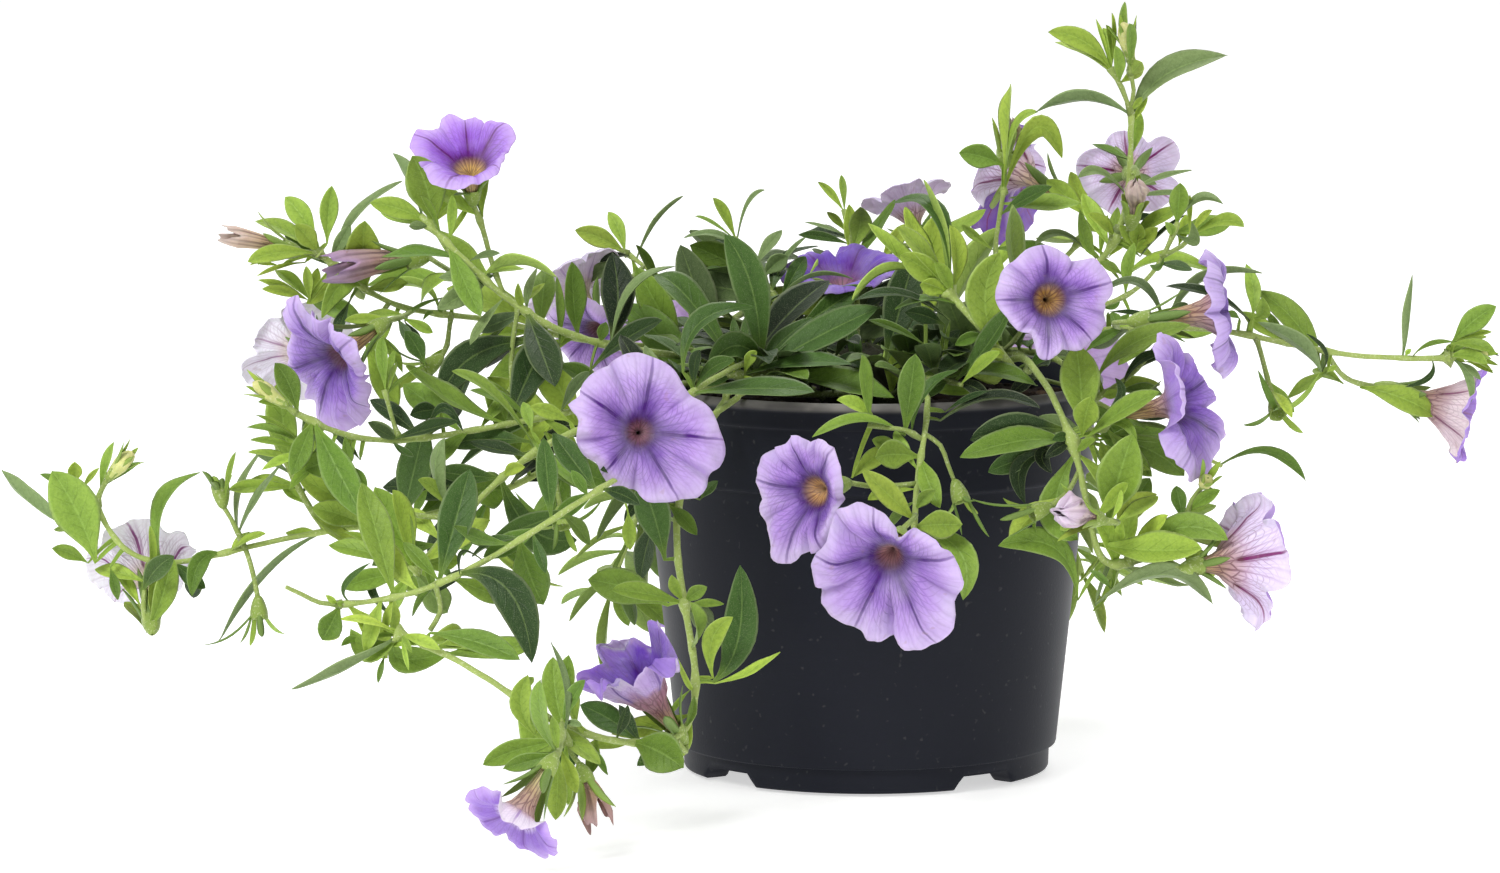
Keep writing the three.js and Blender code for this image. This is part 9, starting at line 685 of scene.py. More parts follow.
         (0.65, 0.47, 1, [-8.2, 5, 92, -12.5, 7.5, 93.8, -14.6, 9.2, 96.5, -16.7, 10.8, 99.2, -18.8, 12.3, 102, -20.9, 13.8, 104.8, -23, 15.2, 107.8, -25.2, 16.5, 110.8, -27.4, 17.8, 114, -29.6, 19, 117.2]),
     ],
     "cups": [
     ],
     "teeth": [
     ],
     "leaves": [
         ((-29.24, 18.8, 116.69), (-31.95, 16.85, 122.4), (-34.51, 14, 126.74), 3.2, (0.745, -0.667, 0.001), "Y"),
         ((-29.24, 18.8, 116.69), (-34.73, 20.92, 120.43), (-38.62, 23, 121.72), 1.13, (-0.007, -0.659, 0.752), "B"),
         ((-23.83, 15.57, 109.02), (-31.81, 10.62, 118.16), (-41.01, 8.51, 118.3), 2.47, (0.571, -0.442, 0.692), "G"),
         ((-23.94, 15.63, 109.16), (-29.57, 18.01, 114.53), (-34.09, 20.76, 116.73), 1.66, (0.201, -0.71, 0.675), "D"),
         ((-29.24, 18.8, 116.69), (-26.63, 17.2, 125.28), (-22.8, 15, 128.45), 1.64, (-0.747, -0.618, 0.243), "G"),
         ((-25.2, 16.39, 110.95), (-22.02, 19.26, 115.35), (-18.94, 22.53, 118.59), 3.06, (-0.134, -0.712, 0.689), "G"),
         ((-22.36, 14.69, 106.94), (-31.28, 14.22, 112.29), (-39.67, 9.78, 116.56), 6.79, (0.263, -0.963, -0.062), "M"),
         ((-23.57, 15.42, 108.65), (-20.38, 12.9, 111.98), (-17.64, 9.89, 114.06), 4.08, (-0.522, -0.779, -0.346), "G"),
         ((-20.59, 13.59, 104.46), (-19.87, 15.86, 112.05), (-10.83, 18.61, 115.38), 3.28, (-0.583, -0.395, 0.71), "D"),
         ((-21.07, 13.92, 105.1), (-18.3, 13.46, 112.78), (-13.6, 8.93, 118.46), 1.93, (-0.825, -0.51, 0.245), "G"),
         ((-19.47, 12.75, 102.98), (-16.28, 12.15, 109.54), (-13.55, 15.64, 113.23), 4.08, (0.111, -0.932, 0.344), "E"),
         ((-20.06, 13.19, 103.75), (-12.23, 9.21, 109.69), (-3.03, 8.24, 109.05), 2.2, (-0.062, 0.584, 0.809), "G"),
         ((-26.14, 16.95, 112.29), (-30.32, 15.85, 112.5), (-34.05, 14.61, 112.12), 1.87, (0.611, -0.714, 0.342), "M"),
         ((-19.82, 13.01, 103.44), (-32.23, 9.86, 106.88), (-45.36, 11.47, 108.02), 7.92, (0.134, -0.891, 0.433), "S"),
         ((-15.53, 9.79, 97.78), (-7.97, 10.25, 102.64), (-0.9, 8.35, 107.68), 5.7, (-0.215, -0.975, 0.047), "E"),
         ((-25.5, 16.57, 111.38), (-19.92, 24.06, 112.27), (-14.74, 28.31, 111.47), 4.79, (0.297, -0.333, 0.895), "S"),
         ((-21.25, 14.03, 105.36), (-19.73, 14.28, 109.32), (-17.89, 19.26, 110.4), 2.63, (-0.167, -0.628, 0.76), "S"),
         ((-8.23, 4.95, 92), (-13.17, 1.42, 96.46), (-17.73, -1.83, 98.23), 3.69, (0.487, 0.171, 0.856), "M"),
         ((-16.66, 10.78, 99.18), (-19.03, 21.04, 103.54), (-21.22, 30.51, 101.54), 6.04, (-0.001, -0.272, 0.962), "D"),
         ((-20.87, 13.8, 104.82), (-29.14, 9.7, 109.86), (-36.77, 5.92, 111.38), 6.36, (0.277, 0.273, 0.921), "E"),
         ((-23.02, 15.19, 107.78), (-22.68, 24.64, 110.29), (-22.38, 33.36, 109.96), 5.86, (-0.027, -0.128, 0.991), "E"),
     ],
     "buds": [
     ]},
    {"node": "shoot_top_back",
     "stems": [
         (0.65, 0.47, 1, [-1.3, 9.5, 92, -2, 14.5, 93.8, -1.9, 17.3, 96.3, -1.9, 20.1, 98.9, -1.9, 22.8, 101.6, -2.1, 25.5, 104.5, -2.4, 28.2, 107.5, -2.8, 30.7, 110.8, -3.4, 33.2, 114.2, -4.1, 35.6, 117.8, -4.8, 38, 121.5]),
         (0.55, 0.62, 0, [-2, 23.6, 102.5, -3.5, 25.6, 102.4, -4.1, 24.8, 100.7, -4.8, 24, 98.4]),
         (0.55, 0.62, 0, [-2.6, 28.5, 108.2, 0.9, 30.6, 109.7, 3.9, 32.6, 111.3, 6.5, 34.7, 112.7, 8.7, 36.8, 113.5, 10.7, 38.9, 113.2, 12.8, 41.1, 112.2]),
     ],
     "cups": [
         ((-4.79, 24.02, 98.42), (-0.1, -0.281, 0.954), 2.15, 4.8),
         ((12.77, 41.09, 112.19), (-0.251, 0.351, 0.902), 2.15, 4.8),
     ],
     "teeth": [
         ((-6.94, 23.48, 102.36), (-9.22, 23.99, 103.29), (-12.06, 24.43, 105.01), 1.88, (0.784, -0.43, 0.447), "M"),
         ((-6.36, 21.52, 101.84), (-7.69, 19.83, 102.22), (-9.34, 17.62, 103.29), 1.81, (0.505, 0.506, 0.699), "M"),
         ((-4.2, 21.35, 102.02), (-3.26, 19.51, 102.6), (-2.18, 17.13, 103.9), 1.85, (-0.537, 0.62, 0.573), "M"),
         ((-3.45, 23.3, 102.67), (-1.26, 23.61, 104.01), (1.33, 23.8, 106.23), 1.8, (-0.889, -0.346, 0.299), "M"),
         ((-5.39, 24.62, 102.85), (-5.69, 26.18, 104.3), (-6.11, 27.87, 106.65), 2.43, (0.053, -0.988, 0.145), "M"),
         ((11.42, 44.2, 115.18), (10.82, 46.45, 115.21), (9.98, 49.17, 115.92), 2.46, (0.028, -0.623, 0.781), "M"),
         ((9.97, 42.57, 115.41), (7.72, 42.96, 115.71), (5.1, 43.64, 116.72), 2.37, (0.714, 0.154, 0.683), "M"),
         ((11.35, 40.83, 116.47), (10.86, 40.09, 117.7), (10.17, 39.7, 119.66), 2.07, (0.126, 0.992, -0.017), "M"),
         ((13.02, 41.47, 116.68), (14.13, 40.7, 118.37), (15.14, 40.13, 120.87), 1.99, (-0.735, 0.675, 0.069), "M"),
         ((13.21, 43.63, 115.9), (14.1, 44.81, 116.76), (14.81, 46.3, 118.38), 1.84, (-0.841, -0.454, 0.292), "M"),
     ],
     "leaves": [
         ((-3.43, 33.01, 114.17), (-9.47, 30.66, 116.07), (-15.29, 28.1, 116.86), 2.49, (0.45, -0.785, 0.426), "E"),
         ((-3.76, 34.21, 115.94), (-8.97, 36.24, 117.73), (-13.65, 38.3, 118.74), 1.28, (0.014, -0.58, 0.814), "G"),
         ((-3.83, 34.49, 116.35), (-6.45, 34.08, 119.65), (-8.71, 29.58, 121.94), 1.81, (0.391, -0.816, -0.425), "Y"),
         ((-4.68, 37.67, 121.03), (-7.58, 36.19, 125.28), (-10.73, 34, 128.33), 1.91, (0.536, -0.843, -0.044), "Y"),
         ((-4.68, 37.67, 121.03), (-4.9, 39.66, 125.87), (-5.42, 42, 129.13), 1.81, (-0.06, -0.868, 0.494), "B"),
         ((-3.09, 31.74, 112.29), (-1.22, 31.7, 118.52), (-1.27, 26.97, 123.33), 5.65, (-0.01, -0.876, -0.482), "L"),
         ((-2.71, 29.76, 109.67), (1.78, 32.51, 116.38), (6.81, 35.81, 124.04), 4.83, (-0.666, -0.474, 0.576), "M"),
         ((-1.9, 22.77, 101.53), (-9.22, 17.55, 106.9), (-13.09, 15.39, 107.69), 1.62, (0.164, 0.706, 0.689), "Y"),
         ((-2, 23.69, 102.59), (-12.62, 12.41, 104.97), (-19.41, 3.84, 103.08), 2.35, (0.29, -0.337, 0.896), "D"),
         ((-2.29, 26.21, 105.52), (-3.76, 29.82, 108.41), (-7.98, 33.58, 110.09), 3.27, (-0.341, -0.74, 0.579), "M", (0.12, 26.36, 105.64)),
         ((-1.93, 20.38, 99.3), (-13.83, 16.23, 102.11), (-26.01, 12.41, 104.56), 8.24, (0.362, -0.64, 0.678), "L"),
         ((11.79, 40.04, 112.81), (20.22, 42.02, 115.96), (27.67, 42.48, 121.18), 5.22, (-0.329, -0.524, 0.786), "L"),
         ((-3.61, 33.65, 115.12), (-9.12, 38.7, 116.45), (-14.11, 44.37, 115.63), 4.74, (-0.246, -0.294, 0.924), "D"),
         ((-2.63, 29.09, 108.89), (-3.21, 34.09, 116.21), (-3.64, 34.94, 123.12), 4.05, (0.421, -0.904, 0.079), "Y"),
         ((3.62, 32.14, 110.74), (6.5, 32.95, 114.72), (9.28, 34.08, 118.72), 3.67, (0.258, -0.965, 0.053), "Y"),
         ((-2, 14.46, 93.8), (-10.53, 17.81, 95.97), (-18.41, 20.9, 94.37), 5.88, (0.109, 0.001, 0.994), "E"),
         ((-1.86, 20.08, 98.89), (4.25, 25.05, 103.88), (9.88, 29.64, 105.27), 5.54, (-0.203, -0.426, 0.882), "D"),
         ((-2.07, 25.54, 104.46), (3.52, 29.35, 106.84), (8.69, 32.87, 107.12), 4.13, (-0.042, -0.299, 0.953), "K"),
     ],
     "buds": [
     ]},
    {"node": "shoot_crown_left",
     "stems": [
         (0.65, 0.47, 1, [-1.3, -11.3, 88.2, -1.9, -16.3, 90, -4.8, -18.6, 90.6, -7.7, -21, 91.1, -10.6, -23.4, 91.7, -13.5, -25.8, 92.1, -16.4, -28.3, 92.5, -19.3, -30.7, 92.8, -22.3, -33.1, 92.8, -25.2, -35.4, 92.9, -28.2, -37.5, 92.9, -31.1, -39.9, 93]),
     ],
     "cups": [
     ],
     "teeth": [
     ],
     "leaves": [
         ((-27.41, -37.01, 92.9), (-26.24, -41.87, 97.11), (-24.64, -43.54, 98.8), 2.72, (-0.306, -0.878, -0.367), "Y"),
         ((-29.4, -38.6, 92.97), (-30.17, -39.33, 95.34), (-31.01, -40.37, 96.61), 1.59, (0.373, -0.746, -0.552), "Y"),
         ((-29.43, -38.62, 92.97), (-31.86, -37.16, 95.29), (-34.54, -35.58, 96.7), 2.04, (-0.303, -0.892, 0.336), "M"),
         ((-28.33, -37.75, 92.93), (-26.11, -39.75, 92.07), (-23.99, -41.68, 90.81), 1.81, (-0.523, -0.761, 0.384), "Y"),
         ((-28.64, -38, 92.94), (-29.28, -35.41, 100.37), (-29.93, -31.94, 104.92), 2.27, (-0.043, -0.852, 0.522), "E", (-28.82, -37.94, 95.22)),
         ((-26.11, -35.98, 92.85), (-26.18, -26.33, 103.15), (-18.88, -19.03, 108.91), 4.12, (-0.705, -0.366, 0.608), "E"),
         ((-24.95, -35.06, 92.81), (-19.57, -34.34, 99.74), (-12.49, -29.3, 104.62), 4.81, (-0.225, -0.623, 0.749), "E"),
         ((-25.65, -35.62, 92.83), (-11.9, -38.34, 101.24), (2.32, -41.64, 108.48), 8.9, (-0.443, -0.674, 0.591), "E"),
         ((-27.72, -37.27, 92.91), (-15.98, -43.42, 96.35), (-3.85, -46.21, 96.45), 7.19, (-0.274, -0.301, 0.913), "E"),
         ((-20.85, -31.81, 92.66), (-8.58, -37.29, 91.37), (5.61, -43.89, 88.65), 8.06, (-0.128, -0.463, 0.877), "M"),
         ((-28.29, -37.72, 92.93), (-32.97, -34.26, 95.9), (-37.87, -30.65, 97.21), 3.45, (-0.26, -0.709, 0.656), "K"),
         ((-29.5, -38.67, 92.97), (-33.32, -41.81, 92.31), (-37.13, -44.96, 91.66), 2.04, (0.621, -0.762, 0.183), "E"),
         ((-24, -34.31, 92.77), (-25.53, -38.83, 111.37), (-31.76, -38.68, 124.13), 8.6, (-0.092, -0.916, 0.39), "E"),
         ((-21.77, -32.54, 92.69), (-28.47, -39.1, 99.65), (-35.21, -41.4, 95.2), 6.33, (-0.361, -0.908, 0.212), "E"),
         ((-28.28, -37.71, 92.93), (-39.39, -33.14, 109.04), (-47.14, -27.64, 113.97), 8.18, (0.346, -0.675, 0.651), "E"),
         ((-2.06, -16.48, 90.04), (-2.85, -15.17, 95.85), (-3.75, -13.51, 101.55), 3.33, (0.283, -0.918, 0.278), "E"),
         ((-18.02, -29.57, 92.56), (-24.78, -25.25, 90.65), (-32.13, -25.1, 90.44), 4.32, (-0.228, -0.257, 0.939), "K"),
         ((-1.85, -16.3, 90), (0.15, -22.95, 94.71), (1.99, -29.09, 95.58), 5.01, (-0.103, 0.455, 0.885), "M"),
         ((-7.72, -20.98, 91.13), (-7.17, -27.36, 94.59), (-6.67, -33.26, 95.88), 3.62, (0.105, 0.374, 0.921), "E"),
         ((-10.64, -23.36, 91.65), (-16.11, -20.76, 96.12), (-21.16, -18.36, 96.97), 4.21, (0.377, -0.363, 0.852), "E"),
         ((-13.53, -25.8, 92.11), (-11.98, -33.98, 97.33), (-10.55, -41.53, 98.92), 5.67, (-0.099, 0.42, 0.902), "E"),
         ((-19.31, -30.7, 92.75), (-17.53, -40.68, 97.95), (-15.89, -49.89, 99.76), 5.73, (-0.236, 0.304, 0.923), "E"),
         ((-25.24, -35.36, 92.87), (-23.61, -43.32, 97.6), (-22.1, -50.67, 97.06), 5.27, (-0.055, 0.396, 0.916), "D"),
     ],
     "buds": [
     ]},
    {"node": "shoot_front_centre",
     "stems": [
         (0.76, 0.55, 1, [1.4, -9.5, 92, 2.2, -14.4, 93.8, 3.4, -18.3, 93.3, 4.6, -22.1, 92.8, 5.8, -25.9, 92.4, 7, -29.6, 92, 8.2, -33.2, 91.6, 9.3, -36.8, 91.2, 10.3, -40.2, 90.9, 11.2, -43.6, 90.6, 11.8, -46.8, 90.4, 12.3, -50, 90.1, 12.5, -52.1, 89.8, 12.6, -52.3, 89.8, 12.6, -52.8, 88.7, 12.5, -53.2, 87.9, 12.3, -55.3, 85.6, 11.9, -57.4, 83.2, 11.5, -59.4, 80.7, 11, -61.2, 78, 10.5, -62.9, 75.2, 10.1, -64.3, 72.2, 9.8, -65.7, 69.2, 9.6, -66.8, 66, 9.4, -68, 62.8]),
         (0.55, 0.47, 0, [11.6, -57.4, 82.7, 15.2, -59.8, 80.3, 16.8, -59.8, 76.3, 18.4, -59.8, 72.2]),
         (0.55, 0.47, 0, [11.4, -58.5, 81.3, 7.5, -61, 83.8, 3.5, -61, 84.3, -0.5, -61, 84.9]),
         (0.55, 0.62, 0, [10.3, -64, 72.5, 6.6, -65.5, 72.3, 2.8, -67.3, 72.3, -1, -69.6, 72.8, -4.8, -72.3, 73.8]),
         (0.55, 0.62, 0, [9.7, -66.7, 65.9, 8.9, -71.3, 65.5, 6.6, -76.7, 64.1]),
     ],
     "cups": [
         ((18.45, -59.83, 72.22), (0.302, -0.302, -0.905), 2, 4.6),
         ((-4.82, -72.28, 73.79), (-0.621, -0.781, -0.06), 2.15, 4.8),
         ((6.63, -76.68, 64.1), (-0.24, -0.901, -0.361), 2.15, 4.8),
     ],
     "teeth": [
         ((20.99, -61.91, 69.34), (23.74, -64.38, 64.04), (25.73, -66.1, 61.02), 1.67, (-0.757, 0.501, -0.419), "M"),
         ((20.53, -59.53, 68.39), (22.23, -58.51, 66.03), (23.56, -57.1, 64.81), 1.6, (-0.091, -0.786, -0.611), "L"),
         ((18.04, -61.61, 68.26), (19.26, -63.13, 63.88), (19.91, -64.1, 61.17), 1.6, (0.924, 0.326, 0.199), "M"),
         ((18.32, -60.18, 67.87), (17.45, -59.78, 65.96), (16.31, -59.1, 64.87), 1.6, (0.628, -0.497, -0.599), "L"),
         ((20.3, -62.51, 69.31), (21.65, -64.99, 68.73), (22.64, -67.1, 69.27), 1.6, (0.125, 0.073, -0.99), "M"),
         ((-8.34, -74.64, 72.23), (-11.28, -76.26, 70.71), (-14.22, -77.36, 68.88), 2.51, (0.192, -0.764, 0.616), "M"),
         ((-6.49, -76.1, 72.05), (-7.24, -79.4, 69.84), (-7.46, -82.6, 67.16), 1.93, (-0.748, -0.152, 0.647), "M"),
         ((-5.96, -76.65, 73.72), (-6.89, -79.97, 73.66), (-7.33, -83.21, 73.65), 2.29, (-0.933, 0.344, -0.11), "M"),
         ((-7.26, -75.74, 75.36), (-9.07, -78.56, 77.78), (-10.59, -81.17, 80.89), 2.04, (-0.364, -0.276, -0.89), "M"),
         ((-8.68, -74.54, 74.43), (-11.73, -76.22, 74.97), (-14.83, -77.4, 75.73), 2.26, (0.431, -0.771, -0.469), "M"),
         ((4.69, -79.6, 61.25), (2.41, -81.31, 57.94), (-0.21, -82.25, 54.13), 2.09, (0.337, -0.814, 0.474), "M"),
         ((7.08, -80.33, 61.47), (7.94, -83.2, 58.99), (9.43, -85.66, 56.24), 2.46, (-0.815, -0.385, 0.433), "M"),
         ((7.27, -81.05, 63.15), (7.63, -84.47, 62.35), (8.46, -87.64, 61.83), 1.81, (-0.919, 0.097, -0.382), "M"),
         ((5.34, -81, 64.32), (4.33, -84.41, 64.4), (3.34, -87.58, 65.08), 2.01, (0.085, 0.047, -0.995), "M"),
         ((3.88, -80.1, 63.04), (0.88, -82.68, 62.39), (-2.67, -84.76, 62.05), 2.26, (0.7, -0.602, -0.384), "M"),
     ],
     "leaves": [
         ((0.04, -60.88, 84.72), (-1.04, -61.44, 93.49), (-1.93, -67, 100.94), 4.78, (0.765, -0.623, -0.166), "B"),
         ((7.43, -59.31, 82.48), (8.7, -64.62, 93.11), (9.49, -70, 101.52), 6.33, (-0.066, -0.892, -0.448), "M"),
         ((1.8, -60.51, 84.19), (-2.37, -60.27, 88.71), (-7.33, -63.43, 90.66), 3.52, (0.652, -0.673, 0.35), "Y"),
         ((7.74, -59.24, 82.39), (-1.86, -63.25, 86.27), (-12.73, -66, 82.91), 4.21, (0.136, -0.411, 0.901), "B"),
         ((8.88, -59, 82.04), (11.9, -58.3, 91.56), (19.15, -55, 96.2), 3.2, (-0.491, -0.595, 0.636), "E"),
         ((12.21, -54.11, 87.31), (20.75, -56.27, 89.98), (25.6, -58.89, 92.07), 1.45, (-0.56, -0.796, 0.228), "D", (16.36, -53.89, 86.83)),
         ((11.98, -55.31, 85.65), (26.04, -58.91, 90.54), (36.78, -63.31, 88.91), 4.55, (-0.268, -0.303, 0.915), "K", (15.25, -55.31, 85.25)),
         ((10.89, -60.95, 77.86), (5.1, -64.43, 78.94), (1.13, -67.64, 78.53), 6.79, (0.624, -0.766, 0.155), "B"),
         ((10.89, -60.95, 77.86), (12.34, -65.65, 73.57), (15, -69.22, 67.81), 4.53, (-0.224, -0.833, 0.506), "B"),
         ((9.58, -67.19, 64.79), (4.55, -71.78, 70.35), (-2.02, -77.28, 77.2), 5.23, (0.615, -0.778, -0.127), "Y"),
         ((10.51, -62.94, 75.04), (7.22, -60.79, 79.63), (5.4, -57.95, 83.4), 2.8, (0.077, -0.835, 0.545), "L"),
         ((0.04, -60.88, 84.72), (-0.09, -56.61, 76.4), (4.36, -55, 79.06), 4.08, (0.152, -0.954, 0.258), "Y", (-3.95, -58, 72.86)),
         ((9.45, -67.77, 63.37), (14.54, -71.82, 64.55), (19.63, -75.77, 65.01), 6.33, (-0.619, -0.784, 0.045), "L"),
         ((9.45, -67.77, 63.37), (19.3, -72.05, 58.58), (19.87, -77, 48.81), 6.33, (-0.224, -0.875, 0.429), "B"),
         ((9.95, -65.49, 68.88), (6.24, -62.43, 65.95), (4.32, -59.72, 62.1), 2.27, (-0.404, -0.8, -0.443), "M"),
         ((10.87, -61.08, 77.69), (4.07, -58.41, 80.07), (0.43, -55.33, 80.86), 3.17, (-0.534, -0.774, 0.34), "L", (7.53, -61.33, 78.35)),
         ((9.77, -66.31, 66.91), (11.59, -69.01, 69.9), (13.85, -71.94, 72.12), 3.17, (-0.509, -0.765, -0.395), "L"),
         ((10.17, -64.49, 71.3), (3.68, -67.25, 71.1), (-0.61, -69.7, 69.62), 2.85, (0.327, -0.78, 0.533), "Y"),
         ((3.81, -19.63, 93.22), (7.16, -17.4, 105.5), (10.54, -14.32, 117.68), 8.24, (-0.027, -0.975, 0.218), "D"),
         ((10.64, -41.86, 90.77), (16.74, -40.35, 90.15), (22.73, -38.96, 89.59), 4.03, (0.001, -0.791, 0.611), "L"),
         ((1.42, -9.49, 92), (8.05, -11.99, 97.33), (14.16, -14.3, 97.75), 4.38, (-0.522, 0.052, 0.851), "E"),
         ((4.57, -22.09, 92.83), (13.78, -23.99, 97.45), (22.29, -25.75, 98.38), 5.33, (-0.36, -0.159, 0.919), "E"),
         ((5.79, -25.88, 92.38), (12.77, -29.4, 95.3), (19.21, -32.65, 94.08), 4.39, (-0.173, 0.163, 0.971), "K"),
         ((7.01, -29.6, 91.96), (0.45, -35.18, 96.14), (-5.61, -40.33, 95.54), 5.7, (0.246, 0.212, 0.946), "M"),
         ((8.2, -33.25, 91.57), (15.46, -37.35, 97.35), (22.15, -41.13, 98.53), 5.02, (-0.455, 0.157, 0.876), "K"),
         ((11.2, -43.58, 90.63), (5.93, -49.73, 95.22), (1.06, -55.41, 97.18), 4.93, (0.486, 0.067, 0.872), "M"),
     ],
     "buds": [
     ]},
    {"node": "shoot_crown_middle",
     "stems": [
         (0.65, 0.47, 1, [4.1, -11.5, 84.3, 5.7, -16.2, 86.1, 7, -19.7, 87.5, 8.2, -23.1, 88.9, 9.6, -26.6, 90, 11, -30, 91, 12.7, -33.5, 91.6, 14.4, -36.9, 92, 16.3, -40.3, 92.1, 18.2, -43.6, 92.1, 20.2, -47, 91.9]),
     ],
     "cups": [
     ],
     "teeth": [
     ],
     "leaves": [
         ((12.72, -33.44, 91.48), (6.34, -35.36, 102.77), (-0.25, -37.45, 105.12), 2.84, (0.496, -0.531, 0.687), "M", (12.36, -33.45, 99.11)),
         ((15.84, -39.37, 91.97), (7.79, -41.65, 111.12), (-3.2, -44.4, 110.34), 4.33, (0.29, -0.308, 0.906), "D", (17.72, -39.4, 105.35)),
         ((14.93, -37.79, 91.98), (12.35, -41.19, 106.46), (7.75, -44.8, 107.74), 4.08, (0.587, -0.803, -0.104), "D", (16.66, -37.8, 104.05)),
         ((12.72, -33.44, 91.48), (3.48, -36.15, 116.02), (-3.8, -39.45, 109.77), 3.53, (-0.451, 0.683, 0.574), "Y", (12.32, -33.45, 115.28)),
         ((19.92, -46.48, 91.91), (23.96, -50.71, 96.6), (28.29, -55, 100.15), 3.9, (-0.812, -0.489, 0.319), "L"),
         ((15.3, -38.43, 91.98), (11.14, -41.89, 94.94), (6.67, -45.35, 94.58), 3.17, (0.611, -0.782, 0.127), "M"),
         ((18.52, -44.03, 91.93), (22.64, -47.72, 91.62), (26.25, -51.11, 89.12), 3.17, (-0.505, -0.764, 0.402), "K"),
         ((17.43, -42.14, 91.95), (14.74, -44.92, 91.5), (12.1, -47.3, 89.05), 3.17, (0.407, -0.75, 0.521), "E"),
         ((13.42, -34.86, 91.69), (16.55, -32.1, 98.82), (20.17, -28.87, 101.89), 3.18, (0.212, -0.835, 0.508), "D", (13.45, -34.87, 94.84)),
         ((5.07, -14.16, 85.26), (5.94, -15.68, 93.02), (6.61, -18.06, 100.27), 5.46, (-0.26, -0.851, -0.457), "Y"),
         ((15.89, -39.46, 91.97), (26.01, -46.24, 94.71), (36.72, -47.6, 91.85), 6.47, (-0.119, -0.409, 0.905), "M"),
         ((18.48, -43.96, 91.93), (25.76, -47.6, 100.96), (30.54, -49.81, 109.47), 6.44, (-0.726, -0.619, 0.298), "E"),
         ((6.95, -19.66, 87.53), (14.2, -20.94, 93.23), (20.89, -22.12, 95.74), 5.13, (-0.513, 0.114, 0.851), "K"),
         ((8.22, -23.11, 88.88), (14.49, -25.87, 94.1), (20.27, -28.42, 96.17), 5.21, (-0.455, 0.248, 0.855), "K"),
         ((9.57, -26.56, 90.04), (6.32, -34.96, 96.6), (3.33, -42.71, 99.2), 6.01, (0.374, 0.376, 0.847), "M"),
         ((14.4, -36.87, 91.99), (13.04, -45.83, 98.78), (11.78, -54.1, 101.81), 5.67, (-0.064, 0.521, 0.851), "E"),
         ((16.26, -40.26, 92.12), (12.49, -48.01, 95.66), (9.02, -55.17, 94.54), 5.5, (0.287, 0.146, 0.947), "K"),
     ],
     "buds": [
     ]},
    {"node": "shoot_right_cluster",
     "stems": [
         (0.98, 0.7, 1, [11, -5.2, 84.3, 15.6, -7.3, 86.1, 17.6, -8.9, 88.1, 19.7, -10.5, 90.1, 21.8, -12.2, 91.9, 24, -14.2, 93.5, 26, -16.6, 94.8, 28, -19.5, 95.6, 29.8, -22.5, 96.1, 31.5, -25.5, 96.4, 33, -28.6, 96.4, 34.1, -31.6, 96.1, 34.8, -34.5, 95.6, 35, -37.1, 94.9, 34.7, -39.5, 94, 33.8, -41.8, 93.4, 32.4, -43.5, 94, 30.9, -44, 95.9, 29.1, -43.7, 98.2, 27.1, -43, 100.7, 24.9, -42, 103.3, 22.4, -40.8, 105.9, 19.9, -39.4, 108.6, 17.3, -38, 111.4]),
         (0.55, 0.62, 0, [29.2, -21.5, 95.9, 30.2, -25.2, 97.2, 31.3, -28.8, 98.6, 32.2, -32.4, 100.2, 33.1, -35.8, 102, 33.8, -39.1, 104.1, 34.5, -42.2, 106.4, 35.1, -45.1, 108.6, 35.7, -48.2, 110.2, 36.3, -51.4, 111.3]),
     ],
     "cups": [
         ((36.34, -51.4, 111.28), (0.205, -0.973, 0.102), 2.15, 4.8),
     ],
     "teeth": [
         ((35.54, -55.84, 110.97), (35.08, -59.22, 110.8), (34.46, -62.25, 110.56), 1.88, (0.911, -0.058, 0.408), "M"),
         ((37.43, -55.56, 109.88), (38.31, -58.77, 108.6), (39.13, -61.64, 107.07), 1.9, (-0.053, -0.278, 0.959), "M"),
         ((38.98, -55.05, 111.59), (40.66, -57.93, 111.85), (42.29, -60.45, 112.07), 2.28, (-0.881, -0.465, 0.087), "M"),
         ((37.8, -55.11, 113.41), (39.25, -57.8, 115.96), (40.76, -60.06, 118.82), 1.9, (-0.184, -0.639, -0.747), "M"),
         ((36.04, -55.51, 113.14), (35.83, -58.67, 114.54), (35.48, -61.47, 115.99), 1.91, (0.654, -0.292, -0.698), "M"),
     ],
     "leaves": [
         ((17.68, -38.18, 110.95), (7.81, -39.8, 118.2), (-0.35, -42, 127.03), 6.57, (0.647, -0.41, 0.643), "Y"),
         ((17.68, -38.18, 110.95), (11.61, -35.75, 120.84), (7.9, -33, 129.61), 5.77, (0.57, -0.662, 0.487), "Y"),
         ((17.68, -38.18, 110.95), (12.19, -42.04, 119.97), (5.92, -47, 126.68), 5.78, (0.77, -0.597, 0.228), "Y"),
         ((17.68, -38.18, 110.95), (16.02, -34.4, 123.57), (12.12, -30, 135.27), 4.77, (0.94, 0.318, 0.122), "L"),
         ((17.68, -38.18, 110.95), (19.42, -40.25, 119.13), (17.58, -43, 126.69), 4.25, (0.505, -0.817, -0.278), "Y"),
         ((17.68, -38.18, 110.95), (12.05, -42.24, 116.86), (6.59, -47.06, 120.54), 5.65, (0.483, -0.826, -0.29), "Y"),
         ((17.68, -38.18, 110.95), (14.04, -40.58, 112.73), (11.04, -43.32, 113.52), 4.08, (0.644, -0.756, -0.119), "Y"),
         ((17.68, -38.18, 110.95), (14.51, -32.6, 128.9), (5.15, -26, 129.77), 6.32, (0.401, -0.509, 0.762), "E", (17.72, -38, 115.13)),
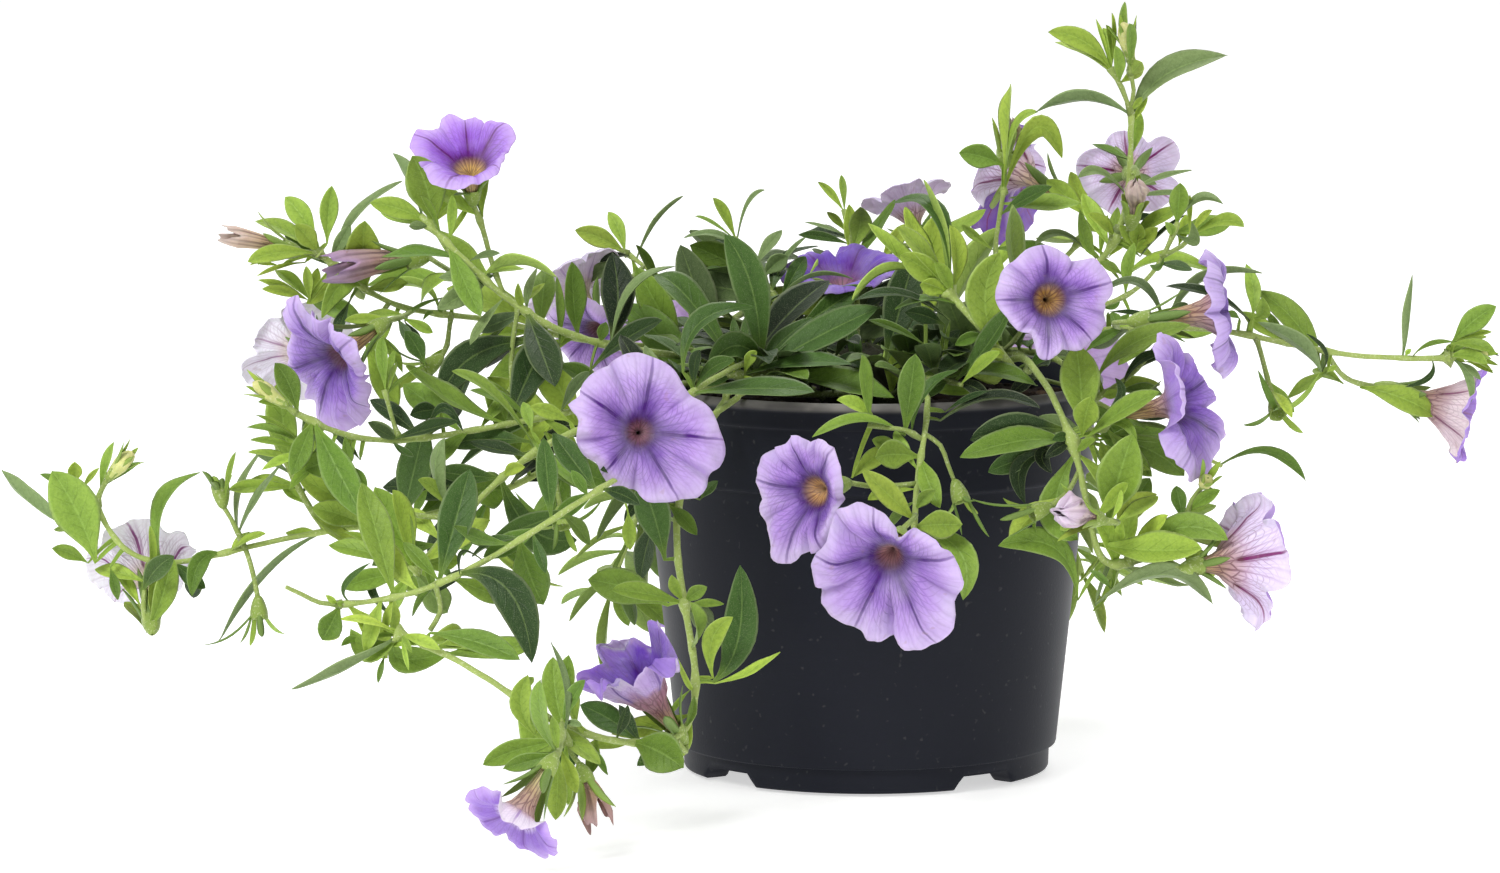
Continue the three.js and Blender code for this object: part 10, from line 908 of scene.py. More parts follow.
         ((18.3, -38.48, 110.26), (16.77, -41.59, 115.19), (14.27, -45.28, 118.8), 3.17, (0.378, -0.804, -0.458), "Y"),
         ((28.42, -43.37, 99.01), (25.21, -46.17, 110.54), (28.36, -49.47, 121.24), 9.05, (-0.024, -0.965, -0.263), "L"),
         ((31.78, -43.53, 94.82), (27.49, -43.09, 95), (22.51, -42.41, 93.27), 6.79, (-0.575, 0.789, -0.217), "Y"),
         ((34.39, -39.46, 94.15), (38.22, -42.89, 98.32), (41.63, -46.87, 101.81), 3.49, (-0.726, -0.685, -0.059), "E"),
         ((25.45, -41.94, 102.31), (21.93, -45.28, 102.07), (18.63, -48.17, 100.87), 2.72, (0.591, -0.751, 0.294), "M"),
         ((30.09, -43.65, 96.98), (28.06, -45.21, 98.69), (25.17, -46.66, 99.12), 2.27, (0.659, -0.748, -0.074), "Y"),
         ((34.39, -39.46, 94.15), (34, -42.88, 91.97), (30.76, -45.99, 89.58), 3.17, (0.474, -0.759, 0.446), "K", (37.52, -39.51, 93.42)),
         ((35.11, -45.46, 109.23), (31.13, -49.65, 121.08), (30.81, -55.99, 132.62), 8.24, (0.864, -0.499, -0.066), "B"),
         ((23.98, -14.46, 93.36), (20.49, -24.56, 101.11), (16.33, -30.96, 111.94), 8.24, (0.12, -0.76, -0.639), "G"),
         ((29.75, -22.5, 96), (30.21, -24.73, 99.5), (29.67, -25.74, 103.42), 2.27, (0.556, -0.762, -0.333), "G"),
         ((11.04, -5.2, 84.3), (15.13, -12.75, 90.66), (18.9, -19.72, 92.61), 6.39, (-0.418, 0.335, 0.844), "K"),
         ((19.7, -10.48, 90.08), (28.59, -8.68, 95.94), (36.81, -7.01, 95.77), 5.31, (-0.446, -0.03, 0.894), "M"),
         ((19.7, -10.48, 90.08), (17.66, -18.45, 98.4), (15.79, -25.8, 102.76), 6.63, (0.387, 0.544, 0.745), "D"),
         ((26.04, -16.61, 94.77), (25.34, -26.1, 98.58), (24.69, -34.86, 96.74), 5.33, (-0.023, 0.255, 0.967), "D"),
         ((19.9, -39.44, 108.63), (12.47, -40.92, 110.08), (5.61, -42.29, 108.04), 4.05, (0.097, -0.203, 0.974), "M"),
     ],
     "buds": [
     ]},
    {"node": "shoot_right_front",
     "stems": [
         (0.87, 0.63, 1, [6.9, -9.1, 88.2, 10, -13, 90, 12.6, -16.3, 90.6, 15.2, -19.5, 91.2, 17.8, -22.7, 91.8, 20.4, -25.9, 92.5, 22.9, -29, 93.2, 25.4, -32, 94, 27.8, -34.9, 94.9, 30.2, -37.6, 95.9, 32.5, -40.2, 97, 34.6, -43.2, 96.8, 36.3, -46.7, 95.1, 37.9, -49.9, 93.1, 39.4, -52.8, 91, 40.7, -55.5, 88.5, 42, -57.8, 85.9, 43.1, -59.7, 83, 44.2, -61.2, 80, 45.1, -62.3, 76.8, 45.9, -63.1, 73.5, 46.6, -63.5, 70.3, 47.3, -63.6, 67, 47.9, -63.5, 64, 48.5, -63.3, 61.1, 49.1, -62.9, 58.7, 49.9, -62.5, 56.8, 50.9, -62.1, 55.4, 52.1, -61.6, 54.6, 53.5, -61.1, 54.3, 55, -60.5, 54.4, 56.6, -60, 54.6]),
         (0.65, 0.55, 0, [56.1, -60.2, 54.6, 60, -60.1, 57.6, 63.5, -60, 60.1, 66.4, -60, 62.3, 69.2, -60, 64.3]),
         (0.55, 0.47, 0, [68.7, -60, 64, 70, -61.3, 68.5, 72.3, -62, 71.6]),
         (0.55, 0.6, 0, [45.4, -62.5, 75.3, 42.9, -64.7, 70.7, 38.9, -66.7, 67.9]),
         (0.55, 0.62, 0, [48.1, -63.3, 63.7, 51.2, -66.7, 64.2, 53.5, -69.5, 64.7, 50.5, -72, 65.6]),
         (0.55, 0.62, 0, [56.5, -60.2, 54.9, 59.9, -62, 55.6, 63, -63.8, 56.1, 67.6, -67.2, 54.4]),
     ],
     "cups": [
         ((38.93, -66.67, 67.89), (-0.879, -0.362, -0.31), 2, 4.6),
         ((72.3, -63, 71.78), (0.242, -0.788, 0.567), 1.35, 1.71),
         ((50.46, -72, 65.57), (-0.756, -0.616, 0.22), 2.15, 4),
         ((67.6, -67.25, 54.44), (0.938, 0.343, 0.06), 2.15, 4.8),
     ],
     "teeth": [
         ((34.87, -68.23, 68.31), (26.87, -71.32, 68.79), (21.84, -73.19, 70.32), 2.26, (-0.112, -0.105, -0.988), "M"),
         ((34.58, -66.87, 67.55), (30.99, -65.82, 68.18), (28.79, -64.19, 69.31), 1.6, (-0.483, -0.69, -0.539), "L"),
         ((36.12, -68.48, 65.09), (32.62, -70.14, 63.27), (30.58, -71.19, 61.96), 1.6, (-0.401, 0.209, 0.892), "M"),
         ((35.73, -67.51, 65.04), (35.64, -67.02, 63.11), (36.37, -66.19, 61.47), 1.6, (-0.882, -0.368, -0.293), "L"),
         ((35.63, -69.52, 67.68), (30.78, -72.26, 66.43), (27.88, -74.19, 65.88), 1.6, (-0.124, 0.802, -0.584), "M"),
         ((71.68, -64.63, 72.38), (72.06, -66.89, 73.84), (72.33, -69.18, 75.27), 1.41, (0.902, 0.33, 0.278), "L"),
         ((72.68, -64.8, 71.71), (73.45, -67.74, 72.69), (74.19, -70.77, 73.36), 1.58, (0.043, 0.327, 0.944), "L"),
         ((73.66, -64.17, 72.17), (74.86, -66.32, 73.49), (76.21, -68.44, 74.7), 1.57, (-0.846, -0.156, 0.509), "L"),
         ((73.28, -63.51, 73.25), (74.52, -65.13, 75.42), (75.92, -66.44, 77.7), 1.54, (-0.452, -0.82, -0.352), "L"),
         ((71.9, -63.85, 73.36), (72.05, -66.14, 75.82), (71.95, -68.25, 78.42), 1.79, (0.722, -0.485, -0.493), "L"),
         ((47.21, -73.94, 64.61), (43.64, -76.06, 63.51), (40.17, -77.85, 61.73), 2.43, (-0.058, -0.383, 0.922), "L"),
         ((48.77, -75.52, 65.56), (46.69, -79.57, 65.6), (45.22, -83.86, 65.3), 1.8, (-0.782, 0.406, 0.474), "L"),
         ((48.93, -75, 67.53), (46.92, -78.2, 69.47), (45.41, -81.48, 71.68), 2.05, (-0.828, 0.206, -0.521), "L"),
         ((47.67, -73.31, 67.97), (44.13, -75.07, 70.84), (40.83, -76.3, 74.22), 1.95, (-0.24, -0.667, -0.705), "L"),
         ((46.69, -72.7, 66.3), (43.07, -73.7, 67.05), (39.33, -74.16, 67.75), 2.12, (0.283, -0.954, 0.1), "L"),
         ((72.03, -67.49, 55.26), (74.94, -68.57, 56.07), (78.02, -70.03, 57), 1.89, (0.147, 0.957, -0.249), "M"),
         ((71.88, -66.67, 53.1), (74.54, -66.71, 51.61), (77.34, -66.9, 49.81), 1.99, (0.139, 0.549, 0.824), "M"),
         ((71.13, -64.67, 53.31), (73.11, -62.93, 52.37), (75.09, -61, 51.24), 2.06, (0.444, -0.512, 0.736), "M"),
         ((70.85, -64.28, 55.46), (72.5, -61.97, 56.33), (74.09, -59.35, 57.35), 2.06, (0.685, -0.635, -0.356), "M"),
         ((71.47, -66.13, 56.51), (73.7, -65.68, 58.9), (75.98, -65.29, 61.78), 2.27, (0.438, 0.302, -0.847), "M"),
     ],
     "leaves": [
         ((43.17, -59.52, 82.4), (45.8, -58.26, 92.92), (44.84, -54.9, 101.67), 9.05, (-0.048, -0.963, 0.263), "B", (46.27, -59.9, 83.65)),
         ((43.53, -60.04, 81.36), (46.75, -63.41, 87.46), (47.69, -67.31, 91.82), 5.88, (-0.179, -0.809, -0.56), "L", (46.04, -60.42, 82.4)),
         ((43.68, -60.25, 80.94), (33.51, -64.68, 82.08), (19.3, -69.63, 79.01), 7.07, (0.178, -0.627, 0.758), "M"),
         ((42.76, -58.93, 83.59), (32.43, -61.73, 84.13), (21.58, -64.21, 82.02), 7.69, (0.207, -0.966, 0.153), "D"),
         ((43.64, -60.2, 81.05), (41.04, -63.68, 80.42), (37.81, -66.57, 78.39), 2.72, (0.491, -0.766, 0.414), "K"),
         ((43.85, -60.51, 80.44), (54.1, -64.63, 88.23), (62.56, -68.88, 93.11), 5.89, (-0.655, -0.541, 0.527), "B", (46.68, -60.88, 81.58)),
         ((44.32, -61.19, 79.07), (48.88, -63.6, 75.02), (51.91, -65.1, 69.67), 3.65, (0.383, -0.633, 0.673), "Y"),
         ((44.48, -61.43, 78.6), (40.31, -64.36, 67.79), (45.01, -67.66, 60.58), 7.92, (-0.05, -0.948, 0.315), "B"),
         ((43.95, -60.66, 80.14), (33.03, -59.68, 75.94), (33.77, -58.03, 67.36), 4.03, (-0.433, -0.9, 0.044), "D", (41.24, -61.03, 79.41)),
         ((43.82, -60.47, 80.52), (37.3, -62.19, 78.47), (39.43, -63.84, 74.74), 3.63, (0.087, -0.871, 0.483), "K", (41.25, -60.84, 79.82)),
         ((43.73, -60.34, 80.77), (32.19, -58.47, 76.88), (25.74, -55.72, 73.87), 4.99, (-0.354, -0.935, 0.007), "E", (39.08, -60.72, 79.37)),
         ((43.03, -59.32, 82.8), (54.37, -57.9, 89.98), (53.34, -55.7, 94.53), 2.34, (-0.368, -0.77, 0.522), "D", (47.79, -59.7, 84.72)),
         ((43.56, -60.08, 81.28), (54.58, -63.78, 85.9), (57.69, -67.83, 81.4), 2.29, (-0.542, -0.747, 0.385), "B", (48.86, -60.46, 83.28)),
         ((43.32, -59.73, 81.98), (41.61, -62.37, 82.53), (39.37, -64.6, 82.07), 2.27, (0.68, -0.696, 0.233), "E"),
         ((48.14, -63.26, 63.68), (53.66, -66.65, 73.58), (56.69, -70.5, 84.15), 9.51, (-0.158, -0.943, -0.294), "B", (51.66, -63.5, 64.38)),
         ((48.16, -63.25, 63.61), (52.5, -67.04, 69.24), (55.63, -71.36, 73.57), 3.8, (-0.83, -0.556, 0.038), "L"),
         ((51.09, -62.01, 55.6), (40.09, -65.66, 58.54), (27.58, -70.06, 59.61), 6.5, (0.589, -0.727, 0.353), "B", (45.28, -62.06, 46.59)),
         ((47.99, -63.32, 64.27), (44.87, -68.58, 64.98), (41.01, -69.98, 63.1), 3.63, (0.582, -0.763, 0.283), "L"),
         ((53.29, -61.16, 54.6), (52.51, -62.35, 59.26), (48.18, -67.94, 65.89), 4.7, (0.672, -0.718, -0.182), "L", (52.91, -60.89, 51.92)),
         ((53.83, -60.97, 54.61), (54.24, -61.08, 58.96), (54.61, -65.94, 64.29), 3.54, (-0.513, -0.798, -0.315), "Y"),
         ((55.69, -60.33, 54.64), (56.21, -58.86, 61.35), (57.39, -56.31, 67.13), 4.08, (-0.015, -0.948, 0.319), "Y"),
         ((57.62, -60.17, 55.77), (56.3, -56.4, 65.15), (62.81, -52, 68.52), 4.99, (0.263, -0.83, 0.492), "Y", (54.44, -60, 59.49)),
         ((56.08, -60.2, 54.64), (59.94, -63.27, 60.87), (64.53, -67.14, 65.99), 4.37, (-0.794, -0.558, 0.239), "Y"),
         ((56.08, -60.2, 54.64), (66.88, -63.74, 62.66), (77.54, -68.14, 60.65), 6.55, (-0.423, -0.771, 0.477), "B"),
         ((52.09, -61.57, 54.58), (63.44, -64.27, 52.85), (74.4, -67.57, 46.53), 7.26, (0.108, 0.605, 0.789), "G", (49, -61.57, 45.41)),
         ((53.49, -61.09, 54.6), (50.37, -63.68, 51.63), (47.68, -66.69, 53.86), 1.81, (0.497, -0.786, -0.368), "M", (52.71, -61.06, 48.64)),
         ((58.47, -60.16, 56.4), (62.06, -58.18, 60.06), (65.93, -56, 63.34), 2.15, (-0.095, -0.833, 0.544), "M"),
         ((68.17, -60.02, 63.55), (67.44, -58.33, 67.57), (66.76, -56, 70.83), 3.4, (-0.108, -0.869, 0.483), "M"),
         ((69.23, -60.51, 65.69), (72.31, -62.79, 68.89), (75.87, -65.46, 71.23), 3.17, (-0.484, -0.855, -0.19), "B"),
         ((67.68, -60.02, 63.19), (65.76, -60.16, 63.43), (64.05, -60.3, 62.88), 2.27, (0.721, -0.649, 0.243), "M"),
         ((68.88, -60.14, 64.44), (72.4, -62.42, 63.9), (74.65, -64.79, 63.25), 2.04, (-0.679, -0.682, 0.272), "M"),
         ((72, -61.9, 71.16), (73.74, -63.03, 71.14), (74.64, -64, 70.6), 0.91, (-0.582, -0.707, 0.401), "Y"),
         ((49.35, -62.76, 58.99), (60.86, -68.64, 58.53), (71.41, -76.22, 60.1), 8.24, (-0.414, -0.639, 0.649), "L"),
         ((66.38, -60.04, 62.23), (70.88, -59.49, 56.06), (75.18, -55.78, 50.89), 4.72, (0.065, -0.951, -0.302), "Y"),
         ((41.45, -65.4, 69.67), (34.5, -65.14, 65.21), (30.29, -58.99, 57.89), 5.91, (-0.71, -0.602, 0.365), "Y"),
         ((54.13, -60.87, 54.61), (52.56, -56.64, 48.2), (48.97, -52.8, 42.75), 4.11, (-0.938, -0.163, 0.305), "Y"),
         ((44.43, -61.35, 78.76), (46.38, -64.55, 80.84), (48.71, -67.24, 82.67), 2.59, (-0.844, -0.494, 0.209), "B"),
         ((52.05, -70.7, 65.11), (53.24, -72.21, 68.62), (54.07, -73.39, 72.37), 2.4, (0.677, -0.608, -0.414), "Y"),
         ((54.13, -60.87, 54.61), (61.71, -54.02, 50.05), (70.27, -47.38, 47.8), 8.02, (0.433, -0.085, 0.897), "L"),
         ((64.29, -60.07, 60.69), (72.97, -50.58, 58.94), (81.16, -44.27, 55.98), 6.39, (0.559, -0.484, 0.673), "Y"),
         ((46.28, -63.02, 71.5), (48.21, -59.71, 67.13), (50.45, -56.29, 62.73), 4.43, (0.892, -0.448, 0.056), "Y"),
         ((66.38, -60.04, 62.23), (71.02, -57.17, 64.87), (75.68, -53.57, 66.23), 3.91, (0.006, -0.531, 0.848), "L"),
         ((53.03, -69, 64.61), (57.83, -66.26, 66.97), (62.59, -63.68, 69.57), 4.24, (-0.099, -0.58, 0.809), "Y"),
         ((50.11, -62.44, 56.59), (48.14, -59.59, 52.94), (45.54, -56.74, 49.73), 2.75, (-0.844, -0.031, 0.535), "Y"),
         ((9.97, -13.02, 90), (8.74, -21.83, 97.7), (7.61, -29.97, 101.13), 6.46, (-0.181, 0.585, 0.791), "E"),
         ((12.58, -16.27, 90.6), (10.38, -23.01, 95.47), (8.35, -29.23, 96.43), 4.49, (0.21, 0.426, 0.88), "M"),
         ((15.19, -19.5, 91.21), (15.01, -28.43, 98.09), (14.84, -36.67, 99.32), 6.34, (0.191, 0.51, 0.839), "E"),
         ((20.36, -25.86, 92.51), (19.39, -36.03, 97.05), (18.49, -45.41, 98.13), 5.9, (0.087, 0.283, 0.955), "M"),
         ((22.91, -28.97, 93.24), (19.31, -37.17, 99.55), (15.98, -44.75, 102.45), 6.58, (0.414, 0.329, 0.849), "E"),
         ((25.41, -31.98, 94.04), (20.24, -41.3, 96.31), (15.47, -49.9, 93.87), 6.52, (0.2, -0.024, 0.979), "D"),
     ],
     "buds": [
         ((72.35, -63.16, 71.89), (73.22, -66, 73.94), 1.7),
     ]},
    {"node": "shoot_right_mid",
     "stems": [
         (0.76, 0.55, 1, [11.1, -2.7, 88.2, 15.9, -4, 90, 18.5, -5.8, 91.3, 21.1, -7.8, 92.5, 23.7, -9.8, 93.7, 26.2, -12, 94.7, 28.7, -14.6, 95.4, 31.2, -17.3, 96, 33.6, -20.1, 96.3, 36, -23.1, 96.4, 38.2, -26, 96.3, 40.4, -28.9, 95.9, 42.3, -31.7, 95.1, 44, -34.4, 94.1, 45.4, -37, 92.7, 46.5, -39.3, 91, 47.3, -41.4, 88.9, 47.9, -43.3, 86.6, 48.1, -45, 84.2, 48.2, -46.5, 81.5, 48.3, -48, 78.8]),
         (0.55, 0.47, 0, [47.6, -42.5, 87.5, 52.9, -44.1, 90.6, 57, -45.3, 93.7, 60, -46.1, 97, 62.4, -46.7, 100.2]),
         (0.55, 0.62, 0, [48.1, -46.2, 81.7, 51.5, -48.6, 82.2, 52.5, -51.5, 85]),
     ],
     "cups": [
         ((52.53, -51.45, 85.01), (0.824, -0.503, 0.261), 2.15, 4.8),
     ],
     "teeth": [
         ((55.34, -54.98, 85.14), (58.11, -59.18, 84.98), (60.2, -63.7, 84.3), 1.79, (0.692, 0.436, 0.575), "M"),
         ((56.64, -53.24, 84.41), (61.3, -55.41, 84.11), (65.98, -57.38, 83.23), 2.06, (-0.085, -0.314, 0.946), "M"),
         ((56.83, -51.93, 86.29), (61.47, -52.14, 87.66), (66.08, -51.54, 88.99), 1.85, (-0.052, -0.998, 0.023), "M"),
         ((55.7, -52.99, 87.83), (59.72, -55.08, 90.73), (63.37, -56.83, 94.05), 2.33, (0.369, -0.431, -0.823), "M"),
         ((54.91, -54.69, 87.07), (57.52, -58.69, 89.65), (59.32, -62.93, 92.51), 1.93, (0.87, 0.339, -0.358), "M"),
     ],
     "leaves": [
         ((51.26, -43.71, 88.86), (46.18, -47.57, 95.81), (41.95, -50.7, 97.43), 5.65, (0.535, -0.831, -0.151), "D", (50.07, -44.7, 93.17)),
         ((51.26, -43.71, 88.86), (56.88, -48.3, 100.88), (69.76, -52.7, 105.8), 6.92, (-0.588, -0.589, 0.554), "B", (49.85, -44.7, 93.17)),
         ((54.97, -44.91, 90.27), (58.7, -47.25, 97.01), (64.25, -50, 99.11), 2.67, (-0.681, -0.627, 0.379), "D"),
         ((51.38, -43.75, 88.9), (57.13, -42.73, 91.3), (63.84, -40.71, 91.13), 3.88, (0.132, -0.637, 0.759), "Y"),
         ((48.17, -46.94, 80.56), (61.55, -44.76, 77.27), (69.17, -42.01, 71.14), 6.33, (0.252, -0.968, -0.014), "M", (50.48, -47.01, 80.66)),
         ((48.21, -47.42, 79.76), (59.99, -43.45, 80.56), (69.47, -39.46, 79.23), 5.74, (0.292, -0.641, 0.71), "B", (50.47, -47.46, 79.83)),
         ((48.21, -47.42, 79.76), (51.33, -50.2, 77.56), (52.05, -52.46, 74.76), 2.72, (-0.202, -0.728, 0.655), "L", (50.47, -47.46, 79.83)),
         ((48.23, -47.69, 79.31), (51.37, -51, 74.61), (52.98, -51, 74.12), 1.36, (0.024, -0.993, 0.12), "Y", (49.7, -51, 74.78)),
         ((48.23, -47.69, 79.31), (59.47, -31.81, 64.96), (62.29, -29, 68.95), 4.99, (0.125, -0.889, 0.44), "M", (57.26, -34, 60.27)),
         ((44.01, -34.44, 94.06), (51.34, -32.05, 100.28), (55.46, -29.44, 101.96), 2.85, (0.175, -0.785, 0.594), "M", (47.58, -34.44, 97.67)),
         ((51.26, -43.71, 88.86), (52.53, -47.16, 89.87), (55.13, -49.79, 90.72), 2.27, (-0.675, -0.727, -0.126), "Y"),
         ((40.71, -29.43, 95.69), (39.11, -26.47, 100.37), (35.8, -23.33, 101.24), 3.17, (-0.561, -0.746, 0.358), "M", (42.24, -29.43, 98.62)),
         ((48.23, -47.69, 79.31), (55.84, -50.51, 73.67), (50.29, -53, 72.84), 3.4, (0.259, -0.639, 0.724), "L", (61.43, -48, 73.28)),
         ((23.84, -10.15, 93.59), (13.44, -3.19, 97.49), (2.99, 3.52, 101.32), 7.03, (-0.121, -0.62, 0.775), "D"),
         ((48.18, -47.05, 80.38), (42.7, -45.37, 82.26), (37.18, -45.75, 84.84), 4.33, (0.014, -0.944, 0.328), "G"),
         ((51.7, -49.2, 82.75), (56.35, -47.54, 77), (61.85, -47.74, 71.8), 5.28, (0.405, -0.877, 0.258), "B"),
         ((59.24, -45.95, 95.84), (63.79, -44.99, 97.9), (68.54, -43.29, 98.41), 3.2, (-0.124, -0.43, 0.894), "D"),
         ((54.4, -44.73, 90.06), (59.48, -45.11, 90.5), (64.36, -44.03, 89.46), 3.54, (0.091, -0.696, 0.712), "M"),
         ((15.92, -3.95, 90), (21.83, -1.12, 93.47), (27.28, 1.5, 93.12), 4.2, (-0.384, -0.023, 0.923), "D"),
         ((18.5, -5.83, 91.3), (16.35, -12.57, 95.62), (14.37, -18.79, 96.98), 4.26, (0.167, 0.387, 0.907), "D"),
         ((23.67, -9.82, 93.69), (23.3, -18.93, 100.56), (22.96, -27.35, 101.3), 6.2, (0.204, 0.496, 0.844), "M"),
         ((33.6, -20.14, 96.34), (32.01, -29.68, 101.84), (30.55, -38.48, 103.6), 6.03, (0.286, 0.337, 0.897), "E"),
         ((35.96, -23.05, 96.44), (35.42, -29.91, 99.77), (34.93, -36.24, 99.04), 4.11, (-0.183, 0.331, 0.926), "E"),
     ],
     "buds": [
     ]},
    {"node": "shoot_right_far",
     "stems": [
         (0.76, 0.55, 1, [9.5, 1.4, 92, 14.4, 2.1, 93.8, 17.6, 1.7, 94.8, 20.8, 1.2, 95.7, 23.9, 0.5, 96.6, 27, -0.5, 97.4, 30.1, -1.7, 98, 33.1, -3.3, 98.6, 36.1, -5.1, 99, 39.1, -7.2, 99.4, 42, -9.3, 99.7, 45, -11.6, 99.9, 47.9, -13.8, 100.2, 50.8, -16, 100.4, 53.8, -18, 100.7, 56.9, -19.9, 101, 60, -21.5, 101.3, 63.2, -23, 101.6, 66.5, -24.2, 101.8, 69.9, -25.2, 101.9, 73.4, -26, 101.9, 77, -26.6, 101.6, 80.7, -27.1, 101.1, 84.5, -27.4, 100.5, 88.5, -27.6, 99.6, 92.5, -27.8, 98.8, 96.7, -27.9, 97.9, 101, -27.9, 97.1, 105.5, -28, 96.4, 109.9, -28, 95.9, 114.5, -28, 95.7, 119.1, -28, 95.5, 123.8, -28, 95.5, 128.4, -28, 95.6]),
         (0.55, 0.6, 0, [85.6, -27.3, 100.2, 86.6, -28.6, 96.8, 87.5, -29.8, 93.3, 88.4, -30.7, 89.9, 89.2, -31.5, 86.7]),
         (0.55, 0.6, 0, [127.9, -28, 95.6, 129.7, -28.5, 96.3, 131, -29, 97]),
         (0.55, 0.62, 0, [101.1, -27.8, 97.2, 103.1, -25.9, 93.6, 105.6, -23.5, 90.7, 108.9, -20.6, 89, 112.8, -17.3, 87.9]),
         (0.55, 0.62, 0, [55.9, -19.2, 100.9, 55.2, -23.6, 101.8, 54.5, -28, 102.7, 54, -32.1, 103.6, 54, -35.6, 104.3, 55, -38.3, 104.7, 57, -40.4, 105]),
     ],
     "cups": [
         ((89.22, -31.48, 86.65), (0.204, -0.764, -0.612), 2, 4.6),
         ((131.01, -29, 97.02), (0.872, -0.475, -0.119), 1.35, 2.84),
         ((112.78, -17.3, 87.93), (0.952, -0.14, -0.271), 2.15, 4.8),
         ((57.03, -40.35, 105.02), (0.988, -0.1, 0.12), 2.15, 4.8),
     ],
     "teeth": [
         ((89.45, -35.66, 85.41), (87.68, -38.65, 89.09), (85.39, -39.69, 94.32), 1.69, (0.093, -0.922, -0.375), "M"),
         ((91.63, -34.67, 84.9), (95.9, -33.77, 87.97), (99.59, -30.69, 92.77), 1.9, (0.653, -0.691, -0.31), "L"),
         ((88.32, -34.84, 84), (85.48, -36.91, 82.43), (82.3, -37.69, 81.89), 1.6, (0.508, -0.669, -0.543), "M"),
         ((91.3, -33.6, 83.45), (93.71, -33.7, 81.01), (95.82, -32.69, 79.46), 1.6, (-0.134, -0.923, -0.362), "L"),
         ((89.59, -35.67, 85.46), (89.6, -38.64, 85.38), (89.35, -40.69, 86.04), 1.6, (0.322, -0.123, -0.939), "M"),
         ((132.63, -31.13, 96.86), (134.91, -33.67, 96.63), (136.88, -36.46, 96.45), 1.38, (0.727, 0.668, -0.158), "L"),
         ((132.88, -30.38, 95.68), (135.3, -31.95, 94.64), (137.61, -33.53, 93.37), 1.41, (0.438, 0.084, 0.895), "L"),
         ((133.47, -29.38, 96.02), (136.18, -30.23, 95.23), (138.9, -30.89, 94.29), 1.47, (-0.081, -0.803, 0.591), "L"),
         ((133.66, -29.36, 97.28), (136.24, -30.47, 97.1), (138.87, -31.5, 96.98), 1.77, (-0.369, -0.774, -0.515), "L"),
         ((133.05, -30.59, 97.74), (135.27, -32.03, 97.93), (137.43, -33.52, 98.3), 1.44, (0.262, 0.28, -0.924), "L"),
         ((116.62, -19.61, 87.43), (120.6, -22.3, 87.02), (123.61, -25.51, 87.1), 2.33, (0.462, 0.781, -0.421), "M"),
         ((116.15, -18.76, 85.3), (119.76, -20.1, 82.89), (122.28, -21.52, 80.33), 2.17, (0.541, 0.426, 0.725), "M"),
         ((116.57, -16.5, 85.6), (120.14, -15.24, 82.93), (123.15, -13.38, 79.94), 2.13, (0.564, -0.711, 0.42), "M"),
         ((117.16, -16.27, 87.58), (121.67, -15.33, 87.15), (125.39, -13.74, 87.24), 2.42, (0.094, -0.871, -0.483), "M"),
         ((117.16, -18.18, 88.58), (121.7, -19.07, 89.21), (125.45, -19.92, 90.68), 1.99, (0.092, 0.101, -0.991), "M"),
         ((60.87, -42.53, 105.97), (65.66, -44.47, 106.95), (70.21, -46.89, 108.04), 2.51, (0.405, 0.892, -0.204), "M"),
         ((61.22, -41.59, 103.88), (65.38, -42.85, 102.73), (69.25, -44.33, 101.03), 2.34, (0.349, 0.373, 0.86), "M"),
         ((61.39, -39.59, 104.12), (66.69, -38.53, 102.88), (71.66, -36.95, 101.01), 1.94, (0.294, -0.616, 0.731), "M"),
         ((61.23, -38.97, 105.92), (66.01, -38.07, 106.81), (70.66, -36.7, 107.79), 2.29, (0.214, -0.959, -0.182), "M"),
         ((60.88, -40.81, 107.33), (65.05, -41.28, 109.53), (68.91, -41.76, 112.21), 1.84, (0.463, -0.013, -0.886), "M"),
     ],
     "leaves": [
         ((66.06, -23.64, 101.66), (73.2, -26.23, 112.7), (86.73, -28.98, 114.56), 4.69, (-0.255, 0.576, 0.777), "G"),
         ((83.67, -27.19, 100.56), (76.32, -30.5, 109.63), (65.33, -34.35, 112.28), 4.27, (0.479, -0.322, 0.816), "D", (84.25, -27.35, 103.93)),
         ((83.94, -27.2, 100.51), (85.21, -25.12, 109.68), (83.55, -22.37, 115.83), 3.4, (-0.088, -0.91, 0.405), "L", (84.68, -27.37, 104.83)),
         ((84.23, -27.21, 100.45), (86.98, -29.55, 105.97), (86.58, -32.19, 109.6), 3.4, (-0.323, -0.746, -0.582), "L", (84.91, -27.39, 104.38)),
         ((100.81, -27.8, 97.3), (95.02, -24.78, 102.52), (86.11, -20.93, 109.87), 6.45, (0.166, -0.859, 0.483), "B", (99.99, -27.93, 92.66)),
         ((100.85, -27.81, 97.29), (95.1, -31.08, 99.04), (85.59, -34.93, 104.38), 5.55, (0.271, 0.652, 0.709), "G", (99.99, -27.93, 92.44)),
         ((101.09, -27.81, 97.25), (100.72, -29.74, 97.1), (96.58, -31.94, 101.37), 1.28, (0.749, -0.662, 0.027), "D", (100.43, -27.94, 92.66)),
         ((102.19, -27.85, 97.04), (102.4, -28.89, 93.36), (103.38, -29.94, 94.02), 1.36, (-0.59, -0.76, -0.272), "Y", (101.53, -27.94, 92.44)),
         ((81.5, -27.12, 100.97), (80.46, -29.04, 105.4), (78.74, -31.07, 106.15), 1.59, (0.662, -0.699, -0.27), "M", (82.05, -27.16, 104.14)),
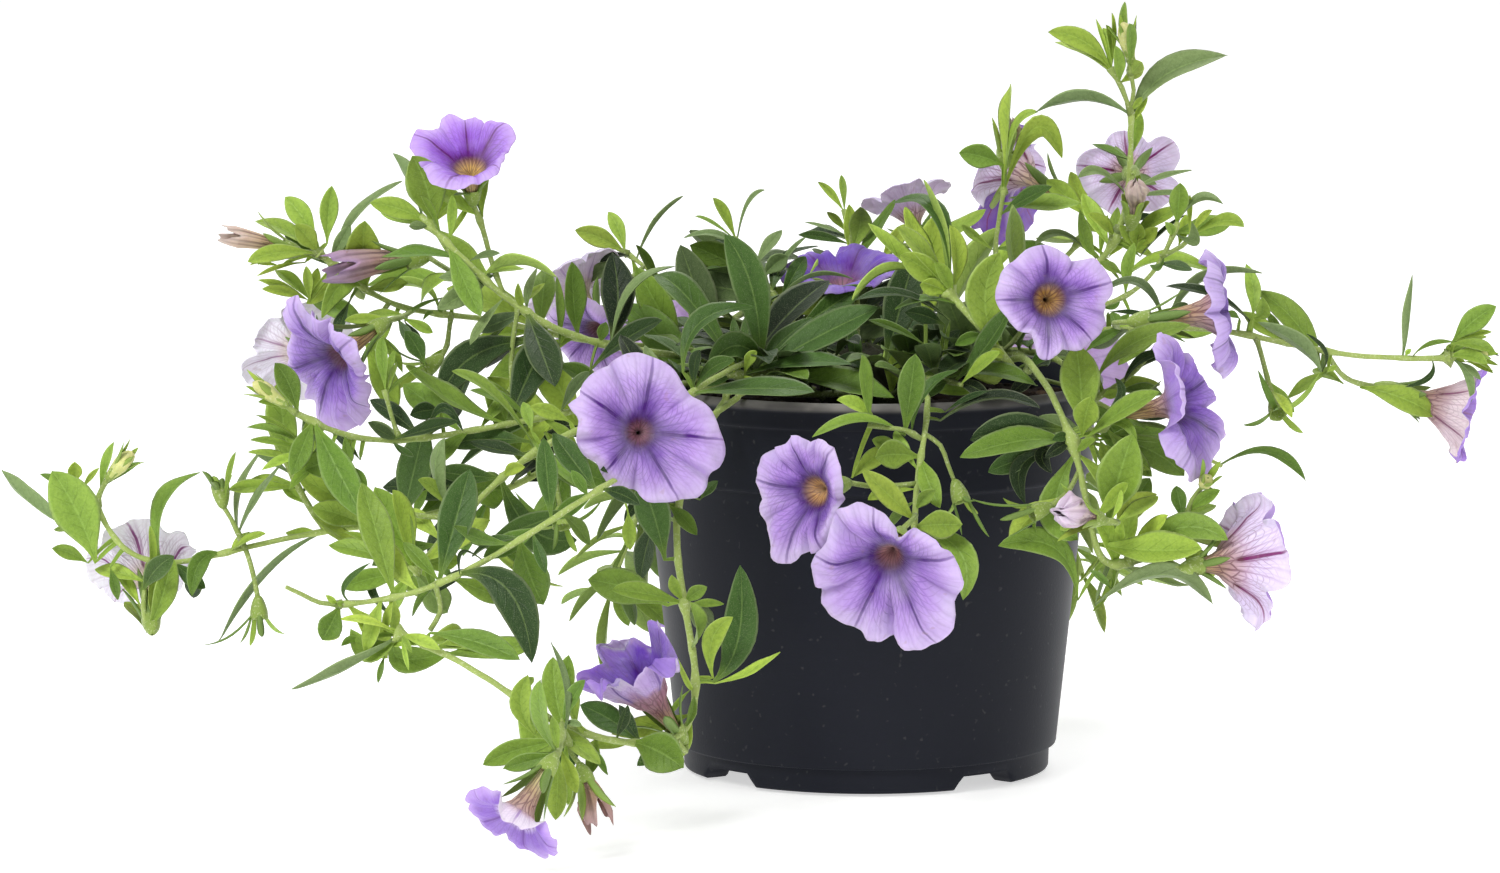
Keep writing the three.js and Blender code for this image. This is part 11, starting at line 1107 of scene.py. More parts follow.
         ((117.85, -27.99, 95.96), (118.96, -29.8, 104.22), (119.59, -32, 114.45), 3.75, (-0.852, 0.489, 0.184), "G"),
         ((118.51, -27.99, 95.93), (119.05, -28.92, 97.02), (119.67, -30, 97.8), 1.13, (-0.517, -0.719, -0.465), "Y"),
         ((124.27, -27.99, 95.72), (123.9, -30.25, 91.83), (118.21, -33, 89.73), 1.36, (0.252, -0.848, 0.465), "D"),
         ((120.07, -27.99, 95.87), (123.9, -29.35, 98.84), (128.85, -31, 99.48), 1.22, (-0.42, -0.827, 0.373), "M"),
         ((128.3, -28.14, 95.79), (133.05, -30.76, 103.9), (137.99, -34, 107.81), 5.43, (-0.409, -0.894, -0.183), "B", (128.86, -28, 98.9)),
         ((128.3, -28.14, 95.79), (133.37, -29.46, 101.05), (137.42, -31, 101.7), 1.71, (-0.418, -0.814, 0.403), "Y", (129.52, -28, 99.56)),
         ((128.3, -28.14, 95.79), (133.14, -26.51, 99.89), (136.83, -25, 99.87), 1.36, (0.358, -0.917, 0.177), "L", (129.52, -28, 99.12)),
         ((127.85, -28, 95.58), (133.02, -32.9, 99.34), (137.96, -34.19, 97.65), 3.11, (-0.303, -0.723, 0.621), "B", (127.98, -28.24, 98.48)),
         ((128.3, -28.14, 95.79), (135.98, -27.74, 97.47), (139.02, -31, 96.37), 1.13, (-0.408, -0.896, 0.177), "D", (132.85, -28, 97.34)),
         ((127.85, -28, 95.58), (132.11, -32.16, 96.82), (136.06, -36.19, 95.23), 3.04, (-0.482, -0.718, 0.503), "L"),
         ((128.3, -28.14, 95.79), (134.8, -28.28, 94.32), (137.66, -32, 92.71), 1.81, (-0.481, -0.836, 0.265), "Y", (131.78, -28, 94.67)),
         ((128.3, -28.14, 95.79), (132.92, -30.63, 93.3), (134.94, -33, 91.28), 1.59, (-0.495, -0.736, 0.462), "G", (130.67, -28, 94.67)),
         ((128.3, -28.14, 95.79), (132.36, -29.35, 91.94), (132.95, -31, 86.14), 2.04, (-0.141, -0.956, 0.256), "G"),
         ((55.9, -19.17, 100.92), (54.19, -21.13, 100.46), (52.41, -23.11, 100.76), 2.27, (0.731, -0.679, -0.072), "M"),
         ((55.5, -18.89, 100.88), (54.92, -16.85, 102.37), (54.29, -14.32, 104.2), 2.95, (-0.209, -0.678, 0.705), "M"),
         ((53.49, -17.46, 100.69), (57.89, -19.68, 104.84), (62.5, -19.68, 103.93), 1.15, (0.03, -0.95, 0.312), "D", (53.19, -19.68, 104.82)),
         ((58.09, -20.37, 101.1), (53.59, -24.16, 99.88), (49.37, -27.63, 97.74), 3.63, (-0.514, 0.781, -0.354), "D"),
         ((65.82, -23.54, 101.64), (60.18, -21.19, 111.24), (51.02, -17.89, 108.63), 3.33, (0.154, -0.505, 0.849), "S"),
         ((65.4, -23.37, 101.61), (67.66, -26.44, 105.79), (70.43, -29.5, 107.74), 2.52, (-0.66, -0.733, -0.167), "S"),
         ((45.16, -11.55, 99.89), (46.71, -9.3, 101.67), (48.58, -6.61, 103.31), 2.27, (0.358, -0.713, 0.603), "M"),
         ((109.12, -20.4, 88.17), (117.86, -24.68, 86.39), (125.83, -21.5, 81.92), 6.02, (0.187, -0.937, 0.294), "L"),
         ((59.64, -21, 101.2), (69.75, -17.19, 101.78), (80.46, -14.68, 102.68), 7.26, (0.279, -0.933, 0.228), "L"),
         ((88.8, -31.01, 88.55), (90.89, -36.92, 87.05), (93.1, -38.46, 83.55), 2.54, (0.041, -0.802, 0.596), "Y"),
         ((55.25, -23.97, 101.9), (58.99, -28.23, 103.88), (62.58, -32.81, 105.32), 3.31, (-0.731, -0.453, 0.51), "Y"),
         ((105.24, -23.67, 89.29), (101.75, -20.46, 91.08), (98.84, -16.33, 91.53), 3.06, (-0.334, -0.53, 0.78), "Y"),
         ((92.13, -27.5, 98.95), (90.12, -27.15, 102.28), (88.11, -26.88, 105.73), 2.24, (-0.081, -0.993, 0.082), "M"),
         ((102.93, -25.91, 93.02), (97.49, -26.38, 89.9), (92.68, -26.16, 86.29), 3.76, (-0.458, -0.538, 0.707), "L"),
         ((92.13, -27.5, 98.95), (87.45, -25.87, 102.14), (82.79, -24.06, 105.46), 3.42, (-0.061, -0.904, 0.423), "Y"),
         ((88.27, -30.4, 91.01), (90.9, -29.19, 87.17), (94.14, -28.23, 83.47), 3.24, (0.574, -0.785, 0.232), "L"),
         ((66.83, -23.95, 101.71), (60.85, -28.44, 99.07), (55.07, -29.86, 94.18), 4.08, (-0.02, -0.792, 0.61), "B"),
         ((125.64, -28, 95.67), (130.84, -25.85, 97.86), (135.29, -21.91, 99.23), 4.3, (0.352, -0.825, 0.442), "L"),
         ((9.5, 1.37, 92), (13.14, 8.59, 95.59), (16.49, 15.25, 96.46), 5.19, (-0.337, -0.146, 0.93), "E"),
         ((17.61, 1.69, 94.79), (20.7, -3.47, 99.27), (23.56, -8.23, 99.46), 4.56, (-0.104, 0.52, 0.848), "M"),
         ((33.11, -3.3, 98.58), (32.56, -12.43, 100.52), (32.05, -20.85, 99.74), 5.53, (-0.048, 0.079, 0.996), "D"),
     ],
     "buds": [
         ((131.18, -29.09, 97), (136.52, -32, 96.27), 1.7),
     ]},
    {"node": "shoot_right_tail",
     "stems": [
         (0.55, 0.4, 1, [7.7, -5.8, 92, 11.7, -8.8, 93.8, 14.8, -11.1, 93.5, 18, -13.4, 93.2, 21.1, -15.9, 92.8, 24.4, -18, 92.4, 27.9, -19.7, 92.1, 31.3, -21.6, 91.7, 34.8, -23.7, 91.2, 38.3, -25.8, 90.6, 41.8, -27.9, 89.9, 44.4, -29.5, 89.5, 44.8, -29.8, 89.5, 45, -29.9, 89.2, 45.3, -30.1, 88.5, 48.6, -31.9, 87.1, 52, -33.5, 85.6, 55.5, -34.9, 84, 59.1, -36, 82.3, 62.7, -36.8, 80.6, 66.4, -37.4, 78.7, 70.2, -37.7, 76.8, 73.9, -37.9, 74.8, 77.7, -38, 72.8]),
     ],
     "cups": [
     ],
     "teeth": [
     ],
     "leaves": [
         ((77.19, -37.97, 73.11), (87.67, -40.7, 76.29), (95.86, -44, 70.3), 3.77, (-0.033, -0.471, 0.882), "M"),
         ((62.03, -36.54, 80.88), (65.02, -33.26, 77.88), (67.73, -30.33, 74.25), 3.17, (0.451, -0.805, -0.385), "D"),
         ((70.55, -37.61, 76.55), (69.01, -34.56, 73.73), (67.67, -31.97, 70.02), 3.17, (-0.368, -0.781, -0.504), "M"),
         ((50.71, -32.8, 86.19), (48.73, -27.84, 84.29), (46.83, -26.92, 80.5), 3.17, (-0.45, -0.781, -0.434), "D"),
         ((57.29, -35.34, 83.18), (63.26, -35.81, 84.05), (68.76, -37.55, 85.9), 4.23, (-0.279, -0.766, 0.579), "D"),
         ((48.44, -31.65, 87.17), (53.8, -35.12, 80.49), (58.85, -34.38, 72.78), 6.16, (0.078, -0.969, 0.234), "M"),
         ((11.67, -8.77, 93.8), (12.88, -18.57, 99.78), (14, -27.62, 101.88), 6.47, (0.114, 0.427, 0.897), "D"),
         ((14.83, -11.06, 93.5), (18.46, -20.83, 97.85), (21.82, -29.85, 96.7), 6.14, (-0.121, 0.24, 0.963), "E"),
         ((21.13, -15.86, 92.75), (27.95, -14.28, 97.2), (34.25, -12.82, 97.72), 4.62, (-0.37, -0.297, 0.88), "M"),
         ((24.43, -17.98, 92.39), (24.69, -24.95, 95.86), (24.93, -31.39, 95.84), 3.87, (0.227, 0.333, 0.915), "M"),
         ((31.34, -21.61, 91.71), (40.63, -19.04, 94.05), (49.2, -16.67, 92.12), 6.28, (-0.095, -0.057, 0.994), "M"),
         ((34.8, -23.66, 91.18), (37.17, -30.04, 94.11), (39.36, -35.92, 94.87), 4.58, (-0.324, 0.168, 0.931), "D"),
     ],
     "buds": [
     ]},
    {"node": "shoot_right_high",
     "stems": [
         (0.76, 0.55, 1, [9.2, 6.7, 88.2, 13.2, 9.7, 90, 16.3, 11.2, 92.1, 19.4, 12.7, 94.1, 22.6, 14.2, 95.9, 25.8, 15.7, 97.6, 29.2, 17.1, 99.2, 32.6, 18.6, 100.5, 36, 20, 101.8, 39.4, 21.3, 103, 42.7, 22.5, 104.3, 45.9, 23.6, 105.8, 48.8, 24.6, 107.5, 51.4, 25.4, 109.4, 53.6, 26.1, 111.6, 55.5, 26.6, 114.2, 56.9, 26.9, 117, 58, 27.1, 120, 58.8, 27.2, 123.2, 59.4, 27.2, 126.6, 59.7, 27.1, 130.1, 59.9, 26.9, 133.8, 60, 26.6, 137.5, 60, 26.3, 141.3, 60, 26, 145.1]),
         (0.55, 0.47, 0, [60, 26, 144.5, 57.9, 26, 150.5, 55.2, 26, 155]),
         (0.55, 0.47, 0, [59.8, 26, 145, 60.6, 26, 150, 59.7, 26, 154.1]),
         (0.55, 0.6, 0, [59.8, 26, 153.5, 59.8, 25.5, 155.3, 59.9, 25, 156.5]),
         (0.55, 0.62, 0, [57.3, 27, 118.1, 60, 22, 119.1]),
         (0.55, 0.62, 0, [58.9, 27.2, 124, 59.9, 26.6, 126.1, 60.4, 27, 130.7]),
     ],
     "cups": [
         ((59.88, 25, 156.48), (-0.198, -0.301, 0.933), 1.35, 4.2),
         ((59.96, 22, 119.1), (0.073, -0.265, 0.961), 2.15, 4),
         ((60.36, 27.03, 130.73), (-0.02, 0.998, -0.061), 2.15, 4.8),
     ],
     "teeth": [
         ((58.08, 24, 159.65), (56.42, 23.17, 162.27), (54.44, 22.41, 164.69), 1.6, (0.856, -0.172, 0.488), "L"),
         ((58.56, 23.08, 159.45), (57.78, 21.9, 162.58), (56.96, 20.68, 165.67), 1.51, (0.531, 0.74, 0.412), "L"),
         ((59.88, 23.08, 159.73), (59.9, 21.27, 162.75), (60.18, 19.23, 165.6), 1.47, (-0.677, 0.628, 0.384), "L"),
         ((60.15, 24.27, 160.18), (60.42, 23.57, 163.73), (61.02, 23.02, 167.26), 1.29, (-0.917, -0.398, -0.011), "L"),
         ((58.88, 24.94, 160.12), (58.05, 24.04, 163.74), (57.21, 23.22, 167.37), 1.57, (0.246, -0.952, -0.182), "L"),
         ((58.89, 19.83, 122.16), (58.27, 18.31, 124.66), (57.75, 17.37, 125.82), 2.37, (0.69, 0.529, 0.495), "L"),
         ((61.15, 19.58, 121.92), (61.95, 17.87, 124.36), (62.5, 16.78, 125.53), 1.92, (-0.445, 0.659, 0.606), "L"),
         ((62, 21.51, 122.39), (63.25, 21.19, 124.49), (64.09, 21.18, 125.19), 2.48, (-0.833, -0.327, 0.446), "L"),
         ((60.44, 22.85, 122.88), (60.75, 22.89, 125.79), (60.91, 22.92, 127.32), 2.28, (-0.098, -0.995, 0.025), "L"),
         ((58.58, 21.87, 122.75), (58.12, 21.46, 125.53), (57.93, 21.23, 126.97), 2.5, (0.873, -0.482, 0.073), "L"),
         ((61.97, 31.14, 129.77), (63.87, 34.3, 128.75), (66.36, 37.09, 127.51), 2.52, (-0.826, 0.47, 0.313), "M"),
         ((60.21, 31.04, 128.64), (60.1, 34.12, 126.94), (59.98, 36.79, 124.77), 2.14, (0.025, 0.374, 0.927), "M"),
         ((58.51, 31.08, 129.95), (56.23, 34.17, 129.09), (53.27, 36.85, 128.05), 2.47, (0.839, 0.495, 0.226), "M"),
         ((59.42, 31.23, 132.1), (58.32, 34.5, 133.86), (56.92, 37.43, 136.26), 2.36, (0.407, 0.409, -0.817), "M"),
         ((61.52, 31.26, 131.83), (63.21, 34.58, 133.56), (65.43, 37.58, 135.86), 2.25, (-0.587, 0.471, -0.659), "M"),
     ],
     "leaves": [
         ((59.97, 26.05, 144.36), (49.48, 23.81, 148.43), (38.12, 21.06, 145.51), 6.07, (-0.094, 0.584, 0.807), "G"),
         ((59.96, 26.08, 143.91), (67.77, 29.25, 153.15), (82.21, 33.1, 157.36), 7.43, (-0.197, -0.7, 0.687), "G"),
         ((59.79, 26.04, 144.98), (61.28, 24.66, 147.07), (62.32, 23, 148.73), 1.59, (-0.359, -0.805, -0.473), "Y"),
         ((55.5, 26, 154.5), (49.42, 23.75, 161.12), (40.97, 21, 163.61), 4.99, (0.296, -0.954, -0.048), "L"),
         ((55.49, 26, 154.52), (54.82, 27.69, 160.52), (53.71, 30, 163.76), 2.27, (-0.146, -0.873, 0.465), "Y"),
         ((55.49, 26, 154.52), (55.42, 26.19, 160.91), (54.07, 22, 165.11), 2.05, (0.513, -0.827, -0.23), "Y"),
         ((55.49, 26, 154.52), (55.96, 25.91, 161.99), (55.37, 21, 167.9), 1.71, (0.74, -0.643, -0.195), "Y"),
         ((55.49, 26, 154.52), (53.71, 27.57, 160.88), (52.12, 30, 165.8), 1.4, (0.49, -0.764, 0.42), "Y"),
         ((59.85, 25.82, 154.06), (57.77, 25.98, 164.06), (58.33, 22, 170.31), 3.1, (0.672, -0.729, -0.13), "L"),
         ((59.85, 25.82, 154.06), (59.61, 20.55, 161.46), (59.17, 17.62, 165.81), 3.36, (0.665, -0.668, -0.334), "B"),
         ((59.85, 25.82, 154.06), (60.47, 26.97, 160.27), (61.13, 29, 165.66), 1.42, (-0.626, -0.737, 0.254), "K"),
         ((59.92, 26, 153.21), (61, 24.15, 155.21), (62.23, 22, 156.74), 3.4, (0.475, 0.719, 0.507), "Y"),
         ((59.18, 27.16, 126.18), (53, 24.95, 131.52), (47.93, 22.2, 130.44), 2.68, (0.481, -0.565, 0.67), "G"),
         ((59.26, 27.15, 126.84), (66.79, 29.44, 129.71), (74.17, 32.19, 131.25), 1.93, (-0.051, -0.586, 0.809), "G"),
         ((59.26, 27.15, 126.84), (60.97, 25.38, 129.1), (61.98, 23.19, 131.02), 1.81, (-0.359, -0.754, -0.551), "B"),
         ((59.11, 27.18, 125.58), (66.6, 24.96, 126.75), (72.13, 22.21, 127.03), 1.6, (-0.388, -0.726, 0.568), "G"),
         ((57.3, 26.99, 118.19), (64.8, 24.32, 120.22), (71.64, 21.02, 123.98), 4, (-0.628, -0.646, 0.433), "L", (60.63, 27.02, 116.97)),
         ((56.37, 26.79, 116.06), (59.46, 24.57, 117), (57.46, 21.81, 119.8), 2.72, (0.307, -0.822, -0.48), "L", (61.1, 26.81, 113.57)),
         ((56.43, 26.8, 116.15), (61.4, 24.46, 117.32), (61.51, 21.39, 120.53), 3.63, (-0.08, -0.787, -0.612), "Y", (61.32, 26.83, 113.57)),
         ((56.43, 26.8, 116.15), (63.49, 24.14, 116.76), (66.02, 21.02, 119.21), 3.63, (-0.498, -0.777, -0.385), "Y", (61.32, 26.83, 113.57)),
         ((56.16, 26.73, 115.72), (62.61, 25.37, 114.87), (64.35, 23.77, 116.18), 2.27, (-0.494, -0.822, -0.281), "Y", (61.1, 26.77, 113.12)),
         ((53.6, 26.07, 111.64), (55.68, 23.7, 110.07), (52.95, 21.07, 111.47), 2.27, (0.567, -0.779, -0.269), "B", (58.15, 26.07, 107.96)),
         ((53.16, 25.94, 111.26), (66.59, 22.8, 111.74), (77.73, 18.95, 109.66), 5.95, (-0.243, -0.327, 0.913), "L", (57.7, 25.95, 106.83)),
         ((56.01, 26.69, 115.49), (66.77, 25.38, 117.57), (72.23, 23.74, 121.87), 1.76, (-0.695, -0.407, 0.593), "D", (62.23, 26.74, 112.21)),
         ((57.29, 26, 151.54), (57.14, 23.3, 155.79), (56.25, 21.56, 160.44), 3.57, (0.582, -0.753, -0.307), "L"),
         ((56.67, 26.86, 116.54), (54.07, 23.87, 119.64), (50.3, 22.02, 122.48), 3.22, (0.689, -0.705, 0.166), "Y"),
         ((55.95, 26, 153.76), (49.83, 26.58, 158.22), (42.85, 28.24, 160.72), 4.38, (0.359, -0.447, 0.819), "Y"),
         ((56.67, 26.86, 116.54), (60.98, 28.16, 114.26), (65.26, 29.43, 112.02), 3.15, (0.488, -0.689, 0.536), "Y"),
         ((55.31, 26.51, 114.36), (52.33, 30.76, 119.64), (49.39, 33.94, 125.79), 4.59, (0.175, -0.786, 0.592), "Y"),
         ((59.76, 26.77, 134.29), (60.96, 29.14, 139.73), (61.97, 31.94, 144.95), 3.49, (0.131, -0.904, 0.407), "L"),
         ((55.31, 26.51, 114.36), (56.41, 28.98, 118.53), (57.28, 31.27, 122.88), 2.73, (-0.295, -0.813, 0.501), "L"),
         ((59.92, 26.21, 142.07), (61.82, 27.38, 145.44), (63.69, 28.61, 148.75), 2.45, (-0.293, -0.839, 0.459), "Y"),
         ((57.29, 26, 151.54), (60.3, 28.04, 153.28), (62.89, 30.88, 154.52), 2.78, (0.416, -0.771, 0.482), "Y"),
         ((57.54, 27.03, 118.97), (61.27, 26.41, 120.71), (65.25, 26.99, 121.42), 2.19, (-0.218, -0.735, 0.642), "D"),
         ((59.76, 26.77, 134.29), (55.65, 29.17, 135.62), (51.5, 31.38, 137.33), 3.65, (0.182, -0.292, 0.939), "M"),
         ((9.2, 6.73, 88.2), (8.61, 16.67, 93.3), (8.07, 25.85, 92.87), 5.72, (-0.128, -0.35, 0.928), "E"),
         ((16.31, 11.17, 92.07), (20.06, 18.52, 94.4), (23.53, 25.3, 94.05), 5.26, (0.106, -0.214, 0.971), "D"),
         ((19.42, 12.67, 94.07), (21.3, 20.6, 97.49), (23.03, 27.93, 97.63), 4.93, (-0.231, -0.217, 0.948), "E"),
         ((39.4, 21.29, 103.03), (40.47, 28.22, 104.34), (41.45, 34.62, 102.36), 3.85, (0.145, -0.075, 0.987), "E"),
     ],
     "buds": [
         ((59.84, 24.94, 156.67), (57.9, 22, 165.79), 1.7),
     ]},
    {"node": "shoot_right_back",
     "stems": [
         (0.76, 0.55, 1, [5.8, 7.6, 92, 8.9, 11.6, 93.8, 11.3, 14.2, 95.5, 13.8, 16.7, 97.1, 16.4, 19.3, 98.6, 19.1, 21.7, 100, 21.9, 24.1, 101.2, 24.9, 26.4, 102.2, 27.9, 28.5, 103.1, 31, 30.5, 104, 34, 32.4, 104.9, 37, 34.1, 105.8, 39.9, 35.7, 107, 42.5, 37.1, 108.3, 44.9, 38.4, 109.9, 47, 39.5, 111.8, 48.8, 40.5, 114, 50.2, 41.4, 116.4, 51.5, 42.2, 119, 52.6, 43, 121.7]),
         (0.55, 0.47, 0, [31.5, 30.7, 104.1, 30.3, 31.4, 108.2, 29.7, 31.8, 112.1, 29.8, 32, 115.8, 30.3, 32, 119.5, 30.9, 32, 123.1, 31.5, 32, 126.7]),
         (0.55, 0.62, 0, [52.3, 42.8, 121.2, 46.7, 43.2, 122.5]),
         (0.55, 0.62, 0, [31.4, 32, 126.1, 31.6, 35, 128.9, 31.6, 38, 131.1]),
     ],
     "cups": [
         ((46.67, 43.19, 122.46), (-0.602, 0.722, 0.341), 2.15, 4.8),
         ((31.65, 38, 131.13), (0.11, -0.129, 0.986), 2.15, 4),
     ],
     "teeth": [
         ((43.93, 46.77, 122.15), (41.19, 50.35, 121.73), (38.58, 53.87, 120.61), 2.47, (-0.13, 0.019, 0.991), "M"),
         ((42.81, 45.51, 122.86), (38.08, 48.17, 123.2), (33.06, 50.25, 123), 1.99, (0.411, 0.643, 0.647), "M"),
         ((43.58, 45.04, 125.19), (40.14, 47.34, 128.11), (36.66, 49.08, 131.36), 2.51, (0.091, 0.831, -0.548), "M"),
         ((45.21, 46.3, 125.4), (43.25, 50.28, 129.02), (42.07, 53.85, 133.01), 2.29, (-0.744, 0.21, -0.634), "M"),
         ((45.55, 47.39, 123.69), (45.06, 52.08, 124.82), (45.49, 56.82, 125.65), 2.14, (-0.949, -0.165, 0.269), "M"),
         ((30.55, 36.46, 134.54), (29.92, 35.21, 138.22), (28.93, 33.73, 141.72), 1.99, (0.794, 0.521, 0.313), "L"),
         ((32.43, 35.78, 134.24), (33.28, 33.49, 138.04), (34.22, 30.68, 141.45), 1.96, (-0.154, 0.83, 0.536), "L"),
         ((33.86, 37.66, 134.33), (35.81, 37.26, 137.92), (38.22, 36.92, 141.22), 1.93, (-0.879, -0.103, 0.466), "L"),
         ((32.67, 39.27, 134.67), (33.66, 40.47, 138.23), (34.8, 42.22, 141.49), 2.3, (-0.26, -0.891, 0.372), "L"),
         ((30.61, 38.69, 134.83), (29.95, 39.07, 138.77), (28.91, 39.76, 142.59), 1.85, (0.759, -0.624, 0.188), "L"),
     ],
     "leaves": [
         ((48.49, 40.36, 113.74), (44.93, 38.12, 116.01), (38.7, 35.37, 113.79), 3.05, (0.35, -0.407, 0.844), "G", (53.02, 40.37, 110.26)),
         ((48.76, 40.51, 113.99), (54.32, 38.99, 115.6), (55.32, 36.51, 120.53), 2.18, (-0.645, -0.741, -0.187), "Y", (53.71, 40.51, 110.24)),
         ((48.89, 40.59, 114.25), (56.51, 42.38, 114.44), (58.86, 44.6, 117.38), 1.81, (0.167, -0.884, 0.438), "Y", (54.62, 40.6, 110.92)),
         ((48.59, 40.41, 113.83), (50.18, 38.17, 114.63), (48.9, 35.42, 121.79), 3.7, (0.599, -0.792, -0.118), "B", (53.25, 40.42, 110.25)),
         ((48.83, 40.56, 114.13), (57.75, 38.25, 113.15), (60.32, 35.56, 115.37), 1.81, (-0.489, -0.807, -0.331), "Y", (55.54, 40.56, 110.24)),
         ((50.49, 41.63, 117.46), (52.08, 39.79, 117.45), (49, 37.7, 118.8), 2.27, (0.482, -0.858, -0.177), "L", (54.87, 41.7, 115.39)),
         ((42.55, 37.12, 108.32), (42.27, 34.65, 108.28), (39.74, 31.83, 110.28), 2.27, (0.493, -0.782, -0.381), "M", (44.48, 37.12, 105.57)),
         ((37.01, 34.05, 106.07), (36.04, 36.62, 107.41), (34.28, 39.49, 109.44), 3.17, (-0.352, -0.728, 0.588), "M"),
         ((29.49, 32, 112.72), (24.78, 29.71, 116.5), (21.87, 27, 119.25), 2.04, (0.386, -0.853, -0.352), "Y"),
         ((31.43, 32.38, 126.44), (26.34, 29.57, 134.59), (21.14, 27, 135.64), 5.43, (0.434, -0.9, -0.036), "B", (31.25, 32, 132.41)),
         ((31.43, 32.38, 126.44), (38.56, 34.7, 140.59), (44.84, 38, 133.42), 4.99, (0.282, -0.924, 0.257), "Y"),
         ((31.43, 32.38, 126.44), (32.41, 32.47, 143.18), (32.92, 37, 150.18), 6.07, (-0.901, -0.405, 0.156), "Y", (31.49, 32, 128.99)),
         ((31.43, 32.38, 126.44), (33.89, 28.42, 141.29), (39.02, 28, 144.86), 3.51, (-0.873, -0.379, 0.306), "L", (31.72, 32, 128.99)),
         ((31.06, 32, 123.64), (39.94, 31.45, 123.39), (48.86, 30.2, 123.87), 5.34, (-0.077, -0.675, 0.733), "L"),
         ((13.96, 16.87, 97.18), (3.01, 21.75, 97.27), (-6.92, 31.3, 95.01), 8.24, (-0.58, -0.64, 0.504), "G"),
         ((30.69, 32, 121.07), (35.98, 28.49, 124.88), (42.08, 25.57, 128.15), 4.58, (-0.634, -0.578, 0.514), "E"),
         ((51.28, 42.15, 119.05), (46.12, 42.26, 124.22), (41.57, 45.19, 127.61), 4.8, (-0.221, -0.815, 0.535), "Y"),
         ((29.58, 32, 113.35), (37.04, 36.74, 112.51), (44.26, 41.95, 111.15), 5.03, (0.491, -0.588, 0.643), "M"),
         ((13.96, 16.87, 97.18), (14.46, 14.72, 110), (14.9, 12.03, 122.72), 8.03, (-0.113, -0.977, -0.181), "Y"),
         ((31.56, 35.83, 129.32), (30.9, 41.55, 124.73), (29.24, 47.79, 120.86), 4.19, (-0.722, 0.302, 0.622), "Y"),
         ((51.28, 42.15, 119.05), (49.1, 42.94, 124.56), (47.16, 46, 129.49), 3.75, (-0.163, -0.947, 0.275), "Y"),
         ((29.37, 29.21, 103.44), (32.3, 33.72, 96.14), (35.7, 39.57, 90.12), 5.5, (0.16, 0.747, 0.645), "D"),
         ((29.03, 31.92, 108.25), (31.52, 36.72, 111.05), (33.52, 40.4, 115.47), 3.85, (-0.246, -0.55, 0.799), "Y"),
         ((49.05, 40.7, 114.58), (44.34, 48.27, 113.25), (39.56, 55.91, 113.16), 5.84, (-0.022, 0.077, 0.997), "Y"),
         ((8.87, 11.6, 93.8), (6.92, 18.12, 99.4), (5.12, 24.14, 101.41), 4.47, (-0.072, -0.581, 0.811), "E"),
         ((11.31, 14.18, 95.49), (8.53, 23.22, 99.45), (5.97, 31.57, 100.28), 5.56, (0.039, -0.269, 0.962), "E"),
         ((13.81, 16.74, 97.11), (13.93, 24.26, 101.97), (14.04, 31.21, 102.15), 4.95, (-0.118, -0.439, 0.891), "M"),
     ],
     "buds": [
     ]},
    {"node": "shoot_right_inner",
     "stems": [
         (0.65, 0.47, 1, [11, 5.2, 84.3, 15.6, 7.3, 86.1, 17.3, 8, 88.8, 19.1, 8.8, 91.4, 21.1, 9.5, 93.7, 23.3, 10.2, 95.7, 25.9, 10.9, 97.3, 28.7, 11.5, 98.5, 31.7, 12.1, 99.5, 35, 12.5, 100.1, 38.4, 12.9, 100.5, 41.8, 13.1, 100.9, 45.3, 13.2, 101.2, 48.6, 13.3, 101.7, 51.9, 13.2, 102.3, 55, 13.1, 103.2, 57.8, 12.9, 104.4, 60.3, 12.7, 105.9, 62.5, 12.6, 107.8, 64.5, 12.4, 110.1, 66.2, 12.3, 112.7, 67.6, 12.2, 115.5, 68.9, 12.1, 118.5, 70.1, 12, 121.5]),
         (0.55, 0.47, 0, [66.2, 12.3, 113.6, 71, 12, 116.1, 73.3, 12, 118.4]),
     ],
     "cups": [
     ],
     "teeth": [
     ],
     "leaves": [
         ((69.82, 12.02, 120.96), (70.16, 10.01, 126.1), (70.25, 7.01, 130.85), 4.53, (-0.065, -0.893, -0.445), "L"),
         ((68.98, 12.08, 119.24), (73.41, 10.19, 117.65), (73.04, 7.9, 121.96), 3.17, (-0.535, -0.701, -0.471), "G"),
         ((69.84, 12.02, 120.99), (74.47, 10.21, 127.14), (79.98, 8.01, 126.01), 2.3, (0.28, 0.939, 0.2), "G"),
         ((72.77, 12.02, 118.02), (79.85, 9.3, 122.04), (84.62, 6, 121.03), 3.72, (-0.44, -0.699, 0.564), "L"),
         ((72.77, 12.02, 118.02), (72.74, 12.71, 124.02), (72.61, 9, 127.94), 1.36, (-0.044, -0.944, -0.327), "Y"),
         ((72.77, 12.02, 118.02), (75.21, 10.17, 122.48), (77.52, 8, 124.66), 1.81, (-0.436, -0.846, -0.309), "Y"),
         ((68.42, 12.12, 118.11), (68.55, 9.96, 120), (66.96, 7.45, 122.01), 2.04, (0.374, -0.76, -0.532), "L"),
         ((67.22, 12.24, 114.25), (65.84, 9.92, 111.77), (63.66, 7.72, 112.27), 1.81, (0.682, -0.722, -0.12), "M"),
         ((52.03, 13.14, 102.68), (54.95, 15.59, 102.08), (57.4, 18.2, 103.16), 2.04, (0.489, -0.73, 0.477), "M"),
         ((57.77, 12.91, 104.39), (57.93, 10.5, 99.42), (56.58, 8.37, 97.49), 2.27, (0.356, -0.688, 0.633), "M", (59.45, 12.91, 100.81)),
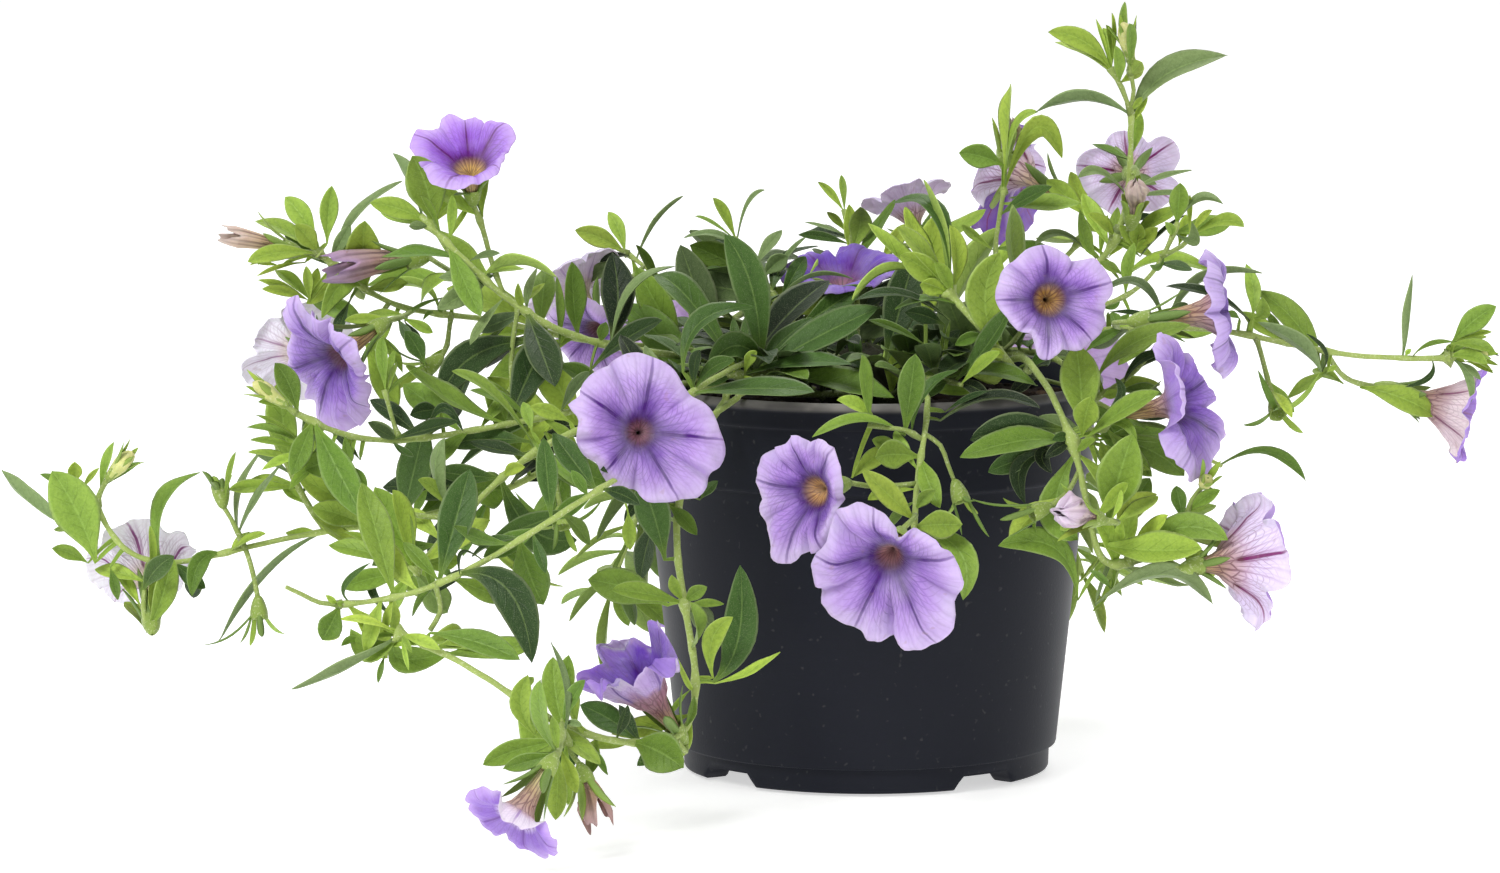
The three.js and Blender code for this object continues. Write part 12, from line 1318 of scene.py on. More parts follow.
         ((70.3, 12.12, 116.34), (71.32, 14.46, 119.06), (72.09, 15.53, 122.92), 2.68, (0.037, -0.898, 0.439), "Y"),
         ((65.49, 12.33, 112.14), (69.44, 10.69, 111.77), (73.29, 9.87, 110.87), 2.65, (-0.149, -0.757, 0.636), "S"),
         ((68.92, 12.08, 119.12), (75.82, 15.33, 119.95), (82.64, 18.23, 121.09), 5.23, (0.3, -0.821, 0.485), "L"),
         ((58.37, 12.86, 104.9), (59.08, 12.77, 110.8), (60.38, 13.64, 116.62), 3.57, (-0.564, -0.812, 0.146), "L"),
         ((11.04, 5.19, 84.3), (13.49, 13.75, 91.64), (15.76, 21.64, 92.97), 6.08, (-0.312, -0.477, 0.822), "M"),
         ((19.09, 8.77, 91.37), (23.28, 17.99, 94.09), (27.15, 26.5, 92.35), 5.32, (-0.028, -0.132, 0.991), "D"),
     ],
     "buds": [
     ]},
    {"node": "shoot_back_left",
     "stems": [
         (0.76, 0.55, 1, [-6.5, 10.3, 84.3, -9.1, 14.6, 86.1, -10.8, 17.1, 88.4, -12.5, 19.5, 90.6, -14.3, 22, 92.7, -16.1, 24.6, 94.5, -17.9, 27.1, 96.1, -19.7, 29.7, 97.3, -21.6, 32.3, 98.2, -23.5, 34.8, 98.5, -25.4, 37.4, 98.4, -27.3, 39.8, 97.8, -29.1, 42.1, 96.7, -30.8, 44.4, 95.2, -32.5, 46.5, 93.3, -34.1, 48.4, 91, -35.6, 50.3, 88.4, -37.1, 52, 85.6, -38.5, 53.6, 82.6, -39.8, 55.2, 79.5, -41.2, 56.7, 76.3, -42.5, 58.2, 73.1, -43.7, 59.6, 69.8, -45, 61, 66.5, -46.3, 62.4, 63.2, -47.6, 63.8, 59.9, -48.8, 65.1, 56.5, -50.1, 66.5, 53.1, -51.4, 67.8, 49.7, -52.7, 69.1, 46.2, -54, 70.5, 42.6, -55.2, 71.8, 39, -56.5, 73.1, 35.4, -57.8, 74.3, 31.7, -59.1, 75.7, 28]),
         (0.55, 0.62, 0, [-42.4, 58.1, 73.1, -43.2, 61.8, 76.4, -44, 65.5, 78.1]),
     ],
     "cups": [
         ((-44.02, 65.48, 78.14), (-0.203, 0.946, 0.254), 2.15, 4.8),
     ],
     "teeth": [
         ((-43.37, 69.95, 78.27), (-42, 74.64, 77.95), (-39.78, 78.76, 76.99), 2.48, (-0.809, 0.178, 0.56), "M"),
         ((-45.42, 69.72, 77.47), (-46.92, 73.79, 76.24), (-48.52, 77.5, 74.22), 2.13, (0.152, 0.337, 0.929), "M"),
         ((-46.66, 68.99, 79.19), (-50.07, 72.28, 80.24), (-54.09, 74.59, 81.07), 1.87, (0.782, 0.613, 0.111), "M"),
         ((-45.54, 68.8, 80.8), (-47.03, 72.09, 83.38), (-48.55, 74.39, 86.24), 2.21, (0.282, 0.611, -0.739), "M"),
         ((-43.64, 69.27, 80.56), (-43.41, 73.03, 82.78), (-42.68, 75.93, 85.18), 2.46, (-0.691, 0.362, -0.625), "M"),
     ],
     "leaves": [
         ((-10.81, 17.04, 88.27), (-12.39, 29.78, 87.75), (-14.4, 42.22, 84.98), 7.71, (-0.184, 0.104, 0.977), "D"),
         ((-13.42, 20.79, 91.6), (-11.6, 23.84, 101.89), (-10.12, 28.1, 112.05), 7.44, (-0.822, 0.566, 0.055), "Y"),
         ((-15.89, 24.29, 94.06), (-27.85, 26.34, 96.22), (-39.74, 29.17, 95.77), 7.34, (0.059, 0.291, 0.955), "Y"),
         ((-19.25, 29.02, 96.92), (-15.73, 37.92, 100.32), (-12.81, 47.58, 101.46), 6.07, (-0.482, -0.044, 0.875), "D"),
         ((-21.96, 32.7, 97.75), (-29.89, 33.32, 108.71), (-39.89, 35.28, 117.1), 7.89, (0.53, 0.747, 0.401), "D"),
         ((-24.68, 36.36, 98.26), (-30.97, 43.87, 88.17), (-35.97, 49.78, 77.24), 8.23, (-0.47, 0.61, 0.637), "D"),
         ((-28.2, 40.95, 96.75), (-28.29, 51.13, 103.62), (-29.02, 62.6, 106.81), 7.13, (-0.67, -0.321, 0.669), "D"),
         ((-30.8, 44.3, 95.22), (-42.08, 43.01, 94.46), (-52.82, 42.56, 90.71), 4.08, (-0.206, 0.599, 0.774), "D"),
         ((-33.13, 47.18, 91.95), (-28.23, 53.08, 85.72), (-24.55, 58.16, 77.94), 3.58, (-0.329, 0.839, 0.434), "Y"),
         ((-35.76, 50.41, 88.14), (-43.17, 57.55, 90.85), (-50.75, 64.95, 90.09), 6.34, (0.161, 0.034, 0.986), "K"),
         ((-37.92, 52.94, 83.4), (-41.46, 47.41, 74.53), (-44.48, 43.32, 64.52), 6.71, (-0.919, 0.376, 0.117), "M"),
         ((-40.22, 55.63, 78.37), (-37.55, 65.35, 76.17), (-35.5, 74.09, 71.2), 6.13, (-0.544, 0.427, 0.722), "M"),
         ((-42.66, 58.37, 72.43), (-54.64, 59.12, 70.82), (-65.57, 60.11, 65.75), 7.22, (-0.192, 0.578, 0.793), "M"),
         ((-44.76, 60.66, 66.99), (-40.6, 60.21, 58.85), (-37.58, 60.02, 50.11), 5.52, (-0.33, 0.926, -0.184), "B"),
         ((-46.51, 62.56, 62.45), (-49.94, 70.14, 62.33), (-53.24, 77.12, 59.67), 4.88, (-0.345, 0.026, 0.938), "M"),
         ((-48.36, 64.57, 57.67), (-55.48, 59.66, 51.29), (-61.51, 55.93, 43.14), 6.46, (-0.781, 0.451, 0.432), "M"),
         ((-50.64, 67.02, 51.66), (-45.74, 74.01, 45.49), (-42.04, 79.92, 37.61), 3.77, (-0.435, 0.781, 0.448), "D"),
         ((-50.64, 67.02, 51.66), (-58.08, 70.64, 50.93), (-64.92, 74.08, 47.78), 4.94, (-0.057, 0.391, 0.918), "L"),
         ((-51.73, 68.13, 48.62), (-50.98, 63.83, 38.77), (-50.65, 60.75, 28.38), 6.48, (-0.851, 0.475, -0.222), "B"),
         ((-51.73, 68.13, 48.62), (-52.15, 75.68, 46.88), (-52.7, 82.35, 43.1), 4.59, (-0.558, 0.271, 0.784), "L"),
         ((-52.96, 69.39, 45.17), (-60.44, 67.97, 42), (-66.88, 66.92, 36.95), 2.96, (-0.495, 0.575, 0.651), "L"),
         ((-52.96, 69.39, 45.17), (-48.64, 71.52, 38.28), (-45.46, 73.32, 30.65), 5.06, (-0.335, 0.939, 0.073), "M"),
         ((-54.18, 70.63, 41.76), (-59.22, 76.44, 41.02), (-63.84, 81.69, 38.03), 4.54, (-0.209, 0.151, 0.966), "L"),
         ((-54.18, 70.63, 41.76), (-57.09, 66.9, 35.98), (-59.5, 64.08, 29.41), 2.71, (-0.908, 0.376, 0.183), "L"),
         ((-55.42, 71.9, 38.29), (-53.33, 78.38, 34.64), (-51.77, 83.82, 29.46), 4.59, (-0.548, 0.606, 0.577), "L"),
         ((-55.42, 71.9, 38.29), (-63.65, 73.62, 36.34), (-70.93, 75.26, 32.11), 5.12, (-0.216, 0.536, 0.816), "L"),
         ((-56.63, 73.13, 34.91), (-54.5, 71.87, 28), (-53.02, 71.03, 20.79), 4.43, (-0.607, 0.747, -0.271), "E"),
         ((-56.63, 73.13, 34.91), (-58.96, 80.04, 33.44), (-61.14, 86.16, 29.98), 4.4, (-0.479, 0.166, 0.862), "L"),
         ((-57.59, 74.11, 32.22), (-63.37, 71.47, 27.79), (-68.22, 69.5, 22.06), 4.63, (-0.699, 0.525, 0.487), "L"),
         ((-57.59, 74.11, 32.22), (-53.2, 78.97, 25.38), (-49.96, 83, 17.44), 5.67, (-0.432, 0.855, 0.287), "L"),
         ((-58.87, 75.42, 28.63), (-64.93, 79.56, 27.35), (-70.4, 83.35, 24.04), 4.44, (-0.149, 0.325, 0.934), "L"),
         ((-58.87, 75.42, 28.63), (-59.92, 71.35, 20.15), (-60.95, 68.45, 11.19), 5.65, (-0.897, 0.437, -0.068), "L"),
         ((-16.71, 25.44, 94.76), (-5.15, 37.06, 89.68), (7.62, 46.07, 86.67), 8.24, (0.343, -0.709, 0.617), "L"),
         ((-41.83, 57.46, 74.6), (-30.99, 64.68, 74.55), (-20.45, 72.26, 73.76), 8.24, (0.351, -0.462, 0.814), "D"),
         ((-33.75, 47.94, 91.07), (-42.15, 48.53, 87.79), (-50.34, 49.23, 84.12), 6.15, (-0.249, -0.864, 0.438), "M"),
         ((-57.97, 74.5, 31.15), (-50.7, 74.44, 25.77), (-44.43, 76.18, 19.45), 6.22, (0.444, -0.801, 0.402), "L"),
         ((-57.97, 74.5, 31.15), (-56.46, 74.53, 25.28), (-54.49, 76.45, 19.86), 3.45, (-0.216, -0.95, -0.228), "B"),
         ((-49.67, 66, 54.28), (-52.63, 65.14, 50.29), (-55.36, 65.56, 46.07), 2.71, (-0.164, -0.972, 0.169), "D"),
         ((-6.47, 10.35, 84.3), (-4.15, 17.56, 91.34), (-2.01, 24.21, 94.31), 5.83, (-0.204, -0.57, 0.796), "K"),
         ((-9.11, 14.59, 86.1), (-5.69, 22.97, 92.21), (-2.53, 30.7, 92.4), 6.49, (-0.225, -0.408, 0.885), "D"),
         ((-14.27, 22.02, 92.69), (-13.3, 28.53, 96.7), (-12.41, 34.54, 97.27), 4.43, (-0.011, -0.421, 0.907), "M"),
         ((-16.05, 24.55, 94.55), (-14.18, 31.08, 100.65), (-12.46, 37.1, 101.68), 5.09, (-0.27, -0.533, 0.802), "K"),
         ((-19.73, 29.69, 97.33), (-19.23, 36.88, 99.48), (-18.77, 43.51, 97.92), 4.4, (0.015, -0.161, 0.987), "E"),
         ((-23.52, 34.83, 98.51), (-19.71, 41.23, 102.09), (-16.19, 47.14, 101.43), 5.02, (-0.084, -0.321, 0.943), "M"),
     ],
     "buds": [
     ]},
    {"node": "shoot_back_mid",
     "stems": [
         (0.76, 0.55, 1, [0.6, 11.4, 88.2, 0.9, 16.4, 90, 0.7, 19.9, 91.8, 0.6, 23.4, 93.4, 0.5, 26.9, 94.9, 0.5, 30.3, 96.2, 0.5, 33.8, 97, 0.6, 37.1, 97.4, 0.8, 40.4, 97.3, 1, 43.6, 96.7, 1.2, 46.6, 95.6, 1.5, 49.5, 93.9, 1.8, 52.1, 91.8, 2.1, 54.6, 89.2, 2.4, 56.8, 86.2, 2.7, 58.9, 83, 3, 60.9, 79.5, 3.4, 62.7, 75.9, 3.7, 64.5, 72.2, 4, 66.2, 68.5, 4.3, 67.8, 64.7, 4.7, 69.4, 61, 5, 70.9, 57.3, 5.3, 72.4, 53.6, 5.6, 73.9, 49.9, 6, 75.3, 46.2, 6.3, 76.7, 42.5, 6.7, 78.1, 38.9, 7, 79.5, 35.1, 7.4, 80.8, 31.4, 7.7, 82.2, 27.6, 8.1, 83.5, 23.7, 8.5, 84.9, 19.8, 8.8, 86.2, 15.9, 9.2, 87.5, 12]),
         (0.55, 0.62, 0, [6, 75.3, 46.2, 6.6, 79.4, 48.9, 7.2, 83.5, 49.9]),
     ],
     "cups": [
         ((7.22, 83.45, 49.91), (0.151, 0.987, 0.05), 2.15, 4.8),
     ],
     "teeth": [
         ((9.51, 87.31, 49.36), (12.47, 91.02, 48.49), (15.99, 93.79, 47.25), 1.98, (-0.708, 0.592, 0.385), "M"),
         ((8.06, 87.58, 48.3), (8.93, 91.68, 46.16), (9.77, 94.94, 43.26), 2.34, (-0.032, 0.417, 0.908), "M"),
         ((6.12, 87.81, 49.55), (4.53, 92.21, 49.02), (2.13, 95.86, 48.22), 2.37, (0.893, 0.337, 0.297), "M"),
         ((6.91, 87.58, 51.71), (6.5, 91.67, 53.66), (5.63, 94.92, 56.13), 2.29, (0.527, 0.346, -0.776), "M"),
         ((8.83, 87.29, 51.66), (10.72, 91.01, 53.89), (12.89, 93.78, 56.72), 1.98, (-0.418, 0.529, -0.739), "M"),
     ],
     "leaves": [
         ((0.57, 19.61, 91.78), (8.02, 30.73, 90.45), (14.47, 41.68, 86.99), 7.99, (-0.093, 0.322, 0.942), "Y"),
         ((0.54, 24.06, 93.72), (1.07, 31.34, 103.52), (1.64, 36.45, 112.51), 6.07, (-0.196, 0.968, -0.159), "K"),
         ((0.54, 28.92, 95.43), (-8.74, 38.82, 93.67), (-17, 48.86, 89.25), 8.2, (0.094, 0.377, 0.921), "D"),
         ((0.6, 34.75, 96.83), (10.68, 40.57, 100.96), (20.76, 47.64, 101.86), 7.37, (-0.42, 0.348, 0.838), "D"),
         ((0.76, 39.5, 97.16), (-5.3, 45.43, 105.36), (-11.88, 53.22, 110.94), 6.95, (0.812, 0.206, 0.546), "D"),
         ((1.19, 46.04, 95.8), (2.51, 47.72, 89.35), (3.59, 49.44, 77.71), 5.81, (0.133, 0.94, 0.313), "Y"),
         ((1.58, 49.93, 93.27), (8.3, 59.27, 98.06), (15.14, 69.48, 98.83), 7.35, (-0.57, 0.175, 0.802), "D"),
         ((2.06, 54.06, 89.7), (-8.73, 59.65, 85.74), (-17.9, 65.21, 78.81), 4.58, (0.064, 0.754, 0.654), "D"),
         ((2.44, 56.8, 85.97), (12.82, 54.96, 78.65), (21.4, 53.94, 69.07), 7.7, (0.497, 0.758, 0.423), "L"),
         ((2.81, 59.36, 82.04), (2, 72.32, 83.44), (1.33, 85, 80.63), 7.77, (0.213, 0.067, 0.975), "D"),
         ((3.19, 61.5, 77.78), (-2.17, 58.07, 69.62), (-6.34, 55.59, 60.31), 3.76, (-0.495, 0.868, -0.034), "K"),
         ((3.6, 63.86, 73.07), (13.39, 68.72, 70.78), (22.01, 73.23, 65.4), 6.64, (-0.008, 0.654, 0.756), "Y"),
         ((4.09, 66.57, 67.48), (-1.59, 72.76, 65.36), (-6.45, 78.39, 60.96), 5.16, (0.225, 0.618, 0.753), "M"),
         ((4.63, 69.03, 61.45), (7.68, 63.98, 53.79), (10.16, 60.2, 45.09), 5.85, (0.79, 0.609, -0.065), "Y"),
         ((5.12, 71.28, 55.92), (9.33, 80.32, 54.97), (13.18, 88.54, 51.05), 5.9, (-0.065, 0.305, 0.95), "Y"),
         ((5.5, 73, 51.7), (-2.72, 73.84, 44.99), (-9.24, 74.7, 36.61), 6.37, (-0.269, 0.896, 0.353), "M"),
         ((6.07, 75.62, 45.29), (14.64, 75.09, 39.89), (21.72, 74.9, 32.61), 6.07, (0.448, 0.736, 0.507), "M"),
         ((6.53, 77.54, 40.26), (4.22, 87.12, 38.05), (2.29, 95.67, 33.13), 6, (0.279, 0.409, 0.869), "M"),
         ((6.53, 77.54, 40.26), (4.72, 73.8, 33.46), (3.37, 71.08, 26.05), 4.78, (-0.024, 0.911, -0.412), "M"),
         ((6.82, 78.62, 37.22), (13.87, 84.18, 34.61), (19.98, 89.13, 29.63), 5.56, (-0.001, 0.592, 0.806), "M"),
         ((6.82, 78.62, 37.22), (0.21, 83.44, 32.81), (-5.18, 87.61, 26.53), 3.32, (0.074, 0.807, 0.586), "M"),
         ((7.17, 79.92, 33.52), (11.94, 76.5, 26.97), (15.76, 73.94, 19.36), 5.3, (0.735, 0.658, 0.162), "L"),
         ((7.17, 79.92, 33.52), (8.84, 87.88, 31.92), (10.36, 94.91, 28.05), 4.88, (0.108, 0.326, 0.939), "L"),
         ((7.46, 81.01, 30.44), (1.41, 79.54, 22.77), (-3.25, 78.53, 14.05), 3.56, (-0.337, 0.939, 0.069), "L"),
         ((7.46, 81.01, 30.44), (15.41, 82.83, 26.22), (22.04, 84.47, 20.08), 5.49, (0.272, 0.74, 0.616), "L"),
         ((7.79, 82.25, 26.92), (4.62, 88.47, 24.38), (2.01, 93.78, 20.07), 4.38, (0.27, 0.596, 0.756), "L"),
         ((7.79, 82.25, 26.92), (8.37, 78.11, 19.82), (8.87, 75, 12.08), 5, (0.594, 0.737, -0.323), "L"),
         ((8.04, 83.17, 24.32), (13.08, 89.91, 21.97), (17.45, 95.8, 17.39), 5.17, (-0.009, 0.492, 0.871), "L"),
         ((8.04, 83.17, 24.32), (2.15, 85.43, 19.28), (-2.51, 87.34, 12.99), 4.81, (-0.085, 0.911, 0.403), "L"),
         ((8.41, 84.55, 20.43), (14.52, 82.91, 14.71), (19.45, 81.76, 7.79), 5.12, (0.583, 0.737, 0.341), "L"),
         ((8.41, 84.55, 20.43), (8.11, 91.89, 18.35), (7.92, 98.28, 14.33), 4.51, (0.234, 0.405, 0.884), "L"),
         ((8.69, 85.62, 17.38), (5.82, 83.14, 10.93), (3.67, 81.36, 3.94), 4.49, (-0.175, 0.955, -0.241), "L"),
         ((8.69, 85.62, 17.38), (16.63, 89.89, 13.34), (23.3, 93.65, 7.14), 3.53, (0.12, 0.695, 0.709), "L"),
         ((8.97, 86.65, 14.46), (3.55, 92.72, 9.96), (-0.82, 97.91, 3.64), 5.54, (0.188, 0.762, 0.62), "L"),
         ((8.97, 86.65, 14.46), (11.62, 83.34, 8.19), (13.73, 80.94, 1.31), 2.72, (0.714, 0.698, -0.046), "L"),
         ((9.15, 87.32, 12.56), (12.38, 95.25, 9.33), (15.13, 102.02, 4.62), 5.19, (0.065, 0.426, 0.903), "L"),
         ((9.15, 87.32, 12.56), (2.78, 86, 5.09), (-2.18, 88.2, 0.7), 5.91, (-0.192, 0.966, 0.174), "L"),
         ((3.73, 64.61, 71.58), (2.71, 73.4, 76.82), (2.92, 79.67, 84.28), 7.34, (0.351, -0.679, 0.645), "D"),
         ((1, 43.73, 96.68), (3.93, 47.04, 100.75), (6.83, 50.89, 104.34), 4.1, (0.034, -0.743, 0.668), "K"),
         ((0.62, 11.38, 88.2), (-7.2, 14.8, 92.25), (-14.42, 17.96, 92.21), 4.69, (0.249, -0.217, 0.944), "D"),
         ((0.74, 19.87, 91.77), (6.24, 27.73, 94.73), (11.32, 34.99, 93.36), 5.21, (-0.199, -0.066, 0.978), "E"),
         ((0.52, 26.85, 94.93), (-4.6, 29.52, 100.45), (-9.33, 31.98, 101.94), 4.5, (0.393, -0.527, 0.754), "D"),
         ((0.49, 30.32, 96.15), (9.52, 34.58, 98.63), (17.85, 38.52, 97), 5.77, (-0.061, -0.132, 0.989), "K"),
         ((0.62, 37.14, 97.41), (-6.05, 43.36, 100.43), (-12.21, 49.11, 98.16), 5.69, (0.196, -0.068, 0.978), "D"),
         ((0.99, 43.6, 96.73), (7.41, 47.65, 99.1), (13.34, 51.39, 99.2), 4.98, (-0.044, -0.247, 0.968), "D"),
     ],
     "buds": [
     ]},
    {"node": "shoot_back_right",
     "stems": [
         (0.76, 0.55, 1, [5.4, 10.9, 84.3, 7.7, 15.4, 86.1, 9.2, 18, 88.4, 10.8, 20.7, 90.6, 12.5, 23.4, 92.7, 14.1, 26.1, 94.5, 15.8, 28.8, 96.1, 17.5, 31.6, 97.3, 19.2, 34.4, 98.2, 20.9, 37.2, 98.5, 22.6, 40, 98.4, 24.2, 42.6, 97.9, 25.8, 45.2, 96.8, 27.4, 47.7, 95.3, 28.9, 50, 93.4, 30.3, 52.2, 91.2, 31.6, 54.2, 88.7, 32.9, 56.2, 85.9, 34.1, 58, 83, 35.3, 59.8, 80, 36.4, 61.5, 76.9, 37.5, 63.1, 73.7, 38.6, 64.7, 70.5, 39.8, 66.3, 67.3, 40.9, 67.9, 64.1, 42, 69.5, 60.9, 43.1, 71, 57.6, 44.2, 72.5, 54.3, 45.3, 74.1, 51, 46.4, 75.6, 47.6, 47.5, 77.1, 44.2, 48.6, 78.6, 40.7, 49.7, 80.1, 37.1, 50.8, 81.6, 33.6, 51.9, 83.1, 30]),
         (0.55, 0.62, 0, [37.5, 63, 73.7, 39.3, 66.5, 76.9, 41.1, 69.9, 78.4]),
     ],
     "cups": [
         ((41.12, 69.88, 78.44), (0.458, 0.865, 0.204), 2.15, 4.8),
     ],
     "teeth": [
         ((44.63, 72.7, 78.86), (48.89, 75.1, 79.06), (53.47, 76.41, 78.91), 2.48, (-0.558, 0.774, 0.298), "M"),
         ((43.26, 73.75, 77.48), (45.34, 77.44, 75.95), (47.27, 80.8, 73.64), 2.13, (0.125, 0.318, 0.94), "M"),
         ((41.51, 74.38, 78.74), (41.22, 79.22, 78.8), (39.87, 83.73, 78.44), 1.87, (0.934, -0.058, 0.352), "M"),
         ((41.77, 73.8, 80.6), (42.45, 77.65, 82.7), (42.34, 80.87, 85.04), 2.21, (0.786, 0.112, -0.608), "M"),
         ((43.45, 72.83, 80.95), (45.69, 75.81, 83.23), (47.67, 77.86, 85.8), 2.46, (-0.078, 0.602, -0.794), "M"),
     ],
     "leaves": [
         ((9.21, 17.97, 88.24), (8.4, 31.41, 88.39), (8.19, 44.72, 86.1), 8.06, (0.208, 0.088, 0.974), "D"),
         ((12.01, 22.59, 92.07), (20.89, 21.26, 98.27), (30.88, 20.69, 102.61), 6.51, (-0.387, 0.488, 0.782), "D"),
         ((14.22, 26.25, 94.33), (9.84, 31.59, 103.03), (5.49, 38.74, 110.05), 6.53, (0.835, -0.092, 0.543), "D"),
         ((16.48, 29.97, 96.42), (24.4, 40.24, 92.19), (31.66, 46.65, 85.73), 7.26, (0.229, 0.39, 0.892), "Y"),
         ((19.06, 34.22, 97.69), (24.09, 35.05, 108.41), (30.76, 37.22, 117.55), 6.88, (-0.515, 0.839, 0.179), "Y"),
         ((22.17, 39.3, 98.35), (18.45, 48, 98.22), (15.53, 56.68, 95.81), 5.67, (0.418, 0.291, 0.86), "D"),
         ((24.6, 43.2, 97.13), (37.16, 42.99, 93.87), (48.51, 43.58, 87.49), 7.79, (0.313, 0.577, 0.754), "D"),
         ((27.75, 48.25, 94.73), (30.3, 59.06, 100.8), (33.45, 71.03, 103.01), 7.51, (0.413, -0.399, 0.819), "D"),
         ((30.57, 52.64, 90.27), (26.18, 53.53, 79.18), (23.1, 54.67, 67.48), 7.26, (0.264, 0.965, -0.007), "D"),
         ((32.95, 56.26, 85.34), (43.49, 58.43, 85.2), (53.29, 60.73, 81.75), 6.36, (0.019, 0.604, 0.797), "D"),
         ((34.89, 59.18, 80.58), (31.34, 68.69, 78.88), (28.44, 77.32, 74.3), 6.09, (0.508, 0.447, 0.737), "E"),
         ((36.69, 61.86, 76.06), (39.59, 57.18, 68.28), (42.09, 53.83, 59.69), 3.42, (0.886, 0.459, 0.066), "M"),
         ((38.62, 64.62, 70.44), (46.09, 73.05, 71.2), (53.24, 81.14, 68.38), 6.66, (-0.032, 0.157, 0.987), "M"),
         ((40.46, 67.25, 65.1), (34.41, 71.08, 58.16), (29.8, 74.35, 49.91), 5.97, (0.194, 0.937, 0.291), "M"),
         ((41.89, 69.29, 60.95), (50.98, 67.44, 56.6), (58.77, 66.16, 50.04), 6.14, (0.507, 0.624, 0.595), "L"),
         ((43.35, 71.37, 56.72), (43.99, 79.73, 55.84), (44.76, 87.39, 52.53), 5.01, (0.478, 0.185, 0.859), "M"),
         ((43.35, 71.37, 56.72), (41.7, 68.93, 48.73), (40.62, 67.28, 40.4), 5.12, (0.571, 0.768, -0.29), "M"),
         ((44.4, 72.86, 53.61), (52.52, 76.48, 52.55), (59.92, 79.99, 48.95), 3.2, (0.028, 0.505, 0.863), "M"),
         ((44.4, 72.86, 53.61), (40.1, 79.83, 49.25), (36.77, 85.89, 43.06), 5.54, (0.42, 0.708, 0.568), "D"),
         ((45.26, 74.02, 50.92), (49.75, 70.63, 45.1), (53.46, 68.15, 38.3), 4.86, (0.808, 0.52, 0.278), "L"),
         ((45.26, 74.02, 50.92), (48.93, 80.88, 50.59), (52.4, 87.23, 47.92), 4.6, (0.215, 0.108, 0.971), "L"),
         ((46.42, 75.61, 47.28), (42.11, 76.6, 39.9), (38.94, 77.54, 31.89), 5.18, (0.226, 0.974, 0.005), "L"),
         ((46.42, 75.61, 47.28), (56.38, 75.96, 43.8), (65.01, 76.52, 37.8), 3.77, (0.329, 0.641, 0.694), "L"),
         ((47.24, 76.72, 44.72), (45.91, 86.33, 42.06), (44.98, 94.78, 36.84), 5.96, (0.526, 0.4, 0.751), "L"),
         ((47.24, 76.72, 44.72), (48.16, 73.01, 36.23), (49.03, 70.37, 27.24), 5.62, (0.81, 0.571, -0.13), "Y"),
         ((48.17, 77.99, 41.8), (56.07, 84.26, 40.73), (63.25, 90.04, 36.73), 6, (0.033, 0.359, 0.933), "L"),
         ((48.17, 77.99, 41.8), (42.99, 83.31, 35.37), (39.05, 87.76, 27.54), 5.87, (0.328, 0.867, 0.375), "L"),
         ((49.29, 79.51, 38.29), (55.49, 77.27, 33.36), (60.64, 75.65, 27.1), 4.93, (0.658, 0.604, 0.45), "Y"),
         ((49.29, 79.51, 38.29), (51.22, 86.74, 37.19), (53.05, 93.24, 33.97), 4.47, (0.409, 0.176, 0.895), "L"),
         ((50.3, 80.89, 35.11), (47.44, 79.78, 26.44), (45.43, 79.15, 17.42), 5.53, (0.425, 0.881, -0.207), "L"),
         ((50.3, 80.89, 35.11), (58.6, 83.28, 32.78), (65.89, 85.57, 28.17), 5.33, (0.174, 0.596, 0.784), "Y"),
         ((51.31, 82.26, 31.96), (48.86, 88.94, 28.37), (47.01, 94.68, 23.17), 4.76, (0.5, 0.61, 0.615), "L"),
         ((51.31, 82.26, 31.96), (54.25, 79.06, 25.38), (56.68, 76.79, 18.21), 4.72, (0.83, 0.547, 0.105), "Y"),
         ((35.1, 59.49, 80.07), (25.27, 67.14, 75.81), (13.21, 72.07, 73.96), 7.79, (-0.516, -0.61, 0.602), "K"),
         ((7.65, 15.4, 86.1), (6.4, 23.77, 92.07), (5.25, 31.5, 93.77), 6.21, (-0.128, -0.497, 0.858), "M"),
         ((9.24, 18.03, 88.4), (18.13, 17.7, 91.42), (26.34, 17.4, 91.84), 5.93, (-0.2, -0.297, 0.934), "K"),
         ((12.47, 23.35, 92.7), (11.79, 31.17, 95.5), (11.17, 38.39, 95.12), 4.59, (0.23, -0.19, 0.954), "E"),
         ((15.79, 28.83, 96.13), (11.75, 36.08, 102), (8.01, 42.77, 104.94), 5.48, (-0.07, -0.561, 0.825), "M"),
         ((17.48, 31.63, 97.35), (16.62, 40.1, 99.61), (15.83, 47.91, 97.96), 4.81, (0.005, -0.128, 0.992), "M"),
         ((20.89, 37.22, 98.54), (18.24, 44.69, 100.17), (15.8, 51.59, 97.23), 4.48, (0.154, -0.02, 0.988), "E"),
     ],
     "buds": [
     ]},
]
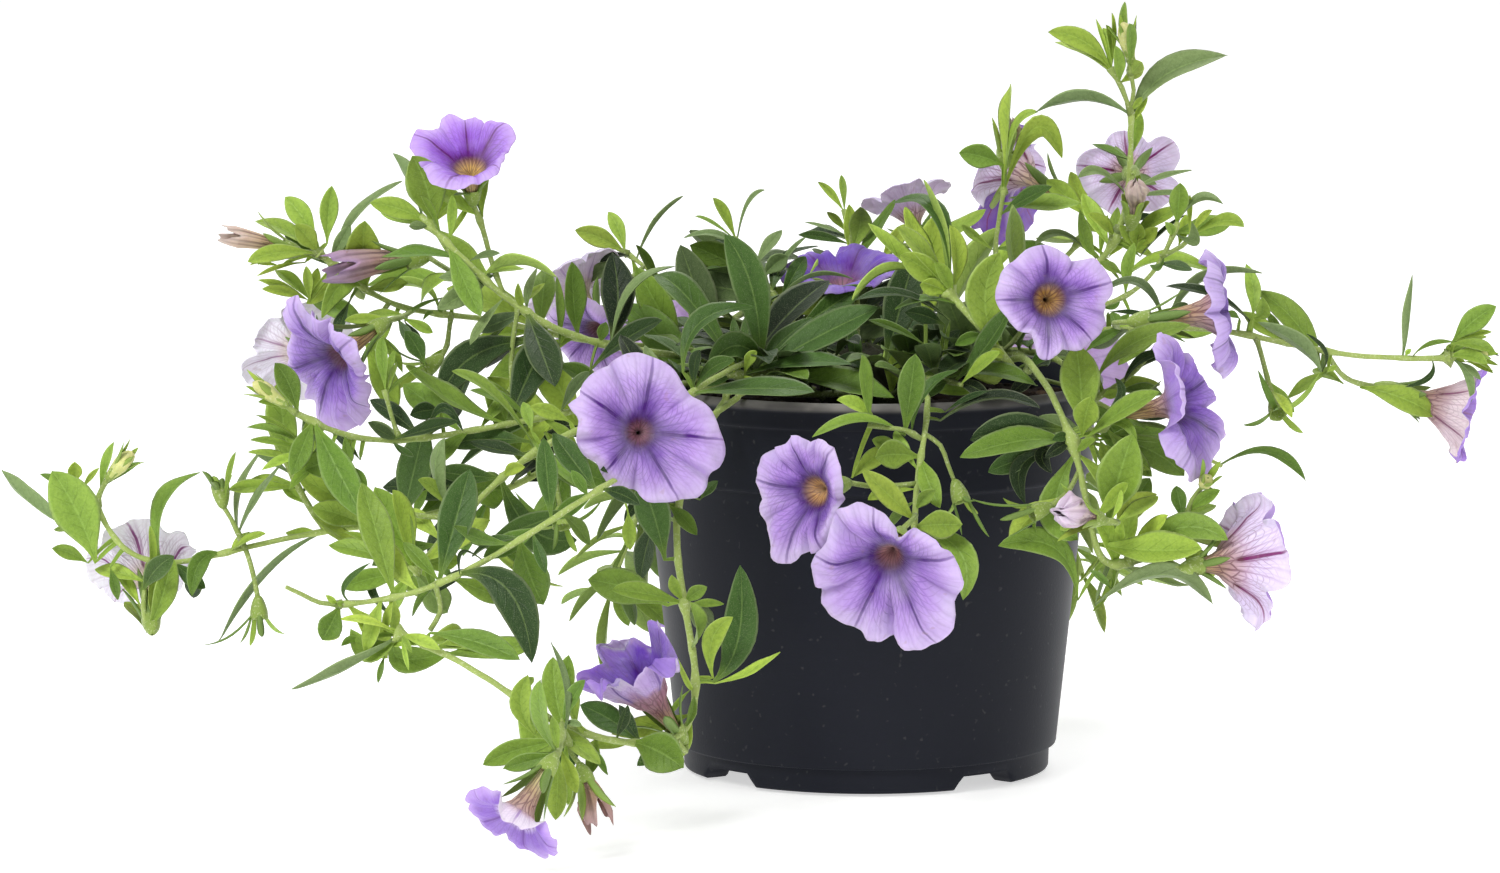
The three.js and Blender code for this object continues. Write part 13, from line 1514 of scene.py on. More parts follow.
# flowers: node, style, base, direction, radius, length, turn of the first notch in degrees, seed, lobes, rim, mouth, shut
FLOWERS = [
    dict(node='flower_on_the_table', style='floor', slot='petal_pale', base=(-67.66, -133.74, 23.28), dir=(-0.486, -0.515, -0.704), R=11.4, T=17.5, turn=347.4, seed=11, lobes=[(1.0, 0.0), (1.0, -0.05), (1.02, -0.08), (1.0, 0.0), (0.66, 0.24)], rim=1.0, mouth=0.36, shut=0, deep=0.84, flare=1.3, swell=0.9, ruffle=0.9, recurve=0.05, collar=((168, 104, 116), 0.6)),
    dict(node='flower_withered_low_left', style='wilt_tan', slot='petal_faded', base=(-61.9, -119.28, 18.68), dir=(0.28, -0.25, -0.927), R=3.3, T=9.8, turn=259.5, seed=18, lobes=[(1.016, -0.032), (1.039, -0.017), (1.01, -0.029), (0.998, -0.005), (0.949, 0.005)], rim=1, mouth=0.22, shut=0, tips=1),
    dict(node='flower_crumpled_low_left', style='crumple', slot='petal_lilac', base=(-40.8, -86.51, 19.91), dir=(-0.52, -0.35, 0.779), R=12.5, T=21.4, turn=311.0, seed=25, lobes=[(0.991, 0.016), (0.994, 0.176), (1.029, -0.018), (0.971, 0.128), (0.988, 0.043)], rim=1.12, mouth=0.34, shut=0.0, crumple=0.6, deep=0.6, ruffle=2.2, swell=2.3, crease=1.0, collar=((124, 58, 92), 0.8)),
    dict(node='flower_front_right', style='bloom', slot='petal_lilac', base=(6.37, -77.67, 63.7), dir=(-0.24, -0.901, -0.36), R=16.8, T=15.9, turn=305.5, edge=[0.779, 0.801, 0.826, 0.885, 0.929, 0.946, 0.959, 0.966, 0.947, 0.914, 0.874, 0.84, 0.81, 0.803, 0.821, 0.851, 0.898, 0.935, 0.963, 0.969, 0.977, 0.988, 0.996, 0.986, 1.044, 1.097, 1.115, 1.12, 1.108, 1.098, 1.09, 1.087, 1.087, 1.095, 1.095, 1.068, 1.057, 1.116, 1.184, 1.226, 1.249, 1.246, 1.24, 1.229, 1.22, 1.189, 1.137, 1.075, 0.984, 1.002, 1.022, 1.033, 1.037, 1.002, 0.964, 0.917, 0.868, 0.845, 0.822, 0.813, 0.804, 0.773, 0.731, 0.69, 0.65, 0.572, 0.492, 0.484, 0.587, 0.644, 0.693, 0.738], mids=[6.9, 83.4, 152.4, 207.5, 277.1], seed=32, lobes=[(0.776, 0.05), (0.876, 0.03), (1.098, -0.02), (1.181, 0.05), (0.842, -0.04)], rim=1, mouth=0.17, shut=0, deep=0.64, inside=(170, 112, 110), ruffle=1.5),
    dict(node='flower_front_middle', style='bloom', slot='petal_lilac', base=(-5.5, -73.14, 73.73), dir=(-0.621, -0.781, -0.06), R=14.6, T=13.9, turn=309.0, edge=[0.747, 0.819, 0.872, 0.887, 0.876, 0.848, 0.812, 0.824, 0.856, 0.888, 0.92, 0.945, 0.971, 0.98, 0.986, 0.99, 0.994, 0.994, 0.963, 0.927, 0.889, 0.968, 1.015, 1.057, 1.094, 1.104, 1.075, 1.127, 1.225, 1.271, 1.267, 1.221, 1.163, 1.069, 0.943, 0.888, 0.9, 0.89, 0.877, 0.86, 0.842, 0.817, 0.79, 0.756, 0.715, 0.686, 0.657, 0.634, 0.61, 0.587, 0.571, 0.561, 0.552, 0.542, 0.575, 0.612, 0.649, 0.678, 0.707, 0.736, 0.763, 0.79, 0.809, 0.819, 0.832, 0.848, 0.865, 0.875, 0.885, 0.855, 0.824, 0.787], mids=[19.8, 82.3, 156.4, 198.1, 326.6], seed=39, lobes=[(0.828, 0.06), (0.968, -0.04), (1.11, -0.02), (0.7, 0.05), (0.755, 0.0)], rim=1, mouth=0.22, shut=0, inside=(216, 168, 96), ruffle=1.2),
    dict(node='flower_furled_right', style='wilt_pink', slot='petal_faded', base=(49.62, -72.68, 65.81), dir=(-0.756, -0.616, 0.22), R=3.74, T=11.88, turn=240.0, seed=46, lobes=[(0.976, 0.034), (1.005, -0.011), (0.96, -0.036), (0.965, -0.021), (0.949, 0.004)], rim=1, mouth=0.22, shut=0),
    dict(node='flower_low_right_pale', style='outer', slot='petal_pale', base=(68.63, -66.87, 54.51), dir=(0.93, 0.34, 0.06), R=16.6, T=15.9, turn=40.5, seed=53, lobes=[(1.03, 0.017), (1.0, -0.013), (0.961, -0.042), (0.983, 0.021), (0.995, 0.046)], rim=1.1, mouth=0.26, shut=0.1, collar=((150, 92, 112), 0.45), deep=0.55, flare=1.6),
    dict(node='flower_front_left', style='bloom', slot='petal_lilac', base=(-50.95, -63.8, 83.51), dir=(0.081, -0.987, 0.141), R=17, T=15.9, turn=303.5, edge=[1.008, 1.012, 1.007, 0.987, 0.965, 0.931, 0.941, 0.952, 0.962, 0.961, 0.955, 0.938, 0.901, 0.955, 0.994, 0.847, 0.8, 0.808, 0.814, 0.818, 0.812, 0.799, 0.78, 0.752, 0.702, 0.675, 0.691, 0.709, 0.732, 0.755, 0.766, 0.774, 0.777, 0.741, 0.725, 0.724, 0.83, 0.888, 0.909, 0.923, 0.949, 0.97, 0.985, 1.039, 1.095, 1.098, 1.074, 1.034, 1.029, 1.095, 1.116, 1.116, 1.097, 1.054, 1.012, 0.99, 0.973, 0.956, 0.922, 0.885, 0.829, 0.788, 0.793, 0.799, 0.824, 0.856, 0.887, 0.914, 0.934, 0.946, 0.962, 0.985], mids=[55.3, 137.6, 208.2, 264.1, 349.4], seed=60, lobes=[(0.924, 0.12), (0.735, -0.04), (0.973, 0.05), (1.0, -0.06), (0.95, 0.02)], rim=1, mouth=0.16, shut=0, deep=0.66, ruffle=1.3),
    dict(node='flower_far_left_white', style='white', slot='petal_pale', base=(-157.16, -52.91, 38.83), dir=(-0.087, 0.802, 0.586), R=12.6, T=20.5, turn=34.5, edge=[1.182, 1.073, 0.987, 0.922, 0.964, 0.994, 1.015, 0.992, 0.969, 0.933, 0.896, 0.858, 0.831, 0.849, 0.888, 0.872, 0.761, 0.744, 0.748, 0.697, 0.647, 0.659, 0.681, 0.702, 0.724, 0.746, 0.773, 0.804, 0.836, 0.868, 0.899, 0.913, 0.919, 0.924, 0.93, 0.904, 0.876, 0.847, 0.835, 0.899, 0.963, 1.023, 1.037, 1.036, 1.015, 0.995, 0.975, 0.958, 0.942, 0.926, 0.91, 0.969, 1.031, 1.06, 1.088, 1.1, 1.112, 1.124, 1.136, 1.148, 1.149, 1.018, 1.09, 1.162, 1.212, 1.234, 1.23, 1.202, 1.215, 1.261, 1.266, 1.245], mids=[62.7, 158.9, 213.6, 285.0, 340.4], seed=67, lobes=[(0.838, 0.0), (0.831, 0.0), (0.973, 0.0), (1.099, 0.0), (1.139, 0.0)], rim=1, mouth=0.24, shut=0, deep=0.74, ruffle=1.0, flare=1.6, vo=1.35),
    dict(node='flower_right_over_rim', style='bloom', slot='petal_lilac', base=(36.56, -52.47, 111.39), dir=(0.205, -0.973, 0.102), R=13, T=13.9, turn=292.0, edge=[0.894, 0.922, 0.928, 0.933, 0.937, 0.94, 0.942, 0.932, 0.92, 0.912, 0.938, 0.964, 0.974, 0.978, 0.973, 0.962, 0.952, 0.94, 0.926, 0.906, 0.885, 0.857, 0.825, 0.803, 0.794, 0.784, 0.769, 0.741, 0.695, 0.663, 0.702, 0.756, 0.863, 0.981, 1.003, 1.0, 0.962, 0.902, 0.833, 0.863, 0.9, 0.946, 0.971, 0.978, 0.984, 0.992, 1.0, 1.006, 1.012, 1.01, 0.997, 0.964, 0.931, 0.897, 0.969, 1.018, 1.048, 1.042, 1.033, 1.018, 1.001, 0.981, 0.995, 0.981, 0.865, 0.776, 0.732, 0.756, 0.78, 0.809, 0.838, 0.866], mids=[8.4, 88.6, 173.9, 224.6, 285.5], seed=74, lobes=[(0.912, 0.02), (0.931, 0.0), (0.832, 0.05), (0.991, -0.03), (0.988, 0.08)], rim=1, mouth=0.27, shut=0, inside=(184, 142, 70), ruffle=1.2),
    dict(node='flower_right_middle', style='side', slot='petal_lilac', base=(53.44, -52.0, 85.29), dir=(0.824, -0.502, 0.261), R=16.6, T=19.9, turn=246.5, edge=[0.928, 0.944, 0.964, 0.985, 1.005, 0.925, 0.945, 0.949, 0.82, 0.84, 0.86, 0.87, 0.878, 0.886, 0.896, 0.907, 0.916, 0.904, 0.893, 0.877, 0.857, 0.838, 0.822, 0.87, 1.052, 1.073, 1.049, 1.025, 1.001, 1.01, 1.023, 1.036, 1.049, 1.06, 1.065, 1.027, 1.005, 1.012, 1.019, 1.025, 1.026, 0.973, 0.946, 0.936, 0.927, 0.929, 0.934, 0.936, 0.926, 0.892, 0.833, 0.741, 0.751, 0.77, 0.773, 0.766, 0.745, 0.716, 0.69, 0.681, 0.672, 0.663, 0.753, 0.779, 0.77, 0.761, 0.756, 0.752, 0.788, 0.876, 0.914, 0.921], mids=[7.6, 79.4, 146.5, 226.8, 291.5], seed=81, lobes=[(0.933, -0.06), (0.887, 0.42), (1.036, 0.0), (0.943, 0.05), (0.722, 0.0)], rim=1, mouth=0.2, shut=0, ruffle=1.4),
    dict(node='flower_right_edge_on', style='side', slot='petal_lilac', base=(58.11, -40.46, 105.15), dir=(0.985, -0.1, 0.12), R=14.2, T=23.0, turn=228.0, seed=88, lobes=[(0.941, -0.031), (1.019, -0.034), (0.98, -0.031), (0.992, 0.004), (1.034, -0.011)], rim=0.9, mouth=0.32, shut=0.0, deep=0.74, recurve=0.2, flare=2.8, ruffle=0.6, swell=0.5),
    dict(node='flower_left_high', style='side', slot='petal_lilac', base=(-106.96, -29.63, 103.48), dir=(-0.699, -0.549, -0.459), R=15.2, T=18.9, turn=257.5, edge=[1.199, 1.152, 1.105, 1.065, 1.03, 0.995, 0.942, 0.785, 0.749, 0.732, 0.731, 0.731, 0.742, 0.756, 0.77, 0.784, 0.797, 0.838, 0.881, 0.924, 0.97, 1.023, 1.077, 1.132, 1.188, 1.227, 1.256, 1.301, 1.396, 1.414, 1.275, 1.193, 1.204, 1.207, 1.162, 1.117, 1.086, 1.061, 1.035, 0.999, 0.954, 0.914, 0.888, 0.861, 0.835, 0.808, 0.789, 0.77, 0.752, 0.701, 0.727, 0.768, 0.819, 0.869, 0.924, 0.979, 1.042, 1.108, 1.152, 1.171, 1.158, 1.138, 1.112, 1.076, 1.039, 0.991, 0.94, 0.976, 1.068, 0.824, 1.256, 1.234], mids=[93.0, 143.4, 213.1, 298.9, 354.0], seed=95, lobes=[(0.814, 0.05), (1.265, 0.06), (0.839, -0.05), (1.087, 0.04), (1.128, 0.1)], rim=1, mouth=0.2, shut=0, ruffle=1.5),
    dict(node='flower_facing_up_left', style='vivid', slot='petal_lilac', base=(-87.24, -28.89, 130.62), dir=(-0.05, -0.52, 0.853), R=11.8, T=14.5, turn=266.0, edge=[1.14, 1.118, 1.015, 1.072, 1.134, 1.158, 1.13, 1.078, 1.008, 1.008, 1.102, 1.151, 1.174, 1.172, 1.164, 1.15, 1.136, 1.122, 1.089, 1.032, 0.975, 0.962, 0.951, 0.939, 0.928, 0.957, 0.995, 1.034, 1.073, 1.143, 1.223, 1.28, 1.275, 1.271, 1.268, 1.266, 1.226, 1.187, 1.15, 1.112, 1.085, 1.07, 1.055, 1.04, 0.998, 0.935, 0.872, 0.809, 0.784, 0.763, 0.742, 0.722, 0.701, 0.68, 0.702, 0.728, 0.754, 0.78, 0.818, 0.894, 0.969, 0.999, 1.021, 1.048, 1.075, 1.091, 1.087, 1.059, 1.0, 0.94, 1.001, 1.09], mids=[10.3, 66.6, 167.2, 224.4, 326.6], seed=102, lobes=[(1.098, 0.0), (1.079, 0.0), (1.213, 0.0), (0.883, 0.0), (0.948, 0.0)], rim=1.02, mouth=0.3, shut=0, inside=(232, 192, 92), deep=0.6, flare=1.35, ruffle=0.5, pleat=0.6, notch=0.1),
    dict(node='flower_left_pale', style='white', slot='petal_pale', base=(-118.65, -23.19, 92.46), dir=(-0.55, 0.8, 0.22), R=12.4, T=19.0, turn=58.5, edge=[0.742, 0.754, 0.766, 0.779, 0.791, 0.803, 0.827, 0.858, 0.888, 0.918, 0.948, 0.978, 1.046, 1.117, 1.187, 1.232, 1.266, 1.3, 1.312, 1.292, 1.273, 1.263, 1.262, 1.261, 1.261, 1.26, 1.256, 1.243, 1.23, 1.217, 1.204, 1.185, 1.167, 1.148, 1.129, 1.128, 1.131, 1.134, 1.134, 1.132, 1.131, 1.13, 1.129, 1.121, 1.089, 1.067, 1.065, 1.064, 1.064, 1.066, 1.043, 0.98, 0.806, 0.761, 0.787, 0.791, 0.793, 0.793, 0.781, 0.77, 0.758, 0.747, 0.737, 0.728, 0.718, 0.708, 0.701, 0.706, 0.711, 0.716, 0.721, 0.73], mids=[11.4, 92.0, 194.9, 245.5, 279.9], seed=109, lobes=[(0.805, 0.025), (1.266, 0.047), (1.162, -0.013), (1.046, 0.04), (0.742, 0.021)], rim=1, mouth=0.22, shut=0, ruffle=1.2),
    dict(node='flower_withered_far_left', style='wilt_beige', slot='petal_faded', base=(-126.77, -22.26, 118.72), dir=(-0.941, -0.24, 0.239), R=2.1, T=15.56, turn=241.5, seed=116, lobes=[(0.966, 0.015), (1.013, 0.013), (0.996, -0.016), (0.977, -0.032), (1.003, 0.024)], rim=1, mouth=0.22, shut=0, tips=1, streak=0.5),
    dict(node='flower_left_behind_leaf', style='wilt_purple', slot='petal_faded', base=(-98.51, -20.33, 116.95), dir=(-0.973, -0.205, -0.102), R=3.4, T=19.5, turn=243.0, seed=123, lobes=[(0.954, 0.039), (0.941, -0.028), (1.018, 0.037), (0.996, -0.04), (0.973, 0.043)], rim=1, mouth=0.22, shut=0, streak=0.9, tips=1),
    dict(node='flower_far_right', style='sideout', slot='petal_lilac', base=(113.83, -17.45, 87.63), dir=(0.95, -0.14, -0.27), R=12.6, T=21.4, turn=226.5, seed=130, lobes=[(0.943, -0.006), (0.973, 0.028), (1.002, -0.034), (0.964, 0.029), (1.025, 0.027)], rim=1.0, mouth=0.26, shut=0.12, collar=((130, 70, 88), 0.55), deep=0.55, flare=1.5),
    dict(node='flower_withered_top_right', style='wilt_beige', slot='petal_faded', base=(60.04, 21.71, 120.16), dir=(0.073, -0.265, 0.961), R=2.6, T=10, turn=334.0, seed=137, lobes=[(0.964, -0.039), (0.997, 0.044), (1.02, 0.017), (1.02, -0.029), (1.019, 0.024)], rim=1, mouth=0.22, shut=0),
    dict(node='flower_over_rim_pale', style='pale', slot='petal_pale', base=(-60.17, 22.91, 97.28), dir=(-0.5, 0.55, 0.669), R=11.5, T=12.9, turn=56.0, seed=144, lobes=[(0.979, -0.008), (0.986, -0.042), (1.036, -0.008), (1.023, -0.024), (1.034, 0.005)], rim=1, mouth=0.22, shut=0),
    dict(node='flower_over_rim_behind', style='bloom', slot='petal_lilac', base=(-55.98, 23.68, 100.97), dir=(-0.488, -0.766, -0.418), R=11, T=13.9, turn=238.5, seed=151, lobes=[(0.992, -0.032), (0.994, 0.034), (0.977, 0.034), (1.004, 0.019), (0.964, -0.014)], rim=1, mouth=0.22, shut=0),
    dict(node='flower_top_right_seen_from_behind', style='outer', slot='petal_pale', base=(60.34, 28.13, 130.66), dir=(-0.02, 0.998, -0.061), R=12.2, T=13.9, turn=54.0, edge=[0.836, 0.803, 0.792, 0.799, 0.788, 0.752, 0.715, 0.701, 0.906, 0.996, 1.032, 1.057, 1.058, 1.058, 1.037, 1.015, 0.947, 0.877, 0.815, 0.77, 0.924, 1.002, 1.019, 1.015, 1.001, 0.98, 0.968, 0.961, 0.954, 0.938, 0.921, 0.891, 0.847, 0.803, 0.764, 0.727, 0.767, 0.837, 0.9, 0.93, 0.937, 0.912, 0.888, 0.883, 0.879, 0.874, 0.874, 0.879, 0.885, 0.89, 0.895, 0.9, 0.905, 0.935, 0.968, 0.977, 0.987, 0.982, 0.953, 0.917, 0.861, 0.797, 0.724, 0.717, 0.725, 0.763, 0.803, 0.836, 0.851, 0.866, 0.864, 0.86], mids=[56.2, 122.5, 207.1, 277.8, 355.2], seed=158, lobes=[(0.992, -0.03), (0.959, 0.025), (0.882, -0.025), (0.947, -0.034), (0.833, 0.023)], rim=1.1, mouth=0.22, shut=0.1),
    dict(node='flower_top_middle', style='deep', slot='petal_lilac', base=(-4.9, 23.71, 99.47), dir=(-0.101, -0.281, 0.954), R=13.8, T=12.9, turn=311.0, seed=165, lobes=[(1.029, 0.041), (0.947, -0.037), (0.951, -0.022), (0.943, 0.002), (0.979, -0.015)], rim=0.95, mouth=0.25, shut=0, deep=0.5, flare=1.5),
    dict(node='flower_withered_top_middle', style='wilt_beige', slot='petal_faded', base=(31.77, 37.86, 132.21), dir=(0.11, -0.129, 0.986), R=2.4, T=10, turn=346.5, seed=172, lobes=[(0.987, -0.016), (1.024, -0.032), (0.979, 0.01), (1.038, -0.037), (0.989, 0.043)], rim=1, mouth=0.22, shut=0),
    dict(node='flower_top_faded', style='faded', slot='petal_faded', base=(12.49, 41.47, 113.18), dir=(-0.251, 0.351, 0.902), R=10.5, T=12.9, turn=9.5, seed=179, lobes=[(1.005, 0.017), (1.02, 0.004), (1.028, 0.021), (1.025, 0.011), (1.01, -0.034)], rim=1, mouth=0.25, shut=0, deep=0.5, flare=1.4, ruffle=0.6, swell=0.5),
    dict(node='flower_top_right', style='outer', slot='petal_pale', base=(46.01, 43.99, 122.84), dir=(-0.6, 0.72, 0.34), R=12.6, T=20.0, turn=59.5, edge=[0.863, 0.856, 0.849, 0.843, 0.836, 0.83, 0.824, 0.736, 0.565, 0.473, 0.664, 0.66, 0.657, 0.653, 0.649, 0.696, 0.745, 0.794, 0.844, 0.9, 0.959, 1.017, 1.081, 1.173, 1.265, 1.385, 1.507, 1.553, 1.589, 1.629, 1.675, 1.721, 1.756, 1.788, 1.803, 1.799, 1.778, 1.682, 1.563, 1.416, 1.534, 1.347, 1.01, 0.993, 0.976, 0.958, 0.942, 0.928, 0.915, 0.902, 0.888, 0.864, 0.84, 0.815, 0.758, 0.697, 0.662, 0.651, 0.64, 0.628, 0.614, 0.599, 0.585, 0.571, 0.586, 0.606, 0.626, 0.647, 0.904, 0.894, 0.884, 0.873], mids=[2.1, 97.6, 142.7, 188.6, 242.5], seed=186, lobes=[(0.7, 0.0), (1.3, 0.0), (1.3, 0.0), (0.89, 0.0), (0.844, 0.0)], rim=1.1, mouth=0.22, shut=0.1, shade=[0.8, 0.0, 1.0, 1.0, 0.0]),
    dict(node='flower_back_left', style='bloom', slot='petal_lilac', base=(-44.24, 66.52, 78.42), dir=(-0.203, 0.946, 0.254), R=15.5, T=15.9, turn=339.0, seed=193, lobes=[(0.985, -0.032), (1.028, 0.042), (0.967, -0.013), (1.011, 0.047), (1.024, 0.025)], rim=1, mouth=0.22, shut=0),
    dict(node='flower_back_right', style='bloom', slot='petal_lilac', base=(41.62, 70.84, 78.66), dir=(0.458, 0.865, 0.204), R=15, T=15.9, turn=8.0, seed=200, lobes=[(1.011, 0.017), (1.009, 0.028), (0.949, -0.023), (1.038, -0.033), (0.985, 0.047)], rim=1, mouth=0.22, shut=0),
    dict(node='flower_back_middle', style='bloom', slot='petal_lilac', base=(7.39, 84.53, 49.97), dir=(0.151, 0.987, 0.05), R=16, T=15.9, turn=30.0, seed=207, lobes=[(0.998, 0.04), (1.001, -0.013), (1.008, 0.03), (0.993, -0.041), (0.954, 0.005)], rim=1, mouth=0.22, shut=0),
]

# ---------------------------------------------------------------- colour
def lin(r, g, b):
    """A display colour, 0 to 255, as linear light."""
    out = []
    for c in (r, g, b):
        c = c / 255.0
        out.append(c / 12.92 if c <= 0.04045 else ((c + 0.055) / 1.055) ** 2.4)
    return np.array(out)


# ---------------------------------------------------------------- mesh gathering
class Piece:
    """Collects grids of points into one mesh with UVs and colour attributes."""

    def __init__(self):
        self.v, self.f, self.uv, self.m = [], [], [], []
        self.tint, self.mark, self.amt = [], [], []
        self.n = 0

    def grid(self, P, around, uv, tint, mark=None, amt=None, mat=0):
        """P is rows x columns x 3. around closes the columns into a ring."""
        P = np.asarray(P, float)
        nr, nc = P.shape[:2]
        idx = np.arange(nr * nc).reshape(nr, nc) + self.n
        cols = nc if around else nc - 1
        a = idx[:-1, :cols]
        b = np.roll(idx, -1, 1)[:-1, :cols]
        c = np.roll(idx, -1, 1)[1:, :cols]
        d = idx[1:, :cols]
        q = np.stack([a, b, c, d], -1).reshape(-1, 4)
        U = np.asarray(uv, float)
        Ur = np.roll(U, -1, 1).copy()
        if around == "wrap":
            Ur[:, -1, 0] = U[:, -1, 0] + (U[:, -1, 0] - U[:, -2, 0])
        lu = np.stack([U[:-1, :cols], Ur[:-1, :cols], Ur[1:, :cols], U[1:, :cols]], 2).reshape(-1, 4, 2)
        n = nr * nc
        full = lambda x, dflt: np.broadcast_to(np.asarray(dflt if x is None else x, float), (nr, nc, len(dflt))).reshape(n, -1)
        self.v.append(P.reshape(-1, 3))
        self.f.append(q)
        self.uv.append(lu.reshape(-1, 2))
        self.m.append(np.full(len(q), mat))
        self.tint.append(full(tint, (1, 1, 1)))
        self.mark.append(full(mark, (0, 0, 0)))
        self.amt.append(full(amt, (0, 0, 0)))
        self.n += n

    def build(self, name, mats):
        v = np.concatenate(self.v) * MM
        f = np.concatenate(self.f)
        me = bpy.data.meshes.new(name)
        me.vertices.add(len(v))
        me.vertices.foreach_set("co", v.astype(np.float32).ravel())
        me.loops.add(f.size)
        me.loops.foreach_set("vertex_index", f.astype(np.int32).ravel())
        me.polygons.add(len(f))
        me.polygons.foreach_set("loop_start", np.arange(0, f.size, 4, dtype=np.int32))
        me.update(calc_edges=True)
        lay = me.uv_layers.new(name="uv")
        lay.data.foreach_set("uv", np.concatenate(self.uv).astype(np.float32).ravel())
        for label, rows in (("tint", self.tint), ("mark", self.mark), ("amt", self.amt)):
            c = np.concatenate(rows)
            at = me.attributes.new(label, "FLOAT_COLOR", "POINT")
            at.data.foreach_set("color", np.concatenate([c, np.ones((len(c), 1))], 1).astype(np.float32).ravel())
        for m in mats:
            me.materials.append(m)
        me.polygons.foreach_set("material_index", np.concatenate(self.m).astype(np.int32))
        me.polygons.foreach_set("use_smooth", np.ones(len(f), bool))
        me.validate()
        me.update()
        ob = bpy.data.objects.new(name, me)
        bpy.context.scene.collection.objects.link(ob)
        return ob


def unit(a):
    a = np.asarray(a, float)
    n = np.linalg.norm(a, axis=-1, keepdims=True)
    return a / np.maximum(n, 1e-9)


def spline(P, k):
    """A smooth line through the points with k steps between each pair."""
    P = np.asarray(P, float)
    Q = np.vstack([2 * P[0] - P[1], P, 2 * P[-1] - P[-2]])
    out = [P[0]]
    for i in range(1, len(Q) - 2):
        a, b, c, d = Q[i - 1], Q[i], Q[i + 1], Q[i + 2]
        L = np.linalg.norm(c - b)
        m1, m2 = (c - a) / 2, (d - b) / 2
        for m in (m1, m2):
            l = np.linalg.norm(m)
            if l > L:
                m *= L / l
        for j in range(1, k + 1):
            t = j / k
            out.append((2 * t**3 - 3 * t**2 + 1) * b + (t**3 - 2 * t**2 + t) * m1 + (3 * t**2 - 2 * t**3) * c + (t**3 - t**2) * m2)
    return np.array(out)


def frames(S):
    """Tangent and two sides along a line, without twist."""
    T = np.gradient(S, axis=0)
    T = unit(T)
    u = np.array([0.31, 0.42, 0.85])
    U = []
    for t in T:
        u = u - t * (u @ t)
        if np.linalg.norm(u) < 0.05:
            u = np.array([1.0, 0, 0]) - t * t[0]
        u = u / np.linalg.norm(u)
        U.append(u.copy())
    U = np.array(U)
    return T, U, np.cross(U, T)


# ---------------------------------------------------------------- leaves
# leaf colour keys from light to dark; the darker keys E, D and K are partly the leaves' own deeper green and partly
# painted shade on leaves deep in the foliage
PALETTE = {
    "Y": lin(180, 206, 84),
    "L": lin(156, 184, 73),
    "B": lin(132, 162, 62),
    "M": lin(106, 137, 50),
    "E": lin(71, 102, 40),
    "D": lin(44, 68, 29),
    "K": lin(26, 42, 20),
    "G": lin(120, 142, 92),
    "S": lin(88, 108, 68),
}
BLADE = np.array([[0, 0.10], [0.06, 0.13], [0.14, 0.25], [0.26, 0.52], [0.40, 0.82], [0.51, 0.97], [0.60, 1.0], [0.71, 0.93],
                  [0.81, 0.76], [0.90, 0.50], [0.96, 0.26], [1.0, 0.03]])
TOOTH = np.array([[0, 0.75], [0.15, 0.85], [0.4, 1.0], [0.65, 0.86], [0.85, 0.52], [0.96, 0.22], [1.0, 0.03]])


def bezier(B, M, T, s):
    Q = 2 * M - (B + T) / 2
    s = s[:, None]
    return B * (1 - s) ** 2 + Q * 2 * s * (1 - s) + T * s**2


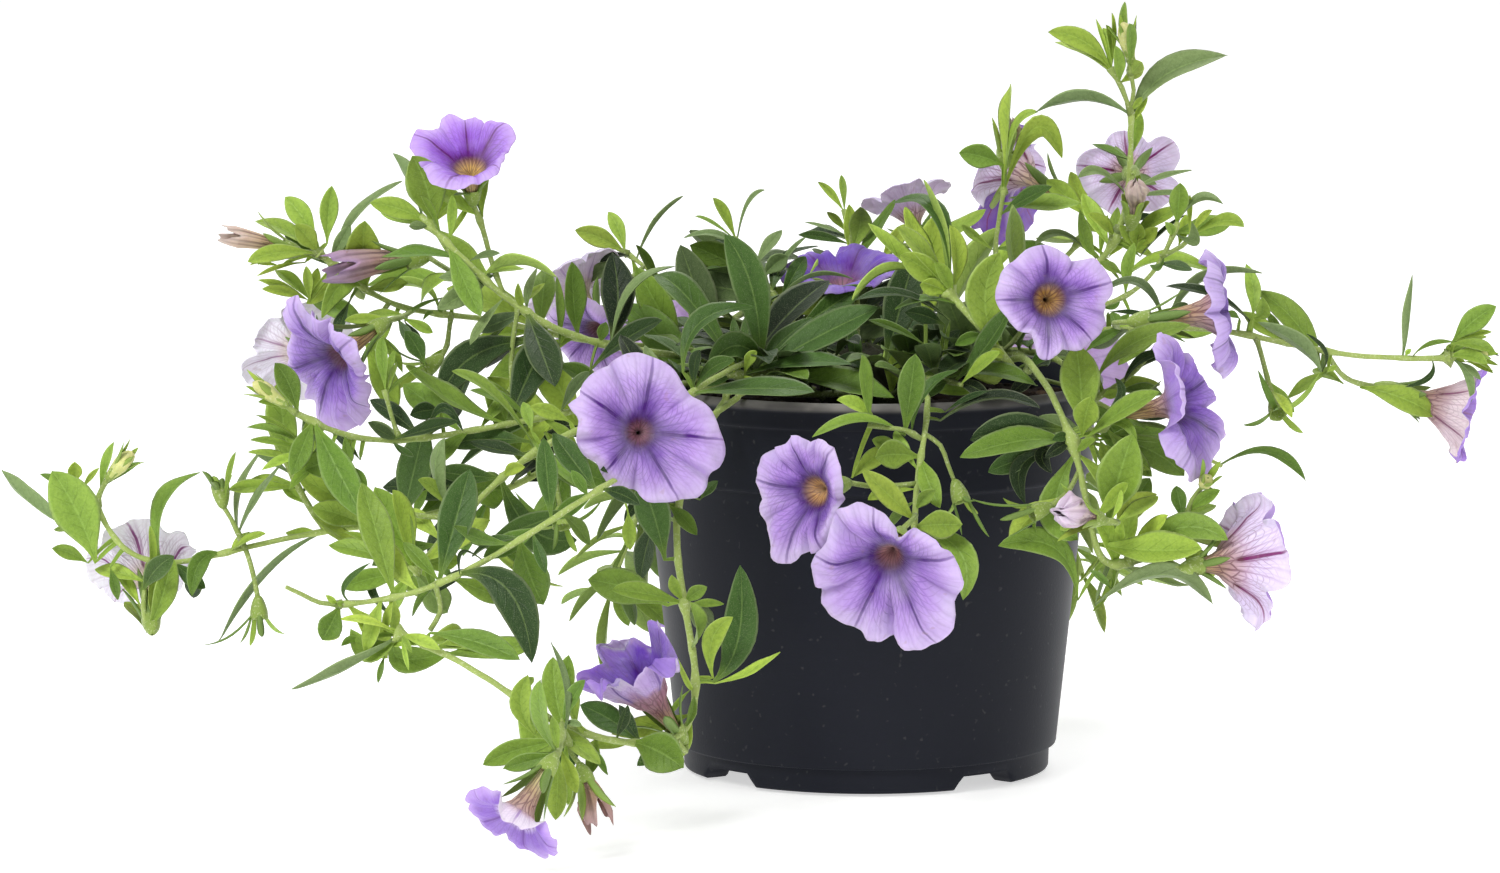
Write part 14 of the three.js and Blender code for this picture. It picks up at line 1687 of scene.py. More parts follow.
def leaf(pc, rnd, row, tooth=False, mat=0):
    B, M, T, w, nrm, col = (np.array(row[0], float), np.array(row[1], float), np.array(row[2], float), row[3], unit(row[4]), row[5])
    P = np.array(row[6], float) if len(row) > 6 else None
    prof = TOOTH if tooth else BLADE
    L = np.linalg.norm(T - B)
    # a fuller or a slimmer outline for each leaf
    fat = rnd.uniform(0.94, 1.06)
    if tooth:
        s = np.linspace(0, 1, 9) ** 0.9
        ts = np.linspace(-1, 1, 5)
    else:
        s = np.concatenate([np.linspace(0, 0.6, 8), np.linspace(0.6, 1, 9)[1:]])
        ts = np.array([-1, -0.8, -0.45, -0.14, 0, 0.14, 0.45, 0.8, 1])
    half = np.interp(s, prof[:, 0], prof[:, 1]) * w / 2 * fat
    half[-1] = 0.05
    if P is None:
        C = bezier(B, M, T, s)
    else:
        C = bezier(P, M, T, s)
        ns = 5
        st = bezier(B, (B + P) / 2 + np.array([0, 0, 0.06 * np.linalg.norm(P - B)]), P, np.linspace(0, 1, ns + 1)[:-1])
        C = np.vstack([st, C])
        half = np.concatenate([np.linspace(0.62, max(0.45, half[0]), ns), half])
        s = np.concatenate([np.linspace(-0.12, -0.02, ns), s])
    tan = unit(np.gradient(C, axis=0))
    side = unit(np.cross(np.broadcast_to(nrm, tan.shape), tan))
    up = np.cross(tan, side)
    nt = len(ts)
    # cross-section: the top from edge to edge, then the underside back
    fold = rnd.uniform(0.16, 0.46) * (0.6 if tooth else 1)
    ph = rnd.uniform(0, 6.28)
    wav = rnd.uniform(0.01, 0.05) * (0 if tooth else 1)
    thick = 0.26 if not tooth else 0.3
    sm = np.clip(s, 0, 1)
    X = np.concatenate([ts, ts[-2:0:-1]])
    low = np.concatenate([np.zeros(nt), np.ones(nt - 2)])
    lift = fold * (np.abs(X)[None] ** 1.25) * half[:, None] * (0.4 + 0.6 * np.sin(np.pi * sm))[:, None]
    lift = lift + wav * w * np.sin(s[:, None] * 13 + ph + np.sign(X)[None] * 1.3) * (X[None] ** 2) * sm[:, None]
    if not tooth:
        lift = lift - 0.16 * np.exp(-((X[None] / 0.13) ** 2)) * np.clip(half[:, None] / 1.6, 0, 1) * (1 - low)[None] * (1 - 0.7 * sm[:, None])
        lift = lift - (0.30 * np.exp(-((X[None] / 0.16) ** 2)) * (1 - 0.8 * sm[:, None])) * low[None]
    lift = lift - low[None] * thick * (1 - X[None] ** 2) * np.clip(half[:, None] / 0.8, 0.35, 1)
    pts = C[:, None] + side[:, None] * (X[None] * half[:, None])[..., None] + up[:, None] * lift[..., None]
    base = PALETTE[col].copy()
    jit = rnd.uniform(0.86, 1.14)
    hue = rnd.uniform(-0.06, 0.06)
    base = base * jit * np.array([1 + hue, 1, 1 - hue])
    young = PALETTE["L"] * np.array([1.05, 1.04, 1.0])
    k = np.clip(1 - (s + 0.06) / 0.30, 0, 1)[:, None, None] * 0.55
    tint = np.broadcast_to(base, pts.shape) * (1 - k) + young * k
    under = base * 0.60 + lin(138, 156, 100) * 0.40
    tint = np.where(low[None, :, None] > 0, under, tint)
    if col == "G":
        tint = np.broadcast_to(under * 1.05, pts.shape)
    uv = np.stack([np.broadcast_to((X + 1) / 2, pts.shape[:2]), np.broadcast_to(np.clip(s, 0, 1)[:, None], pts.shape[:2])], -1)
    amt = np.zeros(pts.shape)
    amt[..., 0] = 0 if tooth else 1
    amt[..., 1] = rnd.random()
    pc.grid(pts, True, uv, tint, amt=amt, mat=mat)


# ---------------------------------------------------------------- stems, cups, buds
def stem(pc, rnd, r0, r1, main, flat, knots):
    P = np.array(flat, float).reshape(-1, 3)
    if len(P) < 2:
        return
    S = spline(P, 3 if main else 2)
    T, U, W = frames(S)
    n = len(S)
    t = np.linspace(0, 1, n)
    r = r0 + (r1 - r0) * t
    cum = np.concatenate([[0], np.cumsum(np.linalg.norm(np.diff(S, axis=0), axis=1))])
    # a slight swelling where a leaf leaves the stem
    for q in knots:
        d = np.linalg.norm(S - q, axis=1)
        i = int(d.argmin())
        if d[i] < 2.5:
            r = r + 0.16 * r * np.exp(-(((cum - cum[i]) / 1.3) ** 2))
    sides = 9 if main else 7
    a = np.arange(sides) / sides * 2 * np.pi
    wob = 1 + 0.05 * np.sin(3 * a[None] + cum[:, None] * 0.35)
    ring = (U[:, None] * np.cos(a)[None, :, None] + W[:, None] * np.sin(a)[None, :, None]) * (r[:, None] * wob)[..., None]
    pts = S[:, None] + ring
    ends = np.array([S[0] - T[0] * 0.05, S[-1] + T[-1] * 0.15])
    first = ends[0][None, None] + ring[:1] * 0.05
    last = ends[1][None, None] + ring[-1:] * 0.05
    pts = np.concatenate([first, pts, last])
    # stems are darker and more olive near their start at the crown: partly the older stem, partly painted shade deep in
    # the plant
    old, new = lin(124, 142, 72), lin(166, 184, 100)
    far = np.concatenate([[0], cum, [cum[-1]]]) / 70.0
    k = np.clip(far + (0.0 if main else 0.5), 0, 1)[:, None, None]
    j = rnd.uniform(0.92, 1.08)
    tint = (old * (1 - k) + new * k) * j * np.ones(pts.shape)
    uv = np.stack([np.broadcast_to(np.arange(sides) / sides, pts.shape[:2]), np.broadcast_to(np.concatenate([[0], cum, [cum[-1]]])[:, None] / 20, pts.shape[:2])], -1)
    pc.grid(pts, True, uv, tint, amt=(0, rnd.random(), 0), mat=1)


def cup(pc, rnd, B, d, R, H):
    B = np.array(B, float)
    d = unit(d)
    u = unit(np.cross(d, [0.21, 0.35, 0.91]))
    w = np.cross(d, u)
    prof = [(0.25, -0.7), (0.75, -0.35), (1.15, 0.3), (R * 0.78, H * 0.3), (R * 0.95, H * 0.6), (R * 1.02, H * 0.95), (R * 1.0, H * 1.02), (R * 0.86, H * 0.95), (R * 0.7, H * 0.5), (0.35, H * 0.2)]
    n = 15
    a = np.arange(n) / n * 2 * np.pi
    rib = 1 + 0.05 * np.cos(5 * a)
    pts = np.array([B + d * h + (u * np.cos(a)[:, None] + w * np.sin(a)[:, None]) * (r * rib)[:, None] for r, h in prof])
    base = lin(146, 168, 78) * rnd.uniform(0.9, 1.1)
    uv = np.stack(np.meshgrid(np.arange(n) / n, np.arange(len(prof)) / 10), -1)
    pc.grid(pts, True, uv, np.broadcast_to(base, pts.shape), amt=(0, rnd.random(), 0), mat=1)


def bud(pc, rnd, B, T, r):
    B, T = np.array(B, float), np.array(T, float)
    d = unit(T - B)
    L = np.linalg.norm(T - B)
    u = unit(np.cross(d, [0.21, 0.35, 0.91]))
    w = np.cross(d, u)
    s = np.linspace(0, 1, 14)
    n = 20
    a = np.arange(n) / n * 2 * np.pi
    prof = np.interp(s, [0, 0.2, 0.5, 0.75, 0.92, 1], [0.5, 0.72, 1.0, 0.95, 0.62, 0.12])
    rr = r * prof[:, None] * (1 + 0.10 * np.cos(5 * a[None] + s[:, None] * 5))
    pts = B + d * (s * L)[:, None, None] + (u * np.cos(a)[None, :, None] + w * np.sin(a)[None, :, None]) * rr[..., None]
    k = s[:, None, None]
    tint = lin(196, 206, 120) * (1 - k) + lin(226, 220, 150) * k
    uv = np.stack(np.meshgrid(np.arange(n) / n, s), -1)
    pc.grid(pts, True, uv, np.broadcast_to(tint, pts.shape), amt=(0, 0.5, 0), mat=1)


# ---------------------------------------------------------------- corollas
STYLE = {
    # inner lilac, margin, flush, throat, outer face, veins, vein strength inside and outside
    "bloom": dict(face=(170, 136, 212), edge=(204, 180, 234), flush=(76, 26, 136), throat=(56, 14, 74), back=(196, 172, 222), vein=(66, 22, 112), vi=1.25, vo=0.4),
    "deep": dict(face=(108, 72, 184), edge=(140, 108, 206), flush=(100, 34, 140), throat=(120, 30, 90), back=(140, 108, 200), vein=(84, 26, 118), vi=0.9, vo=0.6),
    "vivid": dict(face=(158, 112, 220), edge=(192, 160, 238), flush=(114, 44, 164), throat=(84, 14, 92), back=(214, 196, 232), vein=(92, 18, 112), vi=1.15, vo=0.5),
    "side": dict(face=(152, 116, 208), edge=(198, 172, 234), flush=(88, 44, 150), throat=(66, 22, 84), back=(152, 120, 206), vein=(64, 24, 112), vi=1.2, vo=0.5),
    "sideout": dict(face=(120, 82, 180), edge=(150, 118, 206), flush=(96, 52, 152), throat=(66, 22, 84), back=(224, 204, 210), vein=(116, 54, 88), vi=0.8, vo=1.0),
    "pale": dict(face=(200, 182, 224), edge=(220, 208, 236), flush=(156, 118, 194), throat=(84, 36, 100), back=(224, 214, 234), vein=(116, 70, 152), vi=0.8, vo=0.5),
    "white": dict(face=(230, 224, 242), edge=(238, 235, 248), flush=(190, 158, 204), throat=(112, 54, 108), back=(238, 234, 250), vein=(118, 48, 108), vi=1.0, vo=0.8),
    "faded": dict(face=(206, 192, 232), edge=(216, 202, 236), flush=(148, 120, 182), throat=(88, 52, 80), back=(212, 194, 236), vein=(128, 90, 130), vi=0.7, vo=0.4),
    "outer": dict(face=(112, 82, 172), edge=(170, 140, 212), flush=(120, 66, 158), throat=(82, 28, 80), back=(226, 212, 246), vein=(112, 26, 92), vi=0.8, vo=1.4),
    "outer2": dict(face=(112, 80, 170), edge=(150, 122, 200), flush=(96, 52, 148), throat=(82, 28, 80), back=(204, 190, 238), vein=(100, 30, 100), vi=0.9, vo=1.15),
    "crumple": dict(face=(118, 80, 190), edge=(158, 126, 214), flush=(80, 36, 150), throat=(70, 22, 84), back=(190, 166, 214), vein=(74, 30, 126), vi=1.0, vo=0.85),
    "floor": dict(face=(144, 110, 200), edge=(178, 150, 220), flush=(150, 118, 204), throat=(228, 220, 234), back=(226, 212, 230), vein=(104, 60, 146), vi=0.8, vo=0.7),
}


def basis(d):
    z = unit(d)
    ref = np.array([0, 0, 1.0]) if abs(z[2]) < 0.9 else np.array([1.0, 0, 0])
    x = unit(ref - z * (ref @ z))
    return x, np.cross(z, x), z


def smooth(x, a, b):
    t = np.clip((x - a) / (b - a), 0, 1)
    return t * t * (3 - 2 * t)


def hash2(ix, iy, k=0):
    v = np.sin(ix * 127.1 + iy * 311.7 + k * 74.7) * 43758.5453
    return v - np.floor(v)


def vnoise(x, y, k=0):
    ix, iy = np.floor(x), np.floor(y)
    fx, fy = x - ix, y - iy
    fx, fy = fx * fx * (3 - 2 * fx), fy * fy * (3 - 2 * fy)
    return (hash2(ix, iy, k) * (1 - fx) + hash2(ix + 1, iy, k) * fx) * (1 - fy) + (hash2(ix, iy + 1, k) * (1 - fx) + hash2(ix + 1, iy + 1, k) * fx) * fy


def corolla(f):
    rnd = random.Random(f["seed"])
    st = STYLE[f["style"]]
    R, T = f["R"], f["T"]
    x, y, z = basis(f["dir"])
    nc = 120
    U = np.arange(nc) / nc
    lobe = (U * 5) % 1.0 - 0.5
    li = np.floor(U * 5).astype(int)
    a = math.radians(f["turn"]) + 2 * np.pi * U
    if f.get("mids"):
        # unequal lobes: the midveins leave the mouth at the listed angles
        md = np.radians(f["mids"])
        md = np.concatenate([md[-1:] - 2 * np.pi, md, md[:1] + 2 * np.pi])
        ku = np.concatenate([(np.arange(7) - 0.5) / 5, (np.arange(6)) / 5])
        ka = np.concatenate([md, (md[:-1] + md[1:]) / 2])
        o = np.argsort(ku)
        a = np.interp(U, ku[o], ka[o])
    mouth = f["mouth"] * R
    ns_t, ns_l = 9, 20
    vt = np.linspace(0, 1, ns_t)
    sl = np.linspace(0, 1, ns_l)[1:] ** 0.92
    # profile of the funnel: tube, then limb
    bend = f.get("bend", 0.0)
    deep_at = f.get("deep", 0.72)
    tr = np.interp(vt, [0, 0.2, 0.45, 0.75, 0.92, 1], [0.8, 1.15, 1.55, 0.40 * mouth + 0.7, 0.66 * mouth + 0.4, mouth])
    th = vt * deep_at * T + 0.35 * (1 - vt)
    r1 = mouth + (R - mouth) * sl
    h0, h1 = deep_at * T, f["rim"] * T
    hl = h0 + (h1 - h0) * (1 - (1 - sl) ** f.get("flare", 2.0)) - f.get("recurve", 0.10) * R * np.clip(sl - 0.55, 0, 1) ** 2 / 0.2
    V = np.concatenate([vt * 0.4, 0.4 + 0.6 * sl])
    Rr = np.concatenate([tr, r1])
    Hh = np.concatenate([th, hl])
    s = np.concatenate([np.zeros(ns_t), sl])
    # both faces of the petal, from the outside of the tube over the rim to the inside of the tube
    tg = np.stack([np.gradient(Rr), np.gradient(Hh)], -1)
    tg /= np.linalg.norm(tg, axis=1, keepdims=True)
    th_in = 0.32 * (1 - 0.45 * s)
    Ri, Hi = Rr - tg[:, 1] * th_in, Hh + tg[:, 0] * th_in
    # the throat narrows fast inside: a shallow striped cone, then the thin bore
    bore = np.interp(Hh / h0, [0, 0.70, 0.80, 0.90, 1.0], [0.25, 0.11 * mouth + 0.05, 0.26 * mouth + 0.1, 0.62 * mouth, mouth])
    Ri = np.where(s > 0, Ri, np.minimum(Ri, np.maximum(bore, 0.15)))
    keep = slice(None, 1, -1)
    Vv = np.concatenate([V, V[keep]])
    Rv = np.concatenate([Rr, Ri[keep]])
    Hv = np.concatenate([Hh, Hi[keep]])
    Sv = np.concatenate([s, s[keep]])
    inner = np.concatenate([np.zeros(len(V)), np.ones(len(V[keep]))])
    # outline: five broad rounded lobes with shallow notches
    al = np.abs(lobe) * 2
    notch = f.get("notch", 0.17)
    dent = 0.03 * np.exp(-((lobe / 0.07) ** 2))
    size = np.array([f["lobes"][i][0] for i in li])
    lift = np.array([f["lobes"][i][1] for i in li])
    curl = np.array([(f["lobes"][i][2] if len(f["lobes"][i]) > 2 else 0.0) for i in li])
    skew = np.array([rnd.uniform(-0.05, 0.05) for _ in range(5)])[li] * np.sin(lobe * 2 * np.pi)
    out = (1 - notch * al**5 - dent + skew) * (1 + (size - 1) * (1 - al**4))
    if f.get("edge"):
        e = np.array(f["edge"])
        g = (a % (2 * np.pi)) / (2 * np.pi) * len(e)
        i0 = np.floor(g).astype(int)
        out = e[i0 % len(e)] * (1 - (g - i0)) + e[(i0 + 1) % len(e)] * (g - i0)
    rim = out[None] * 1.0
    S2, A2 = Sv[:, None], al[None]
    body = Rv[:, None] * (1 + (rim - 1) * smooth(S2, 0.1, 1.0))
    # pleats between the lobes, a groove along each midvein, ruffled margins
    ph = [rnd.uniform(0, 6.28) for _ in range(8)]
    ruf = f.get("ruffle", 1.0)
    w1 = np.sin(5 * 2 * np.pi * U * 2 + ph[0]) * 0.5 + np.sin(2 * np.pi * U * 13 + ph[1]) * 0.5 + 0.6 * np.sin(2 * np.pi * U * 3 + ph[2])
    w2 = np.sin(2 * np.pi * U * 23 + ph[3]) + 0.7 * np.sin(2 * np.pi * U * 31 + ph[4])
    dz = R * (0.035 * ruf * w1[None] * S2**1.6 + 0.010 * ruf * w2[None] * S2**3)
    dz = dz - R * 0.125 * np.exp(-(((1 - A2) / 0.13) ** 2)) * smooth(S2, 0.12, 0.8) * f.get("pleat", 1.0)
    dz = dz - R * 0.034 * np.exp(-((A2 / 0.14) ** 2)) * smooth(S2, 0.0, 0.6) * (1 - 0.6 * S2)
    dz = dz + R * 0.11 * (1 - A2**2) * S2 * (1 - S2) * 1.6
    dz = dz + R * lift[None] * (S2**1.5) * (1 - A2**3)
    # a lobe that rolls forward or back past its middle
    c2 = curl[None] * (1 - A2**2.5)
    s0 = f.get("curl_from", 0.35)
    q = np.clip((S2 - s0) / (1 - s0), 0, 1)
    ang = c2 * q
    arc = (R - mouth) * (1 - s0) * q
    body = body - arc * (1 - np.cos(ang / 2) * np.where(np.abs(ang) > 1e-3, np.sin(np.clip(ang, -3, 3) / 2 + 1e-9) / (ang / 2 + 1e-9), 1))
    dz = dz + arc * np.sin(ang / 2) * 0.9
    shut = f["shut"]
    squeeze = 1 - shut * (0.5 + 0.5 * np.cos(2 * a))[None] * smooth(S2, 0, 1)
    Rf = np.maximum(body * squeeze, 0.3)
    Hf = Hv[:, None] + dz
    # slow swells and small dents of a soft petal
    q1, q2 = Rf * np.cos(a)[None] / R, Rf * np.sin(a)[None] / R
    sd = f["seed"]
    dent2 = (vnoise(q1 * 1.6 + sd, q2 * 1.6, 3) - 0.5) * 0.20 + (vnoise(q1 * 3.7, q2 * 3.7 + sd, 5) - 0.5) * 0.105 + (vnoise(q1 * 9 + sd, q2 * 9, 7) - 0.5) * 0.030
    Hf = Hf + R * f.get("swell", 1.0) * dent2 * smooth(S2, 0.05, 0.6)
    if f.get("tilt"):
        # the limb leans on its tube
        k = f["tilt"]
        Hf = Hf + smooth(S2, 0, 1) * k[0] * Rf * np.cos(a - math.radians(k[1]))[None]
    crum = f.get("crumple", 0.0)
    if crum:
        g = rnd.uniform(0, 6)
        Rf = Rf * (1 - crum * 0.45 * (0.5 + 0.5 * np.sin(3 * a + g)[None]) * smooth(S2, 0.1, 1) * (0.6 + 0.4 * np.sin(9 * S2 + 4 * a[None])))
        Hf = Hf + crum * R * 0.30 * np.sin(4 * a[None] + 5 * S2 + g) * S2 + crum * R * 0.14 * np.sin(9 * a[None] - 7 * S2) * S2
    pts = (np.array(f["base"]) + z * Hf[..., None] + x * (Rf * np.cos(a)[None])[..., None] + y * (Rf * np.sin(a)[None])[..., None])
    # colours
    L = {k: lin(*v) for k, v in st.items() if isinstance(v, tuple)}
    dist = 0.5 + 0.5 * np.sin(2 * np.pi * U + ph[5])
    face = L["face"] * rnd.uniform(0.97, 1.03)
    e = smooth(S2, 0.45, 1.05)[..., None]
    fl = (1 - smooth(S2, 0.02, 0.58 + 0.22 * np.cos(lobe * 2 * np.pi)[None]))[..., None]
    col_in = face * (1 - e) + L["edge"] * e
    col_in = col_in * (1 - 0.9 * fl) + L["flush"] * 0.9 * fl
    # painted shade along the folds between the lobes
    fold_shade = (np.exp(-(((1 - A2) / 0.10) ** 2)) * smooth(S2, 0.10, 0.35) * 0.42)[..., None]
    col_in = col_in * (1 - fold_shade) + (L["face"] * 0.45 + L["flush"] * 0.55) * fold_shade
    near = (1 - smooth(S2, 0.0, 0.20))[..., None] * 0.9
    col_in = col_in * (1 - near) + L["throat"] * near
    tube_in = lin(*f.get("inside", (150, 96, 112))) if f["style"] != "floor" else lin(214, 206, 220)
    # the tube is painted darker towards its bottom: painted shade deep in the throat
    deep = (np.clip(Vv / 0.4, 0, 1)[:, None, None]) * np.ones((1, nc, 1))
    tube_col_with_shade = tube_in * (0.35 + 0.65 * deep)
    lip = smooth(Vv[:, None], 0.34, 0.4)[..., None]
    tube_col_with_shade = tube_col_with_shade * (1 - 0.8 * lip) + L["throat"] * 0.8 * lip
    intube = (Vv <= 0.401)[:, None, None]
    col_in = np.where(intube, tube_col_with_shade, col_in)
    ve = np.clip(Vv / 0.4, 0, 1)[:, None, None]
    col_out = L["back"] * np.ones(pts.shape)
    if f.get("shade"):
        # the listed lobes have their outer face blended, lobe by lobe, towards the darker inner face colour
        sh = np.array(f["shade"])[li][None, :, None] * smooth(S2, 0.15, 0.5)[..., None] * (1 - smooth(A2, 0.86, 1.0))[..., None]
        col_out = col_out * (1 - sh) + L["face"] * sh
    tan = lin(214, 180, 118) if f["style"] not in ("white", "pale", "floor") else lin(222, 208, 150)
    k = 1 - smooth(Vv[:, None], 0.22, 0.62)[..., None]
    col_out = col_out * (1 - k) + tan * k
    # a dark wine collar where the tube opens
    cc, ck = f.get("collar", ((150, 92, 112), 0.24))
    k = (smooth(Vv, 0.12, 0.32) * (1 - smooth(Vv, 0.42, 0.66)) * ck)[:, None, None]
    col_out = col_out * (1 - k) + lin(*cc) * k
    inn = inner[:, None, None]
    # painted shade: the dents of a soft or crumpled petal are painted deeper in colour
    dent_shade = np.clip(-dent2 * 6.0, 0, 1)[..., None] * smooth(S2, 0.1, 0.5)[..., None] * (0.25 + 0.55 * f.get("crease", 0.0))
    col_in = col_in * (1 - dent_shade) + L["flush"] * dent_shade
    col_out = col_out * (1 - dent_shade * 0.6) + L["face"] * dent_shade * 0.6
    tint = col_in * inn + col_out * (1 - inn)
    mark = np.where(inn > 0.5, np.where(intube, lin(84, 34, 40), L["vein"]), np.where(Vv[:, None, None] < 0.5, lin(*f.get("stripe", (88, 24, 48))), L["vein"])) * np.ones(pts.shape)
    amt = np.zeros(pts.shape)
    amt[..., 0] = np.where(inner > 0.5, st["vi"], f.get("vo", st["vo"]))[:, None]
    amt[..., 1] = f.get("spots", 0.25)
    amt[..., 2] = np.where(inner > 0.5, 0.8, 0.85 if f["style"] not in ("white", "pale") else 0.5)[:, None]
    uv = np.stack([np.broadcast_to(U, pts.shape[:2]), np.broadcast_to(Vv[:, None], pts.shape[:2])], -1)
    pc = Piece()
    pc.grid(pts, "wrap", uv, tint, mark, amt, 0)
    # pistil and five anthers inside the mouth
    B = np.array(f["base"])
    if f.get("anthers"):
        hs = h0 * 0.62
        for i in range(6):
            an = i * 2 * np.pi / 5 + 0.4
            rr = 0.1 if i == 5 else 0.34 * mouth
            c = B + z * (hs + (0.5 if i == 5 else rnd.uniform(-0.5, 0.3))) + x * rr * math.cos(an) + y * rr * math.sin(an)
            blob(pc, c, z, 0.5 if i == 5 else 0.42, 0.5, lin(150, 150, 70) if i == 5 else lin(190, 160, 92), 1)
            rod(pc, B + z * (0.3 * T) + (c - B - z * ((c - B) @ z)) * 0.3, c, 0.16, lin(204, 196, 140), 1)
    return pc


def blob(pc, c, z, r, k, col, mat):
    n = 10
    a = np.arange(n) / n * 2 * np.pi
    x, y, zz = basis(z)
    t = np.linspace(0.04, np.pi - 0.04, 7)
    pts = c + (x * np.cos(a)[None, :, None] + y * np.sin(a)[None, :, None]) * (r * np.sin(t)[:, None] * (1 + 0.15 * np.cos(3 * a)[None]))[..., None] + zz * (-r * k * 1.5 * np.cos(t))[:, None, None]
    uv = np.stack(np.meshgrid(np.arange(n) / n, t / np.pi), -1)
    pc.grid(pts, True, uv, np.broadcast_to(col, pts.shape), amt=(0, 0.5, 0), mat=mat)


def rod(pc, A, B, r, col, mat):
    S = np.array([A + (B - A) * t for t in np.linspace(0, 1, 4)])
    T, U, W = frames(S)
    n = 6
    a = np.arange(n) / n * 2 * np.pi
    pts = S[:, None] + (U[:, None] * np.cos(a)[None, :, None] + W[:, None] * np.sin(a)[None, :, None]) * r
    uv = np.stack(np.meshgrid(np.arange(n) / n, np.linspace(0, 1, 4)), -1)
    pc.grid(pts, True, uv, np.broadcast_to(col, pts.shape), amt=(0, 0.5, 0), mat=mat)


FURL = {
    "wilt_purple": ((158, 126, 170), (124, 88, 128), (74, 30, 46)),
    "wilt_tan": ((178, 142, 140), (120, 78, 82), (78, 40, 40)),
    "wilt_beige": ((206, 188, 178), (160, 128, 122), (86, 50, 52)),
    "wilt_mauve": ((196, 172, 190), (150, 116, 146), (104, 58, 76)),
    "wilt_pink": ((222, 208, 226), (180, 156, 184), (110, 60, 100)),
}


def furled(f):
    """A withered corolla, rolled and twisted round itself."""
    rnd = random.Random(f["seed"])
    c0, c1, c2 = (lin(*c) for c in FURL[f["style"]])
    R, T = f["R"], f["T"]
    x, y, z = basis(f["dir"])
    nc, nr = 60, 34
    U = np.arange(nc) / nc
    s = np.linspace(0, 1, nr)
    a = 2 * np.pi * U
    neck = min(0.5, 4.2 / T)
    prof = np.interp(s, [0, neck * 0.5, neck, neck + (1 - neck) * 0.35, neck + (1 - neck) * 0.65, neck + (1 - neck) * 0.88, 1], [0.30, 0.42, 0.5, 0.88, 1.0, 0.72, 0.22])
    tw = 2.6 * s[:, None] + a[None]
    open_ = smooth(s, neck, 1)[:, None]
    rr = R * prof[:, None] * (1 + open_ * (0.22 * np.cos(3 * tw) + 0.12 * np.cos(7 * tw + 5 * s[:, None]) + 0.05 * np.cos(15 * tw)))
    fr = 0.5 * R * open_**3 * (np.sin(4 * a + 1)[None] + 0.6 * np.sin(9 * a)[None]) * 0.5
    if f.get("tips"):
        # half closed: the lobes end in two or three drooping points
        wide = np.interp(s, [0, 0.25, 0.6, 0.85, 1], [0.3, 0.5, 0.85, 1.05, 0.9])
        rr = R * wide[:, None] * (1 + 0.12 * np.cos(5 * a[None] + s[:, None]) * s[:, None])
        fr = R * s[:, None] ** 4 * (0.9 * np.cos(3 * a + 0.6)[None] + 0.3 * np.cos(8 * a)[None])
    h = s[:, None] * T + fr
    bow = R * 0.5 * np.sin(np.pi * s)
    pts = np.array(f["base"]) + z * h[..., None] + x * (rr * np.cos(a)[None] + bow[:, None] * 0.3)[..., None] + y * (rr * np.sin(a)[None])[..., None]
    k = s[:, None, None]
    tan = lin(206, 168, 116)
    tint = c0 * k + tan * (1 - k)
    g = (0.5 + 0.5 * np.cos(7 * tw))[..., None]
    tint = tint * (0.55 + 0.45 * g) + c1 * 0.45 * (1 - g)
    k = (np.clip(np.cos(10 * a[None] + 2.2 * s[:, None]) * 2.0 - 0.7, 0, 1) * (1 - 0.65 * s[:, None] ** 2))[..., None] * f.get("streak", 0.6)
    tint = tint * (1 - k) + c2 * k
    if f.get("tips"):
        # dark stripes run down the tube into the lobes
        k = (np.clip(np.cos(11 * a)[None] * 2.2 - 0.7, 0, 1) * (1 - 0.75 * s[:, None] ** 2))[..., None] * 0.8
        tint = (c0 * s[:, None, None] ** 1.5 + tan * (1 - s[:, None, None] ** 1.5)) * (1 - k) + c2 * k
    uv = np.stack([np.broadcast_to(U, pts.shape[:2]), np.broadcast_to(s[:, None], pts.shape[:2])], -1)
    amt = np.zeros(pts.shape)
    amt[..., 0] = 0.5
    amt[..., 1] = 0.8
    amt[..., 2] = 0.8
    pc = Piece()
    pc.grid(pts, "wrap", uv, tint, c2 * np.ones(pts.shape), amt, 0)
    return pc


# ---------------------------------------------------------------- pot, mix, crown
def revolve(pc, prof, n, tint, mat=0, shape=None):
    a = np.arange(n) / n * 2 * np.pi
    prof = np.array(prof, float)
    r = np.broadcast_to(prof[:, 0][:, None], (len(prof), n)).copy()
    h = np.broadcast_to(prof[:, 1][:, None], (len(prof), n)).copy()
    if shape:
        r, h = shape(r, h, a[None])
    pts = np.stack([r * np.cos(a), r * np.sin(a), h], -1)
    cum = np.concatenate([[0], np.cumsum(np.linalg.norm(np.diff(prof, axis=0), axis=1))]) / 50
    uv = np.stack(np.meshgrid(np.arange(n) / n, cum), -1)
    pc.grid(pts, "wrap", uv, tint(pts) if callable(tint) else np.broadcast_to(tint, pts.shape), mat=mat)


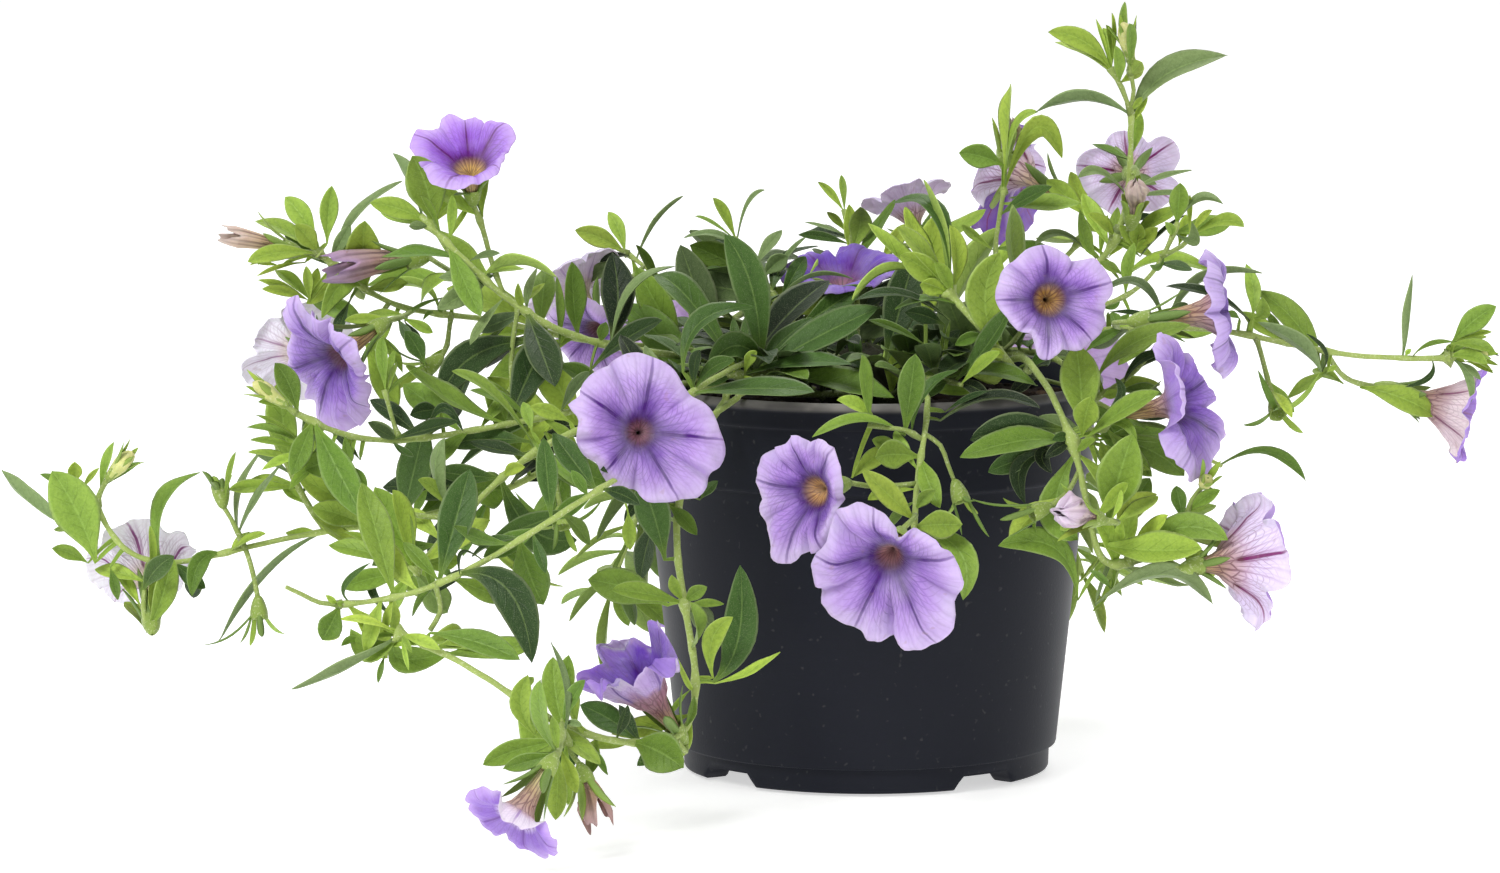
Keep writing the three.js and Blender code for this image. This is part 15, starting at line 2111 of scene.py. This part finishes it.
def build_pot():
    pc = Piece()
    base = lin(30, 32, 40)
    gap0, half = math.radians(-50), math.radians(11.5)

    def feet(r, h, a):
        # the foot ring is lifted over the four gaps, with slanted ends
        k = np.zeros_like(a)
        for i in range(4):
            d = np.abs((a - gap0 - i * math.pi / 2 + math.pi) % (2 * math.pi) - math.pi)
            k = np.maximum(k, 1 - smooth(d, half * 0.78, half * 1.06))
        low = (h < 3.0) & (r > 34)
        h = np.where(low, h + (3.05 - h) * k, h)
        return r, h

    def arc(cx, cz, rad, a0, a1, n):
        return [(cx + rad * math.cos(math.radians(t)), cz + rad * math.sin(math.radians(t))) for t in np.linspace(a0, a1, n)]

    prof = [(0.2, 0.0), (4, 0.0), (8.6, 0.0), (9.0, 0.4), (9.05, 2.9), (9.5, 3.05), (18, 3.05), (28, 3.05), (34.2, 3.05), (34.8, 2.9), (35.2, 0.5), (35.8, 0.06), (38, 0.0), (40.3, 0.0), (40.8, 0.2), (41.0, 0.6)]
    prof += [(41.05, 2.0), (41.15, 4.9), (41.25, 5.45), (41.6, 5.6), (42.2, 5.62), (42.6, 5.75), (42.72, 6.1)]
    prof += [(42.72 + (49.3 - 42.72) * t, 6.1 + (67.0 - 6.1) * t) for t in np.linspace(0.04, 1, 22)]
    prof += [(49.4, 67.3), (49.9, 67.5), (50.4, 67.62), (50.62, 67.9), (50.66, 68.4), (50.9, 75), (51.15, 81.6), (51.22, 82.0), (51.5, 82.25), (51.72, 82.45), (51.78, 82.9), (52.2, 85.6), (52.25, 85.85)]
    prof += arc(51.85, 87.2, 1.15, -62, 178, 15)
    prof += [(50.55, 86.6), (50.2, 85.9), (49.9, 82), (49.5, 75), (49.3, 68.3), (49.0, 67.8), (48.2, 67.3), (48.0, 66.6), (45, 30), (41.6, 6.0), (40.2, 4.6), (38.0, 4.35), (20, 4.35), (0.2, 4.35)]
    def lip_dust_and_highlight(P):
        # the rolled lip is painted lighter: partly real dust, partly a painted highlight that is strongest at its front
        h, a = P[..., 2], np.arctan2(P[..., 1], P[..., 0])
        r = np.hypot(P[..., 0], P[..., 1])
        lip = smooth(h, 86.0, 87.2) * smooth(r, 50.6, 51.6)
        front = np.exp(-(((a - math.radians(-98)) / math.radians(17)) ** 2))
        k = (lip * (0.45 + 0.40 * front) * (0.75 + 0.5 * vnoise(a * 40, h * 0.7, 4)))[..., None]
        return base * (1 - k) + lin(150, 146, 140) * k

    revolve(pc, prof, 220, lip_dust_and_highlight, 0, feet)
    return pc


def build_soil():
    pc = Piece()
    n, m = 150, 62
    a = np.arange(n) / n * 2 * np.pi
    r = np.linspace(0.15, 48.6, m)
    X, Y = r[:, None] * np.cos(a), r[:, None] * np.sin(a)
    Z = 80.7 + 1.3 * vnoise(X * 0.11, Y * 0.11, 1) + 0.9 * vnoise(X * 0.35, Y * 0.35, 2) + 0.7 * vnoise(X * 0.9, Y * 0.9, 3) + 0.35 * vnoise(X * 2.1, Y * 2.1, 4)
    Z = Z - 0.7 * smooth(r, 44, 48.6)[:, None]
    top = np.stack([X, Y, Z], -1)
    side = [(48.6, 79.0), (48.4, 74), (48.0, 68.5), (46.9, 66.0), (43, 30), (39.2, 6.0), (38, 4.75), (20, 4.75), (0.2, 4.75)]
    low = np.array([[(rr * math.cos(t), rr * math.sin(t), h) for t in a] for rr, h in side])
    pts = np.concatenate([top, low])
    d = vnoise(pts[..., 0] * 0.6, pts[..., 1] * 0.6, 9)[..., None]
    # near-black peat brown: partly the mix's own dark colour, partly painted shade under the foliage
    tint = lin(26, 20, 17) * (1 - d) + lin(46, 35, 27) * d
    uv = np.stack([pts[..., 0] / 50, pts[..., 1] / 50], -1)
    pc.grid(pts, True, uv, tint)
    rnd = random.Random(5)
    for i in range(420):
        rr = 47.5 * math.sqrt(rnd.random())
        t = rnd.uniform(0, 6.283)
        if rr < 13:
            continue
        x, y = rr * math.cos(t), rr * math.sin(t)
        zz = 80.7 + 1.3 * float(vnoise(x * 0.11, y * 0.11, 1)) + 0.9 * float(vnoise(x * 0.35, y * 0.35, 2)) + 0.5
        white = i % 13 == 0 and rr < 38
        size = rnd.uniform(0.5, 1.5) if not white else rnd.uniform(0.6, 1.3)
        nn = 7
        aa = np.arange(nn) / nn * 2 * np.pi
        tt = np.linspace(0.08, np.pi - 0.08, 5)
        rad = size * np.sin(tt)[:, None] * (1 + 0.3 * np.array([rnd.uniform(-1, 1) for _ in range(nn)])[None])
        long = rnd.uniform(0.6, 2.2) if not white else 1.0
        dx, dy = math.cos(t * 7), math.sin(t * 7)
        px, py = rad * np.cos(aa) * long, rad * np.sin(aa)
        q = np.stack([x + px * dx - py * dy, y + px * dy + py * dx, zz - size * 0.6 * np.cos(tt)[:, None] + 0 * px], -1)
        col = lin(158, 152, 140) if white else lin(40, 29, 22) * rnd.uniform(0.6, 1.8)
        uv = np.stack(np.meshgrid(aa, tt), -1)
        pc.grid(q, True, uv, np.broadcast_to(col, q.shape))
    return pc


def build_crown():
    pc = Piece()
    n, m = 60, 26
    a = np.arange(n) / n * 2 * np.pi
    t = np.linspace(0, 1, m)
    prof = np.interp(t, [0, 0.1, 0.4, 0.7, 0.9, 1], [10.6, 11.2, 10.6, 8.8, 5.2, 0.3])
    h = np.interp(t, [0, 0.1, 0.4, 0.7, 0.9, 1], [81.6, 83.0, 87.0, 91.2, 94.0, 95.2])
    r = prof[:, None] * (0.93 + 0.05 * np.cos(9 * a + 2 * t[:, None]) + 0.03 * np.cos(17 * a))
    pts = np.stack([r * np.cos(a), r * np.sin(a), h[:, None] + 0.5 * np.cos(6 * a)[None] * t[:, None]], -1)
    k = vnoise(a[None] * 5, t[:, None] * 9, 3)[..., None]
    # very dark olive-brown: partly the crown's own colour, partly painted shade under the leaves
    tint = lin(40, 38, 26) * k + lin(50, 58, 34) * (1 - k)
    uv = np.stack(np.meshgrid(a / 6.2832, t), -1)
    pc.grid(pts, "wrap", uv, tint)
    return pc


# ---------------------------------------------------------------- materials
class Tree:
    """Short words for the nodes of one material."""

    def __init__(self, name):
        self.mat = bpy.data.materials.new(name)
        self.mat.use_nodes = True
        self.t = self.mat.node_tree
        self.t.nodes.clear()
        self.out = self.t.nodes.new("ShaderNodeOutputMaterial")
        self.b = self.t.nodes.new("ShaderNodeBsdfPrincipled")
        self.t.links.new(self.b.outputs[0], self.out.inputs[0])

    def put(self, sock, v):
        if hasattr(v, "is_output"):
            self.t.links.new(v, sock)
        elif isinstance(v, (tuple, list, np.ndarray)) and sock.type == "RGBA":
            sock.default_value = (*[float(c) for c in v[:3]], 1.0)
        elif isinstance(v, (tuple, list, np.ndarray)):
            sock.default_value = tuple(float(c) for c in v)
        else:
            sock.default_value = v

    def math(self, op, *v, clamp=False):
        n = self.t.nodes.new("ShaderNodeMath")
        n.operation = op
        n.use_clamp = clamp
        for i, q in enumerate(v):
            self.put(n.inputs[i], q)
        return n.outputs[0]

    def mix(self, fac, a, b, kind="MIX"):
        n = self.t.nodes.new("ShaderNodeMix")
        n.data_type = "RGBA"
        n.blend_type = kind
        n.clamp_factor = True
        self.put(n.inputs[0], fac)
        self.put(n.inputs[6], a)
        self.put(n.inputs[7], b)
        return n.outputs[2]

    def attr(self, name):
        n = self.t.nodes.new("ShaderNodeAttribute")
        n.attribute_type = "GEOMETRY"
        n.attribute_name = name
        return n.outputs["Color"]

    def sep(self, c, k):
        n = self.t.nodes.new("ShaderNodeSeparateColor")
        self.put(n.inputs[0], c)
        return n.outputs[k]

    def uv(self):
        n = self.t.nodes.new("ShaderNodeUVMap")
        n.uv_map = "uv"
        s = self.t.nodes.new("ShaderNodeSeparateXYZ")
        self.t.links.new(n.outputs[0], s.inputs[0])
        return n.outputs[0], s.outputs[0], s.outputs[1]

    def obj(self):
        return self.t.nodes.new("ShaderNodeTexCoord").outputs["Object"]

    def vec(self, x, y, z):
        n = self.t.nodes.new("ShaderNodeCombineXYZ")
        for i, q in enumerate((x, y, z)):
            self.put(n.inputs[i], q)
        return n.outputs[0]

    def noise(self, vec, scale, detail=2.0, rough=0.5):
        n = self.t.nodes.new("ShaderNodeTexNoise")
        self.put(n.inputs["Vector"], vec)
        n.inputs["Scale"].default_value = scale
        n.inputs["Detail"].default_value = detail
        n.inputs["Roughness"].default_value = rough
        return n.outputs["Fac"]

    def net(self, x, y, width):
        """Thin lines between drawn-out cells."""
        n = self.t.nodes.new("ShaderNodeTexVoronoi")
        n.voronoi_dimensions = "2D"
        n.feature = "DISTANCE_TO_EDGE"
        self.put(n.inputs["Vector"], self.vec(x, y, 0.0))
        n.inputs["Scale"].default_value = 1.0
        return self.math("SUBTRACT", 1.0, self.math("DIVIDE", n.outputs["Distance"], width), clamp=True)

    def step(self, x, a, b):
        """0 below a, 1 above b."""
        n = self.t.nodes.new("ShaderNodeMapRange")
        n.clamp = True
        self.put(n.inputs[0], x)
        n.inputs[1].default_value, n.inputs[2].default_value = a, b
        n.inputs[3].default_value, n.inputs[4].default_value = 0.0, 1.0
        return n.outputs[0]

    def bump(self, height, strength, distance):
        n = self.t.nodes.new("ShaderNodeBump")
        n.inputs["Strength"].default_value = strength
        n.inputs["Distance"].default_value = distance
        self.put(n.inputs["Height"], height)
        self.t.links.new(n.outputs[0], self.b.inputs["Normal"])

    def done(self, color, rough, **consts):
        self.put(self.b.inputs["Base Color"], color)
        self.put(self.b.inputs["Roughness"], rough)
        for k, v in consts.items():
            self.put(self.b.inputs[k.replace("_", " ")], v)
        return self.mat


def petal_material():
    t = Tree("petal")
    _, U, V = t.uv()
    amt = t.attr("amt")
    strength, spots, stripes = t.sep(amt, 0), t.sep(amt, 1), t.sep(amt, 2)
    tint, mark = t.attr("tint"), t.attr("mark")
    o = t.obj()
    n1 = t.noise(o, 260.0, 3.0)
    n2 = t.noise(o, 900.0, 2.0)
    n0 = t.noise(o, 110.0, 2.0)
    s = t.step(V, 0.4, 1.0)
    lobe = t.math("SUBTRACT", t.math("FRACT", t.math("MULTIPLY", U, 5.0)), 0.5)
    al = t.math("ABSOLUTE", t.math("ADD", lobe, t.math("MULTIPLY", t.math("SUBTRACT", n1, 0.5), 0.035)))
    wid = t.math("MULTIPLY_ADD", t.math("SUBTRACT", 1.0, s), 0.050, 0.014)
    mid = t.math("MULTIPLY", t.math("MULTIPLY", t.math("SUBTRACT", 1.0, t.math("DIVIDE", al, wid)), 1.7, clamp=True), t.math("MULTIPLY_ADD", s, -0.85, 1.2, clamp=True), clamp=True)
    halo = t.math("MULTIPLY", t.math("SUBTRACT", 1.0, t.math("DIVIDE", al, t.math("MULTIPLY_ADD", s, -0.10, 0.22)), clamp=True), t.math("MULTIPLY_ADD", s, -0.75, 0.80, clamp=True))

    def fan(count, shift, width, wob):
        x = t.math("ADD", t.math("MULTIPLY", U, float(count)), t.math("MULTIPLY", t.math("SUBTRACT", n1, 0.5), wob))
        x = t.math("ABSOLUTE", t.math("SUBTRACT", t.math("FRACT", t.math("ADD", x, shift)), 0.5))
        return t.math("SUBTRACT", 1.0, t.math("DIVIDE", x, width), clamp=True)

    f1 = t.math("MULTIPLY", fan(35, 0.5, 0.17, 0.55), t.math("MULTIPLY_ADD", s, -0.85, 1.0, clamp=True))
    f2 = t.math("MULTIPLY", fan(70, 0.25, 0.22, 0.9), t.math("MULTIPLY", t.step(s, 0.22, 0.45), t.math("MULTIPLY_ADD", s, -0.75, 0.85, clamp=True)))
    # side veins that leave the midvein slantwise
    ob = t.math("ABSOLUTE", t.math("SUBTRACT", t.math("FRACT", t.math("SUBTRACT", t.math("MULTIPLY", al, 11.0), t.math("MULTIPLY", s, 8.0))), 0.5))
    ob = t.math("MULTIPLY", t.math("SUBTRACT", 1.0, t.math("DIVIDE", ob, 0.11), clamp=True), t.math("MULTIPLY", t.step(s, 0.1, 0.3), t.step(t.math("SUBTRACT", 1.0, s), 0.12, 0.5)))
    fade = t.math("MULTIPLY_ADD", t.step(n0, 0.3, 0.7), 0.7, 0.3)
    fine = t.math("MULTIPLY", t.math("MAXIMUM", t.math("MULTIPLY", f1, 0.80), t.math("MAXIMUM", t.math("MULTIPLY", f2, 0.55), t.math("MULTIPLY", ob, 0.62))), fade)
    limb = t.math("ADD", t.math("MAXIMUM", t.math("MULTIPLY", mid, 0.95), fine), t.math("MULTIPLY", halo, 0.50), clamp=True)
    limb = t.math("MULTIPLY", limb, t.math("MULTIPLY", strength, t.step(V, 0.40, 0.47)))
    st = t.math("ABSOLUTE", t.math("SUBTRACT", t.math("FRACT", t.math("ADD", t.math("MULTIPLY", U, 15.0), t.math("MULTIPLY", t.math("SUBTRACT", n1, 0.5), 0.6))), 0.5))
    st = t.math("SUBTRACT", 1.0, t.math("DIVIDE", st, 0.21), clamp=True)
    # the tube's stripes are tied into a net where it widens
    net = t.net(t.math("MULTIPLY", U, 17.0), t.math("MULTIPLY", V, 9.0), 0.11)
    st = t.math("MAXIMUM", st, t.math("MULTIPLY", net, t.step(V, 0.16, 0.30)))
    st = t.math("MULTIPLY", st, t.math("MULTIPLY", stripes, t.math("SUBTRACT", 1.0, t.step(V, 0.44, 0.6))))
    line = t.math("MAXIMUM", limb, t.math("MULTIPLY", st, 0.9))
    c = t.mix(line, tint, mark)
    # cells and folds make the tone uneven, and old petals have small brown flecks
    c = t.mix(t.math("MULTIPLY", t.step(n0, 0.45, 0.75), 0.30), c, t.mix(0.45, c, (1.0, 0.96, 1.0)))
    c = t.mix(t.math("MULTIPLY", t.step(n1, 0.40, 0.75), 0.16), c, t.mix(0.5, c, (1.0, 0.97, 1.0)))
    c = t.mix(t.math("MULTIPLY", t.step(n2, 0.30, 0.70), 0.10), c, t.mix(0.6, c, mark))
    fleck = t.math("MULTIPLY", t.step(t.noise(o, 420.0, 1.0), 0.70, 0.76), spots)
    c = t.mix(fleck, c, lin(150, 118, 110))
    t.bump(t.math("ADD", t.math("MULTIPLY", line, -0.8), t.math("ADD", t.math("MULTIPLY", n2, 0.5), t.math("MULTIPLY", n1, 0.9))), 0.55, 0.0006)
    t.b.inputs["Subsurface Radius"].default_value = (1.0, 0.75, 1.0)
    return t.done(c, t.math("MULTIPLY_ADD", n2, 0.15, 0.52), Sheen_Weight=0.10, Sheen_Roughness=0.4, Specular_IOR_Level=0.22, Subsurface_Weight=0.38, Subsurface_Scale=0.0012)


def leaf_material():
    t = Tree("leaf")
    _, U, V = t.uv()
    amt = t.attr("amt")
    blade, seed = t.sep(amt, 0), t.sep(amt, 1)
    tint = t.attr("tint")
    o = t.obj()
    n1 = t.noise(o, 180.0, 4.0, 0.6)
    n2 = t.noise(o, 1400.0, 2.0)
    x = t.math("MULTIPLY", t.math("ABSOLUTE", t.math("SUBTRACT", U, 0.5)), 2.0)
    rib = t.math("SUBTRACT", 1.0, t.math("DIVIDE", x, t.math("MULTIPLY_ADD", V, -0.07, 0.12)), clamp=True)
    side = t.math("ABSOLUTE", t.math("SUBTRACT", t.math("FRACT", t.math("ADD", t.math("SUBTRACT", t.math("MULTIPLY", V, 7.0), t.math("MULTIPLY", x, 1.7)), t.math("MULTIPLY", n1, 0.5))), 0.5))
    side = t.math("MULTIPLY", t.math("SUBTRACT", 1.0, t.math("DIVIDE", side, 0.10), clamp=True), t.math("SUBTRACT", 1.0, x))
    edge = t.step(x, 0.84, 0.97)
    c = t.mix(t.math("MULTIPLY", t.step(n1, 0.25, 0.75), 0.35), tint, t.mix(1.0, tint, lin(178, 196, 150), "MULTIPLY"))
    c = t.mix(t.math("MULTIPLY", t.step(n2, 0.42, 0.66), t.math("MULTIPLY", blade, 0.30)), c, t.mix(1.0, c, lin(176, 190, 166), "MULTIPLY"))
    # the blade is darker beside its midrib and lighter towards the margin
    c = t.mix(t.math("MULTIPLY", t.math("SUBTRACT", 1.0, t.step(x, 0.05, 0.62)), t.math("MULTIPLY", blade, 0.34)), c, t.mix(1.0, c, lin(168, 186, 160), "MULTIPLY"))
    c = t.mix(t.math("MULTIPLY", rib, t.math("MULTIPLY", blade, 0.72)), c, t.mix(0.34, t.mix(1.0, c, (1.45, 1.45, 1.45), "MULTIPLY"), lin(150, 176, 96)))
    c = t.mix(t.math("MULTIPLY", side, t.math("MULTIPLY", blade, 0.22)), c, t.mix(1.0, c, lin(150, 168, 140), "MULTIPLY"))
    c = t.mix(t.math("MULTIPLY", edge, t.math("MULTIPLY", blade, 0.72)), c, t.mix(0.36, t.mix(1.0, c, (1.45, 1.45, 1.45), "MULTIPLY"), lin(196, 210, 158)))
    # fine short hairs catch the light as pale dots
    n3 = t.noise(o, 5200.0, 1.0)
    c = t.mix(t.math("MULTIPLY", t.step(n3, 0.55, 0.75), 0.16), c, lin(184, 198, 150))
    h = t.math("ADD", t.math("MULTIPLY", side, -0.5), t.math("ADD", t.math("MULTIPLY", n1, 0.8), t.math("MULTIPLY", n2, 0.35)))
    t.bump(h, 0.45, 0.0005)
    return t.done(c, t.math("MULTIPLY_ADD", n1, 0.16, 0.42), Sheen_Weight=0.03, Sheen_Roughness=0.5, Specular_IOR_Level=0.22)


def stem_material():
    t = Tree("stem")
    _, U, V = t.uv()
    tint = t.attr("tint")
    o = t.obj()
    n1 = t.noise(o, 320.0, 3.0)
    n2 = t.noise(o, 2000.0, 2.0)
    c = t.mix(t.math("MULTIPLY", t.step(n1, 0.3, 0.7), 0.35), tint, t.mix(1.0, tint, lin(168, 186, 132), "MULTIPLY"))
    c = t.mix(t.math("MULTIPLY", t.step(n2, 0.56, 0.68), 0.40), c, lin(222, 228, 190))
    t.bump(t.math("ADD", n2, t.math("MULTIPLY", n1, 0.5)), 0.5, 0.0004)
    return t.done(c, 0.58, Sheen_Weight=0.15, Sheen_Roughness=0.5, Specular_IOR_Level=0.3)


def pot_material():
    t = Tree("pot_plastic")
    tint = t.attr("tint")
    o = t.obj()
    fine = t.noise(o, 1500.0, 3.0)
    dust = t.step(t.noise(o, 640.0, 1.0), 0.70, 0.80)
    big = t.noise(o, 26.0, 3.0)
    c = t.mix(t.math("MULTIPLY", t.step(big, 0.35, 0.7), 0.35), tint, lin(36, 38, 44))
    c = t.mix(t.math("MULTIPLY", dust, 0.13), c, lin(120, 118, 114))
    # flow marks of the moulding run round the wall
    n = t.t.nodes.new("ShaderNodeMapping")
    t.put(n.inputs[0], o)
    n.inputs["Scale"].default_value = (60.0, 60.0, 900.0)
    lines = t.noise(n.outputs[0], 1.0, 2.0)
    t.bump(t.math("ADD", t.math("MULTIPLY", fine, 0.5), t.math("MULTIPLY", lines, 0.5)), 0.18, 0.0003)
    return t.done(c, t.math("MULTIPLY_ADD", big, 0.12, 0.36), Specular_IOR_Level=0.08)


def soil_material():
    t = Tree("potting_mix")
    tint = t.attr("tint")
    o = t.obj()
    n1 = t.noise(o, 500.0, 6.0, 0.7)
    n2 = t.noise(o, 150.0, 4.0, 0.6)
    c = t.mix(t.step(n1, 0.3, 0.75), t.mix(1.0, tint, (0.45, 0.42, 0.40), "MULTIPLY"), tint)
    c = t.mix(t.math("MULTIPLY", t.step(n2, 0.62, 0.72), 0.5), c, lin(104, 80, 58))
    t.bump(t.math("ADD", n1, n2), 0.9, 0.001)
    return t.done(c, 0.93, Specular_IOR_Level=0.25)


def crown_material():
    t = Tree("crown_bark")
    tint = t.attr("tint")
    o = t.obj()
    n = t.t.nodes.new("ShaderNodeMapping")
    t.put(n.inputs[0], o)
    n.inputs["Scale"].default_value = (420.0, 420.0, 90.0)
    n1 = t.noise(n.outputs[0], 1.0, 5.0, 0.65)
    c = t.mix(t.step(n1, 0.3, 0.72), t.mix(1.0, tint, (0.5, 0.46, 0.36), "MULTIPLY"), tint)
    t.bump(n1, 0.8, 0.0008)
    return t.done(c, 0.85, Specular_IOR_Level=0.25)


def floor_material():
    t = Tree("studio_paper")
    o = t.obj()
    n = t.noise(o, 3.0, 2.0)
    c = t.mix(t.math("MULTIPLY", n, 0.04), (0.80, 0.80, 0.80), (0.77, 0.77, 0.77))
    return t.done(c, 0.9, Specular_IOR_Level=0.1, Emission_Color=(1.0, 1.0, 1.0), Emission_Strength=0.58)



PETAL, LEAF, STEM = petal_material(), leaf_material(), stem_material()
POT, SOIL, CROWN, PAPER = pot_material(), soil_material(), crown_material(), floor_material()

# ---------------------------------------------------------------- build everything
rnd = random.Random(20)
for sh in SHOOTS:
    pc = Piece()
    knots = [np.array(l[0], float) for l in sh["leaves"]]
    for st in sh["stems"]:
        near = [q for q in knots]
        stem(pc, rnd, st[0], st[1], st[2], st[3], near)
    for c in sh["cups"]:
        cup(pc, rnd, *c)
    for l in sh["teeth"]:
        leaf(pc, rnd, l, tooth=True)
    for l in sh["leaves"]:
        leaf(pc, rnd, l)
    for b in sh["buds"]:
        bud(pc, rnd, *b)
    ob = pc.build("plant_" + sh["node"], [LEAF, STEM])
    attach(ob, "root")
    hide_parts(sh["node"])

for f in FLOWERS:
    pc = furled(f) if f["style"].startswith("wilt") else corolla(f)
    ob = pc.build("petals_" + f["node"].replace("flower_", ""), [PETAL, STEM])
    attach(ob, "root")
    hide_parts(f["node"])

for name, make, mat, node, slot in (("pot_moulding", build_pot, POT, "nursery_pot", "pot_plastic"), ("potting_mix", build_soil, SOIL, "potting_soil", "soil"),
                                    ("plant_crown", build_crown, CROWN, "crown", "crown_stem")):
    ob = make().build(name, [mat])
    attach(ob, "root")
    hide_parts(node)

# ---------------------------------------------------------------- stage, light, camera
me = bpy.data.meshes.new("studio_floor")
n = 24
xs = np.linspace(-9, 9, n)
verts = [(x, y + 3, -0.0006) for y in xs for x in xs]
faces = [(j * n + i, j * n + i + 1, (j + 1) * n + i + 1, (j + 1) * n + i) for j in range(n - 1) for i in range(n - 1)]
me.from_pydata(verts, [], faces)
me.materials.append(PAPER)
floor = bpy.data.objects.new("studio_floor", me)
bpy.context.scene.collection.objects.link(floor)

world = bpy.data.worlds.new("soft_white")
world.use_nodes = True
bg = world.node_tree.nodes["Background"]
bg.inputs[0].default_value = (1, 1, 1, 1)
wt = world.node_tree
sky = wt.nodes.new("ShaderNodeTexCoord")
sz = wt.nodes.new("ShaderNodeSeparateXYZ")
ramp = wt.nodes.new("ShaderNodeMapRange")
ramp.clamp = True
wt.links.new(sky.outputs["Generated"], sz.inputs[0])
wt.links.new(sz.outputs[2], ramp.inputs[0])
ramp.inputs[1].default_value, ramp.inputs[2].default_value = 0.16, 0.44
ramp.inputs[3].default_value, ramp.inputs[4].default_value = 1.10, 0.45
front = wt.nodes.new("ShaderNodeMapRange")
front.clamp = True
wt.links.new(sz.outputs[1], front.inputs[0])
front.inputs[1].default_value, front.inputs[2].default_value = -0.35, 0.35
front.inputs[3].default_value, front.inputs[4].default_value = 0.50, 1.0
both = wt.nodes.new("ShaderNodeMath")
both.operation = "MULTIPLY"
wt.links.new(ramp.outputs[0], both.inputs[0])
wt.links.new(front.outputs[0], both.inputs[1])
wt.links.new(both.outputs[0], bg.inputs[1])
bpy.context.scene.world = world


def soft_light(name, place, aim, size, power, size_y=None):
    d = bpy.data.lights.new(name, "AREA")
    d.shape = "RECTANGLE"
    d.size = size
    d.size_y = size_y or size
    d.energy = power
    o = bpy.data.objects.new(name, d)
    o.location = place
    o.rotation_euler = (Vector(aim) - Vector(place)).to_track_quat("-Z", "Y").to_euler()
    bpy.context.scene.collection.objects.link(o)


soft_light("key", (-0.8, -1.2, 1.4), (0, 0, 0.08), 0.8, 28)
soft_light("fill", (1.3, -0.9, 0.9), (0, 0, 0.08), 0.9, 5)
soft_light("top_back", (0.2, 1.0, 1.5), (0, 0, 0.08), 1.0, 12)

cam = bpy.data.cameras.new("camera")
cam.sensor_width = 36.0
cam.lens = 215.806
cam.clip_end = 60.0
cam.dof.use_dof = False
ob = bpy.data.objects.new("camera", cam)
ob.location = (-0.02618, -2.0, 0.334685)
ob.rotation_euler = (math.radians(90 - 7.414122), 0, 0)
bpy.context.scene.collection.objects.link(ob)
bpy.context.scene.camera = ob
bpy.context.scene.view_settings.view_transform = "Standard"
bpy.context.scene.view_settings.look = "None"

bpy.context.view_layer.update()
